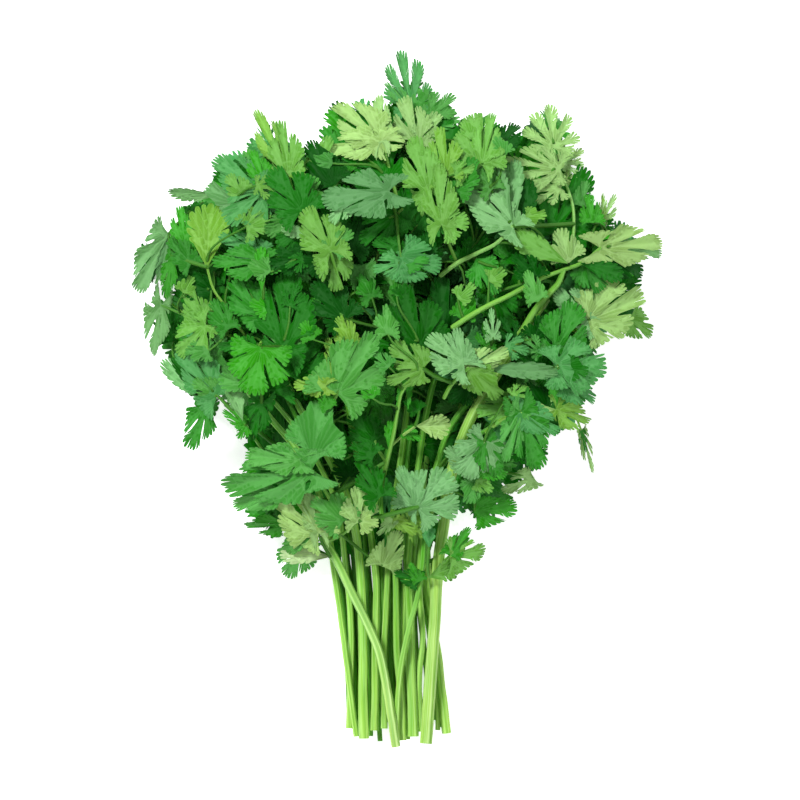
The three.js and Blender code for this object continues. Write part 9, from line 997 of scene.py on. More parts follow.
  ("T", "b", [72.7,47.1,16.6], [18.9,-8.7,-2.5], [-0.07,-0.4,0.91], 21.9, 0.06, 0.008, [52.8,56.7,24.2,56.5,57.8,23.1,61.9,54.9,20.7,67.7,50.4,18.1,72.7,47.1,16.6]),
  ("T", "m", [82.4,49.6,7.9], [15.7,12.1,-5], [0.21,0.13,0.97], 22.2, 0.07, -0.007, [75.8,32.8,36.5,77.2,35.4,32.3,77.8,38.2,26.8,78,41.1,20.6,78.5,44,14.9,79.8,46.9,10.3,82.4,49.6,7.9]),
 ]),
 ("flank_leaves_04", "leaf_mid", [
  ("T", "k", [77.1,50.7,28.4], [17.9,-1.5,-6], [0.32,0.01,0.95], 17.3, 0.07, -0.078, [55.5,60.8,26.7,59.3,61.4,28.4,65.2,57.8,29.4,71.6,53.2,29.4,77.1,50.7,28.4]),
  ("F", "b", [70,50.2,47.8], [9.7,-6.9,-9.4], [0.46,-0.42,0.78], 13.8, 0.13, -0.042, [67.3,49.4,57.8,68.7,51,53.7,70,50.2,47.8]),
  ("F", "v", [89.4,59,29.1], [14.1,-3.3,-4.3], [0.32,0.15,0.94], 17.2, 0.03, -0.115, [83.8,61.1,36.1,86.1,60.8,32.2,89.4,59,29.1]),
  ("F", "m", [66.8,56,7.2], [16.2,-1.4,-0.7], [0.07,0.32,0.94], 18.3, 0.03, 0.008, [52.8,56.7,24.2,55.5,58.8,21.6,58.8,58.4,15.8,62.5,57,10,66.8,56,7.2]),
  ("F", "m", [78.1,62.4,22], [17,-2.8,-4.1], [0.17,-0.32,0.93], 17.1, 0.05, -0.008, [58.2,65,29.1,61.7,66.5,29.3,67.2,65.6,27,73.1,63.8,24,78.1,62.4,22]),
  ("T", "m", [71.8,61.9,28.4], [6.8,9.1,-9.9], [0.66,0.27,0.7], 15.4, 0.11, -0.064, [62.5,43.6,44.8,64.6,47.3,43.6,66.5,51.3,40.4,68.2,55.3,36.2,70,58.9,31.9,71.8,61.9,28.4]),
  ("F", "b", [69,62.6,39.8], [10.1,12.3,-8], [0.48,0.16,0.86], 18.6, 0.12, -0.058, [62.5,43.6,44.8,64.3,48,44.4,65.7,53.4,43.2,67.1,58.7,41.6,69,62.6,39.8]),
  ("T", "m", [76.1,65.3,16.8], [-3,22.1,-4.6], [-0.49,0.11,0.86], 22, 0.05, -0.099, [83.8,61.1,36.1,83.8,62.4,31.6,81.2,62.4,25.4,78,62.8,19.7,76.1,65.3,16.8]),
  ("F", "b", [90.1,70,13.2], [14.1,-9.3,-5.3], [0.46,0.22,0.86], 18.2, 0.13, -0.043, [86.8,77.2,35.3,85.4,78.8,32.6,85.5,76.9,25.3,87.1,73.3,17.6,90.1,70,13.2]),
  ("T", "k", [65.2,62.9,10], [-1.5,16.6,0.2], [0.15,0,0.99], 17.2, 0, -0.049, [52.8,56.7,24.2,57.4,59.1,20.5,62.8,59.9,13.7,65.2,62.9,10]),
  ("F", "b", [66.9,64.2,9], [22.3,2.3,-0.4], [0.06,-0.44,0.9], 20.2, 0.03, 0.009, [52.8,56.7,24.2,55.5,59.9,21.8,58.8,62.1,16.7,62.7,63.5,11.4,66.9,64.2,9]),
  ("F", "v", [55.8,61.9,27], [17,14.6,-10.5], [0.29,0.31,0.91], 25.8, 0.16, 0.036, [52.8,56.7,24.2,54.2,59.5,25.9,55.8,61.9,27]),
  ("T", "b", [73.2,69.2,3.1], [11,14.7,1.1], [0.04,-0.1,0.99], 17.3, 0.12, 0.029, [52.8,56.7,24.2,55.5,59.7,22.6,59,61.6,18.6,62.8,63.1,13.5,66.6,64.5,8.3,70.2,66.4,4.5,73.2,69.2,3.1]),
  ("T", "g", [62,78.3,43.7], [15.4,2.7,-4], [0.25,-0.01,0.97], 18, 0.12, -0.088, [59.2,86.3,42.4,60.1,81.5,42.9,62,78.3,43.7]),
  ("F", "g", [60.1,79,6.3], [13.7,7.4,-0.1], [-0.18,0.35,0.92], 14.5, 0.12, -0.109, [28.3,75.1,14,30.6,78.1,13.4,35.5,79,12,41.9,78.7,10.2,48.8,78,8.4,55.2,77.8,6.9,60.1,79,6.3]),
  ("F", "g", [50.2,77,28.9], [11.2,7.7,-12.9], [0.74,0.05,0.67], 21.4, 0.06, -0.066, [38.6,68.7,32,43.2,73.7,31.6,50.2,77,28.9]),
  ("F", "m", [58.5,85.5,17.3], [15,12,-6.8], [-0.06,0.55,0.84], 22.1, 0.05, -0.119, [38.6,68.7,32,39.5,73,31.1,43.2,76.6,28.1,48.5,79.8,23.9,54,82.7,20,58.5,85.5,17.3]),
  ("F", "s", [48.8,78.5,9.8], [9.4,16.2,-1.6], [-0.16,0.19,0.97], 20.8, 0.08, -0.069, [27.5,70.2,14,30.8,73.3,13.4,37.4,74.6,12.1,44.3,75.8,10.7,48.8,78.5,9.8]),
  ("T", "m", [45.4,81,44.6], [18.3,0.9,-11.3], [0.48,0.33,0.81], 21.4, 0.12, -0.084, [30.2,64,49.2,33.2,68.6,49.9,37.1,74.2,48.9,41.2,78.9,47,45.4,81,44.6]),
  ("F", "k", [52.7,88.6,36.3], [9.1,11.9,-3.4], [0.36,-0.01,0.93], 17, 0.01, -0.099, [38.6,68.7,32,39.7,73.8,33.3,43.7,79.1,35,48.7,84.2,36.4,52.7,88.6,36.3]),
  ("T", "s", [49.1,88.4,26.5], [18.4,11.8,-9.7], [0.43,0.06,0.9], 22.4, 0.15, -0.028, [38.6,68.7,32,39,73.9,31.8,41.6,79.6,30.5,45.3,84.9,28.5,49.1,88.4,26.5]),
 ]),
 ("flank_leaves_05", "leaf_mid", [
  ("T", "m", [47,87.7,9.3], [-4.9,17.6,-5.9], [-0.07,0.3,0.95], 19.2, 0.08, -0.032, [55.5,60.8,26.7,56.5,64.6,26.9,55.7,68.9,24.5,53.7,73.7,20.5,51.1,78.6,15.9,48.7,83.3,11.8,47,87.7,9.3]),
  ("T", "m", [52.1,93,27.3], [-3.9,9.6,-18.2], [-0.47,0.73,0.49], 23.4, 0.07, -0.034, [59.2,86.3,42.4,58.4,85.8,38.7,54.8,89.4,32.7,52.1,93,27.3]),
  ("F", "k", [59,102,11.9], [-12.7,12.1,-2.9], [-0.42,-0.23,0.88], 18.9, 0.06, -0.035, [72.4,95,44,72.7,97.2,40.2,71.9,98.2,35.1,70.1,98.6,29.1,67.8,98.7,23.1,65,99,17.8,62,100,13.8,59,102,11.9]),
  ("T", "v", [64.4,116.4,36.5], [6.7,4.3,-14.2], [0.57,0.67,0.47], 18.2, 0.12, -0.061, [65.8,110.2,44.3,64.7,114.1,41.1,64.4,116.4,36.5]),
  ("F", "k", [59.6,114.7,23.2], [-2.9,7.8,-13.6], [-0.45,0.73,0.51], 14.9, 0.07, -0.107, [65.8,110.2,44.3,65,113,41.3,63.1,113.6,35.3,61.1,113.6,28.5,59.6,114.7,23.2]),
  ("T", "v", [38.5,89.6,37.9], [17.4,1.4,-11.7], [0.56,0.01,0.83], 24.1, 0.03, 0.027, [34.1,99.5,49.8,32.5,96.8,47.4,34.8,92,42.1,38.5,89.6,37.9]),
  ("F", "k", [52.6,108.1,8.6], [21.4,-5.9,0.7], [-0.08,-0.16,0.98], 24.9, 0.03, -0.137, [30.6,90,14,32.6,95,13.4,36.7,100.3,12,42,104.9,10.4,47.6,107.8,9,52.6,108.1,8.6]),
  ("F", "m", [32.1,88.2,32.1], [0.5,9.7,-14.8], [0.37,0.77,0.52], 19.9, 0.1, -0.039, [30.2,64,49.2,32,68.4,49.1,32.7,73.8,46.3,32.6,79.5,41.8,32.3,84.6,36.7,32.1,88.2,32.1]),
  ("F", "s", [37.5,97.1,22.4], [9.5,15.9,-12], [0.56,0.26,0.79], 22.6, 0.01, -0.097, [29.9,85.1,14,31.7,89.4,16.7,34.8,93.5,21.3,37.5,97.1,22.4]),
  ("T", "g", [38.2,99.3,49.1], [9.5,14.2,-12.9], [0.69,0.18,0.71], 23, 0.09, -0.018, [34.1,99.5,49.8,35.5,99.1,49.7,38.2,99.3,49.1]),
  ("T", "s", [31.5,91.4,8.8], [-6,15.8,0.6], [0.37,0.1,0.92], 16.6, 0.02, -0.139, [29.9,85.1,14,31.1,88.3,11.4,31.5,91.4,8.8]),
  ("T", "s", [27,89.3,50.5], [10.3,19,-11.8], [0.1,0.49,0.87], 24, 0.15, -0.004, [16.6,83.4,63.6,17.9,82.8,59.3,22.9,85.5,54.2,27,89.3,50.5]),
  ("T", "v", [35.4,105.9,30.6], [4.6,11.3,-11.3], [0.28,0.62,0.73], 15.8, 0.09, -0.054, [27.4,102.5,46.1,27.9,103.6,41.4,32.1,104.1,35.4,35.4,105.9,30.6]),
  ("T", "m", [26.9,91,44.9], [2.7,12.1,-19.1], [0.42,0.74,0.53], 20.6, 0.11, -0.039, [16.6,83.4,63.6,17,82.5,59.7,20.5,84.6,54.7,24.6,87.9,49.4,26.9,91,44.9]),
  ("T", "k", [25.9,89.2,20.2], [19.6,3.4,-14.6], [0.61,-0.22,0.77], 23, 0.13, -0.036, [8.7,96,39.1,11.3,95.8,35.3,14.7,94,31.1,18.4,91.6,27,22.3,89.6,23.2,25.9,89.2,20.2]),
  ("F", "g", [31,107.1,6], [13.4,10.6,1.2], [-0.2,0.14,0.97], 17.4, 0.15, -0.031, [30.6,90,14,30.2,96,11.8,29.3,102.4,7.9,31,107.1,6]),
  ("F", "g", [27.2,103.7,5.2], [-0.3,16.7,-1.8], [0.06,0.11,0.99], 15.2, 0.12, 0.014, [30.6,90,14,30,94.5,11.8,28.3,99.2,7.7,27.2,103.7,5.2]),
  ("F", "m", [28.3,106.3,40.7], [7.4,16.4,-2.6], [0.39,-0.03,0.92], 20, 0.04, 0.018, [27.4,102.5,46.1,27.2,104.1,43,28.3,106.3,40.7]),
  ("T", "s", [25.6,103.8,26.3], [-2.7,15.7,-18.7], [-0.31,0.71,0.64], 22.4, 0.11, -0.108, [27.4,102.5,46.1,25.6,103.1,40.3,25.6,102.5,32.5,25.6,103.8,26.3]),
  ("T", "b", [19.7,90.4,24.9], [6.4,17.6,-11.5], [0.48,0.35,0.81], 23.2, 0.03, 0.03, [8.7,96,39.1,12.3,94.2,34.2,16.7,90.3,28.8,19.7,90.4,24.9]),
  ("F", "b", [21.1,98.1,30.8], [12.7,19.9,-2.8], [0.26,-0.03,0.97], 25, 0.05, -0.098, [8.7,96,39.1,12.3,96.2,35.6,17.4,96.3,32.5,21.1,98.1,30.8]),
 ]),
 ("flank_leaves_06", "leaf_mid", [
  ("T", "m", [20.1,96.5,45.1], [7.6,19.7,-5.7], [0.51,0.05,0.86], 22.1, 0.05, -0.009, [16.6,83.4,63.6,15.7,83.1,59.3,16.5,86.5,53.5,18.3,91.6,48.1,20.1,96.5,45.1]),
  ("F", "b", [15.6,98.8,10.9], [4.4,14,-3.9], [0.38,0.14,0.91], 15.1, 0.02, -0.131, [-4,87.1,14,-1.1,90.7,13.7,5.2,93.1,13.1,11.8,95.4,12.1,15.6,98.8,10.9]),
  ("F", "k", [6,109.3,26.4], [15,9.6,-9.6], [0.42,0.23,0.88], 18.9, 0.16, -0.043, [6.5,105.1,40.8,4.8,107.9,34.6,6,109.3,26.4]),
  ("T", "m", [4.9,104,4.7], [-3.4,19.7,1.7], [-0.25,-0.13,0.96], 19.2, 0.11, -0.118, [-3.8,92.2,14,-1.3,96.3,11.5,3,99.9,6.9,4.9,104,4.7]),
  ("F", "g", [6.1,129.4,21.9], [-12.2,2.1,-13.7], [-0.69,0.3,0.66], 18.7, 0.08, -0.064, [3.9,127.4,41.8,4.6,129.5,38,6.2,129.8,32.2,7.2,129.5,26.3,6.1,129.4,21.9]),
  ("T", "m", [3.6,106.1,33.8], [4.2,18.4,-6.3], [0.24,0.26,0.93], 18.2, 0.04, 0.029, [8.7,96,39.1,6.5,100.2,35.8,3.6,106.1,33.8]),
  ("T", "v", [3.3,103.7,3.7], [-16.7,9.6,0.9], [0.02,-0.05,1], 18.7, 0.07, -0.054, [30.6,90,14,29.6,93.7,13.2,25.8,96.4,11.2,20.2,98.4,8.7,14,100.1,6.2,8,101.8,4.3,3.3,103.7,3.7]),
  ("T", "s", [-4.8,106.7,28.4], [-1.1,7.9,-15], [-0.21,0.86,0.47], 18.3, 0.02, -0.003, [6.5,105.1,40.8,3.2,107,38.8,-2,106.3,33.5,-4.8,106.7,28.4]),
  ("F", "m", [-4.8,103.7,38.9], [3.3,10.7,-11.6], [0.3,0.65,0.69], 16.6, 0.06, -0.097, [3,93.7,48.6,1.7,96.1,45.2,-2.7,100.1,42,-4.8,103.7,38.9]),
  ("T", "s", [-6.3,100.1,31.9], [-13.4,18.4,-6], [-0.46,-0.05,0.88], 25.2, 0.09, 0.015, [8.7,96,39.1,6.4,96.7,35.8,-0.7,97.7,33.4,-6.3,100.1,31.9]),
  ("T", "m", [-6.7,95.8,23.3], [-7.9,11.8,-12.7], [-0.32,0.59,0.74], 19.8, 0.14, -0.126, [8.7,96,39.1,7.9,96,35.1,3,95,30.8,-2.9,94.5,26.8,-6.7,95.8,23.3]),
  ("F", "s", [-9.8,102.1,13.8], [-12.7,15.7,-5.6], [-0.34,0.06,0.94], 22.4, 0.05, 0.008, [-3.8,92.2,14,-6,97.4,14.2,-9.8,102.1,13.8]),
  ("T", "m", [-12.6,110.5,17.2], [6,16.5,-4.2], [0.05,0.23,0.97], 20.6, 0.11, -0.14, [-3.8,92.2,14,-5.3,96.7,14.7,-8.8,101.5,16.1,-12,106.3,17.3,-12.6,110.5,17.2]),
  ("F", "b", [-13.9,117,30.5], [-4.6,11.6,-9.9], [0.14,0.67,0.73], 17.5, 0.05, 0.011, [-21.7,104.3,47.4,-22.5,104.5,45.1,-19.2,108,40.2,-15.2,112.8,34.6,-13.9,117,30.5]),
  ("T", "v", [-20.2,114.8,36], [-10.7,10.4,-11.1], [-0.46,0.38,0.8], 17.6, 0.12, -0.068, [-21.7,104.3,47.4,-22.4,105.7,44.8,-20.3,110.6,40,-20.2,114.8,36]),
  ("F", "k", [-21.3,115.6,8.6], [-7.2,13,-4.4], [-0.47,0.04,0.88], 16.4, 0.01, -0.012, [-3.8,92.2,14,-5.1,97,13.7,-8.8,101.9,12.7,-13.5,106.8,11.4,-18,111.4,10,-21.3,115.6,8.6]),
  ("T", "b", [-16.5,94.8,36.2], [-7.1,11.5,-12.9], [-0.56,0.44,0.7], 17.2, 0.1, 0.005, [-2.8,91.3,58.1,-4.6,93.8,56.8,-7.6,94.2,52.3,-11.1,93.6,46.4,-14.3,93.4,40.4,-16.5,94.8,36.2]),
  ("T", "v", [-21.6,112.3,22.6], [-7,14,-9.7], [-0.52,0.29,0.8], 17.7, 0.11, -0.09, [-21.7,104.3,47.4,-23.8,103.4,45,-23.6,104.3,39.5,-22.3,106.3,32.8,-21.1,109.1,26.5,-21.6,112.3,22.6]),
  ("T", "s", [-18,99.3,27.5], [-14.3,7.2,-15], [-0.73,-0.02,0.68], 23.5, 0.13, -0.052, [3,93.7,48.6,3.2,94.5,45.1,0.5,95.3,41.4,-4,96.1,37.6,-9.3,97,33.9,-14.3,98,30.5,-18,99.3,27.5]),
  ("T", "s", [-20.2,105.6,2.6], [-11.8,11.4,0.9], [0.08,-0,1], 18.7, 0.12, -0.097, [-3.8,92.2,14,-5.6,96.4,12.2,-10.2,99.6,8.2,-15.6,102.5,4.2,-20.2,105.6,2.6]),
  ("T", "v", [-17.4,88.2,12.7], [-14.6,10.8,-4.1], [-0.41,-0.23,0.88], 19.5, 0.15, -0.021, [-4.2,82.1,14,-9.6,85.7,13.7,-17.4,88.2,12.7]),
 ]),
 ("flank_leaves_07", "leaf_mid", [
  ("T", "s", [-22.2,96.5,48.3], [-20.6,7.4,-5.3], [-0.11,0.35,0.93], 25, 0.02, -0.077, [-2.8,91.3,58.1,-5.7,94.3,57.2,-11,95.3,54.1,-17.1,95.7,50.6,-22.2,96.5,48.3]),
  ("F", "v", [-25.5,95.6,10.7], [-12.7,11.9,-3.8], [0.13,0.42,0.9], 16.3, 0.12, -0.093, [-4,87.1,14,-6.6,90.5,13.7,-13,92.2,12.8,-20.2,93.4,11.8,-25.5,95.6,10.7]),
  ("F", "m", [-26.5,94.9,40.1], [-15.9,3.1,-8.5], [-0.49,-0.33,0.8], 19.9, 0.09, -0.092, [-21.7,104.3,47.4,-24.1,98.8,44.2,-26.5,94.9,40.1]),
  ("F", "s", [-31.1,87.9,33.3], [-3.5,12.8,-18.2], [0.09,0.82,0.56], 25.9, 0.03, -0.013, [-25.6,74.8,54.3,-26.6,77.9,54,-27.9,80.7,50,-29.1,83.3,44.1,-30.3,85.6,37.9,-31.1,87.9,33.3]),
  ("F", "b", [-36.8,95,26.3], [-10.8,11.3,-17.2], [-0.42,0.61,0.67], 24.6, 0.08, -0.11, [-21.7,104.3,47.4,-25.5,101.7,45.5,-28.9,98.6,41.3,-31.9,95.8,35.9,-34.5,94.3,30.6,-36.8,95,26.3]),
  ("F", "m", [-29.6,81.1,32.8], [-19.2,13.7,-7.2], [-0.11,0.34,0.94], 27.6, 0.03, -0.059, [-23.4,66.9,49.3,-24.4,70.9,48,-25.4,74.7,42.6,-26.9,78.2,36.4,-29.6,81.1,32.8]),
  ("T", "g", [-44.7,97.9,52.1], [1.5,10.2,-12.4], [-0.22,0.77,0.6], 15.1, 0.16, -0.063, [-41.5,92,64.1,-42.3,95,59.2,-44.7,97.9,52.1]),
  ("F", "s", [-31.5,79.4,6.4], [-6.9,18.8,-1.5], [0,0.08,1], 21.7, 0.14, 0.007, [-4.7,67,14,-6.4,70.2,13.5,-10.9,72.1,12.2,-17,73.4,10.4,-23.3,74.6,8.7,-28.6,76.4,7.2,-31.5,79.4,6.4]),
  ("F", "k", [-44.1,94.3,37.3], [-1.7,13,-8.3], [0.1,0.54,0.83], 17.2, 0.05, -0.114, [-53.1,91.9,48.4,-47.2,92.6,43.8,-44.1,94.3,37.3]),
  ("T", "b", [-53.4,103.4,25.5], [4.2,9.4,-11.8], [0.27,0.7,0.66], 15.4, 0.05, -0.107, [-53.4,93.3,43.5,-53.6,95.6,39.3,-54,98.2,34.3,-54,100.8,29.4,-53.4,103.4,25.5]),
  ("F", "m", [-56.2,97.9,32.4], [-7.5,6.4,-17], [-0.83,0.28,0.47], 18.2, 0, -0.03, [-53.4,93.3,43.5,-54.4,95.8,38,-56.2,97.9,32.4]),
  ("T", "g", [-42.7,83.5,5.3], [-4.9,22.8,-0.6], [-0.23,-0.02,0.97], 25.7, 0.01, 0.018, [-8.9,59.9,22.2,-10,63.9,21.5,-13.4,67,19.6,-18.5,69.5,16.9,-24.5,71.8,13.9,-30.6,74,10.8,-36.2,76.6,8.1,-40.5,79.6,6.1,-42.7,83.5,5.3]),
  ("F", "b", [-61.9,101,11.6], [11.1,10.2,-4.2], [0.16,0.22,0.96], 15.7, 0.04, -0.017, [-91.4,80.3,34.3,-88.1,83,32.7,-84.4,85.6,30.1,-80.6,88.1,26.8,-76.6,90.6,23.2,-72.6,93.1,19.5,-68.8,95.7,16.1,-65.2,98.3,13.3,-61.9,101,11.6]),
  ("F", "m", [-41,78.7,12.8], [-5.8,13.9,-4.1], [0.22,0.36,0.91], 14.8, 0.01, -0.125, [-8.9,59.9,22.2,-10.2,63.7,21.8,-14.2,66.5,20.8,-20,68.7,19.4,-26.5,70.7,17.7,-32.8,72.8,15.9,-38,75.3,14.2,-41,78.7,12.8]),
  ("F", "g", [-48.6,82,14], [-10.7,15.6,-2.9], [0.09,0.25,0.96], 21.5, 0.15, -0.139, [-8.9,59.9,22.2,-9.8,63.6,22,-12.7,66.5,21.4,-17.2,68.9,20.5,-22.8,70.9,19.4,-28.9,72.7,18.2,-35,74.5,17,-40.7,76.6,15.8,-45.4,79,14.8,-48.6,82,14]),
  ("T", "s", [-54.5,86.2,54.8], [-11.6,8.7,-17.4], [-0.54,0.55,0.63], 22.5, 0.12, 0.004, [-45.9,87.3,64,-49.9,87.3,61,-54.5,86.2,54.8]),
  ("T", "b", [-57.4,88.6,6.9], [-16.5,18.3,-1.3], [-0.11,-0.03,0.99], 24.8, 0.03, 0.003, [-74.3,57.8,14,-74.4,61.8,13.6,-71.7,66.4,12.7,-67.5,71.2,11.4,-62.7,76.2,9.9,-58.7,80.8,8.5,-56.6,85.1,7.5,-57.4,88.6,6.9]),
  ("T", "s", [-54.8,84.3,36.2], [3.7,11.7,-20.2], [-0.02,0.87,0.5], 21.6, 0.02, -0.084, [-53.6,69.3,50.7,-54.8,73.2,50.1,-55.4,77.5,46.1,-55.3,81.4,40.8,-54.8,84.3,36.2]),
  ("F", "k", [-59.8,86.2,29.1], [-5.2,8.2,-15.8], [-0.12,0.87,0.49], 18.9, 0.14, -0.095, [-53.4,93.3,43.5,-54.8,92.1,38.9,-57.6,87.7,33.7,-59.8,86.2,29.1]),
  ("F", "k", [-56,82.2,40.6], [-5.7,11.1,-11.2], [-0.49,0.48,0.73], 17.8, 0.06, -0.04, [-53.6,69.3,50.7,-54.7,73.6,49.6,-55.1,78.4,45,-56,82.2,40.6]),
  ("F", "s", [-55.3,79.9,9.7], [-13.9,5.8,-4.8], [-0.07,0.53,0.85], 17, 0.15, -0.02, [-8.9,59.9,22.2,-9.6,63.7,22,-12.1,66.8,21.3,-16.1,69.4,20.3,-21.2,71.5,19,-27.1,73.2,17.5,-33.3,74.7,15.9,-39.7,76,14.3,-45.7,77.2,12.6,-51,78.5,11.1,-55.3,79.9,9.7]),
 ]),
 ("flank_leaves_08", "leaf_mid", [
  ("T", "b", [-70,89,20.6], [-4.8,6.5,-12.9], [-0.82,0.33,0.47], 14.8, 0.09, -0.004, [-53.4,93.3,43.5,-54.9,94,39.2,-58.6,92.5,34.5,-63.1,90.2,29.6,-67.3,88.6,24.8,-70,89,20.6]),
  ("T", "k", [-61.2,81.9,2.7], [-19.4,14.7,0.7], [-0.01,-0.06,1], 27.4, 0, -0.083, [-74.3,57.8,14,-73.7,62.5,12.8,-69.4,68,10,-64.1,73.4,6.6,-60.5,78.2,3.8,-61.2,81.9,2.7]),
  ("F", "s", [-64,81.4,33], [-12.8,15.5,-11.3], [0.04,0.61,0.79], 22.8, 0.1, -0.027, [-53.6,69.3,50.7,-55.8,72.8,49.5,-58.4,75.7,44.1,-61.2,78.5,37.5,-64,81.4,33]),
  ("F", "k", [-64.5,75.4,32.4], [-3.2,9.1,-12.8], [-0.59,0.58,0.56], 18.1, 0.14, -0.098, [-53.6,69.3,50.7,-56.1,71.8,49.6,-59.5,72.9,44.3,-62.6,73.7,37.6,-64.5,75.4,32.4]),
  ("T", "v", [-66.9,76.1,41.2], [-14.7,19.2,-5.8], [-0.4,-0.03,0.91], 24.8, 0.08, -0.132, [-53.6,69.3,50.7,-57.3,72,49.4,-62.6,73.6,44.6,-66.9,76.1,41.2]),
  ("F", "m", [-68.4,71.8,11], [-12.3,10.1,-1.9], [-0.35,-0.27,0.9], 16.6, 0.05, -0.125, [-72,53.3,14,-71.2,59.4,13.4,-68.1,66.6,12,-68.4,71.8,11]),
  ("T", "m", [-84.5,78.1,23.5], [-9.4,4.5,-16.2], [-0.81,0.23,0.54], 19, 0.15, -0.081, [-89.9,68.6,32,-87.5,72.4,28.2,-84.5,78.1,23.5]),
  ("T", "v", [-73,71.7,28.5], [-13.1,17.5,-4.8], [-0.3,0.03,0.95], 24.4, 0.01, 0.005, [-72,53.3,14,-72.8,57.9,16.4,-72.2,62.8,21.8,-71.7,67.6,26.8,-73,71.7,28.5]),
  ("F", "m", [-65.2,64.1,36.5], [-15.6,1.1,-9.5], [-0.48,0.32,0.82], 20.1, 0.03, -0.133, [-53.6,69.3,50.7,-56.5,69.7,48.6,-60.7,66.2,41.9,-65.2,64.1,36.5]),
  ("T", "k", [-81.3,69.9,41.4], [-13,2.3,-9.2], [-0.43,0.52,0.74], 18.5, 0.1, -0.075, [-83.3,59.4,54.8,-82,64,51.9,-80.2,67.9,46,-81.3,69.9,41.4]),
  ("F", "s", [-65.7,60.1,24.8], [-9.1,14,-5.6], [0.06,0.41,0.91], 19.4, 0.01, -0.022, [-67.7,44.3,14,-67.5,49.6,17.1,-65.5,55.3,22.7,-65.7,60.1,24.8]),
  ("F", "b", [-77.3,62.9,24.2], [-8,2.4,-15.5], [-0.88,0.07,0.47], 16.7, 0.02, -0.116, [-79.5,43.5,41,-80.9,43.8,39.2,-80,48.2,36.1,-78.2,54.4,32.2,-76.8,60.1,28.1,-77.3,62.9,24.2]),
  ("T", "s", [-81.8,63.8,35.5], [-8.7,-0.3,-15.9], [-0.88,-0.03,0.48], 20.1, 0.1, -0.012, [-83.3,59.4,54.8,-82.4,62.9,50.9,-81.1,63.9,42.6,-81.8,63.8,35.5]),
  ("T", "g", [-88.8,64.8,5.9], [-11.8,-12.2,-1.7], [0.02,-0.16,0.99], 19.6, 0.14, -0.111, [-74.3,57.8,14,-78.3,62.3,12,-84,65.4,8.2,-88.8,64.8,5.9]),
  ("F", "m", [-88.5,64,23.3], [-10.3,3.6,-16.1], [-0.85,-0.11,0.52], 19.5, 0.1, -0.132, [-89.9,68.6,32,-89.4,65.7,28,-88.5,64,23.3]),
  ("T", "s", [-74.9,58.7,4.8], [-17.9,15.3,1.6], [-0.11,-0.24,0.97], 22.5, 0.13, -0.041, [-69.8,48.8,14,-71.9,54.1,9.3,-74.9,58.7,4.8]),
  ("F", "b", [-63.8,55.8,7.3], [-20.9,11.4,-2.2], [-0.03,0.13,0.99], 21.9, 0.16, -0.025, [-65.7,39.7,14,-65.1,45.3,12.3,-62.8,51.6,9.2,-63.8,55.8,7.3]),
  ("T", "m", [-74.1,56.7,45.1], [-11,11.8,-5.8], [-0.49,-0.03,0.87], 16.3, 0.13, -0.079, [-75.4,40,47.5,-75.4,45.3,47.8,-73.6,51.8,46.7,-74.1,56.7,45.1]),
  ("T", "s", [-80.1,52.5,44.8], [-15.9,-2.6,-13.4], [-0.59,-0.29,0.76], 21.2, 0.14, -0.052, [-80.6,47.6,50.2,-80.2,50.7,48.2,-80.1,52.5,44.8]),
  ("T", "k", [-104.7,56.4,23.4], [-7.2,8,-13.3], [-0.65,0.45,0.62], 18.6, 0.08, -0.027, [-100.5,54,32.9,-102.1,55.5,29.7,-104.7,56.4,23.4]),
  ("T", "k", [-77.7,50.4,4.5], [-16.1,0.1,0.7], [0.04,0.15,0.99], 17.2, 0.14, -0.029, [-69.8,48.8,14,-73,50.7,9.2,-77.7,50.4,4.5]),
  ("F", "m", [-71.9,43.7,14.3], [-16.9,-2.7,-2.5], [-0.19,0.33,0.93], 15.8, 0.02, 0.013, [-67.7,44.3,14,-69.6,44.5,14.2,-71.9,43.7,14.3]),
 ]),
 ("inner_leaves_01", "leaf_dark", [
  ("T", "s", [-62.5,38.6,47.9], [13.3,1.7,-18.5], [0.73,0.39,0.56], 21.3, 0.13, -0.009, [-60.3,37.4,58.6,-62.4,38.8,54.7,-62.5,38.6,47.9]),
  ("T", "m", [-81.6,37.2,39.9], [-0.4,7.3,-13.4], [0.17,0.87,0.47], 17.5, 0.09, 0.032, [-83.8,32,43.8,-83.3,34.5,42.4,-81.6,37.2,39.9]),
  ("F", "s", [-54.3,37.6,22], [22.3,-8.1,-10.4], [0.42,0.01,0.91], 27.6, 0.05, 0.033, [-65.7,39.7,14,-61.8,40.4,18.5,-54.3,37.6,22]),
  ("T", "v", [-38.4,36.7,60.8], [-8.8,1.4,-11.3], [-0.7,0.4,0.59], 15.1, 0.06, -0.059, [-24.9,35.8,69.8,-27.8,37.9,68,-33.7,37.2,64.6,-38.4,36.7,60.8]),
  ("T", "g", [-40.7,35.5,7.4], [-10.2,18.6,3.7], [0.22,-0.07,0.97], 24.5, 0.08, 0.002, [-37.2,15.6,27.4,-37.2,14.3,24.4,-37.4,17.6,19.1,-37.9,23.6,13.3,-38.9,30.2,8.8,-40.7,35.5,7.4]),
  ("F", "g", [-52.1,34,55.1], [-4.2,6.9,-15.9], [-0.4,0.8,0.45], 18.7, 0.09, -0.104, [-50.1,25.4,66,-49.8,29.8,60.9,-52.1,34,55.1]),
  ("F", "g", [-70,31.7,34.4], [-2.7,13.3,-9.6], [-0.55,0.41,0.72], 18, 0.15, 0.016, [-75.1,28.1,44.4,-73.3,29.4,40.4,-70,31.7,34.4]),
  ("T", "v", [-91.4,26,26.4], [-7.2,-0.1,-12.9], [-0.78,-0.44,0.44], 14.9, 0.09, -0.118, [-83.8,32,43.8,-87.3,31.4,40.1,-89.3,28.1,32.9,-91.4,26,26.4]),
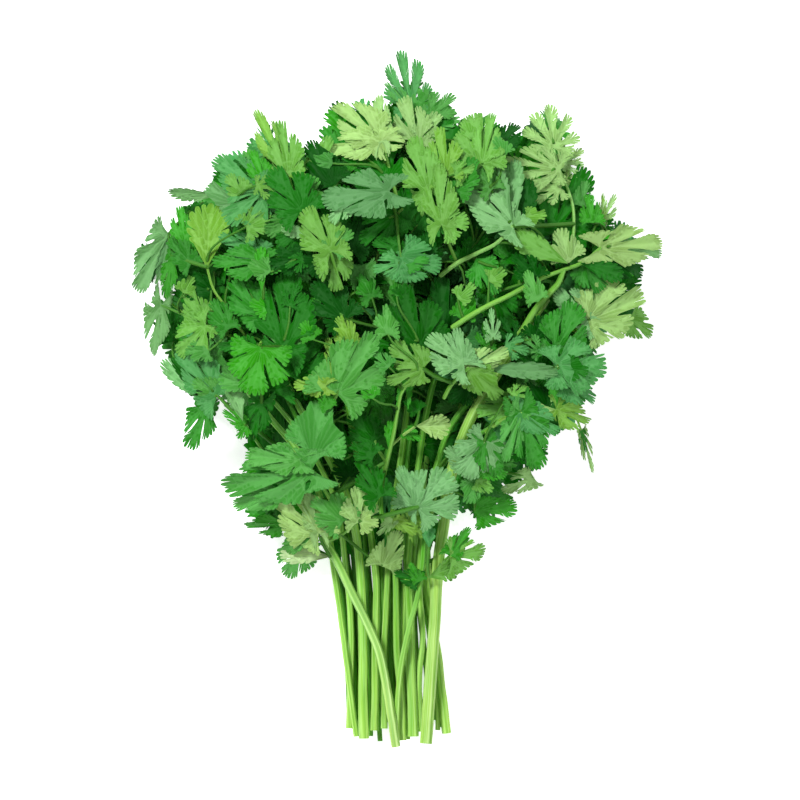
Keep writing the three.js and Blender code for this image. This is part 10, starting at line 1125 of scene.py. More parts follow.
  ("F", "m", [-31.8,35,57.3], [-7.1,4.1,-11], [-0.77,0.25,0.59], 16.2, 0.03, -0.063, [-24.9,35.8,69.8,-27.6,36.4,64.6,-31.8,35,57.3]),
  ("T", "b", [-85.4,24.1,38], [-9.2,-0.7,-10.1], [-0.74,-0.01,0.67], 13.1, 0.12, 0.024, [-75.1,28.1,44.4,-80.5,26.7,42.5,-85.4,24.1,38]),
  ("F", "s", [-42.9,29.4,56.1], [-8.7,-5.2,-9.5], [-0.33,-0.67,0.67], 14.6, 0.03, -0.063, [-24.9,35.8,69.8,-27.2,37.8,68,-32.4,35.8,64.3,-38.4,32.3,60,-42.9,29.4,56.1]),
  ("T", "m", [-32.9,31.4,48.3], [-12,-2.5,-9.7], [-0.64,0.25,0.73], 17, 0.05, -0.076, [-24.1,43,64.3,-25.5,43.3,63.5,-27.4,39.3,58.7,-29.9,34.3,52.7,-32.9,31.4,48.3]),
  ("F", "b", [-13.7,36.5,51.7], [3.3,7.6,-10.5], [0.43,0.66,0.62], 16, 0.05, -0.038, [-11.2,31.3,61.9,-11.8,33,57.1,-13.7,36.5,51.7]),
  ("F", "s", [-23.1,32.8,24.7], [-8.5,-9.2,-10.7], [-0.48,-0.44,0.76], 18.7, 0.04, -0.007, [-14.7,37.6,29.7,-18.7,36.2,28.8,-23.1,32.8,24.7]),
  ("T", "k", [-51.4,23.4,23.8], [18.5,-6.4,-0.3], [-0.14,-0.45,0.88], 19.1, 0.07, -0.086, [-60.2,25.7,13.9,-57.6,26.2,18.9,-51.4,23.4,23.8]),
  ("T", "s", [-58.1,19.2,23.1], [5,18.6,-18.4], [0.56,0.5,0.66], 29.6, 0.12, 0.036, [-54.2,11.9,22.4,-56.4,15.3,22.5,-58.1,19.2,23.1]),
  ("T", "s", [-15.8,33.3,6.3], [-17.8,-8.3,-2.2], [-0.13,0.02,0.99], 18.4, 0.04, -0.014, [-5.7,36.7,13.9,-9.5,36.9,10.3,-15.8,33.3,6.3]),
  ("T", "m", [-31,25.9,54.9], [-6.5,-3,-11.8], [-0.79,-0.33,0.52], 13.5, 0.1, -0.059, [-21.6,24.2,70.6,-22,26.5,67,-26.8,26.7,60.6,-31,25.9,54.9]),
  ("F", "g", [-29.6,26.4,9.7], [-14.7,-8.6,-6.3], [-0.25,-0.26,0.93], 16.5, 0.1, -0.012, [-12.1,30.2,22.1,-13.9,32.5,20.5,-18.8,31.5,16.7,-24.8,28.9,12.5,-29.6,26.4,9.7]),
  ("F", "s", [-42.6,19,26.6], [-11.9,-7,-10.7], [-0.69,0.06,0.72], 20.3, 0.15, -0.125, [-37.2,15.6,27.4,-39.4,17,27.2,-42.6,19,26.6]),
  ("F", "g", [-33.3,23.7,13.9], [14.9,-13.4,-2.6], [0.05,-0.14,0.99], 20.6, 0.01, -0.051, [-60.2,25.7,13.9,-59,28.5,14,-53.5,29.2,14.2,-45.9,28.3,14.3,-38.4,26.3,14.2,-33.3,23.7,13.9]),
  ("F", "v", [-57.4,8.4,34], [-4.6,-2.6,-12.8], [-0.89,-0.26,0.37], 16.3, 0.04, -0.025, [-50.8,10.5,43,-54.3,10.7,39.4,-57.4,8.4,34]),
  ("T", "g", [-59.5,6.3,12], [18.4,18.1,-1.6], [0.03,0.06,1], 25.9, 0.08, -0.014, [-75.6,-2.4,13.3,-72.5,-0.7,10.9,-65.4,2.7,11.4,-59.5,6.3,12]),
  ("T", "m", [-34.2,20.3,53.3], [-12.7,-0,-14.8], [-0.73,-0.27,0.63], 21.7, 0.13, -0.05, [-28.3,12.4,63.8,-30.2,17.7,60.1,-34.2,20.3,53.3]),
  ("F", "v", [-11.1,33.7,51.3], [7.3,-8.9,-9.7], [0.51,-0.4,0.76], 16, 0.05, -0.086, [-24.1,43,64.3,-23,43.9,63.9,-19.1,41.3,60.1,-14.5,37.2,55.2,-11.1,33.7,51.3]),
  ("T", "b", [-14.5,31.7,28.4], [-13.8,0.1,-8.5], [-0.51,-0.23,0.83], 17.5, 0.13, 0.017, [8.2,28.7,40.4,7,31.6,39.5,2.6,32.7,37.3,-3.5,32.6,34.2,-9.7,32,31.1,-14.5,31.7,28.4]),
  ("F", "m", [-46,9.7,35.9], [-6.2,-5.3,-11.4], [-0.5,-0.65,0.57], 15, 0.15, -0.034, [-50.8,10.5,43,-48.4,11.2,40,-46,9.7,35.9]),
  ("T", "v", [-30.3,16.4,16.6], [-10.3,-15.3,-4.5], [-0.09,-0.23,0.97], 19, 0.05, -0.078, [-12.7,25.3,22,-14.7,26.8,21.4,-20.1,24.5,19.8,-26.2,20.4,18,-30.3,16.4,16.6]),
  ("F", "s", [-53.5,-3.7,34.7], [-4.1,-10.9,-7.6], [-0.43,-0.4,0.81], 15, 0.01, -0.126, [-48.5,6.1,43.7,-51.2,3.4,39.3,-53.5,-3.7,34.7]),
  ("F", "v", [-34.2,9.3,48.2], [-15.1,-3.3,-19.9], [-0.76,-0.24,0.61], 24, 0.08, 0.014, [-29,6.3,61.5,-30.6,9.4,55.8,-34.2,9.3,48.2]),
  ("F", "s", [-28.8,13.9,51.6], [-13.1,-1,-7.5], [-0.46,-0.29,0.84], 17.3, 0.05, 0.033, [-28.3,12.4,63.8,-27.4,14.4,58.7,-28.8,13.9,51.6]),
  ("T", "b", [-41.5,1.1,32.9], [-17.8,-4.6,-2.3], [-0.1,-0.12,0.99], 17.6, 0.14, 0.023, [-23.5,4,37.3,-27.4,5.7,36.6,-34.8,3.4,34.5,-41.5,1.1,32.9]),
  ("F", "k", [-44.2,-5.1,31.8], [-10.4,-0.4,-14.4], [-0.8,0.18,0.57], 19.1, 0.07, -0.096, [-39.1,-11.5,46.5,-40.6,-8.5,44.8,-42.1,-6,37.9,-44.2,-5.1,31.8]),
  ("T", "m", [-35.6,3.6,38.7], [12.4,4.7,-15.3], [0.79,-0.09,0.61], 22.8, 0.05, -0.063, [-46.3,1.6,46.4,-42.3,3.3,42.9,-35.6,3.6,38.7]),
  ("T", "k", [-43,-9.8,31], [-8.2,-7,-8.6], [-0.69,-0.09,0.72], 14, 0.13, -0.095, [-39.1,-11.5,46.5,-40.2,-9.3,44.3,-41.2,-8.7,36.8,-43,-9.8,31]),
  ("F", "s", [-52.9,-31.5,49.5], [-9.3,-4.4,-10.4], [-0.52,-0.51,0.68], 15.5, 0.04, 0.024, [-45.4,-33.3,58.8,-49.1,-32.9,54.5,-52.9,-31.5,49.5]),
  ("F", "g", [-19.2,14.1,28.9], [-8.3,0.8,-11], [-0.78,0.17,0.6], 15.7, 0.1, 0.014, [-24.6,13.8,38.1,-21.4,15,34.4,-19.2,14.1,28.9]),
  ("F", "s", [-31,-3.3,3.9], [-17.6,0.6,4.1], [0.23,0.24,0.94], 19, 0.12, -0.099, [-7.1,-3.6,12.7,-8.9,-1,11.9,-13.5,-0.7,9.4,-19.7,-1.6,6.5,-25.9,-2.8,4.2,-31,-3.3,3.9]),
  ("F", "b", [-34.6,-9,32.3], [-12.1,7.4,-6.9], [-0.14,0.54,0.83], 18.7, 0.13, -0.105, [-21.4,-10.7,35.1,-27.2,-9.2,34.6,-34.6,-9,32.3]),
  ("T", "s", [-17.4,11.1,70.2], [7.5,-6,-12.5], [0.76,-0.27,0.59], 16, 0.1, -0.021, [-25,20.6,71.6,-21.6,17.5,71.7,-17.4,11.1,70.2]),
  ("T", "m", [-40.3,-30,19.9], [1.5,-7.2,-15.5], [0.59,-0.71,0.39], 16.5, 0.1, -0.069, [-37.3,-24.4,32.5,-39.6,-25.5,28.1,-40.3,-30,19.9]),
  ("T", "v", [-28.5,-9.7,34.7], [-12,-3,-8.4], [-0.47,-0.38,0.8], 14.9, 0.14, 0.025, [-22.2,-5.8,36,-24.8,-6.9,35.9,-28.5,-9.7,34.7]),
  ("T", "s", [-18.5,5.5,17.3], [14.4,10.7,-8.8], [0.55,-0.05,0.84], 19.1, 0.01, -0.115, [-16.5,0.7,20.8,-17.9,3.4,19.4,-18.5,5.5,17.3]),
  ("F", "k", [-29.9,-23.7,19.7], [-15.1,5.9,-9], [-0.55,-0.15,0.82], 20.1, 0.01, -0.073, [-19.3,-23.1,23.9,-24.5,-24.5,22.2,-29.9,-23.7,19.7]),
  ("F", "g", [-11.9,15.5,41.9], [-10.3,-4,-14.3], [-0.8,-0.06,0.6], 20.6, 0.09, -0.124, [-3.2,31.2,55.8,-2.1,28.9,52.8,-4.5,23.8,49.3,-8.4,18.5,45.6,-11.9,15.5,41.9]),
 ]),
 ("inner_leaves_02", "leaf_dark", [
  ("F", "v", [-38.3,-45.6,38.4], [-10.6,-3.3,-7], [-0.52,-0.11,0.84], 12.6, 0.05, -0.042, [-30.9,-42.4,39.9,-34.1,-43.4,40.3,-38.3,-45.6,38.4]),
  ("F", "k", [-27,-21.3,26.7], [-6.5,1.4,-11.3], [-0.67,0.58,0.46], 12.8, 0.14, 0.01, [-19.6,-20.4,33.1,-23,-20,31,-27,-21.3,26.7]),
  ("T", "k", [-13,10.5,45.9], [13,-7.7,-20.7], [0.82,-0.11,0.56], 24.1, 0.12, -0.082, [-28.3,12.4,63.8,-26.2,14.9,62.5,-21.7,14.4,57.4,-16.7,12.4,51.1,-13,10.5,45.9]),
  ("T", "k", [-24.6,-18.6,7.4], [-1.2,22.1,-2], [-0.23,0.08,0.97], 22.1, 0.03, -0.095, [-18.9,-28.9,16.5,-21.8,-23.8,12.4,-24.6,-18.6,7.4]),
  ("F", "s", [-20.6,-10.5,10.1], [17,12.1,-3.6], [0.22,-0.03,0.97], 19.5, 0.13, -0.112, [-37,-24.3,18.2,-36,-20.9,18.8,-31.4,-17.2,16.1,-25.5,-13.6,12.4,-20.6,-10.5,10.1]),
  ("F", "g", [-12.7,6.7,55.9], [1.2,-10.6,-10.2], [-0.38,-0.67,0.64], 15.7, 0.01, -0.073, [-21.6,24.2,70.6,-18.4,24.1,68.4,-15.7,19,64.5,-13.7,12,59.9,-12.7,6.7,55.9]),
  ("F", "v", [-16,-11.4,25.9], [-0.4,-10.3,-8.3], [-0.03,-0.62,0.78], 12.7, 0.02, -0.057, [-22.2,-5.8,36,-19.3,-6.3,32,-16,-11.4,25.9]),
  ("F", "s", [-7.1,16.2,60.1], [-9.8,-5.6,-7.8], [-0.67,0.14,0.73], 16, 0.1, 0.031, [7.4,25.1,68.1,4,25.4,66.3,-1.9,20.5,63.3,-7.1,16.2,60.1]),
  ("F", "v", [-7,16.3,33.2], [3.2,14.3,-19.3], [0.21,0.77,0.61], 24.7, 0.09, -0.136, [4.4,8.9,39.5,1.6,12,38.7,-4.2,14.2,36.3,-7,16.3,33.2]),
  ("F", "s", [-7.8,10.7,66.9], [-6.4,10.4,-6.3], [-0.02,0.51,0.86], 14.7, 0.15, -0.069, [1,3.9,67,-2.6,7.5,68,-7.8,10.7,66.9]),
  ("F", "g", [-9.1,3.6,38.8], [-2.6,-14.9,-7.6], [-0.31,-0.39,0.87], 16.9, 0.1, -0.061, [5.2,13.9,39.8,2,14.2,40.2,-4.9,9.1,40.1,-9.1,3.6,38.8]),
  ("T", "g", [-10.9,-21.7,21.4], [5.3,-15.9,-8.8], [0.04,-0.47,0.88], 21, 0.12, -0.106, [-18.9,-14,19,-15.2,-15.8,20.9,-10.9,-21.7,21.4]),
  ("F", "b", [-3.7,1,32.3], [8.7,3.6,-13.8], [0.84,0.04,0.54], 17.3, 0.11, -0.092, [-22.9,-0.9,36.7,-18.9,1.6,36.9,-10.1,1.1,35.5,-3.7,1,32.3]),
  ("F", "s", [-2.1,-15.1,1.5], [14.5,18.1,7.4], [-0.29,-0.16,0.94], 26.9, 0, -0.035, [-7.3,-23.8,10.6,-5.5,-19.1,5.8,-2.1,-15.1,1.5]),
  ("F", "m", [-0.9,3.3,22.1], [14.6,2.5,-7.6], [0.48,-0.3,0.82], 18.3, 0.09, 0.03, [-15.7,5.6,21.2,-9.4,5.7,22.5,-0.9,3.3,22.1]),
  ("F", "m", [1.5,-33.6,12.7], [-12.9,-3,-7.2], [-0.51,0.23,0.83], 16.1, 0.03, -0.063, [10.3,-30.4,16.4,6.9,-30.8,15.2,1.5,-33.6,12.7]),
  ("F", "s", [6,-18.8,18.9], [1.5,-6.6,-16.7], [0.4,-0.84,0.37], 17.5, 0.12, -0.08, [3.8,-15.9,33.4,5,-15.4,28,6,-18.8,18.9]),
  ("F", "s", [0.3,33.7,33.5], [-2.4,12.9,-17.4], [0.07,0.8,0.59], 20.1, 0.14, -0.054, [8.2,28.7,40.4,4.7,31.6,37.9,0.3,33.7,33.5]),
  ("T", "v", [1.6,28.8,27.2], [8.1,-6.9,-13.5], [0.79,-0.21,0.58], 17.6, 0.01, -0.043, [-14.7,37.6,29.7,-11.7,36.7,31.8,-4,32.4,30.5,1.6,28.8,27.2]),
  ("F", "m", [12.1,-8.4,19], [-8.9,-5.1,-10.8], [-0.5,-0.54,0.68], 17.7, 0.07, -0.034, [13.7,-5.6,20.2,13.2,-6.5,19.9,12.1,-8.4,19]),
  ("F", "s", [10.6,0.9,32.7], [5.9,0.2,-11.8], [0.88,0.19,0.44], 13.6, 0.1, -0.029, [3.7,3.9,38.9,6.8,3.3,36.8,10.6,0.9,32.7]),
  ("F", "v", [16.4,-8.7,20.4], [4.9,-8.5,-12.3], [-0.06,-0.83,0.55], 17, 0.13, -0.096, [13.7,-5.6,20.2,15,-6.5,20.7,16.4,-8.7,20.4]),
  ("T", "g", [30.5,-43.7,28.5], [11.3,-4.7,-6.3], [0.47,-0.03,0.88], 13.3, 0.11, -0.081, [20.1,-39.8,31.8,24.5,-40.3,31,30.5,-43.7,28.5]),
  ("T", "m", [33.2,-23.8,31.1], [4.8,-4.2,-13.9], [0.44,-0.81,0.4], 17.2, 0.06, -0.108, [25.1,-20.6,37.8,29.2,-20.9,35.7,33.2,-23.8,31.1]),
  ("T", "m", [21.3,6.1,24.5], [7.2,-13.5,-9], [0.52,-0.27,0.81], 18.1, 0.11, -0.082, [17.2,14,21.7,19.1,11.7,23.6,21.3,6.1,24.5]),
  ("F", "v", [4.7,32,43.5], [-11.7,1.3,-8], [-0.46,0.47,0.75], 15.4, 0.08, -0.118, [9.5,33.6,40.4,7.7,33.3,42.3,4.7,32,43.5]),
  ("F", "s", [7.6,27.9,1.3], [20.6,-3,7.2], [-0.33,-0.01,0.94], 21.4, 0.1, -0.093, [-5.9,31.7,13.9,-3.3,33.1,10.3,2.1,30.3,3.9,7.6,27.9,1.3]),
  ("T", "v", [3.1,34.4,5.1], [-22.2,-7,2.3], [0.12,-0.05,0.99], 23.8, 0.03, -0.061, [20.5,35.7,13.9,17.6,38,11.5,10.1,36.5,7.1,3.1,34.4,5.1]),
  ("F", "s", [32.5,-4.1,28.5], [0.9,-5.1,-12.2], [0.06,-0.92,0.39], 13.2, 0.13, -0.021, [31.2,0.6,38.7,32.5,-0.5,34.8,32.5,-4.1,28.5]),
  ("F", "s", [26.7,3.6,3.3], [-21.2,15,6.2], [0.22,-0.09,0.97], 25.1, 0.05, -0.139, [38.6,-8.7,12.4,38.3,-4.8,9.9,32.5,-0.2,5.2,26.7,3.6,3.3]),
  ("F", "k", [23.3,8.9,47], [6,-2.3,-13.4], [0.88,-0.2,0.43], 16.6, 0.03, -0.134, [22.4,7.1,64.3,24,7.1,60,23.1,8.5,53,23.3,8.9,47]),
  ("F", "g", [32.8,1.2,4], [-19.8,-2.9,0.5], [0.05,-0.15,0.99], 21.2, 0.05, -0.014, [38.6,-8.7,12.4,38.3,-2.7,8.3,32.8,1.2,4]),
  ("T", "s", [9.2,28.9,9.2], [-17,-16.6,-4.3], [-0.27,0.03,0.96], 24.4, 0.1, -0.07, [20.5,35.7,13.9,16.1,34.7,11.8,9.2,28.9,9.2]),
  ("F", "s", [21.2,17.1,9.8], [15.5,-12.7,-3.1], [-0.05,-0.29,0.95], 18.7, 0.06, -0.133, [17,21.1,13.8,18.7,20.2,11.9,21.2,17.1,9.8]),
  ("F", "m", [31.6,9.6,33], [10.4,-1.2,-15.3], [0.79,-0.26,0.56], 21.2, 0.12, -0.009, [28.6,5.2,49,28.5,5,44.3,29.5,7.9,38.1,31.6,9.6,33]),
  ("T", "k", [34.9,6.9,32.4], [2.9,-10.5,-10.1], [-0.29,-0.71,0.65], 15.2, 0.12, -0.107, [37.5,8.3,39.9,36.5,8.8,36.8,34.9,6.9,32.4]),
  ("F", "s", [13.1,28.7,33.9], [-6.9,6.2,-11.7], [-0.72,0.34,0.6], 14.6, 0.04, -0.061, [21.2,24.5,42.4,18.3,27.2,39.2,13.1,28.7,33.9]),
  ("T", "m", [49.7,4,52.8], [10.3,2.6,-14.8], [0.81,0.08,0.58], 20.6, 0.11, -0.108, [51.3,-5,65.1,51.3,-2.4,64.2,49.5,1.6,58.3,49.7,4,52.8]),
  ("T", "g", [52.8,4.6,8.7], [-15.1,11.2,-3.9], [-0.14,0.15,0.98], 18.4, 0.15, -0.016, [47.3,-3.5,23.4,50.8,-1.4,21.4,53.7,1.6,13.7,52.8,4.6,8.7]),
  ("F", "b", [29.5,20,33.9], [-4.8,13.4,-9.3], [0.03,0.57,0.82], 17.8, 0.12, -0.094, [37.5,8.3,39.9,36.8,12.1,39,32.6,16.2,36.6,29.5,20,33.9]),
  ("F", "b", [70.6,-6.5,26.6], [7.4,0.5,-11.4], [0.82,-0.22,0.52], 15.6, 0.08, -0.064, [75,-6.9,35.5,72.9,-7.5,32.1,70.6,-6.5,26.6]),
  ("T", "v", [57.1,5,32.9], [16,-3.2,-8.1], [0.31,-0.5,0.81], 20.1, 0.1, -0.106, [51.8,-1.2,39.4,53.8,2.3,37.6,57.1,5,32.9]),
  ("T", "b", [26.9,25.4,60.7], [11.4,-9.2,-9.5], [0.43,-0.34,0.84], 17, 0.09, -0.023, [22.7,28.6,61.7,24.7,27.7,61.7,26.9,25.4,60.7]),
  ("T", "k", [31.8,23.7,49.6], [5.2,-3.6,-11.9], [0.82,-0.33,0.46], 13.7, 0.07, 0.031, [22.7,28.6,61.7,25.6,29,60.2,29.1,26.2,54.8,31.8,23.7,49.6]),
  ("T", "v", [35.6,23.6,35.8], [8.2,-13.8,-9.7], [0.26,-0.45,0.86], 21, 0.03, -0.072, [23.3,29,42.6,26.9,29.8,41.4,32,27.1,38.6,35.6,23.6,35.8]),
 ]),
 ("inner_leaves_03", "leaf_dark", [
  ("F", "k", [66,13.3,54.5], [3.6,-5.6,-12.9], [0.33,-0.83,0.45], 16.9, 0.11, -0.099, [67,18.4,63.8,66.2,16.9,59.2,66,13.3,54.5]),
  ("T", "k", [53.3,18.7,4.8], [-12,13.4,0], [-0.1,-0.09,0.99], 18.6, 0.14, -0.134, [47.3,-3.5,23.4,50.2,-0.8,23.7,52.9,3.7,19.4,54.8,9.1,13,55.1,14.4,7.3,53.3,18.7,4.8]),
  ("T", "g", [71.3,20.5,52.1], [6.8,-8.2,-12.3], [0.58,-0.49,0.65], 19.5, 0.04, -0.023, [68,23.2,59.3,69.4,22.9,55.8,71.3,20.5,52.1]),
  ("T", "b", [29.1,33,54.9], [7.9,-4.1,-10.6], [0.7,-0.32,0.64], 14, 0.12, -0.001, [26.5,35.5,64.3,27.7,35.4,60.7,29.1,33,54.9]),
  ("T", "v", [50.4,28.6,29.8], [8.7,-1.1,-11.8], [0.73,-0.37,0.58], 16.1, 0.15, -0.109, [51.5,27,44.6,50.9,29.1,38.4,50.4,28.6,29.8]),
  ("F", "m", [41.6,31.4,48.4], [5.1,-4.1,-15.1], [0.73,-0.56,0.4], 17.9, 0.08, -0.128, [37.4,40.2,65.1,40.1,39.3,61.9,40.8,34.8,54.9,41.6,31.4,48.4]),
  ("T", "g", [9.7,37.9,11.2], [-12.6,16.6,-6.2], [0.01,0.36,0.93], 20.8, 0.07, -0.086, [19.3,30.8,13.9,15.5,34.6,12.9,9.7,37.9,11.2]),
  ("T", "m", [50.6,37,29.5], [5.5,-0.2,-12.1], [0.91,-0.1,0.41], 14.1, 0.02, -0.117, [54.2,31.2,44.7,54,34.4,41.7,51.3,36.3,35.2,50.6,37,29.5]),
  ("F", "g", [40.2,38.2,45.9], [10.1,10.4,-7.7], [0.13,0.51,0.85], 16.6, 0.15, -0.118, [37.5,22.6,59.2,36.9,24.4,55.2,37.1,28.9,51.5,38.1,34.2,48.3,40.2,38.2,45.9]),
  ("F", "k", [25.7,39.2,50], [-5.6,6.1,-10.4], [-0.51,0.6,0.62], 13.1, 0.08, -0.029, [26.5,35.5,64.3,27.4,37.9,58.8,25.7,39.2,50]),
  ("F", "s", [38.7,38.9,42.3], [9.8,-1.6,-12.9], [0.69,-0.43,0.58], 17.8, 0.07, -0.017, [40.3,44.6,53.7,39.3,40.8,48.8,38.7,38.9,42.3]),
  ("T", "k", [67.2,38.9,10.1], [-17.9,7.3,-5.1], [-0.21,0.16,0.96], 20.7, 0.11, -0.089, [75.8,32.8,36.5,76.9,34.8,31.9,76.2,36,25.5,74.1,36.8,18.7,71,37.6,13,67.2,38.9,10.1]),
  ("T", "v", [31.2,39.5,38.2], [-14.8,-8.9,-14.2], [-0.42,-0.5,0.76], 25.5, 0.12, 0.003, [40.3,44.6,53.7,39.7,41.8,50.1,35.5,40.8,43.4,31.2,39.5,38.2]),
  ("T", "b", [88.8,39.3,31.7], [7.8,7.9,-10.2], [0.11,0.74,0.66], 14.6, 0.15, -0.111, [90.8,34.6,38.6,89.9,36.6,35,88.8,39.3,31.7]),
  ("T", "g", [76.4,40.3,38.2], [10.6,-3.9,-7.8], [0.42,-0.44,0.79], 16, 0.11, -0.079, [62.5,43.6,44.8,66.4,44.5,43.6,71.9,42.4,41,76.4,40.3,38.2]),
  ("T", "s", [78.7,41.3,43.3], [7.8,9.4,-11.4], [0.33,0.6,0.73], 17, 0.1, -0.048, [80.5,33.9,51.3,79.9,37.6,48.4,78.7,41.3,43.3]),
  ("T", "m", [62.6,41.6,17], [-9.8,22.1,-2.9], [0.07,0.16,0.99], 27.6, 0.02, 0.008, [75.8,32.8,36.5,75.9,34.6,32.8,73.3,35.8,27.8,69.3,36.9,22.9,65.3,38.7,18.9,62.6,41.6,17]),
  ("T", "m", [46.9,41.2,13.2], [-19.2,-13.6,-1.2], [-0.13,0.09,0.99], 24.3, 0.13, -0.022, [50.2,52.5,24.2,51.1,51.8,21.4,49.8,46.1,16.1,46.9,41.2,13.2]),
  ("T", "v", [39,42.5,48], [-1,11.6,-7.7], [0.36,0.54,0.76], 13.5, 0.04, 0.016, [40.3,44.6,53.7,39.9,42.5,51.1,39,42.5,48]),
  ("T", "k", [40.6,44.7,21.3], [-2.4,24.1,-1], [-0.12,0.03,0.99], 25.8, 0.08, -0.04, [43,39.5,24.1,42.1,42.1,22.8,40.6,44.7,21.3]),
  ("F", "m", [66.7,48.2,44.6], [8.4,9.9,-9.9], [0.38,0.48,0.79], 16.3, 0.08, 0.008, [62.5,43.6,44.8,64.6,46,45.1,66.7,48.2,44.6]),
  ("F", "m", [2.7,40.7,53.2], [-7.7,2.4,-14.3], [-0.88,-0.15,0.45], 17.4, 0.12, -0.081, [7.4,25.1,68.1,6.6,29.8,66.1,5.7,34.7,62.2,4.4,38.7,57.5,2.7,40.7,53.2]),
  ("T", "v", [56,52.8,30.3], [0.4,18.1,-1.1], [-0.39,0.07,0.92], 19.3, 0.05, -0.016, [46.1,38.8,28.1,50.4,42.3,29.3,54.3,47.6,30.2,56,52.8,30.3]),
  ("F", "s", [60.8,56.2,51.3], [0.9,-9,-16.6], [0.01,-0.88,0.48], 19.2, 0.13, 0.024, [61.6,52.5,61.2,62.1,55.3,57,60.8,56.2,51.3]),
  ("T", "g", [83.9,63.8,33.7], [8.4,-9.9,-11.1], [0.28,-0.6,0.75], 18.1, 0.11, -0.096, [84,75.8,41.4,82.7,70.6,39.8,83.9,63.8,33.7]),
  ("F", "s", [48.4,54.1,54.8], [9,-7.2,-7.6], [0.29,-0.49,0.82], 13.7, 0.14, -0.044, [33.4,59.2,62.4,37.3,57.7,62.8,43.5,56.2,58.8,48.4,54.1,54.8]),
  ("F", "g", [12.2,43.9,6.9], [22.5,6.8,0.2], [0.1,-0.34,0.94], 26.2, 0.13, 0.006, [-5.5,41.8,14,-1.9,44.3,12.1,5.5,43.8,8.8,12.2,43.9,6.9]),
  ("T", "m", [27.7,48.9,55.1], [5.1,-5.3,-13], [0.87,-0.23,0.44], 15.7, 0.05, -0, [24.4,58.6,61.8,26.6,54.9,59.8,27.7,48.9,55.1]),
  ("T", "v", [91.7,69.1,38.5], [-0.8,6,-11.9], [-0.24,0.86,0.45], 13.2, 0.03, -0.126, [88.9,65.5,48.9,91.4,67,44.1,91.7,69.1,38.5]),
  ("T", "k", [36.5,51.8,24.5], [15.8,-10.5,-16.7], [0.49,-0.44,0.75], 27.9, 0, -0.061, [23.3,53.5,22.2,29.2,54.6,24.2,36.5,51.8,24.5]),
  ("T", "s", [49.8,57.9,59.7], [1.4,10.2,-9.3], [-0.33,0.66,0.67], 13.7, 0.04, -0.133, [50.8,49.3,60.4,51,53.2,61,49.8,57.9,59.7]),
  ("F", "m", [65.1,65.6,55.1], [6.7,1.3,-13.1], [0.89,-0.1,0.45], 14.6, 0.08, -0.122, [55.2,74.3,66,59,72.1,62.9,62.4,67.7,59.2,65.1,65.6,55.1]),
  ("T", "s", [29.7,53.6,47.7], [9.3,6.4,-14.5], [0.71,0.34,0.61], 18.3, 0, -0.043, [24.4,58.6,61.8,26.8,58.1,59.4,28.1,54.8,53.1,29.7,53.6,47.7]),
  ("F", "s", [44.2,61.3,14.1], [-14.3,-6.4,-12.5], [-0.63,-0.1,0.77], 19.9, 0.04, 0.032, [55.5,60.8,26.7,54.3,62.8,24.9,49.1,62.5,19,44.2,61.3,14.1]),
  ("T", "b", [54.2,66.3,57.7], [11.7,8.5,-9], [0.52,0.17,0.84], 17.3, 0.14, -0.027, [41.2,67.1,67.6,45.5,67.3,66.2,50.3,66,61.6,54.2,66.3,57.7]),
  ("F", "v", [27.9,54.5,21.6], [-1.2,16.9,-8.2], [0.04,0.44,0.9], 20.1, 0.09, -0.043, [22.7,48.5,22.2,25.5,51.6,22.2,27.9,54.5,21.6]),
  ("F", "b", [8.3,44.6,26], [11,-8.7,-9.5], [0.46,-0.32,0.83], 16.7, 0.08, -0.113, [-9.9,50,22.2,-5.7,51.5,23.8,2.2,48.3,26.3,8.3,44.6,26]),
  ("T", "b", [37.6,62.4,13.1], [12,20,4.6], [-0.18,-0.11,0.98], 25.6, 0.01, 0.039, [24.7,55.4,14,30.7,59.1,13.2,37.6,62.4,13.1]),
  ("T", "m", [56.9,75.8,51.4], [10.3,0.8,-14.3], [0.76,0.32,0.56], 18.7, 0.11, -0.138, [55.2,74.3,66,56.4,75.1,59.1,56.9,75.8,51.4]),
  ("F", "g", [33.8,62.3,4.3], [25.4,5.7,1.3], [-0.02,-0.16,0.99], 26.5, 0.06, 0.039, [25.6,60.3,14,28.7,62.3,9.1,33.8,62.3,4.3]),
  ("F", "k", [29,59.6,35.3], [10.8,8.9,-8.7], [0.42,0.32,0.85], 19.3, 0.02, -0.025, [19.9,56.5,40.6,24.3,58.4,38.5,29,59.6,35.3]),
  ("F", "b", [46.5,72.5,59.1], [-2.3,12,-7.7], [-0.51,0.4,0.77], 16, 0.06, 0.022, [41.2,67.1,67.6,45,69.4,64.3,46.5,72.5,59.1]),
  ("T", "s", [14.5,51,7], [-4.5,20,-3.2], [0,0.16,0.99], 20.8, 0.01, -0.047, [21.6,40.6,14,18.6,45.8,10.7,14.5,51,7]),
  ("T", "s", [26.8,62.1,46.5], [2.7,8.3,-12], [0.3,0.75,0.59], 16.6, 0.12, -0.03, [29,60.3,51.7,27.6,60.5,50,26.8,62.1,46.5]),
  ("F", "b", [58.6,91.3,47], [4.9,-5.9,-10.9], [0.81,-0.27,0.51], 12.7, 0.04, -0.072, [66.2,99.2,52,61.5,95.8,51.6,58.6,91.3,47]),
 ]),
 ("inner_leaves_04", "leaf_dark", [
  ("T", "g", [27.9,67.8,5], [3.9,18.9,-1.5], [0.02,0.08,1], 21.5, 0.05, -0.031, [25.6,60.3,14,26.7,64.1,9.6,27.9,67.8,5]),
  ("F", "s", [57.7,98,40], [5.3,10.6,-7.3], [0.23,0.48,0.85], 16.4, 0.13, 0.013, [59.2,86.3,42.4,58.5,90.2,41.4,57.7,98,40]),
  ("F", "v", [65.3,106,36.1], [2.4,7.5,-11.4], [0.56,0.63,0.54], 14.6, 0.08, -0.109, [68.1,99.2,46.8,66,103.1,42.5,65.3,106,36.1]),
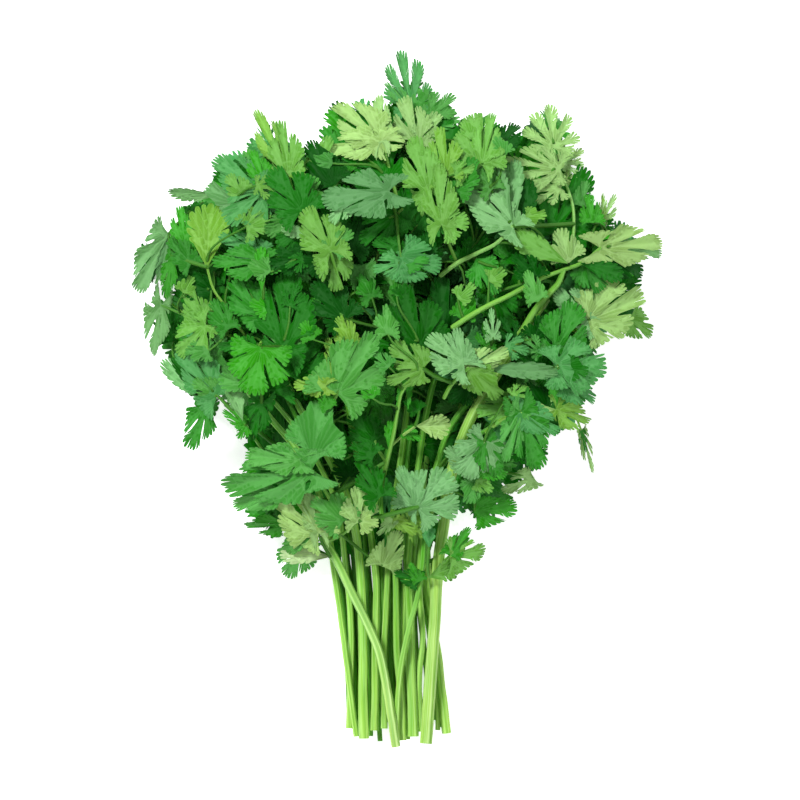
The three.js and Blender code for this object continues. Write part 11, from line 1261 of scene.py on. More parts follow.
  ("T", "s", [43.2,84.9,58.2], [8.4,3,-15.4], [0.83,0.24,0.5], 18.4, 0.07, -0.129, [38.3,91.3,70.2,40.4,86.4,65.3,43.2,84.9,58.2]),
  ("F", "m", [15.3,56.6,28.1], [6.4,5.2,-16.6], [0.59,0.67,0.44], 17.7, 0.14, 0.007, [17,52.3,40.6,16.4,55.3,35.5,15.3,56.6,28.1]),
  ("F", "m", [50,94.1,47.4], [-4.4,7.6,-10], [-0.59,0.5,0.64], 15.8, 0.07, 0.022, [61.4,74.6,58.9,58.5,76.1,60,55.9,80.2,58.3,53.5,85.5,55,51.6,90.6,51,50,94.1,47.4]),
  ("F", "k", [30.1,84.3,59.9], [4.6,6.7,-13.1], [0.52,0.67,0.53], 18, 0.05, -0.122, [19.5,87.3,67.7,23.8,84.7,63.8,30.1,84.3,59.9]),
  ("F", "m", [34.3,94.6,58.8], [13.3,6.5,-9.2], [0.55,0.04,0.83], 18, 0.13, 0.029, [19.5,87.3,67.7,21.4,88,64.1,28.2,91.5,61.3,34.3,94.6,58.8]),
  ("F", "k", [37.5,109.3,39.7], [11.6,6.8,-9], [0.44,0.35,0.83], 15.5, 0.1, -0.082, [27.4,102.5,46.1,30.6,105.9,42.7,37.5,109.3,39.7]),
  ("T", "s", [10.8,63.4,62.6], [6.6,6,-11.1], [0.73,0.31,0.6], 15.1, 0.06, 0.01, [8.7,60.5,68,10,61.9,65.5,10.8,63.4,62.6]),
  ("T", "s", [2,46,16.4], [-23.5,0.6,-9.5], [-0.38,-0.02,0.93], 26.9, 0.15, -0.128, [22.1,43.6,22.2,20,46.3,21.6,14.3,46.8,20.1,7.4,46.3,18.2,2,46,16.4]),
  ("F", "k", [27,97.6,63.9], [11.4,8.1,-9], [0.42,0.34,0.84], 19.5, 0.04, 0.038, [23.8,91,73.7,25.4,92.8,69.3,27,97.6,63.9]),
  ("T", "v", [4.6,52.1,63.5], [-2.3,9.5,-10.3], [0.28,0.74,0.61], 16.6, 0.03, 0.04, [5,59,70.6,5.7,54.9,67.2,4.6,52.1,63.5]),
  ("F", "g", [15.5,78,38.7], [15.5,11.3,4.8], [-0.17,-0.17,0.97], 18.2, 0.11, 0.002, [-8.9,59.9,22.2,-7.3,64.1,23.3,-3.8,67.5,26,0.9,70.4,29.6,6.1,73,33.4,11.2,75.5,36.7,15.5,78,38.7]),
  ("T", "b", [29.6,110.8,52.6], [7.9,-2.5,-12.4], [0.74,-0.4,0.55], 16.1, 0.16, -0.069, [9.4,115.4,54.4,11.4,112.9,55.8,17.7,111.7,56.1,24.9,111.3,55.1,29.6,110.8,52.6]),
  ("F", "g", [17.1,93.1,29.2], [-1.7,-14.8,-10.5], [0.04,-0.58,0.81], 20.9, 0.14, 0.025, [8.7,96,39.1,13.7,95.9,33.8,17.1,93.1,29.2]),
  ("T", "s", [8,67.6,62.8], [-3.2,3.8,-12.3], [-0.57,0.73,0.38], 13, 0.13, -0.105, [8.7,60.5,68,9.2,64.1,65.8,8,67.6,62.8]),
  ("T", "s", [9.9,79.1,57.7], [13.2,7.3,-9], [0.27,0.52,0.81], 17.5, 0, -0.012, [0.8,68.2,62,5.7,73.1,60.7,9.9,79.1,57.7]),
  ("T", "m", [16.1,103.4,59.2], [3.5,7.8,-9.9], [0.09,0.77,0.64], 15.3, 0.09, -0.111, [19.1,97.9,73.7,19,100.3,70.3,16.9,101.6,64.2,16.1,103.4,59.2]),
  ("T", "s", [7.4,71.8,38.6], [2.6,-16.5,-13.8], [0.54,-0.49,0.68], 20.5, 0.13, -0.01, [-0.5,83,56.4,0.1,84.3,54.7,2.7,81.3,49.4,5.7,76.3,43.2,7.4,71.8,38.6]),
  ("T", "s", [12.4,92.6,23.9], [-12.9,-7.1,-17.8], [-0.59,-0.5,0.63], 25.5, 0.13, 0.014, [8.7,96,39.1,11.2,95.8,34.3,13,94.2,28.5,12.4,92.6,23.9]),
  ("F", "k", [8.1,78.4,7], [17.4,13,2.7], [-0.31,0.22,0.92], 23.1, 0.13, -0.103, [-4.5,72,14,-1.9,75,12.1,3.4,76.5,8.6,8.1,78.4,7]),
  ("F", "s", [14,112.7,50.4], [8.1,5.2,-12.5], [0.73,0.32,0.61], 17, 0.11, -0.107, [6.6,112.5,56.3,9.2,111.7,54.5,14,112.7,50.4]),
  ("T", "b", [2,69.3,27.3], [-15.5,5.9,-8.7], [-0.5,-0.04,0.86], 20.6, 0.02, -0.107, [19.9,56.5,40.6,20.1,59.8,39.5,16.9,62.8,36.9,11.9,65.5,33.4,6.4,67.7,29.9,2,69.3,27.3]),
  ("T", "m", [2.4,84.2,49.4], [-2.2,6.2,-14], [-0,0.91,0.41], 14.8, 0.14, -0.136, [-0.5,83,56.4,0.9,84,53.8,2.4,84.2,49.4]),
  ("T", "g", [1.8,111,5], [7,-18.1,0.7], [0.1,0.07,0.99], 20.2, 0.11, 0.025, [3.9,127.4,41.8,3.4,129.6,38.5,2.7,129.9,33.4,1.9,128.7,27.4,1.1,126.3,21,0.6,122.9,14.9,0.4,119.1,9.7,0.7,115,6.2,1.8,111,5]),
  ("T", "s", [-0.1,65.4,18.2], [16.9,9.4,-3.4], [-0.01,0.37,0.93], 19.8, 0.13, -0.036, [-8.9,59.9,22.2,-5.4,63.3,20.4,-0.1,65.4,18.2]),
  ("F", "m", [1.5,123.3,36.1], [-4.9,8.6,-10], [-0.52,0.5,0.69], 14.3, 0.04, 0.037, [5,114.3,42.5,3.5,119.2,40.3,1.5,123.3,36.1]),
  ("F", "m", [-0.3,73.4,44], [-12.2,-6.6,-8.4], [-0.39,-0.36,0.85], 18.4, 0.12, -0.106, [-0.5,83,56.4,-0.2,82.7,54.1,0.8,77.5,48.4,-0.3,73.4,44]),
  ("F", "m", [-1,89.9,49], [-8.4,4.8,-14], [-0.67,0.47,0.57], 17.9, 0.06, -0.117, [-0.5,83,56.4,-0.5,87.1,53.8,-1,89.9,49]),
  ("F", "s", [-4,73.5,48.9], [4,10.9,-10.7], [0.62,0.42,0.66], 15, 0.04, 0.007, [-7.9,68.4,54.4,-6,71.1,52.6,-4,73.5,48.9]),
  ("F", "k", [-8.8,110.2,50.6], [-2.8,10.5,-11.5], [-0.36,0.64,0.68], 16.5, 0.02, -0.069, [-5.1,99.7,59.5,-7.1,105.4,56.3,-8.8,110.2,50.6]),
  ("T", "g", [-13.1,91.7,24.2], [4.8,-12.5,-14.1], [0.22,-0.69,0.69], 18.7, 0.13, -0.136, [-21.7,104.3,47.4,-23.5,102.2,45.3,-22.1,99.8,40.5,-18.8,97.2,34.5,-15.4,94.5,28.6,-13.1,91.7,24.2]),
  ("F", "s", [-18.4,106.3,55.9], [-1.8,9.1,-11.9], [-0.02,0.79,0.61], 15.9, 0.01, -0.09, [-7.9,97.3,62.2,-11,100.9,61.3,-15.7,103.8,59,-18.4,106.3,55.9]),
  ("F", "v", [-12,77.9,63.1], [-7.5,4.7,-12.3], [-0.82,0.14,0.56], 15.5, 0.07, -0.037, [-3.1,78.5,67.1,-7.8,77.3,66.1,-12,77.9,63.1]),
  ("T", "s", [-17.3,93.4,65.5], [2.5,7.6,-12.5], [0.15,0.83,0.53], 14.9, 0.16, -0.076, [-14.9,87.1,85.3,-17.7,87.2,82.6,-18.5,88.8,77,-18.1,91,70.5,-17.3,93.4,65.5]),
  ("F", "s", [-6.4,56.5,33.8], [14,-4,-20], [0.71,-0.4,0.58], 22.3, 0.11, -0.024, [-23.4,66.9,49.3,-22.7,68.2,49.3,-19.3,66.1,46.6,-14.6,62.3,42.4,-9.8,58.6,37.8,-6.4,56.5,33.8]),
  ("T", "g", [-16.3,84.9,16.1], [-13.9,-7.8,-8.5], [-0.41,-0.23,0.88], 17.6, 0.11, -0.098, [-4,87.1,14,-9.1,87.8,15.7,-16.3,84.9,16.1]),
  ("F", "s", [-17.4,87.5,76.9], [6.3,3.8,-11], [0.5,0.69,0.53], 13, 0.06, 0.017, [-23.7,83.8,84.7,-22,84.9,81.7,-17.4,87.5,76.9]),
  ("T", "s", [-8.7,62,8.5], [-2.1,18.9,-5.6], [0.16,0.3,0.94], 21.3, 0.01, 0.031, [-5,56.9,14,-6.8,59.5,11.5,-8.7,62,8.5]),
  ("F", "g", [-17.4,80,45], [-10.4,0.1,-9.7], [-0.61,0.45,0.65], 14.4, 0.09, 0.006, [-3.7,77.2,59.8,-4.4,79.4,59.1,-8.3,80.2,54.8,-13.3,80.2,49.2,-17.4,80,45]),
  ("T", "b", [-24.5,95.4,60], [-3.4,5.1,-14.6], [-0.41,0.83,0.39], 17, 0.13, -0.042, [-28.7,90.9,68.8,-26.5,93.5,66.1,-24.5,95.4,60]),
  ("F", "s", [-32.5,92.2,58.3], [-6.3,8.8,-8.1], [-0.48,0.38,0.79], 16.1, 0.12, -0.081, [-27.3,82.8,60.8,-29.6,87.7,60.9,-32.5,92.2,58.3]),
  ("F", "g", [-24.1,74.3,12.4], [-13.2,-10.1,-10.4], [-0.47,-0.26,0.84], 21.7, 0.04, -0.023, [-4.2,82.1,14,-6.6,83.7,14.2,-12.6,81.4,14.3,-19.3,77.5,13.9,-24.1,74.3,12.4]),
  ("T", "s", [-29.5,80.7,28.7], [18.3,10.6,-3.1], [-0.06,0.37,0.93], 21.4, 0.03, -0.083, [-39.1,68.5,52.9,-39.7,72,51.4,-38.7,74.6,45.7,-36.4,76.7,38.4,-33.2,78.6,31.9,-29.5,80.7,28.7]),
 ]),
 ("inner_leaves_05", "leaf_dark", [
  ("F", "v", [-40.5,89.4,54.8], [-6.7,8.4,-9.9], [-0.12,0.72,0.69], 14.6, 0.14, 0.035, [-27.3,82.8,60.8,-30.6,85.4,61.1,-36.3,87.4,58.2,-40.5,89.4,54.8]),
  ("T", "b", [-56.1,106.9,50.2], [-1.9,10.3,-9.5], [0.04,0.68,0.73], 15.5, 0.16, -0.027, [-53.1,91.9,48.4,-52.2,96,49.7,-54.3,102.1,51.1,-56.1,106.9,50.2]),
  ("T", "m", [-57.5,106,56.2], [6.9,0.3,-11.1], [0.8,-0.36,0.49], 13.9, 0.01, 0.001, [-58,92.7,68.4,-60.4,95.9,65.4,-59.8,102.4,60.8,-57.5,106,56.2]),
  ("T", "g", [-9.5,49.7,9], [-11.5,21,4.8], [-0.05,-0.25,0.97], 26, 0.09, -0.048, [-5.5,41.8,14,-7,45.9,11.3,-9.5,49.7,9]),
  ("T", "k", [-22.8,64.5,20.4], [-14.4,-12.9,-7.3], [-0.23,-0.26,0.94], 21.8, 0.01, -0.076, [-8.9,59.9,22.2,-14.7,64.6,21.8,-22.8,64.5,20.4]),
  ("T", "s", [-47.8,91.5,60], [-4.9,14.4,-7.5], [-0.27,0.37,0.89], 16.9, 0.02, -0.017, [-45.9,87.3,64,-46.8,89.4,62.6,-47.8,91.5,60]),
  ("T", "g", [-38.8,81.6,50.6], [-6.7,6.3,-12.8], [-0.26,0.8,0.53], 16, 0.05, -0.137, [-42.6,77.9,57.7,-40.6,80.1,55.2,-38.8,81.6,50.6]),
  ("T", "m", [-53.8,94,52.4], [-6.1,9.5,-12.1], [-0.12,0.75,0.65], 19.7, 0.08, -0.127, [-45.9,87.3,64,-48.1,90,62.7,-51.3,92,57.3,-53.8,94,52.4]),
  ("F", "k", [-31.6,69.2,41.7], [-15.4,0.2,-9.3], [-0.48,0.33,0.81], 20.4, 0, -0.122, [-23.4,66.9,49.3,-26.9,69,46.6,-31.6,69.2,41.7]),
  ("F", "b", [-54.1,88.4,60.2], [-9.1,-3.3,-14], [-0.85,0.08,0.53], 18.4, 0.15, -0.09, [-45.9,87.3,64,-49.8,88.8,63.3,-54.1,88.4,60.2]),
  ("T", "k", [-67.2,96.2,48.1], [-2.1,8.4,-10.8], [-0.35,0.7,0.62], 13.7, 0.04, -0.081, [-61.7,90.9,64.7,-64.5,91.6,59.7,-66.2,93.5,53.3,-67.2,96.2,48.1]),
  ("F", "v", [-45.3,76.3,40.3], [-10.7,-13.5,-17.3], [-0.24,-0.69,0.69], 22.6, 0.13, -0.118, [-42.6,77.9,57.7,-43.5,79.8,54.8,-44,78.8,46.7,-45.3,76.3,40.3]),
  ("T", "v", [-41.5,72.5,48.2], [-7.9,6.9,-7.8], [-0.15,0.66,0.73], 14, 0.05, -0.088, [-39.1,68.5,52.9,-40.1,70.7,51.2,-41.5,72.5,48.2]),
  ("T", "v", [-28.3,61.9,36.7], [-2.7,-21.1,-11.3], [0.34,-0.48,0.81], 24.1, 0.13, -0.091, [-23.4,66.9,49.3,-26.1,66.9,44.3,-28.3,61.9,36.7]),
  ("T", "s", [-62.3,88.9,58], [-5.8,9,-9.7], [-0.19,0.66,0.73], 14.2, 0.02, -0.132, [-65.1,86,65,-64.1,86.5,62,-62.3,88.9,58]),
  ("T", "s", [-13,49,60.4], [-0.8,7.4,-14], [0.1,0.88,0.46], 15.6, 0.16, -0.094, [-24.1,43,64.3,-18.8,46.5,64.2,-13,49,60.4]),
  ("F", "s", [-44.5,72.5,21.4], [0.2,-21.4,-12.4], [-0.27,-0.48,0.83], 25.8, 0.08, -0.087, [-53.4,93.3,43.5,-52.8,93.8,39.7,-51.2,91.4,35.5,-49.1,87.3,31.3,-46.9,82.1,27.4,-45.2,76.9,24,-44.5,72.5,21.4]),
  ("T", "g", [-67.5,89.1,52.5], [-13.8,-5,-8.5], [-0.57,0.28,0.77], 19.2, 0.07, -0.107, [-61.7,90.9,64.7,-64.5,90.4,58.3,-67.5,89.1,52.5]),
  ("F", "m", [-40.2,59.7,68.1], [-9.8,-5.1,-14.5], [-0.73,-0.31,0.6], 17.8, 0.14, 0.013, [-36.1,58.4,75.8,-38.4,58.9,72.5,-40.2,59.7,68.1]),
  ("F", "s", [-73.5,75.8,9.9], [17.4,-11.1,-4.5], [0.11,-0.22,0.97], 19.3, 0.05, -0.097, [-91.4,80.3,34.3,-88.4,82.1,32,-85.6,82.4,27.6,-82.7,81.6,22.1,-79.8,80,16.6,-76.7,78,12.2,-73.5,75.8,9.9]),
  ("F", "m", [-43,60.6,18.1], [2.2,24,-1.5], [0.09,0.06,0.99], 26, 0.07, -0, [-38.8,38.2,32.7,-42,40,31.4,-43.6,44.2,27.9,-43.9,49.7,23.6,-43.5,55.6,19.8,-43,60.6,18.1]),
  ("T", "m", [-72.8,75,42.9], [-11.3,7.1,-8.7], [-0.56,0.11,0.82], 18.2, 0.12, -0.036, [-53.6,69.3,50.7,-57,71.8,51,-62.5,72.9,48.9,-68.4,73.7,45.8,-72.8,75,42.9]),
  ("F", "m", [-33.3,55.5,65.3], [6.1,-0.3,-11.5], [0.83,-0.32,0.45], 14, 0.05, -0.053, [-36.1,58.4,75.8,-36.2,56.4,71.3,-33.3,55.5,65.3]),
  ("F", "b", [-34.6,56,9], [18.2,-15.6,-4.3], [0.24,0.01,0.97], 25.7, 0.02, -0.109, [-72,53.3,14,-71.8,56.6,13.8,-67.9,58.9,13.3,-61.6,60.2,12.6,-53.9,60.5,11.7,-46.1,59.9,10.8,-39.3,58.4,9.8,-34.6,56,9]),
  ("F", "s", [-68.3,70.3,52.4], [-8.8,9.3,-12.1], [-0.52,0.45,0.72], 19.8, 0.16, -0.136, [-61.6,63.4,65.7,-63.7,66,61.7,-66,68.1,56.6,-68.3,70.3,52.4]),
  ("F", "m", [-59.2,61.3,15.8], [6.8,21.6,4.2], [-0.21,-0.12,0.97], 22.3, 0.14, -0.019, [-69.8,48.8,14,-68.2,52.9,14.3,-63,57.1,15,-59.2,61.3,15.8]),
  ("T", "s", [-77.5,67,43.9], [-4.1,6.2,-15], [-0.23,0.88,0.43], 18.1, 0.13, -0.066, [-83.3,59.4,54.8,-80.1,64.1,50.7,-77.5,67,43.9]),
  ("F", "k", [-53.2,57.7,30.4], [-22,-3.8,-9.7], [-0.34,-0.3,0.89], 27.1, 0.05, -0.132, [-35.6,59.1,49.8,-39.1,57.6,48.2,-42.5,57.3,43.9,-46,57.6,38.5,-49.5,57.9,33.5,-53.2,57.7,30.4]),
  ("F", "v", [-40.7,53,58.3], [-7.6,0.5,-12.9], [-0.82,-0.33,0.47], 14.7, 0.05, -0.043, [-26.9,52.8,72.1,-30.4,54.6,71,-36.2,53.8,64.6,-40.7,53,58.3]),
  ("T", "v", [-35.4,51.1,37.1], [-6,12,-11.8], [-0.48,0.48,0.73], 17.9, 0.01, -0.125, [-26.1,38.4,38.8,-28.3,43,39,-32.4,47.5,38.8,-35.4,51.1,37.1]),
  ("F", "s", [-88.3,67,38.5], [-11.3,-3.4,-9.9], [-0.57,-0.32,0.76], 15.2, 0.08, -0.066, [-83.3,59.4,54.8,-83.8,63.8,51.3,-85.4,66.6,44.2,-88.3,67,38.5]),
  ("F", "s", [-75.3,62,6.2], [21.3,-11.6,4.5], [-0.29,-0.17,0.94], 28.2, 0.16, -0.105, [-74.3,57.8,14,-76,61.1,9.9,-75.3,62,6.2]),
  ("F", "v", [-69.4,59,50.3], [-7,10.5,-6.9], [-0.26,0.4,0.88], 14.6, 0.14, -0.083, [-58.9,49.2,65.1,-60.1,52.3,64.1,-63.1,54.5,59.6,-66.6,56.5,54,-69.4,59,50.3]),
  ("F", "s", [-72.2,59.6,43.1], [4,-11.1,-7.1], [0.06,-0.52,0.85], 15.6, 0.01, -0.129, [-83.3,59.4,54.8,-80.7,62.1,52.3,-75.7,62.1,47.2,-72.2,59.6,43.1]),
  ("T", "g", [-63.2,55.4,57.5], [-4.4,9.4,-8.6], [0.18,0.71,0.68], 13.4, 0.11, -0.035, [-58.9,49.2,65.1,-60.7,52.5,62.5,-63.2,55.4,57.5]),
  ("F", "m", [-96.9,61.9,30.2], [-2.8,8.2,-9.7], [-0.46,0.61,0.65], 13.4, 0.06, -0.135, [-100.5,54,32.9,-98.4,58.1,32.8,-96.9,61.9,30.2]),
  ("F", "k", [-33.2,47.2,29.8], [-13.2,3.3,-14.3], [-0.74,-0.24,0.63], 19.4, 0.13, 0.032, [-26.1,38.4,38.8,-28.8,44,35.4,-33.2,47.2,29.8]),
  ("T", "k", [-27.4,45.9,59.3], [-2.4,6.1,-14.6], [0.02,0.92,0.38], 16, 0.09, -0.133, [-24.1,43,64.3,-25.8,44.7,62.7,-27.4,45.9,59.3]),
  ("F", "v", [-80.4,57.4,42.9], [-13,5.4,-11.2], [-0.66,-0.04,0.75], 18.7, 0.02, -0.138, [-80.6,47.6,50.2,-80.3,53.1,47.6,-80.4,57.4,42.9]),
  ("F", "s", [-72.7,52.7,43], [-12.1,3.5,-7.5], [-0.5,0.12,0.86], 14.6, 0.1, 0.005, [-60.3,37.4,58.6,-62.1,41,58.5,-64.2,44.7,55.4,-66.7,48.2,50.9,-69.5,51,46.3,-72.7,52.7,43]),
  ("F", "s", [-85.1,52.6,35.9], [-3.2,4.6,-12.9], [-0.82,0.44,0.36], 15, 0.06, -0.085, [-82.8,47.1,45.4,-83.8,50.6,41.8,-85.1,52.6,35.9]),
  ("T", "s", [-52.6,46.6,47.8], [-10.5,4,-10.4], [-0.57,0.38,0.73], 17.8, 0.1, -0.09, [-58.5,33.5,56.4,-56.3,37.8,56.4,-52.8,43.3,52.2,-52.6,46.6,47.8]),
  ("T", "k", [-60.6,45.3,47.9], [-7.6,-2.7,-16.2], [-0.62,-0.67,0.41], 17.7, 0.13, -0.052, [-58.9,49.2,65.1,-58.9,50.3,62.5,-59.2,47.6,54.7,-60.6,45.3,47.9]),
  ("T", "s", [-69.1,42.2,17.1], [18.3,1.8,-4.8], [0.26,-0.08,0.96], 17.2, 0.1, 0.03, [-85.5,37.6,31.2,-84.6,40.1,27.9,-80.2,41.4,23.5,-74.4,41.9,19.5,-69.1,42.2,17.1]),
  ("T", "b", [-48.5,40.5,30.9], [-10.6,13.3,-7.2], [-0.07,0.43,0.9], 17.2, 0.02, 0.02, [-38.8,38.2,32.7,-44.1,38.7,32.2,-48.5,40.5,30.9]),
 ]),
 ("upper_leaves_01", "leaf_mid", [
  ("D", "s", [-47.5,39.8,67.9], [3,9.6,0.1], [-0.25,0.07,0.96], 11.1, 0.19, -0.032, [-50.1,25.4,66,-48.2,31.8,66,-47.5,39.8,67.9]),
  ("F", "v", [-56.2,38.7,62.5], [-9,3,0.2], [0.09,0.21,0.97], 10.2, 0.17, -0.021, [-50.1,25.4,66,-49.6,29.3,64,-52.3,35.1,62.8,-56.2,38.7,62.5]),
  ("F", "m", [-82.4,21,48.9], [-11.2,0.2,-3.7], [-0.29,0.35,0.89], 11.8, 0.07, -0.068, [-74.4,29.2,50.3,-77.1,25.3,51.1,-82.4,21,48.9]),
  ("F", "v", [-37.3,25.5,69.3], [-4.9,7.9,0.1], [-0.23,-0.15,0.96], 10.9, 0.15, 0.018, [-25,20.6,71.6,-30.3,23.2,70.2,-37.3,25.5,69.3]),
  ("T", "m", [-79.9,2.7,44], [-9.6,5.1,1.4], [-0.09,-0.43,0.9], 12.8, 0.07, -0.114, [-71.6,-5.6,42.7,-75.3,-1.5,44.1,-79.9,2.7,44]),
  ("F", "m", [-5.6,27.9,73.3], [-0.9,12.3,-4.4], [0.14,0.34,0.93], 12, 0.16, 0.039, [7.3,12.4,71,6.6,15.8,72.4,2.1,19.8,73.5,-3,23.9,73.9,-5.6,27.9,73.3]),
 ]),
 ("upper_leaves_02", "leaf_mid", [
  ("T", "v", [-11.8,0.2,73.7], [-3.9,8.1,-1.4], [0.06,0.2,0.98], 8.3, 0.15, -0.096, [-1.2,-4.5,62.6,-3.2,-2.5,66.5,-8.1,-1.9,71.5,-11.8,0.2,73.7]),
  ("T", "m", [-4.9,13.7,74.5], [-6.5,6.6,0.1], [-0.07,-0.08,0.99], 8.8, 0.07, 0.007, [1,3.9,67,-0.7,9,71.4,-4.9,13.7,74.5]),
  ("D", "h", [47.8,1.7,62.5], [7.5,4.6,-2.1], [-0.05,0.48,0.88], 8.9, 0.06, -0.121, [35.9,-17.9,61.4,37.2,-14.1,64,40.1,-8.2,64.5,43.8,-2.2,63.7,47.8,1.7,62.5]),
  ("F", "s", [70.5,13.6,64.8], [10.2,-1.5,-0.8], [0.09,0.12,0.99], 12.2, 0.08, 0.026, [67,13.1,68.8,68.3,13.7,67.3,70.5,13.6,64.8]),
  ("T", "h", [24.4,43,64.9], [7.2,6.5,1.7], [-0.27,0.04,0.96], 9.5, 0.08, -0.048, [26.5,35.5,64.3,25.2,39.4,64.7,24.4,43,64.9]),
  ("F", "h", [37.7,50.6,62.5], [7.1,5.3,-1.8], [0.15,0.14,0.98], 10.2, 0.14, -0.098, [37.4,40.2,65.1,37.6,45.3,64,37.7,50.6,62.5]),
  ("F", "h", [53,78.2,67.5], [9.7,1.1,0.1], [0.02,-0.26,0.97], 9.4, 0.2, 0.03, [46.2,75.8,70.9,48.2,77.5,69.2,53,78.2,67.5]),
 ]),
 ("upper_leaves_03", "leaf_mid", [
  ("F", "m", [44.4,104.1,67.4], [-3.5,9,-0.7], [-0,0.08,1], 10.2, 0.11, -0.109, [38.3,91.3,70.2,42.2,94.9,68.7,44.4,104.1,67.4]),
  ("F", "h", [30.7,111.5,60.9], [-4,8.2,-2.3], [-0.21,0.17,0.96], 9, 0.19, -0.061, [39.2,105,62.5,35.8,107.7,61.1,30.7,111.5,60.9]),
  ("T", "h", [22.8,96.4,76.2], [9.6,2.7,-2.9], [0.33,-0.2,0.92], 11.6, 0.07, 0.025, [16,93.2,74.7,19.2,95.1,75.6,22.8,96.4,76.2]),
  ("T", "g", [1.7,58.4,74.8], [10.6,2.6,-2.4], [0.15,0.25,0.96], 10.2, 0.1, -0.063, [-0.9,58.6,73.8,0.1,58.2,74.2,1.7,58.4,74.8]),
  ("F", "g", [-1.8,44,76.6], [1.3,8.6,-2.2], [0.36,0.18,0.92], 8.8, 0.16, -0.075, [7.4,25.1,68.1,5.4,29.7,69.2,2.1,34.6,72.5,-0.8,39.4,75.7,-1.8,44,76.6]),
  ("F", "m", [-29,101.2,67.5], [-9.3,2.5,-2.9], [-0.34,-0.23,0.91], 9.3, 0.12, -0.097, [-7.9,97.3,62.2,-11.1,100.1,63.3,-17,100.9,65.5,-23.6,100.8,67.4,-29,101.2,67.5]),
 ]),
 ("upper_leaves_04", "leaf_mid", [
  ("D", "h", [-62.1,91.6,74.8], [9.6,-1.2,-0.6], [0.09,0.23,0.97], 11, 0.13, -0.002, [-70.8,84.5,64.1,-71.2,85.9,66.6,-67,89.7,72,-62.1,91.6,74.8]),
  ("T", "h", [-67.9,87.9,69.2], [-6.7,8.4,-0.2], [-0.19,-0.13,0.97], 12.1, 0.08, -0.115, [-65.1,86,65,-66.6,86.3,67.1,-67.9,87.9,69.2]),
  ("F", "h", [-66.4,73.9,71.1], [10.3,5.7,0.8], [-0.03,-0.09,1], 13.3, 0.05, -0.124, [-83.3,59.4,54.8,-82.2,63.4,56.5,-79.2,66.7,60.5,-75.1,69.4,65.2,-70.6,71.7,69.2,-66.4,73.9,71.1]),
  ("D", "s", [-41.7,60.1,75], [-8,-3.2,1.3], [0.02,0.33,0.94], 10.2, 0.16, -0.076, [-36.1,58.4,75.8,-38.9,59.2,75.2,-41.7,60.1,75]),
  ("F", "g", [-12.4,43.7,65.3], [-5.1,10.2,1.8], [0.35,0.01,0.94], 11, 0.17, -0.096, [-11.2,31.3,61.9,-10.2,36.1,62.7,-12.4,43.7,65.3]),
  ("F", "m", [-55.5,54.7,72.6], [-9.7,3.9,2.4], [0.19,-0.12,0.97], 11, 0.18, 0.025, [-44.8,60.4,74.3,-50.3,57.3,73,-55.5,54.7,72.6]),
  ("F", "h", [-93.6,45.6,45.7], [4.3,7.3,0.8], [0.18,-0.21,0.96], 10, 0.09, -0.063, [-95,37.1,34.2,-96.1,40.6,38.9,-93.6,45.6,45.7]),
 ]),
]

# Lower stems, in the shade under the named ones, their darker colours painted shade: radius, two colours, points.
DEEP_STEMS = [
 (1.5, (100, 176, 36), (48, 118, 18), [-22,-137.9,2.2,-22.4,-125.3,2.5,-23,-112.8,2.9,-23.8,-100.2,3.2,-24.9,-87.7,3.5,-26.2,-75.2,3.9,-27.7,-62.6,4.2]),
 (1.7, (100, 176, 36), (48, 118, 18), [-3.6,-136.2,2.4,-4.2,-116.4,3,-4.7,-96.6,3.5,-5.1,-76.8,4,-5.4,-57,4.6,-5.7,-37.3,5.1,-5.9,-17.5,5.6]),
 (1.9, (100, 176, 36), (48, 118, 18), [-20.1,-138.7,2.5,-20.3,-125,2.8,-20.8,-111.2,3.2,-21.4,-97.5,3.6,-22.3,-83.7,3.9,-23.5,-69.9,4.3,-24.8,-56.2,4.7]),
 (2, (100, 176, 36), (48, 118, 18), [-15.8,-141.3,2.5,-16.2,-127.1,2.9,-16.7,-112.9,3.2,-17.5,-98.7,3.6,-18.5,-84.6,4,-19.8,-70.4,4.4,-21.3,-56.2,4.8]),
 (1.9, (100, 176, 36), (48, 118, 18), [-11.5,-137,2.5,-11.8,-123.5,2.9,-12.2,-110.1,3.2,-12.9,-96.6,3.6,-13.8,-83.1,4,-14.9,-69.6,4.3,-16.2,-56.2,4.7]),
 (2, (100, 176, 36), (48, 118, 18), [-7.1,-139.6,2.5,-7.9,-125,2.9,-8.7,-110.4,3.3,-9.5,-95.7,3.7,-10.2,-81.1,4.1,-10.9,-66.5,4.5,-11.5,-51.9,4.9]),
 (1.8, (100, 176, 36), (48, 118, 18), [-6.3,-134.4,2.5,-6.4,-114.9,3,-6.9,-95.4,3.5,-7.6,-76,4,-8.6,-56.5,4.6,-10,-37,5.1,-11.7,-17.5,5.6]),
 (2, (100, 176, 36), (48, 118, 18), [1.1,-140.5,2.5,-0.2,-120,3.1,-1.1,-99.5,3.6,-1.8,-79,4.2,-2,-58.5,4.7,-2,-38,5.3,-1.6,-17.5,5.8]),
 (2, (100, 176, 36), (48, 118, 18), [4.7,-137.9,2.6,4.1,-117.8,3.1,3.5,-97.7,3.7,2.8,-77.7,4.2,2.1,-57.6,4.7,1.2,-37.5,5.3,0.3,-17.5,5.8]),
 (1.8, (100, 176, 36), (48, 118, 18), [8.7,-140.5,2.3,7.4,-125.7,2.7,6.4,-110.9,3.1,5.6,-96.2,3.5,5.1,-81.4,3.9,4.8,-66.6,4.3,4.8,-51.9,4.7]),
 (1.9, (100, 176, 36), (48, 118, 18), [14,-138.7,2.5,13.7,-127.1,2.8,13.4,-115.5,3.1,13.4,-103.9,3.4,13.5,-92.3,3.7,13.8,-80.7,4,14.2,-69.1,4.3]),
]

WORLD, KEY, FILL = 0.43, 3.55, 0.6


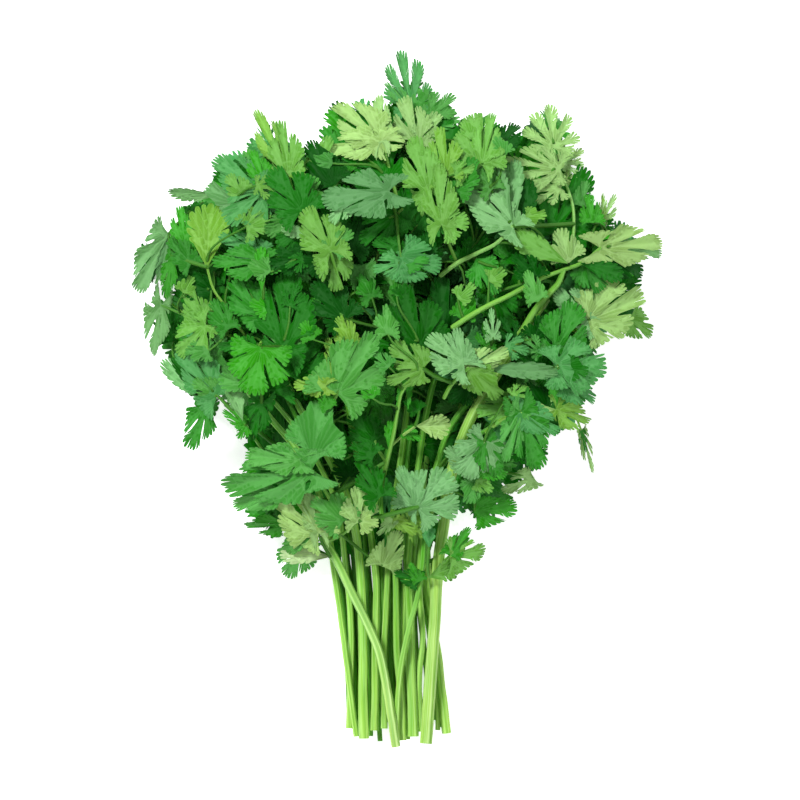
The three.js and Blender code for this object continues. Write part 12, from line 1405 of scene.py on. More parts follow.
def lin(c):
    """sRGB 0..255 to linear."""
    c = np.asarray(c, float) / 255.0
    return np.where(c <= 0.04045, c / 12.92, ((c + 0.055) / 1.055) ** 2.4)


def catmull(points, n):
    """A smooth curve through points, n points evenly spaced along it."""
    p = np.asarray(points, float)
    p = np.vstack([2 * p[0] - p[1], p, 2 * p[-1] - p[-2]])
    out = []
    for i in range(1, len(p) - 2):
        t = np.linspace(0, 1, 14, endpoint=False)[:, None]
        a, b, c, d = p[i - 1], p[i], p[i + 1], p[i + 2]
        out.append(0.5 * ((2 * b) + (-a + c) * t + (2 * a - 5 * b + 4 * c - d) * t ** 2 + (-a + 3 * b - 3 * c + d) * t ** 3))
    out.append(p[-2][None, :])
    q = np.vstack(out)
    s = np.concatenate([[0], np.cumsum(np.linalg.norm(np.diff(q, axis=0), axis=1))])
    t = np.linspace(0, s[-1], n)
    return np.stack([np.interp(t, s, q[:, k]) for k in range(q.shape[1])], axis=1), s[-1]


def lobes_for(kind, size, rng):
    """Lobes (axis angle, length, half width) and the notches (angle, radius) between them, in units of the leaflet's length."""
    def j(v, s):
        return v * (1 + rng.uniform(-s, s))
    if kind == "O":
        lobes = [(0.0, 1.0, j(0.40, 0.1))]
        notches = []
    elif kind == "F" and (size < 11 or rng.random() < 0.35):
        a = j(50, 0.12)
        lobes = [(-a, j(0.80, 0.06), j(0.36, 0.1)), (j(3, 2), 1.0, j(0.38, 0.1)), (a, j(0.80, 0.06), j(0.36, 0.1))]
        notches = [(-j(26, 0.15), j(0.68, 0.1)), (j(27, 0.15), j(0.68, 0.1))]
    elif kind == "F":
        a, b = j(82, 0.08), j(41, 0.1)
        lobes = [(-a, j(0.62, 0.08), j(0.25, 0.1)), (-b, j(0.83, 0.06), j(0.27, 0.1)), (j(2, 2), 1.0, j(0.30, 0.1)),
                 (b, j(0.83, 0.06), j(0.27, 0.1)), (a, j(0.62, 0.08), j(0.25, 0.1))]
        cut = 0.68 if size > 19 else 0.9
        notches = [(-j(61, 0.06), cut * j(0.46, 0.12)), (-j(20, 0.1), cut * j(0.66, 0.12)), (j(20, 0.1), cut * j(0.66, 0.12)), (j(61, 0.06), cut * j(0.46, 0.12))]
    elif kind == "T":
        a = j(60, 0.1)
        if size > 20 or (size > 13 and rng.random() < 0.45):
            b = j(98, 0.06)
            lobes = [(-b, j(0.58, 0.08), j(0.24, 0.1)), (-j(52, 0.06), j(0.86, 0.06), j(0.35, 0.1)), (j(2, 2), 1.0, j(0.37, 0.1)),
                     (j(52, 0.06), j(0.86, 0.06), j(0.35, 0.1)), (b, j(0.58, 0.08), j(0.24, 0.1))]
            cut = 0.72 if size > 20 else 1.0
            notches = [(-j(76, 0.04), cut * j(0.34, 0.12)), (-j(24, 0.12), cut * j(0.43, 0.12)), (j(24, 0.12), cut * j(0.43, 0.12)), (j(76, 0.04), cut * j(0.34, 0.12))]
        else:
            lobes = [(-a, j(0.86, 0.06), j(0.40, 0.1)), (j(3, 2), 1.0, j(0.39, 0.1)), (a, j(0.86, 0.06), j(0.40, 0.1))]
            notches = [(-j(29, 0.12), j(0.45, 0.14)), (j(29, 0.12), j(0.45, 0.14))]
    elif kind == "D":
        lobes = [(-j(84, 0.05), j(0.55, 0.1), j(0.14, 0.1)), (-j(44, 0.06), j(0.82, 0.06), j(0.19, 0.1)), (0.0, 1.0, j(0.21, 0.1)),
                 (j(44, 0.06), j(0.82, 0.06), j(0.19, 0.1)), (j(84, 0.05), j(0.55, 0.1), j(0.14, 0.1))]
        notches = [(-j(64, 0.03), j(0.22, 0.12)), (-j(23, 0.08), j(0.30, 0.15)), (j(23, 0.08), j(0.30, 0.15)), (j(64, 0.03), j(0.22, 0.12))]
    else:                                    # P, feathery
        lobes = [(-j(95, 0.04), j(0.48, 0.1), j(0.12, 0.1)), (-j(60, 0.05), j(0.70, 0.08), j(0.13, 0.1)), (-j(28, 0.06), j(0.88, 0.06), j(0.14, 0.1)), (0.0, 1.0, j(0.14, 0.1)),
                 (j(28, 0.06), j(0.88, 0.06), j(0.14, 0.1)), (j(60, 0.05), j(0.70, 0.08), j(0.13, 0.1)), (j(95, 0.04), j(0.48, 0.1), j(0.12, 0.1))]
        notches = [(-j(77, 0.02), j(0.18, 0.1)), (-j(44, 0.03), j(0.24, 0.1)), (-j(14, 0.05), j(0.34, 0.1)),
                   (j(14, 0.05), j(0.34, 0.1)), (j(44, 0.03), j(0.24, 0.1)), (j(77, 0.02), j(0.18, 0.1))]
    notches = [(a, r * rng.uniform(0.80, 1.26)) for a, r in notches]
    return lobes, notches


def polar(a, r):
    a = math.radians(a)
    return np.array([r * math.cos(a), r * math.sin(a)])


def outline(kind, L, W, rng, coarse=False):
    """The margin of a leaflet from its base round its tip and back, its veins, both in mm, and its lobes' directions."""
    lobes, notches = lobes_for(kind, L, rng)
    n = len(lobes)
    last = abs(lobes[-1][0])
    edge = min(150.0, last + (75 if n == 1 else 38))
    sector = [-edge] + [a for a, _ in notches] + [edge]
    pts, veins, tips = [np.zeros(2)], [], []
    bends = [rng.uniform(-17, 17) for _ in notches]
    slender = kind in "DP"
    eyes = [rng.choice((0.006, 0.022, 0.034, 0.050)) * (1.0 if kind == "T" else 0.6) for _ in notches]
    for i, (a, ell, w) in enumerate(lobes):
        e = polar(a, 1.0)
        nrm = np.array([-e[1], e[0]])
        S = polar(*notches[i - 1]) if i else np.zeros(2)
        E = polar(*notches[i]) if i < n - 1 else np.zeros(2)
        sa, ea = float(S @ e), float(E @ e)
        if slender:
            ctrl_l = [(0.24, -0.42), (0.46, -0.55), (0.76, -1.0), (0.93, -0.80)]
        elif n > 1:
            ctrl_l = [(0.26, -0.24), (0.46, -0.48), (0.64, -0.80), (0.80, -1.06), (0.95, -0.74)]
        else:
            ctrl_l = [(0.26, -0.46), (0.48, -0.86), (0.74, -1.0), (0.93, -0.66)]
        fat_l, fat_r = rng.uniform(0.84, 1.14), rng.uniform(0.84, 1.14)
        left = [e * (t * ell) + nrm * (k * w * fat_l) for t, k in ctrl_l if t * ell > sa + 0.06]
        right = [e * (t * ell) - nrm * (k * w * fat_r) for t, k in ctrl_l if t * ell > ea + 0.06][::-1]
        curve, length = catmull([S] + left + [e * ell] + right + [E], 161)
        arc = length * (L + W / 0.95) / 2
        t0 = (0.14 if slender else 0.15) if i else (0.24 if n > 1 else 0.17)
        t1 = 1 - ((0.14 if slender else 0.15) if i < n - 1 else (0.24 if n > 1 else 0.17))
        m = int(round(arc * (t1 - t0) / (TOOTH * (0.82 if slender else 1.45 if coarse else 1.0))))
        m = max(2 if n > 3 else 3, min(13, m))
        if m % 2 == 0:
            m += 1 if (i == n // 2 or rng.random() < 0.4) else 0
        cuts = np.linspace(t0, t1, m + 1) + np.array([0] + [rng.uniform(-0.22, 0.22) * (t1 - t0) / m for _ in range(m - 1)] + [0])
        Q = e * (0.30 * ell)
        unit = TOOTH / L
        depth = []
        for k in range(m + 1):
            if k in (0, m):
                d = 0.10 * unit
            else:
                d = (0.44 + 0.26 * rng.random()) * unit * (1.6 if slender else 1.0)
                if m >= 5 and (k + m) % 3 == 0:
                    d *= rng.uniform(2.1, 3.5)
                elif m <= 4 and slender:
                    d *= 1.5
                elif m in (3, 4) and L > 9:
                    d *= 1.35
            depth.append(min(d, 0.42 * ell * (1 if slender else 0.62)))

        def at(t, push):
            c = curve[int(round(t * 160))] if t in (0, 1) else np.array([np.interp(t * 160, np.arange(161), curve[:, 0]), np.interp(t * 160, np.arange(161), curve[:, 1])])
            tg = np.array([np.interp(min(160, t * 160 + 3), np.arange(161), curve[:, 0]) - np.interp(max(0, t * 160 - 3), np.arange(161), curve[:, 0]),
                           np.interp(min(160, t * 160 + 3), np.arange(161), curve[:, 1]) - np.interp(max(0, t * 160 - 3), np.arange(161), curve[:, 1])])
            out = np.array([tg[1], -tg[0]])
            out /= np.linalg.norm(out) + 1e-9
            away = c - Q
            away /= np.linalg.norm(away) + 1e-9
            d = 0.35 * out + 0.65 * away
            d /= np.linalg.norm(d) + 1e-9
            return c + d * push
        own = []
        if i == 0:
            for t in np.linspace(0, t0, 5)[1:-1]:
                own.append(at(t, 0.0))
        else:
            own.append(at(0.04, 0.0))
        for k in range(m):
            ta, tb = cuts[k], cuts[k + 1]
            w_ = tb - ta
            size = w_ * length
            da, db = depth[k], depth[k + 1]
            skew = rng.uniform(-0.05, 0.05)
            own.append(at(ta, -da))
            if coarse:
                own.append(at(ta + 0.30 * w_, 0.08 * size))
                own.append(at(ta + 0.72 * w_, 0.08 * size))
            else:
                own.append(at(ta + 0.065 * w_, -0.56 * da))
                own.append(at(ta + 0.115 * w_, -0.16 * da))
                own.append(at(ta + 0.21 * w_, 0.10 * size))
                own.append(at(ta + (0.36 + skew) * w_, 0.20 * size))
                own.append(at(ta + (0.52 + skew) * w_, 0.235 * size))
                own.append(at(ta + (0.67 + skew) * w_, 0.19 * size))
                own.append(at(ta + 0.81 * w_, 0.08 * size))
                own.append(at(ta + 0.895 * w_, -0.16 * db))
                own.append(at(ta + 0.945 * w_, -0.56 * db))
            tips.append((i, at(ta + 0.5 * w_, -0.18 * size)))
        own.append(at(t1, -depth[-1]))
        if i == n - 1:
            for t in np.linspace(t1, 1, 5)[1:-1]:
                own.append(at(t, 0.0))
        else:
            own.append(at(0.96, 0.0))
        lo_, hi_ = sector[i], sector[i + 1]
        gap = rng.uniform(0.06, 0.22) / L
        lean_lo = bends[i - 1] if i else 0.0
        lean_hi = bends[i] if i < n - 1 else 0.0
        for q in own:
            r, f = math.hypot(*q), math.degrees(math.atan2(q[1], q[0]))
            rho = notches[i - 1][1] if i > 0 and f < a else (notches[i][1] if i < n - 1 else 0.4)
            wide = eyes[i - 1] if i > 0 and f < a else (eyes[i] if i < n - 1 else 0.0)
            eye = 0.0 if r < rho else wide * math.exp(-((r - rho - 0.14) / 0.105) ** 2)
            g = math.degrees((gap + eye) / max(r, 0.05))
            if i > 0:
                past = max(0.0, r - notches[i - 1][1])
                f = max(f, lo_ + lean_lo * past * (1.6 - past) + g)
            if i < n - 1:
                past = max(0.0, r - notches[i][1])
                f = min(f, hi_ + lean_hi * past * (1.6 - past) - g)
            pts.append(polar(f, r))
        if i < n - 1:
            pts.append(E)
        axis = [e * (ell * t) + nrm * (0.03 * math.sin(3.0 * t) * ell * rng.choice((-1, 1))) * t for t in (0.0, 0.18, 0.36, 0.55, 0.72, 0.86)]
        axis[0] = np.zeros(2)
        veins.append(axis)
    pts = np.array(pts)
    for i, tip in tips:
        a, ell, w = lobes[i]
        e = polar(a, 1.0)
        along = float(tip @ e)
        off = tip - e * along
        if np.linalg.norm(off) * L < 1.3 or L < 10:
            continue
        t = max(0.16, along / ell - 0.20 - 0.9 * np.linalg.norm(off)) * ell
        a0 = e * t
        mid = a0 * 0.5 + tip * 0.5 + e * 0.03
        veins.append([a0, mid, tip])
    sx = L / pts[:, 0].max()
    sy = W / (pts[:, 1].max() - pts[:, 1].min())
    k = np.array([sx, sy])
    axes = sorted((math.atan2(math.sin(math.radians(a)) * sy, math.cos(math.radians(a)) * sx), ell) for a, ell, w in lobes)
    return pts * k, [np.array(v) * k for v in veins], (axes, [(a, r, b) for (a, r), b in zip(notches, bends)], k)


def inside(poly, q):
    x, y = q[:, 0][:, None], q[:, 1][:, None]
    x0, y0 = poly[:, 0], poly[:, 1]
    x1, y1 = np.roll(x0, -1), np.roll(y0, -1)
    hit = ((y0 > y) != (y1 > y)) & (x < (x1 - x0) * (y - y0) / np.where(y1 == y0, 1e-12, y1 - y0) + x0)
    return hit.sum(axis=1) % 2 == 1


def seg_distance(q, a, b):
    """Distance of each point of q from the nearest segment a-b."""
    d = b - a
    t = ((q[:, None, :] - a[None]) * d[None]).sum(2) / np.maximum((d * d).sum(1), 1e-12)[None]
    t = np.clip(t, 0, 1)
    c = a[None] + t[..., None] * d[None]
    return np.sqrt(((q[:, None, :] - c) ** 2).sum(2)).min(axis=1)


def blade(kind, L, W, rng, grid, with_veins=True, coarse=False):
    """A flat leaflet as points, triangles and each point's distance from a vein and from the margin."""
    pts, veins, axes = outline(kind, L, W, rng, coarse)
    keep = [0]
    for i in range(1, len(pts)):
        if np.linalg.norm(pts[i] - pts[keep[-1]]) > 0.10:
            keep.append(i)
    pts = pts[keep]
    n = len(pts)
    verts = [Vector(p) for p in pts]
    edges = [(i, (i + 1) % n) for i in range(n)]
    va, vb = [], []
    vein_pts, vein_id = [], []
    for number, v in enumerate(veins):
        ok = inside(pts, v[1:])
        prev = v[0]
        for k in range(1, len(v)):
            if not ok[k - 1]:
                break
            va.append(prev)
            vb.append(v[k])
            if with_veins:
                steps = max(1, int(np.linalg.norm(v[k] - prev) / (grid * 1.3)))
                for s in range(1, steps + 1):
                    q = prev + (v[k] - prev) * (s / steps)
                    vein_pts.append(q)
                    vein_id.append(number)
            prev = v[k]
    lo, hi = pts.min(0), pts.max(0)
    gx, gy = np.meshgrid(np.arange(lo[0], hi[0], grid), np.arange(lo[1], hi[1], grid * 0.87))
    gx = gx + (np.arange(gx.shape[0]) % 2)[:, None] * grid * 0.5
    q = np.stack([gx.ravel(), gy.ravel()], axis=1)
    q += np.array([[rng.uniform(-0.16, 0.16) * grid, rng.uniform(-0.16, 0.16) * grid] for _ in range(len(q))]) if len(q) else 0
    q = q[inside(pts, q)]
    ma, mb = pts, np.roll(pts, -1, axis=0)
    if len(q):
        q = q[seg_distance(q, ma, mb) > 0.42 * grid]
    vein_pts = np.array(vein_pts) if vein_pts else np.zeros((0, 2))
    if len(vein_pts):
        far = seg_distance(vein_pts, ma, mb) > 0.22 * grid
        vein_pts = vein_pts[far]
        vein_id = [q for q, f in zip(vein_id, far) if f]
    if len(vein_pts) > 1:                                   # where veins meet, their points are thinned
        take, ids = [], []
        for p, number in zip(vein_pts, vein_id):
            if all((p[0] - o[0]) ** 2 + (p[1] - o[1]) ** 2 > (0.45 * grid) ** 2 for o in take):
                take.append(p)
                ids.append(number)
        vein_pts, vein_id = np.array(take), ids
    for k in range(1, len(vein_pts)):
        if vein_id[k] == vein_id[k - 1] and np.linalg.norm(vein_pts[k] - vein_pts[k - 1]) < 2.6 * grid:
            edges.append((n + k - 1, n + k))
    if len(q) and len(vein_pts):
        d = np.sqrt(((q[:, None] - vein_pts[None]) ** 2).sum(2)).min(1)
        q = q[d > 0.62 * grid]
    extra = np.vstack([vein_pts, q]) if len(q) or len(vein_pts) else np.zeros((0, 2))
    verts += [Vector(p) for p in extra]
    out = delaunay_2d_cdt(verts, edges, [], 1, 1e-5)
    P = np.array([(v[0], v[1]) for v in out[0]])
    tris = []
    for f in out[2]:
        for k in range(1, len(f) - 1):
            tris.append((f[0], f[k], f[k + 1]))
    T = np.array(tris, dtype=np.int64).reshape(-1, 3)
    if len(T):
        c = P[T].mean(1)
        T = T[inside(pts, c)]
        area = np.cross(P[T[:, 1]] - P[T[:, 0]], P[T[:, 2]] - P[T[:, 0]])
        flip = area < 0
        T[flip] = T[flip][:, ::-1]
        T = T[np.abs(area) > 1e-7]
    used, inv = np.unique(T.ravel(), return_inverse=True)
    P, T = P[used], inv.reshape(-1, 3)
    vd = seg_distance(P, np.array(va), np.array(vb)) if va else np.full(len(P), 3.0)
    md = seg_distance(P, ma, mb)
    return P, T, vd, md, axes


class Bag:
    """Vertices, triangles and their attributes, gathered into one piece."""
    def __init__(self):
        self.v, self.n, self.t, self.col, self.data, self.uv = [], [], [], [], [], []
        self.count = 0
        self.islands = []

    def add(self, v, n, t, col, data, uv):
        """uv: one local pair for each corner of each triangle, in mm."""
        self.v.append(v)
        self.n.append(n)
        self.t.append(t + self.count)
        self.col.append(col)
        self.data.append(data)
        self.islands.append((len(t), uv))
        self.count += len(v)

    def make(self, name, material):
        v, n, t = np.vstack(self.v), np.vstack(self.n), np.vstack(self.t)
        me = bpy.data.meshes.new(name)
        me.from_pydata((v * MM).tolist(), [], t.tolist())
        me.update()
        me.polygons.foreach_set("use_smooth", np.ones(len(me.polygons), dtype=bool))
        col = np.vstack(self.col)
        a = me.attributes.new("tint", "FLOAT_COLOR", "POINT")
        a.data.foreach_set("color", np.hstack([col, np.ones((len(col), 1))]).astype(np.float32).ravel())
        dat = np.vstack(self.data).astype(np.float32)
        b = me.attributes.new("leaf", "FLOAT_VECTOR", "POINT")
        b.data.foreach_set("vector", dat[:, :3].ravel())
        c = me.attributes.new("grain", "FLOAT_VECTOR", "POINT")
        c.data.foreach_set("vector", dat[:, 3:6].ravel())
        cells = len(self.islands)
        side = math.ceil(math.sqrt(cells))
        uv = []
        for k, (m, q) in enumerate(self.islands):
            lo, hi = q.min(0), q.max(0)
            span = max((hi - lo).max(), 1e-6)
            cell = np.array([k % side, k // side]) / side
            uv.append((q - lo) / span * (0.94 / side) + cell + 0.03 / side)
        layer = me.uv_layers.new(name="OFBake")
        layer.data.foreach_set("uv", np.vstack(uv).astype(np.float32).ravel())
        nn = n / np.maximum(np.linalg.norm(n, axis=1), 1e-9)[:, None]
        me.normals_split_custom_set_from_vertices(nn.tolist())
        me.materials.append(material)
        ob = bpy.data.objects.new(name, me)
        bpy.context.scene.collection.objects.link(ob)
        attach(ob, "root")
        return ob


def vertex_normals(P, T):
    f = np.cross(P[T[:, 1]] - P[T[:, 0]], P[T[:, 2]] - P[T[:, 0]])
    n = np.zeros_like(P)
    for k in range(3):
        np.add.at(n, T[:, k], f)
    return n / np.maximum(np.linalg.norm(n, axis=1), 1e-9)[:, None]


def leaflet(bag, kind, tone, B, T, N, W, cup, bend, seed, grid, deep=False, plain=False, zmin=0.15):
    """Grows one leaflet into bag: base B, direction and length T, face N."""
    rng = random.Random(seed)
    B, T, N = (np.asarray(a, float) for a in (B, T, N))
    L = float(np.linalg.norm(T))
    t = T / L
    S = np.cross(N, t)
    S /= np.linalg.norm(S)
    N = np.cross(t, S)
    flat, tri, vd, md, axes = blade(kind, L, W, rng, grid, not deep, deep or plain)
    x, y = flat[:, 0], flat[:, 1]
    u, v = x / L, y / W
    h = bend * L * u * u - 2 * cup * W * v * v
    r = np.sqrt(x * x + y * y) / L
    phi = np.arctan2(y, x + 0.04 * L)
    k1, k2, k3 = rng.choice((2, 3)), rng.choice((4, 5)), rng.choice((9, 11, 13))
    amp = 1.0 if B[2] + T[2] > 4 or T[2] > 1 else 0.25
    h += amp * L * r ** 2 * (rng.uniform(0.03, 0.075) * np.cos(k1 * phi + rng.uniform(0, 6.28))
                             + rng.uniform(0.02, 0.045) * np.cos(k2 * phi + rng.uniform(0, 6.28)))
    h += amp * min(0.6, 0.028 * L) * r ** 3 * np.sin(k3 * phi + rng.uniform(0, 6.28))
    # each lobe is a shallow channel along its vein, and its end curls its own way
    axes, slits, k_ = axes
    if slits and not deep:                                   # neighbouring lobes part in height where a slit divides them
        x0, y0 = x / k_[0], y / k_[1]
        r0, f0 = np.hypot(x0, y0), np.degrees(np.arctan2(y0, x0))
        lift = np.zeros(len(x))
        level = [rng.uniform(-0.5, 0.5) + (0.45 if q % 2 else -0.45) for q in range(len(slits) + 1)]
        sign = rng.choice((-1, 1))
        lobe = np.zeros(len(x), int)
        for q, (a_, rho_, b_) in enumerate(slits):
            past = np.clip(r0 - rho_, 0, None)
            lobe += (f0 > a_ + b_ * past * (1.6 - past)).astype(int)
        rho_l = np.array([0.0] + [rho_ for _, rho_, _ in slits] + [0.0])
        start = np.maximum(rho_l[lobe], rho_l[lobe + 1])
        s_ = np.clip((r0 - start) / 0.28, 0, 1)
        lift = np.array(level)[lobe] * sign * s_ * s_ * (3 - 2 * s_)
        h += amp * lift * min(1.0, L / 20.0)
    ax = np.array([a for a, _ in axes])
    near = np.abs(phi[:, None] - ax[None])
    which = near.argmin(1)
    gapw = np.full(len(ax), 0.6)
    if len(ax) > 1:
        sp = np.diff(ax) / 2
        gapw[:-1] = np.minimum(gapw[:-1], sp)
        gapw[1:] = np.minimum(gapw[1:], sp)
    dd = np.clip(near.min(1) / gapw[which], 0, 1.4)
    pleat = rng.uniform(0.05, 0.12)
    h += amp * pleat * L * np.minimum(r, 1.0) * np.sqrt(dd * dd + 0.02)
    rays = rng.choice((7, 8, 9, 10)) if L > 12 else rng.choice((5, 6))
    h += amp * min(0.40, 0.017 * L) * np.clip(r - 0.12, 0, 1) * np.sin(rays * phi + 1.4 * np.sin(3.1 * r + rng.uniform(0, 6)) + rng.uniform(0, 6.28))
    curls = np.array([rng.uniform(-0.42, 0.22) for _ in ax])
    soft = np.exp(-(near / 0.30) ** 2)
    curl = (soft * curls[None]).sum(1) / np.maximum(soft.sum(1), 1e-3)
    h += amp * curl * L * np.clip(r - 0.55, 0, 1) ** 2
    if kind == "O":
        h += amp * rng.uniform(0.10, 0.35) * (np.sqrt(y * y + 0.3) - 0.55)
    else:
        h += amp * rng.uniform(0.02, 0.10) * (np.sqrt(y * y + 1.0) - 1.0)
    if not deep:
        h -= 0.07 * np.exp(-(vd / 0.9) ** 2)
        h += 0.08 * np.sin(0.7 * x + rng.uniform(0, 6)) * np.sin(0.8 * y + rng.uniform(0, 6))
    P = B + x[:, None] * t + y[:, None] * S + h[:, None] * N
    n = vertex_normals(P, tri)
    th = (THICK * (0.45 + 0.55 * np.clip(md / 1.2, 0, 1)))[:, None] / 2
    top, bot = P + n * th, P - n * th
    low = min(top[:, 2].min(), bot[:, 2].min())
    if low < zmin:                                           # nothing goes through the table
        for a in (top, bot):
            d = zmin - a[:, 2]
            a[:, 2] = np.where(d > 0, zmin + 0.02 * (a is top), a[:, 2])
        top[:, 2] = np.maximum(top[:, 2], bot[:, 2] + 0.1)
    m = len(P)
    # the rim: edges that belong to one triangle
    e = np.vstack([tri[:, [0, 1]], tri[:, [1, 2]], tri[:, [2, 0]]])
    key = np.sort(e, axis=1)
    _, first, cnt = np.unique(key[:, 0] * m + key[:, 1], return_index=True, return_counts=True)
    rim = e[first[cnt == 1]]
    side = np.vstack([np.stack([rim[:, 1], rim[:, 0], rim[:, 0] + m], 1), np.stack([rim[:, 1], rim[:, 0] + m, rim[:, 1] + m], 1)])
    up, under = TONES[tone]
    shift = rng.uniform(0.90, 1.10)
    warm = rng.uniform(-0.06, 0.06)
    hue = np.array([1 + warm, 1.0, 1 - warm])
    ca, cb = lin(up) * shift * hue * EXPOSE, lin(under) * shift * hue * EXPOSE
    V = np.vstack([top, bot])
    NN = np.vstack([n, -n])
    col = np.vstack([np.repeat(ca[None], m, 0), np.repeat(cb[None], m, 0)])
    # leaf: distance from a vein, distance from the margin, place from base to tip; grain: the blade's own x, y and a number for each leaflet
    d = np.stack([vd, md, np.clip(r, 0, 1.3)], 1)
    g = np.stack([x, y, np.full(m, (seed % 97) * 1.7)], 1)
    data = np.vstack([np.hstack([d, g]), np.hstack([d, g + np.array([0, 0, 0.5])])])
    uv_top = flat[tri].reshape(-1, 2)
    off = np.array([flat[:, 0].max() - flat[:, 0].min() + 2.0, 0])
    uv_bot = (flat[tri[:, ::-1]] + off).reshape(-1, 2)
    centre = flat.mean(0)
    push = flat - centre
    push = push / np.maximum(np.linalg.norm(push, axis=1), 1e-9)[:, None] * 0.35
    both = np.vstack([flat, flat + push])
    uv_side = both[side].reshape(-1, 2)
    bag.add(V, NN, np.vstack([tri, tri[:, ::-1] + m, side]), col, data, np.vstack([uv_top, uv_bot, uv_side]))


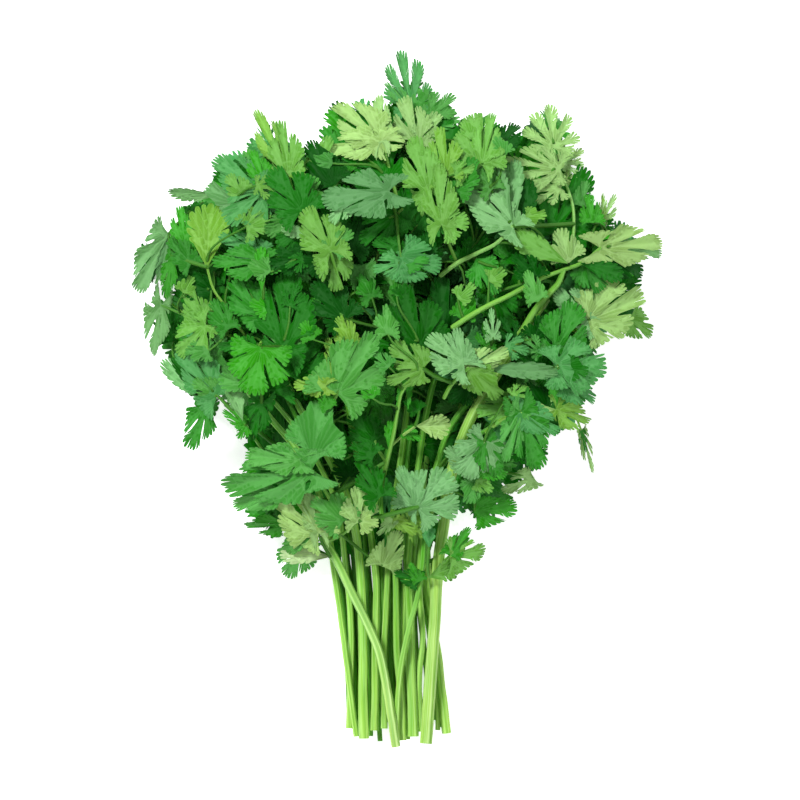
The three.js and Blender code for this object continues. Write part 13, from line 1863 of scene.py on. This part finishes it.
def tube(bag, P, R, sides, ribs, col0, col1, step, cap0=False, cap1=True, seed=0, stem=False):
    """A ribbed, tapered tube through the points P with radii R."""
    P, R = np.asarray(P, float), np.asarray(R, float)
    s = np.concatenate([[0], np.cumsum(np.linalg.norm(np.diff(P, axis=0), axis=1))])
    n = max(3, int(s[-1] / step) + 1)
    C, _ = catmull(P, n)
    rr = np.interp(np.linspace(0, 1, n), s / s[-1], R)
    tan = np.gradient(C, axis=0)
    tan /= np.maximum(np.linalg.norm(tan, axis=1), 1e-9)[:, None]
    ref = np.array([0, 0, 1.0]) if abs(tan[0, 2]) < 0.9 else np.array([1.0, 0, 0])
    a = np.cross(ref, tan[0])
    a /= np.linalg.norm(a)
    frames = []
    for k in range(n):
        a = a - tan[k] * float(a @ tan[k])
        a /= max(np.linalg.norm(a), 1e-9)
        frames.append(a)
    A = np.array(frames)
    Bn = np.cross(tan, A)
    th = np.linspace(0, 2 * math.pi, sides, endpoint=False)
    rng = random.Random(seed)
    phase = rng.uniform(0, 6.28)
    prof = 1 + (0.055 * np.cos(ribs * th + phase) if ribs else 0) + 0.02 * np.cos(2 * th + phase * 2)
    lump = 1 + 0.02 * np.sin(np.linspace(0, s[-1] / 7.0, n) + phase)
    twist = np.linspace(0, rng.uniform(-0.5, 0.5), n)
    ang = th[None] + twist[:, None]
    ring = np.cos(ang)[..., None] * A[:, None] + np.sin(ang)[..., None] * Bn[:, None]
    V = C[:, None] + ring * (rr * lump)[:, None, None] * prof[None, :, None]
    NN = ring.copy()
    k = np.arange(n - 1)[:, None] * sides
    i0 = np.arange(sides)[None]
    i1 = (i0 + 1) % sides
    q = np.stack([k + i0, k + i1, k + sides + i1, k + sides + i0], -1).reshape(-1, 4)
    tri = np.vstack([q[:, [0, 1, 2]], q[:, [0, 2, 3]]])
    V, NN = V.reshape(-1, 3), NN.reshape(-1, 3)
    f = np.repeat(np.linspace(0, 1, n), sides)
    col = (lin(col0)[None] * (1 - f)[:, None] + lin(col1)[None] * f[:, None]) * (STEM_EXPOSE if stem else EXPOSE)
    if ribs:                                                 # pale ribs, greener grooves, wandering a little along the stem
        side_tone = np.array([rng.uniform(-0.12, 0.12) for _ in range(sides)])
        wander = 0.5 * np.sin(np.linspace(0, s[-1] / 31.0, n) + phase)
        rib = np.cos(ribs * th[None] + phase + wander[:, None]) * 0.20 + side_tone[None] + 0.05 * np.sin(np.linspace(0, s[-1] / 9.0, n) * 2.1 + phase)[:, None]
        rib = rib.ravel()[:, None]
        col = col * (1 + rib * np.array([1.25, 0.75, 1.5])[None])
    arc = np.repeat(np.linspace(0, s[-1], n), sides)
    circ = np.tile(th, n)
    data = np.stack([np.cos(circ), np.sin(circ), arc, np.cos(circ) * 3, np.sin(circ) * 3, arc * 0.35 + (seed % 89) * 3.1], 1)
    lu = np.stack([np.tile(np.arange(sides), n).astype(float) * 0.6, arc * 0.5], 1)
    uvq = lu[q]
    wrap = (q[:, 1] % sides) == 0
    uvq[wrap, 1, 0] = sides * 0.6
    uvq[wrap, 2, 0] = sides * 0.6
    uv = np.vstack([uvq[:, [0, 1, 2]].reshape(-1, 2), uvq[:, [0, 2, 3]].reshape(-1, 2)])
    m = len(V)
    capuv = []
    for flag, at, sign in ((cap0, 0, -1), (cap1, n - 1, 1)):
        base = at * sides
        d = tan[at] * sign
        if stem and at == 0:
            # a cut end: a slightly sunken disc inside a rounded rim; its inner rings and centre are painted darker, as
            # shade in the sunken middle
            r0 = rr[0]
            rings = [(0.93, 0.10), (0.70, 0.02), (0.42, -0.25), (0.18, -0.40)]
            prev = base + np.arange(sides)
            for fr, up in rings:
                new = C[0] + (V[base:base + sides] - C[0]) * fr + d * up * 0.5
                V = np.vstack([V, new])
                NN = np.vstack([NN, np.repeat((d + 0.0 * new)[0:1], sides, 0)])
                shade = lin((196, 214, 150)) * (1.0 if fr > 0.5 else 0.62) * STEM_EXPOSE
                col = np.vstack([col, np.repeat(shade[None], sides, 0)])
                data = np.vstack([data, np.stack([np.cos(th), np.sin(th), np.full(sides, -1.0), np.cos(th) * fr * 3, np.sin(th) * fr * 3, np.full(sides, 7.0)], 1)])
                cur = m + np.arange(sides)
                m += sides
                a0, a1, b0, b1 = prev, np.roll(prev, -1), cur, np.roll(cur, -1)
                add = np.vstack([np.stack([a1, a0, b0], 1), np.stack([a1, b0, b1], 1)])
                tri = np.vstack([tri, add])
                po = np.stack([np.cos(th), np.sin(th)], 1)
                pr = (1.0 if prev[0] == base else last_fr)
                uo, ui = po * pr * 1.5, po * fr * 1.5
                capuv.append(np.stack([np.roll(uo, -1, 0), uo, ui], 1).reshape(-1, 2))
                capuv.append(np.stack([np.roll(uo, -1, 0), ui, np.roll(ui, -1, 0)], 1).reshape(-1, 2))
                last_fr = fr
                prev = cur
            V = np.vstack([V, (C[0] - d * 0.22)[None]])
            NN = np.vstack([NN, d[None]])
            col = np.vstack([col, (lin((120, 150, 80)) * STEM_EXPOSE)[None]])
            data = np.vstack([data, [[0, 0, -1, 0, 0, 7.0]]])
            tri = np.vstack([tri, np.stack([np.roll(prev, -1), prev, np.full(sides, m)], 1)])
            po = np.stack([np.cos(th), np.sin(th)], 1) * 0.18 * 1.5
            capuv.append(np.stack([np.roll(po, -1, 0), po, np.zeros_like(po)], 1).reshape(-1, 2))
            m += 1
            continue
        tipp = C[at] + d * rr[at] * 0.6
        V = np.vstack([V, tipp[None]])
        NN = np.vstack([NN, d[None]])
        col = np.vstack([col, col[base][None]])
        data = np.vstack([data, data[base][None]])
        idx = base + np.arange(sides)
        nxt = np.roll(idx, -1)
        if sign < 0:
            tri = np.vstack([tri, np.stack([nxt, idx, np.full(sides, m)], 1)])
        else:
            tri = np.vstack([tri, np.stack([idx, nxt, np.full(sides, m)], 1)])
        po = np.stack([np.cos(th), np.sin(th)], 1)
        if sign < 0:
            capuv.append(np.stack([np.roll(po, -1, 0), po, np.zeros_like(po)], 1).reshape(-1, 2))
        else:
            capuv.append(np.stack([po, np.roll(po, -1, 0), np.zeros_like(po)], 1).reshape(-1, 2))
        m += 1
    if capuv:
        cu = np.vstack(capuv) + np.array([sides * 0.6 + 3.0, 2.0])
        uv = np.vstack([uv, cu])
    bag.add(V, NN, tri, col, data, uv)


# ------------------------------------------------------------------ materials

def node(nt, kind, **values):
    n = nt.nodes.new(kind)
    for k, v in values.items():
        setattr(n, k, v)
    return n


def math_node(nt, op, a, b=None, clamp=False):
    n = node(nt, "ShaderNodeMath", operation=op, use_clamp=clamp)
    for i, s in enumerate((a, b)):
        if s is None:
            continue
        if isinstance(s, (int, float)):
            n.inputs[i].default_value = s
        else:
            nt.links.new(s, n.inputs[i])
    return n.outputs[0]


def mix_colour(nt, fac, a, b, blend="MIX"):
    n = node(nt, "ShaderNodeMix", data_type="RGBA", blend_type=blend)
    n.clamp_factor = True
    for sock, s in ((n.inputs["Factor"], fac), (n.inputs[6], a), (n.inputs[7], b)):
        if isinstance(s, (int, float)):
            sock.default_value = s
        elif isinstance(s, tuple):
            sock.default_value = (*s, 1.0)
        else:
            nt.links.new(s, sock)
    return n.outputs[2]


def noise(nt, vec, scale, detail=2.0, rough=0.5):
    n = node(nt, "ShaderNodeTexNoise")
    nt.links.new(vec, n.inputs["Vector"])
    n.inputs["Scale"].default_value = scale
    n.inputs["Detail"].default_value = detail
    n.inputs["Roughness"].default_value = rough
    return n.outputs["Fac"]


def remap(nt, v, a, b, c, d):
    n = node(nt, "ShaderNodeMapRange")
    n.clamp = True
    nt.links.new(v, n.inputs["Value"])
    for k, x in zip(("From Min", "From Max", "To Min", "To Max"), (a, b, c, d)):
        n.inputs[k].default_value = x
    return n.outputs["Result"]


def leaf_material(name, rough, through, shine):
    mat = bpy.data.materials.new(name)
    mat.use_nodes = True
    nt = mat.node_tree
    nt.nodes.clear()
    out = node(nt, "ShaderNodeOutputMaterial")
    bsdf = node(nt, "ShaderNodeBsdfPrincipled")
    tint = node(nt, "ShaderNodeAttribute", attribute_name="tint")
    leafa = node(nt, "ShaderNodeAttribute", attribute_name="leaf")
    grain = node(nt, "ShaderNodeAttribute", attribute_name="grain")
    sep = node(nt, "ShaderNodeSeparateXYZ")
    nt.links.new(leafa.outputs["Vector"], sep.inputs[0])
    g = node(nt, "ShaderNodeSeparateXYZ")
    nt.links.new(grain.outputs["Vector"], g.inputs[0])
    vein, rim, along = sep.outputs
    gx, gy, gz = g.outputs
    # fine veins: rays from the base that waver, thinning out towards the margin
    ang = math_node(nt, "ARCTAN2", gy, math_node(nt, "ADD", gx, 2.0))
    wav = noise(nt, grain.outputs["Vector"], 0.28, 2.0)
    ray = math_node(nt, "SINE", math_node(nt, "ADD", math_node(nt, "MULTIPLY", ang, 46.0), math_node(nt, "MULTIPLY", wav, 4.5)))
    fine = remap(nt, ray, -0.2, 1.0, 0.0, 1.0)
    main = remap(nt, vein, 0.0, 0.38, 1.0, 0.0)
    net = noise(nt, grain.outputs["Vector"], 1.5, 4.0, 0.65)
    blot = noise(nt, grain.outputs["Vector"], 0.075, 1.0, 0.4)
    # colour: uneven, darker towards the base and between the veins, lighter along them, with a thin pale rim
    dark = node(nt, "ShaderNodeHueSaturation")
    nt.links.new(tint.outputs["Color"], dark.inputs["Color"])
    dark.inputs["Saturation"].default_value = 1.06
    dark.inputs["Value"].default_value = 0.52
    lite = node(nt, "ShaderNodeHueSaturation")
    nt.links.new(tint.outputs["Color"], lite.inputs["Color"])
    lite.inputs["Saturation"].default_value = 0.84
    lite.inputs["Value"].default_value = 1.45
    c = mix_colour(nt, remap(nt, blot, 0.25, 0.75, 0.0, 0.32), tint.outputs["Color"], dark.outputs[0])
    c = mix_colour(nt, remap(nt, net, 0.60, 0.30, 0.0, 0.14), c, dark.outputs[0])
    c = mix_colour(nt, remap(nt, net, 0.48, 0.76, 0.0, 0.14), c, lite.outputs[0])
    c = mix_colour(nt, remap(nt, along, 0.0, 0.60, 0.28, 0.0), c, dark.outputs[0])
    c = mix_colour(nt, remap(nt, vein, 0.3, 2.4, 0.0, 0.20), c, dark.outputs[0])
    c = mix_colour(nt, math_node(nt, "MULTIPLY", fine, 0.24), c, lite.outputs[0])
    c = mix_colour(nt, math_node(nt, "MULTIPLY", main, 0.42), c, lite.outputs[0])
    c = mix_colour(nt, remap(nt, rim, 0.0, 0.35, 0.22, 0.0), c, lite.outputs[0])
    nt.links.new(c, bsdf.inputs["Base Color"])
    bsdf.inputs["Roughness"].default_value = rough
    bsdf.inputs["Specular IOR Level"].default_value = shine
    hgt = math_node(nt, "ADD", math_node(nt, "MULTIPLY", main, -0.7), math_node(nt, "ADD", math_node(nt, "MULTIPLY", fine, -0.22), math_node(nt, "MULTIPLY", net, 0.28)))
    bump = node(nt, "ShaderNodeBump")
    bump.inputs["Strength"].default_value = 0.62
    bump.inputs["Distance"].default_value = 0.0005
    nt.links.new(hgt, bump.inputs["Height"])
    nt.links.new(bump.outputs[0], bsdf.inputs["Normal"])
    trans = node(nt, "ShaderNodeBsdfTranslucent")
    glow = mix_colour(nt, 1.0, c, (0.95, 1.0, 0.35), "MULTIPLY")
    nt.links.new(glow, trans.inputs["Color"])
    mixs = node(nt, "ShaderNodeMixShader")
    mixs.inputs[0].default_value = through
    nt.links.new(bsdf.outputs[0], mixs.inputs[1])
    nt.links.new(trans.outputs[0], mixs.inputs[2])
    nt.links.new(mixs.outputs[0], out.inputs["Surface"])
    return mat


def stem_material(name):
    mat = bpy.data.materials.new(name)
    mat.use_nodes = True
    nt = mat.node_tree
    nt.nodes.clear()
    out = node(nt, "ShaderNodeOutputMaterial")
    bsdf = node(nt, "ShaderNodeBsdfPrincipled")
    tint = node(nt, "ShaderNodeAttribute", attribute_name="tint")
    grain = node(nt, "ShaderNodeAttribute", attribute_name="grain")
    streak_in = node(nt, "ShaderNodeVectorMath", operation="MULTIPLY")
    nt.links.new(grain.outputs["Vector"], streak_in.inputs[0])
    streak_in.inputs[1].default_value = (1.0, 1.0, 0.05)
    streak = noise(nt, streak_in.outputs[0], 1.6, 3.0, 0.6)
    broad = noise(nt, grain.outputs["Vector"], 0.22, 2.0)
    lite = node(nt, "ShaderNodeHueSaturation")
    nt.links.new(tint.outputs["Color"], lite.inputs["Color"])
    lite.inputs["Saturation"].default_value = 0.72
    lite.inputs["Value"].default_value = 1.32
    dark = node(nt, "ShaderNodeHueSaturation")
    nt.links.new(tint.outputs["Color"], dark.inputs["Color"])
    dark.inputs["Saturation"].default_value = 1.12
    dark.inputs["Value"].default_value = 0.62
    c = mix_colour(nt, remap(nt, streak, 0.46, 0.74, 0.0, 0.85), tint.outputs["Color"], lite.outputs[0])
    c = mix_colour(nt, remap(nt, streak, 0.46, 0.26, 0.0, 0.7), c, dark.outputs[0])
    c = mix_colour(nt, remap(nt, broad, 0.56, 0.78, 0.0, 0.35), c, dark.outputs[0])
    blush = node(nt, "ShaderNodeHueSaturation")
    nt.links.new(tint.outputs["Color"], blush.inputs["Color"])
    blush.inputs["Hue"].default_value = 0.42
    blush.inputs["Saturation"].default_value = 0.6
    blush.inputs["Value"].default_value = 0.95
    pink = noise(nt, grain.outputs["Vector"], 0.11, 2.0, 0.5)
    c = mix_colour(nt, remap(nt, pink, 0.60, 0.76, 0.0, 0.16), c, blush.outputs[0])
    nt.links.new(c, bsdf.inputs["Base Color"])
    bsdf.inputs["Roughness"].default_value = 0.42
    bsdf.inputs["Specular IOR Level"].default_value = 0.16
    bump = node(nt, "ShaderNodeBump")
    bump.inputs["Strength"].default_value = 0.5
    bump.inputs["Distance"].default_value = 0.0005
    nt.links.new(streak, bump.inputs["Height"])
    nt.links.new(bump.outputs[0], bsdf.inputs["Normal"])
    trans = node(nt, "ShaderNodeBsdfTranslucent")
    nt.links.new(c, trans.inputs["Color"])
    mixs = node(nt, "ShaderNodeMixShader")
    mixs.inputs[0].default_value = 0.12
    nt.links.new(bsdf.outputs[0], mixs.inputs[1])
    nt.links.new(trans.outputs[0], mixs.inputs[2])
    nt.links.new(mixs.outputs[0], out.inputs["Surface"])
    return mat


# ------------------------------------------------------------------ the bunch

LEAF_SKIN = {
    "leaf_light": leaf_material("leaf_light", 0.50, 0.34, 0.09),
    "leaf_mid": leaf_material("leaf_mid", 0.46, 0.28, 0.05),
    "leaf_dark": leaf_material("leaf_dark", 0.48, 0.20, 0.03),
}
STALK = stem_material("stalk")
STEM = stem_material("stem")


def stalk_colours(tone, vis):
    # stalks that don't show lie inside the bunch and get a darker green: painted shade
    if not vis:
        return (74, 142, 36), (80, 152, 44)
    return {"l": ((166, 220, 104), (172, 222, 114)), "y": ((146, 212, 76), (150, 214, 82)), "p": ((146, 210, 96), (150, 212, 110)),
            "v": ((132, 204, 64), (120, 196, 54))}.get(tone, ((138, 208, 76), (122, 196, 68)))


def trimmed(P, leaflets):
    """A stalk that ends at the base of its blade, just under it."""
    for flip in (False, True):
        Q = P[::-1] if flip else P
        for kind, tone, B, T, N, W, cup, bend in leaflets:
            B, T, N = np.array(B), np.array(T), np.array(N)
            L = np.linalg.norm(T)
            t = T / L
            S = np.cross(N, t)
            if np.linalg.norm(Q[-1] - B) > 0.75 * L:
                continue
            keep = len(Q)
            while keep > 1:
                d = Q[keep - 1] - B
                if -0.3 < d @ t < 0.6 * L and abs(d @ N) < 2.5 and abs(d @ S) < 0.22 * W:
                    keep -= 1
                else:
                    break
            if keep < len(Q):
                if keep < 2:
                    return None
                Q = np.vstack([Q[:keep], B + t * 0.5 - N * 0.25])
                break
        P = Q[::-1] if flip else Q
    return P


def grow(entry, index):
    name, layer, slot, leaflets, tubes = entry
    bag = Bag()
    deep = layer != "visible"
    for k, (kind, tone, B, T, N, W, cup, bend) in enumerate(leaflets):
        leaflet(bag, kind, tone, B, T, N, W, cup, bend, 1000 * index + k * 7 + 3, GRID if layer == "visible" else 1.8 if layer == "core" else GRID_DEEP, deep=layer not in ("visible", "core"))
    tone = leaflets[0][1]
    for k, (r0, r1, vis, flat) in enumerate(tubes):
        P = trimmed(np.array(flat).reshape(-1, 3), leaflets)
        if P is None:
            continue
        c0, c1 = stalk_colours(tone, vis)
        slim = 0.88 if vis else 1.0
        tube(bag, P, np.linspace(r0, r1, len(P)) * slim, 10 if vis else 6, 3 if vis else 0, c0, c1, 1.6 if vis else 3.0, cap0=True, cap1=True, seed=500 * index + k)
    ob = bag.make("bunch_" + name, LEAF_SKIN[slot])
    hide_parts(name)
    return ob


for i, entry in enumerate(LEAVES):
    grow(entry, i + 1)

for i, (name, slot, leaflets) in enumerate(INNER):
    bag = Bag()
    for k, (kind, tone, B, T, N, W, cup, bend, stalk) in enumerate(leaflets):
        near = name.startswith(("under", "upper"))
        leaflet(bag, kind, tone, B, T, N, W, cup, bend, 70000 + 1000 * i + k * 7, 1.9 if name.startswith("under") else GRID if near else GRID_DEEP, deep=not near, plain=not name.startswith("upper"))
        P = np.array(stalk).reshape(-1, 3)
        c0, c1 = stalk_colours(tone, 0)
        tube(bag, P, np.linspace(0.62, 0.42, len(P)), 6, 0, c0, c1, 3.2, cap0=True, cap1=True, seed=90000 + 100 * i + k)
    bag.make("bunch_" + name, LEAF_SKIN[slot])

for i, (name, low, high, pts, radii) in enumerate(STEMS):
    bag = Bag()
    P = np.array(pts).reshape(-1, 3)
    tube(bag, P, np.array(radii), 20, 5, low, high, 2.5, cap0=True, cap1=True, seed=40 + i, stem=True)
    ob = bag.make("bunch_" + name, STEM)
    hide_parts(name)

bag = Bag()
for i, (radius, low, high, pts) in enumerate(DEEP_STEMS):    # short lower stems, in the shade under the others
    P = np.array(pts).reshape(-1, 3)
    tube(bag, P, np.linspace(radius, radius * 0.8, len(P)), 14, 5, low, high, 2.0, cap0=True, cap1=True, seed=140 + i, stem=True)
bag.make("bunch_lower_stems", STEM)


# ------------------------------------------------------------------ table, light and camera

me = bpy.data.meshes.new("table")
F = 60.0
me.from_pydata([(-F, -F, 0), (F, -F, 0), (F, F, 0), (-F, F, 0)], [], [(0, 1, 2, 3)])
table = bpy.data.objects.new("table", me)
bpy.context.scene.collection.objects.link(table)
mat = bpy.data.materials.new("table")
mat.use_nodes = True
b = mat.node_tree.nodes["Principled BSDF"]
b.inputs["Base Color"].default_value = (0.93, 0.93, 0.93, 1)
b.inputs["Roughness"].default_value = 0.9
b.inputs["Emission Color"].default_value = (1, 1, 1, 1)
b.inputs["Emission Strength"].default_value = 0.68
b.inputs["Specular IOR Level"].default_value = 0.1
me.materials.append(mat)

scene = bpy.context.scene
scene.view_settings.view_transform = "Standard"
scene.view_settings.look = "None"
scene.view_settings.exposure = 0.0
scene.view_settings.gamma = 1.0

world = bpy.data.worlds.new("studio")
world.use_nodes = True
world.node_tree.nodes["Background"].inputs["Color"].default_value = (1, 1, 1, 1)
world.node_tree.nodes["Background"].inputs["Strength"].default_value = WORLD
scene.world = world


def sun(name, direction, strength, angle, colour=(1, 1, 1)):
    data = bpy.data.lights.new(name, "SUN")
    data.energy = strength
    data.angle = math.radians(angle)
    data.color = colour
    ob = bpy.data.objects.new(name, data)
    ob.rotation_mode = "QUATERNION"
    ob.rotation_quaternion = Vector(direction).to_track_quat("-Z", "Y")
    bpy.context.scene.collection.objects.link(ob)


sun("key", (0.42, -0.48, -1.0), KEY, 11)
sun("fill", (-0.5, 0.2, -1.0), FILL, 60)

cam_data = bpy.data.cameras.new("camera")
cam = bpy.data.objects.new("camera", cam_data)
scene.collection.objects.link(cam)
scene.camera = cam
DIST, MID = 8.0, 0.050
cam_data.sensor_width = 36.0
cam_data.lens = 36.0 * (DIST - MID) / 0.344
cam_data.clip_start, cam_data.clip_end = 0.1, 200.0
cam.location = (-0.00034, -0.00028, DIST)
cam.rotation_euler = (0, 0, 0)

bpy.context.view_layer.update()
counts = [len(o.data.polygons) for o in bpy.data.objects if o.type == "MESH" and o.name.startswith("bunch_")]
print("triangles in all and in the largest piece:", sum(counts), max(counts))
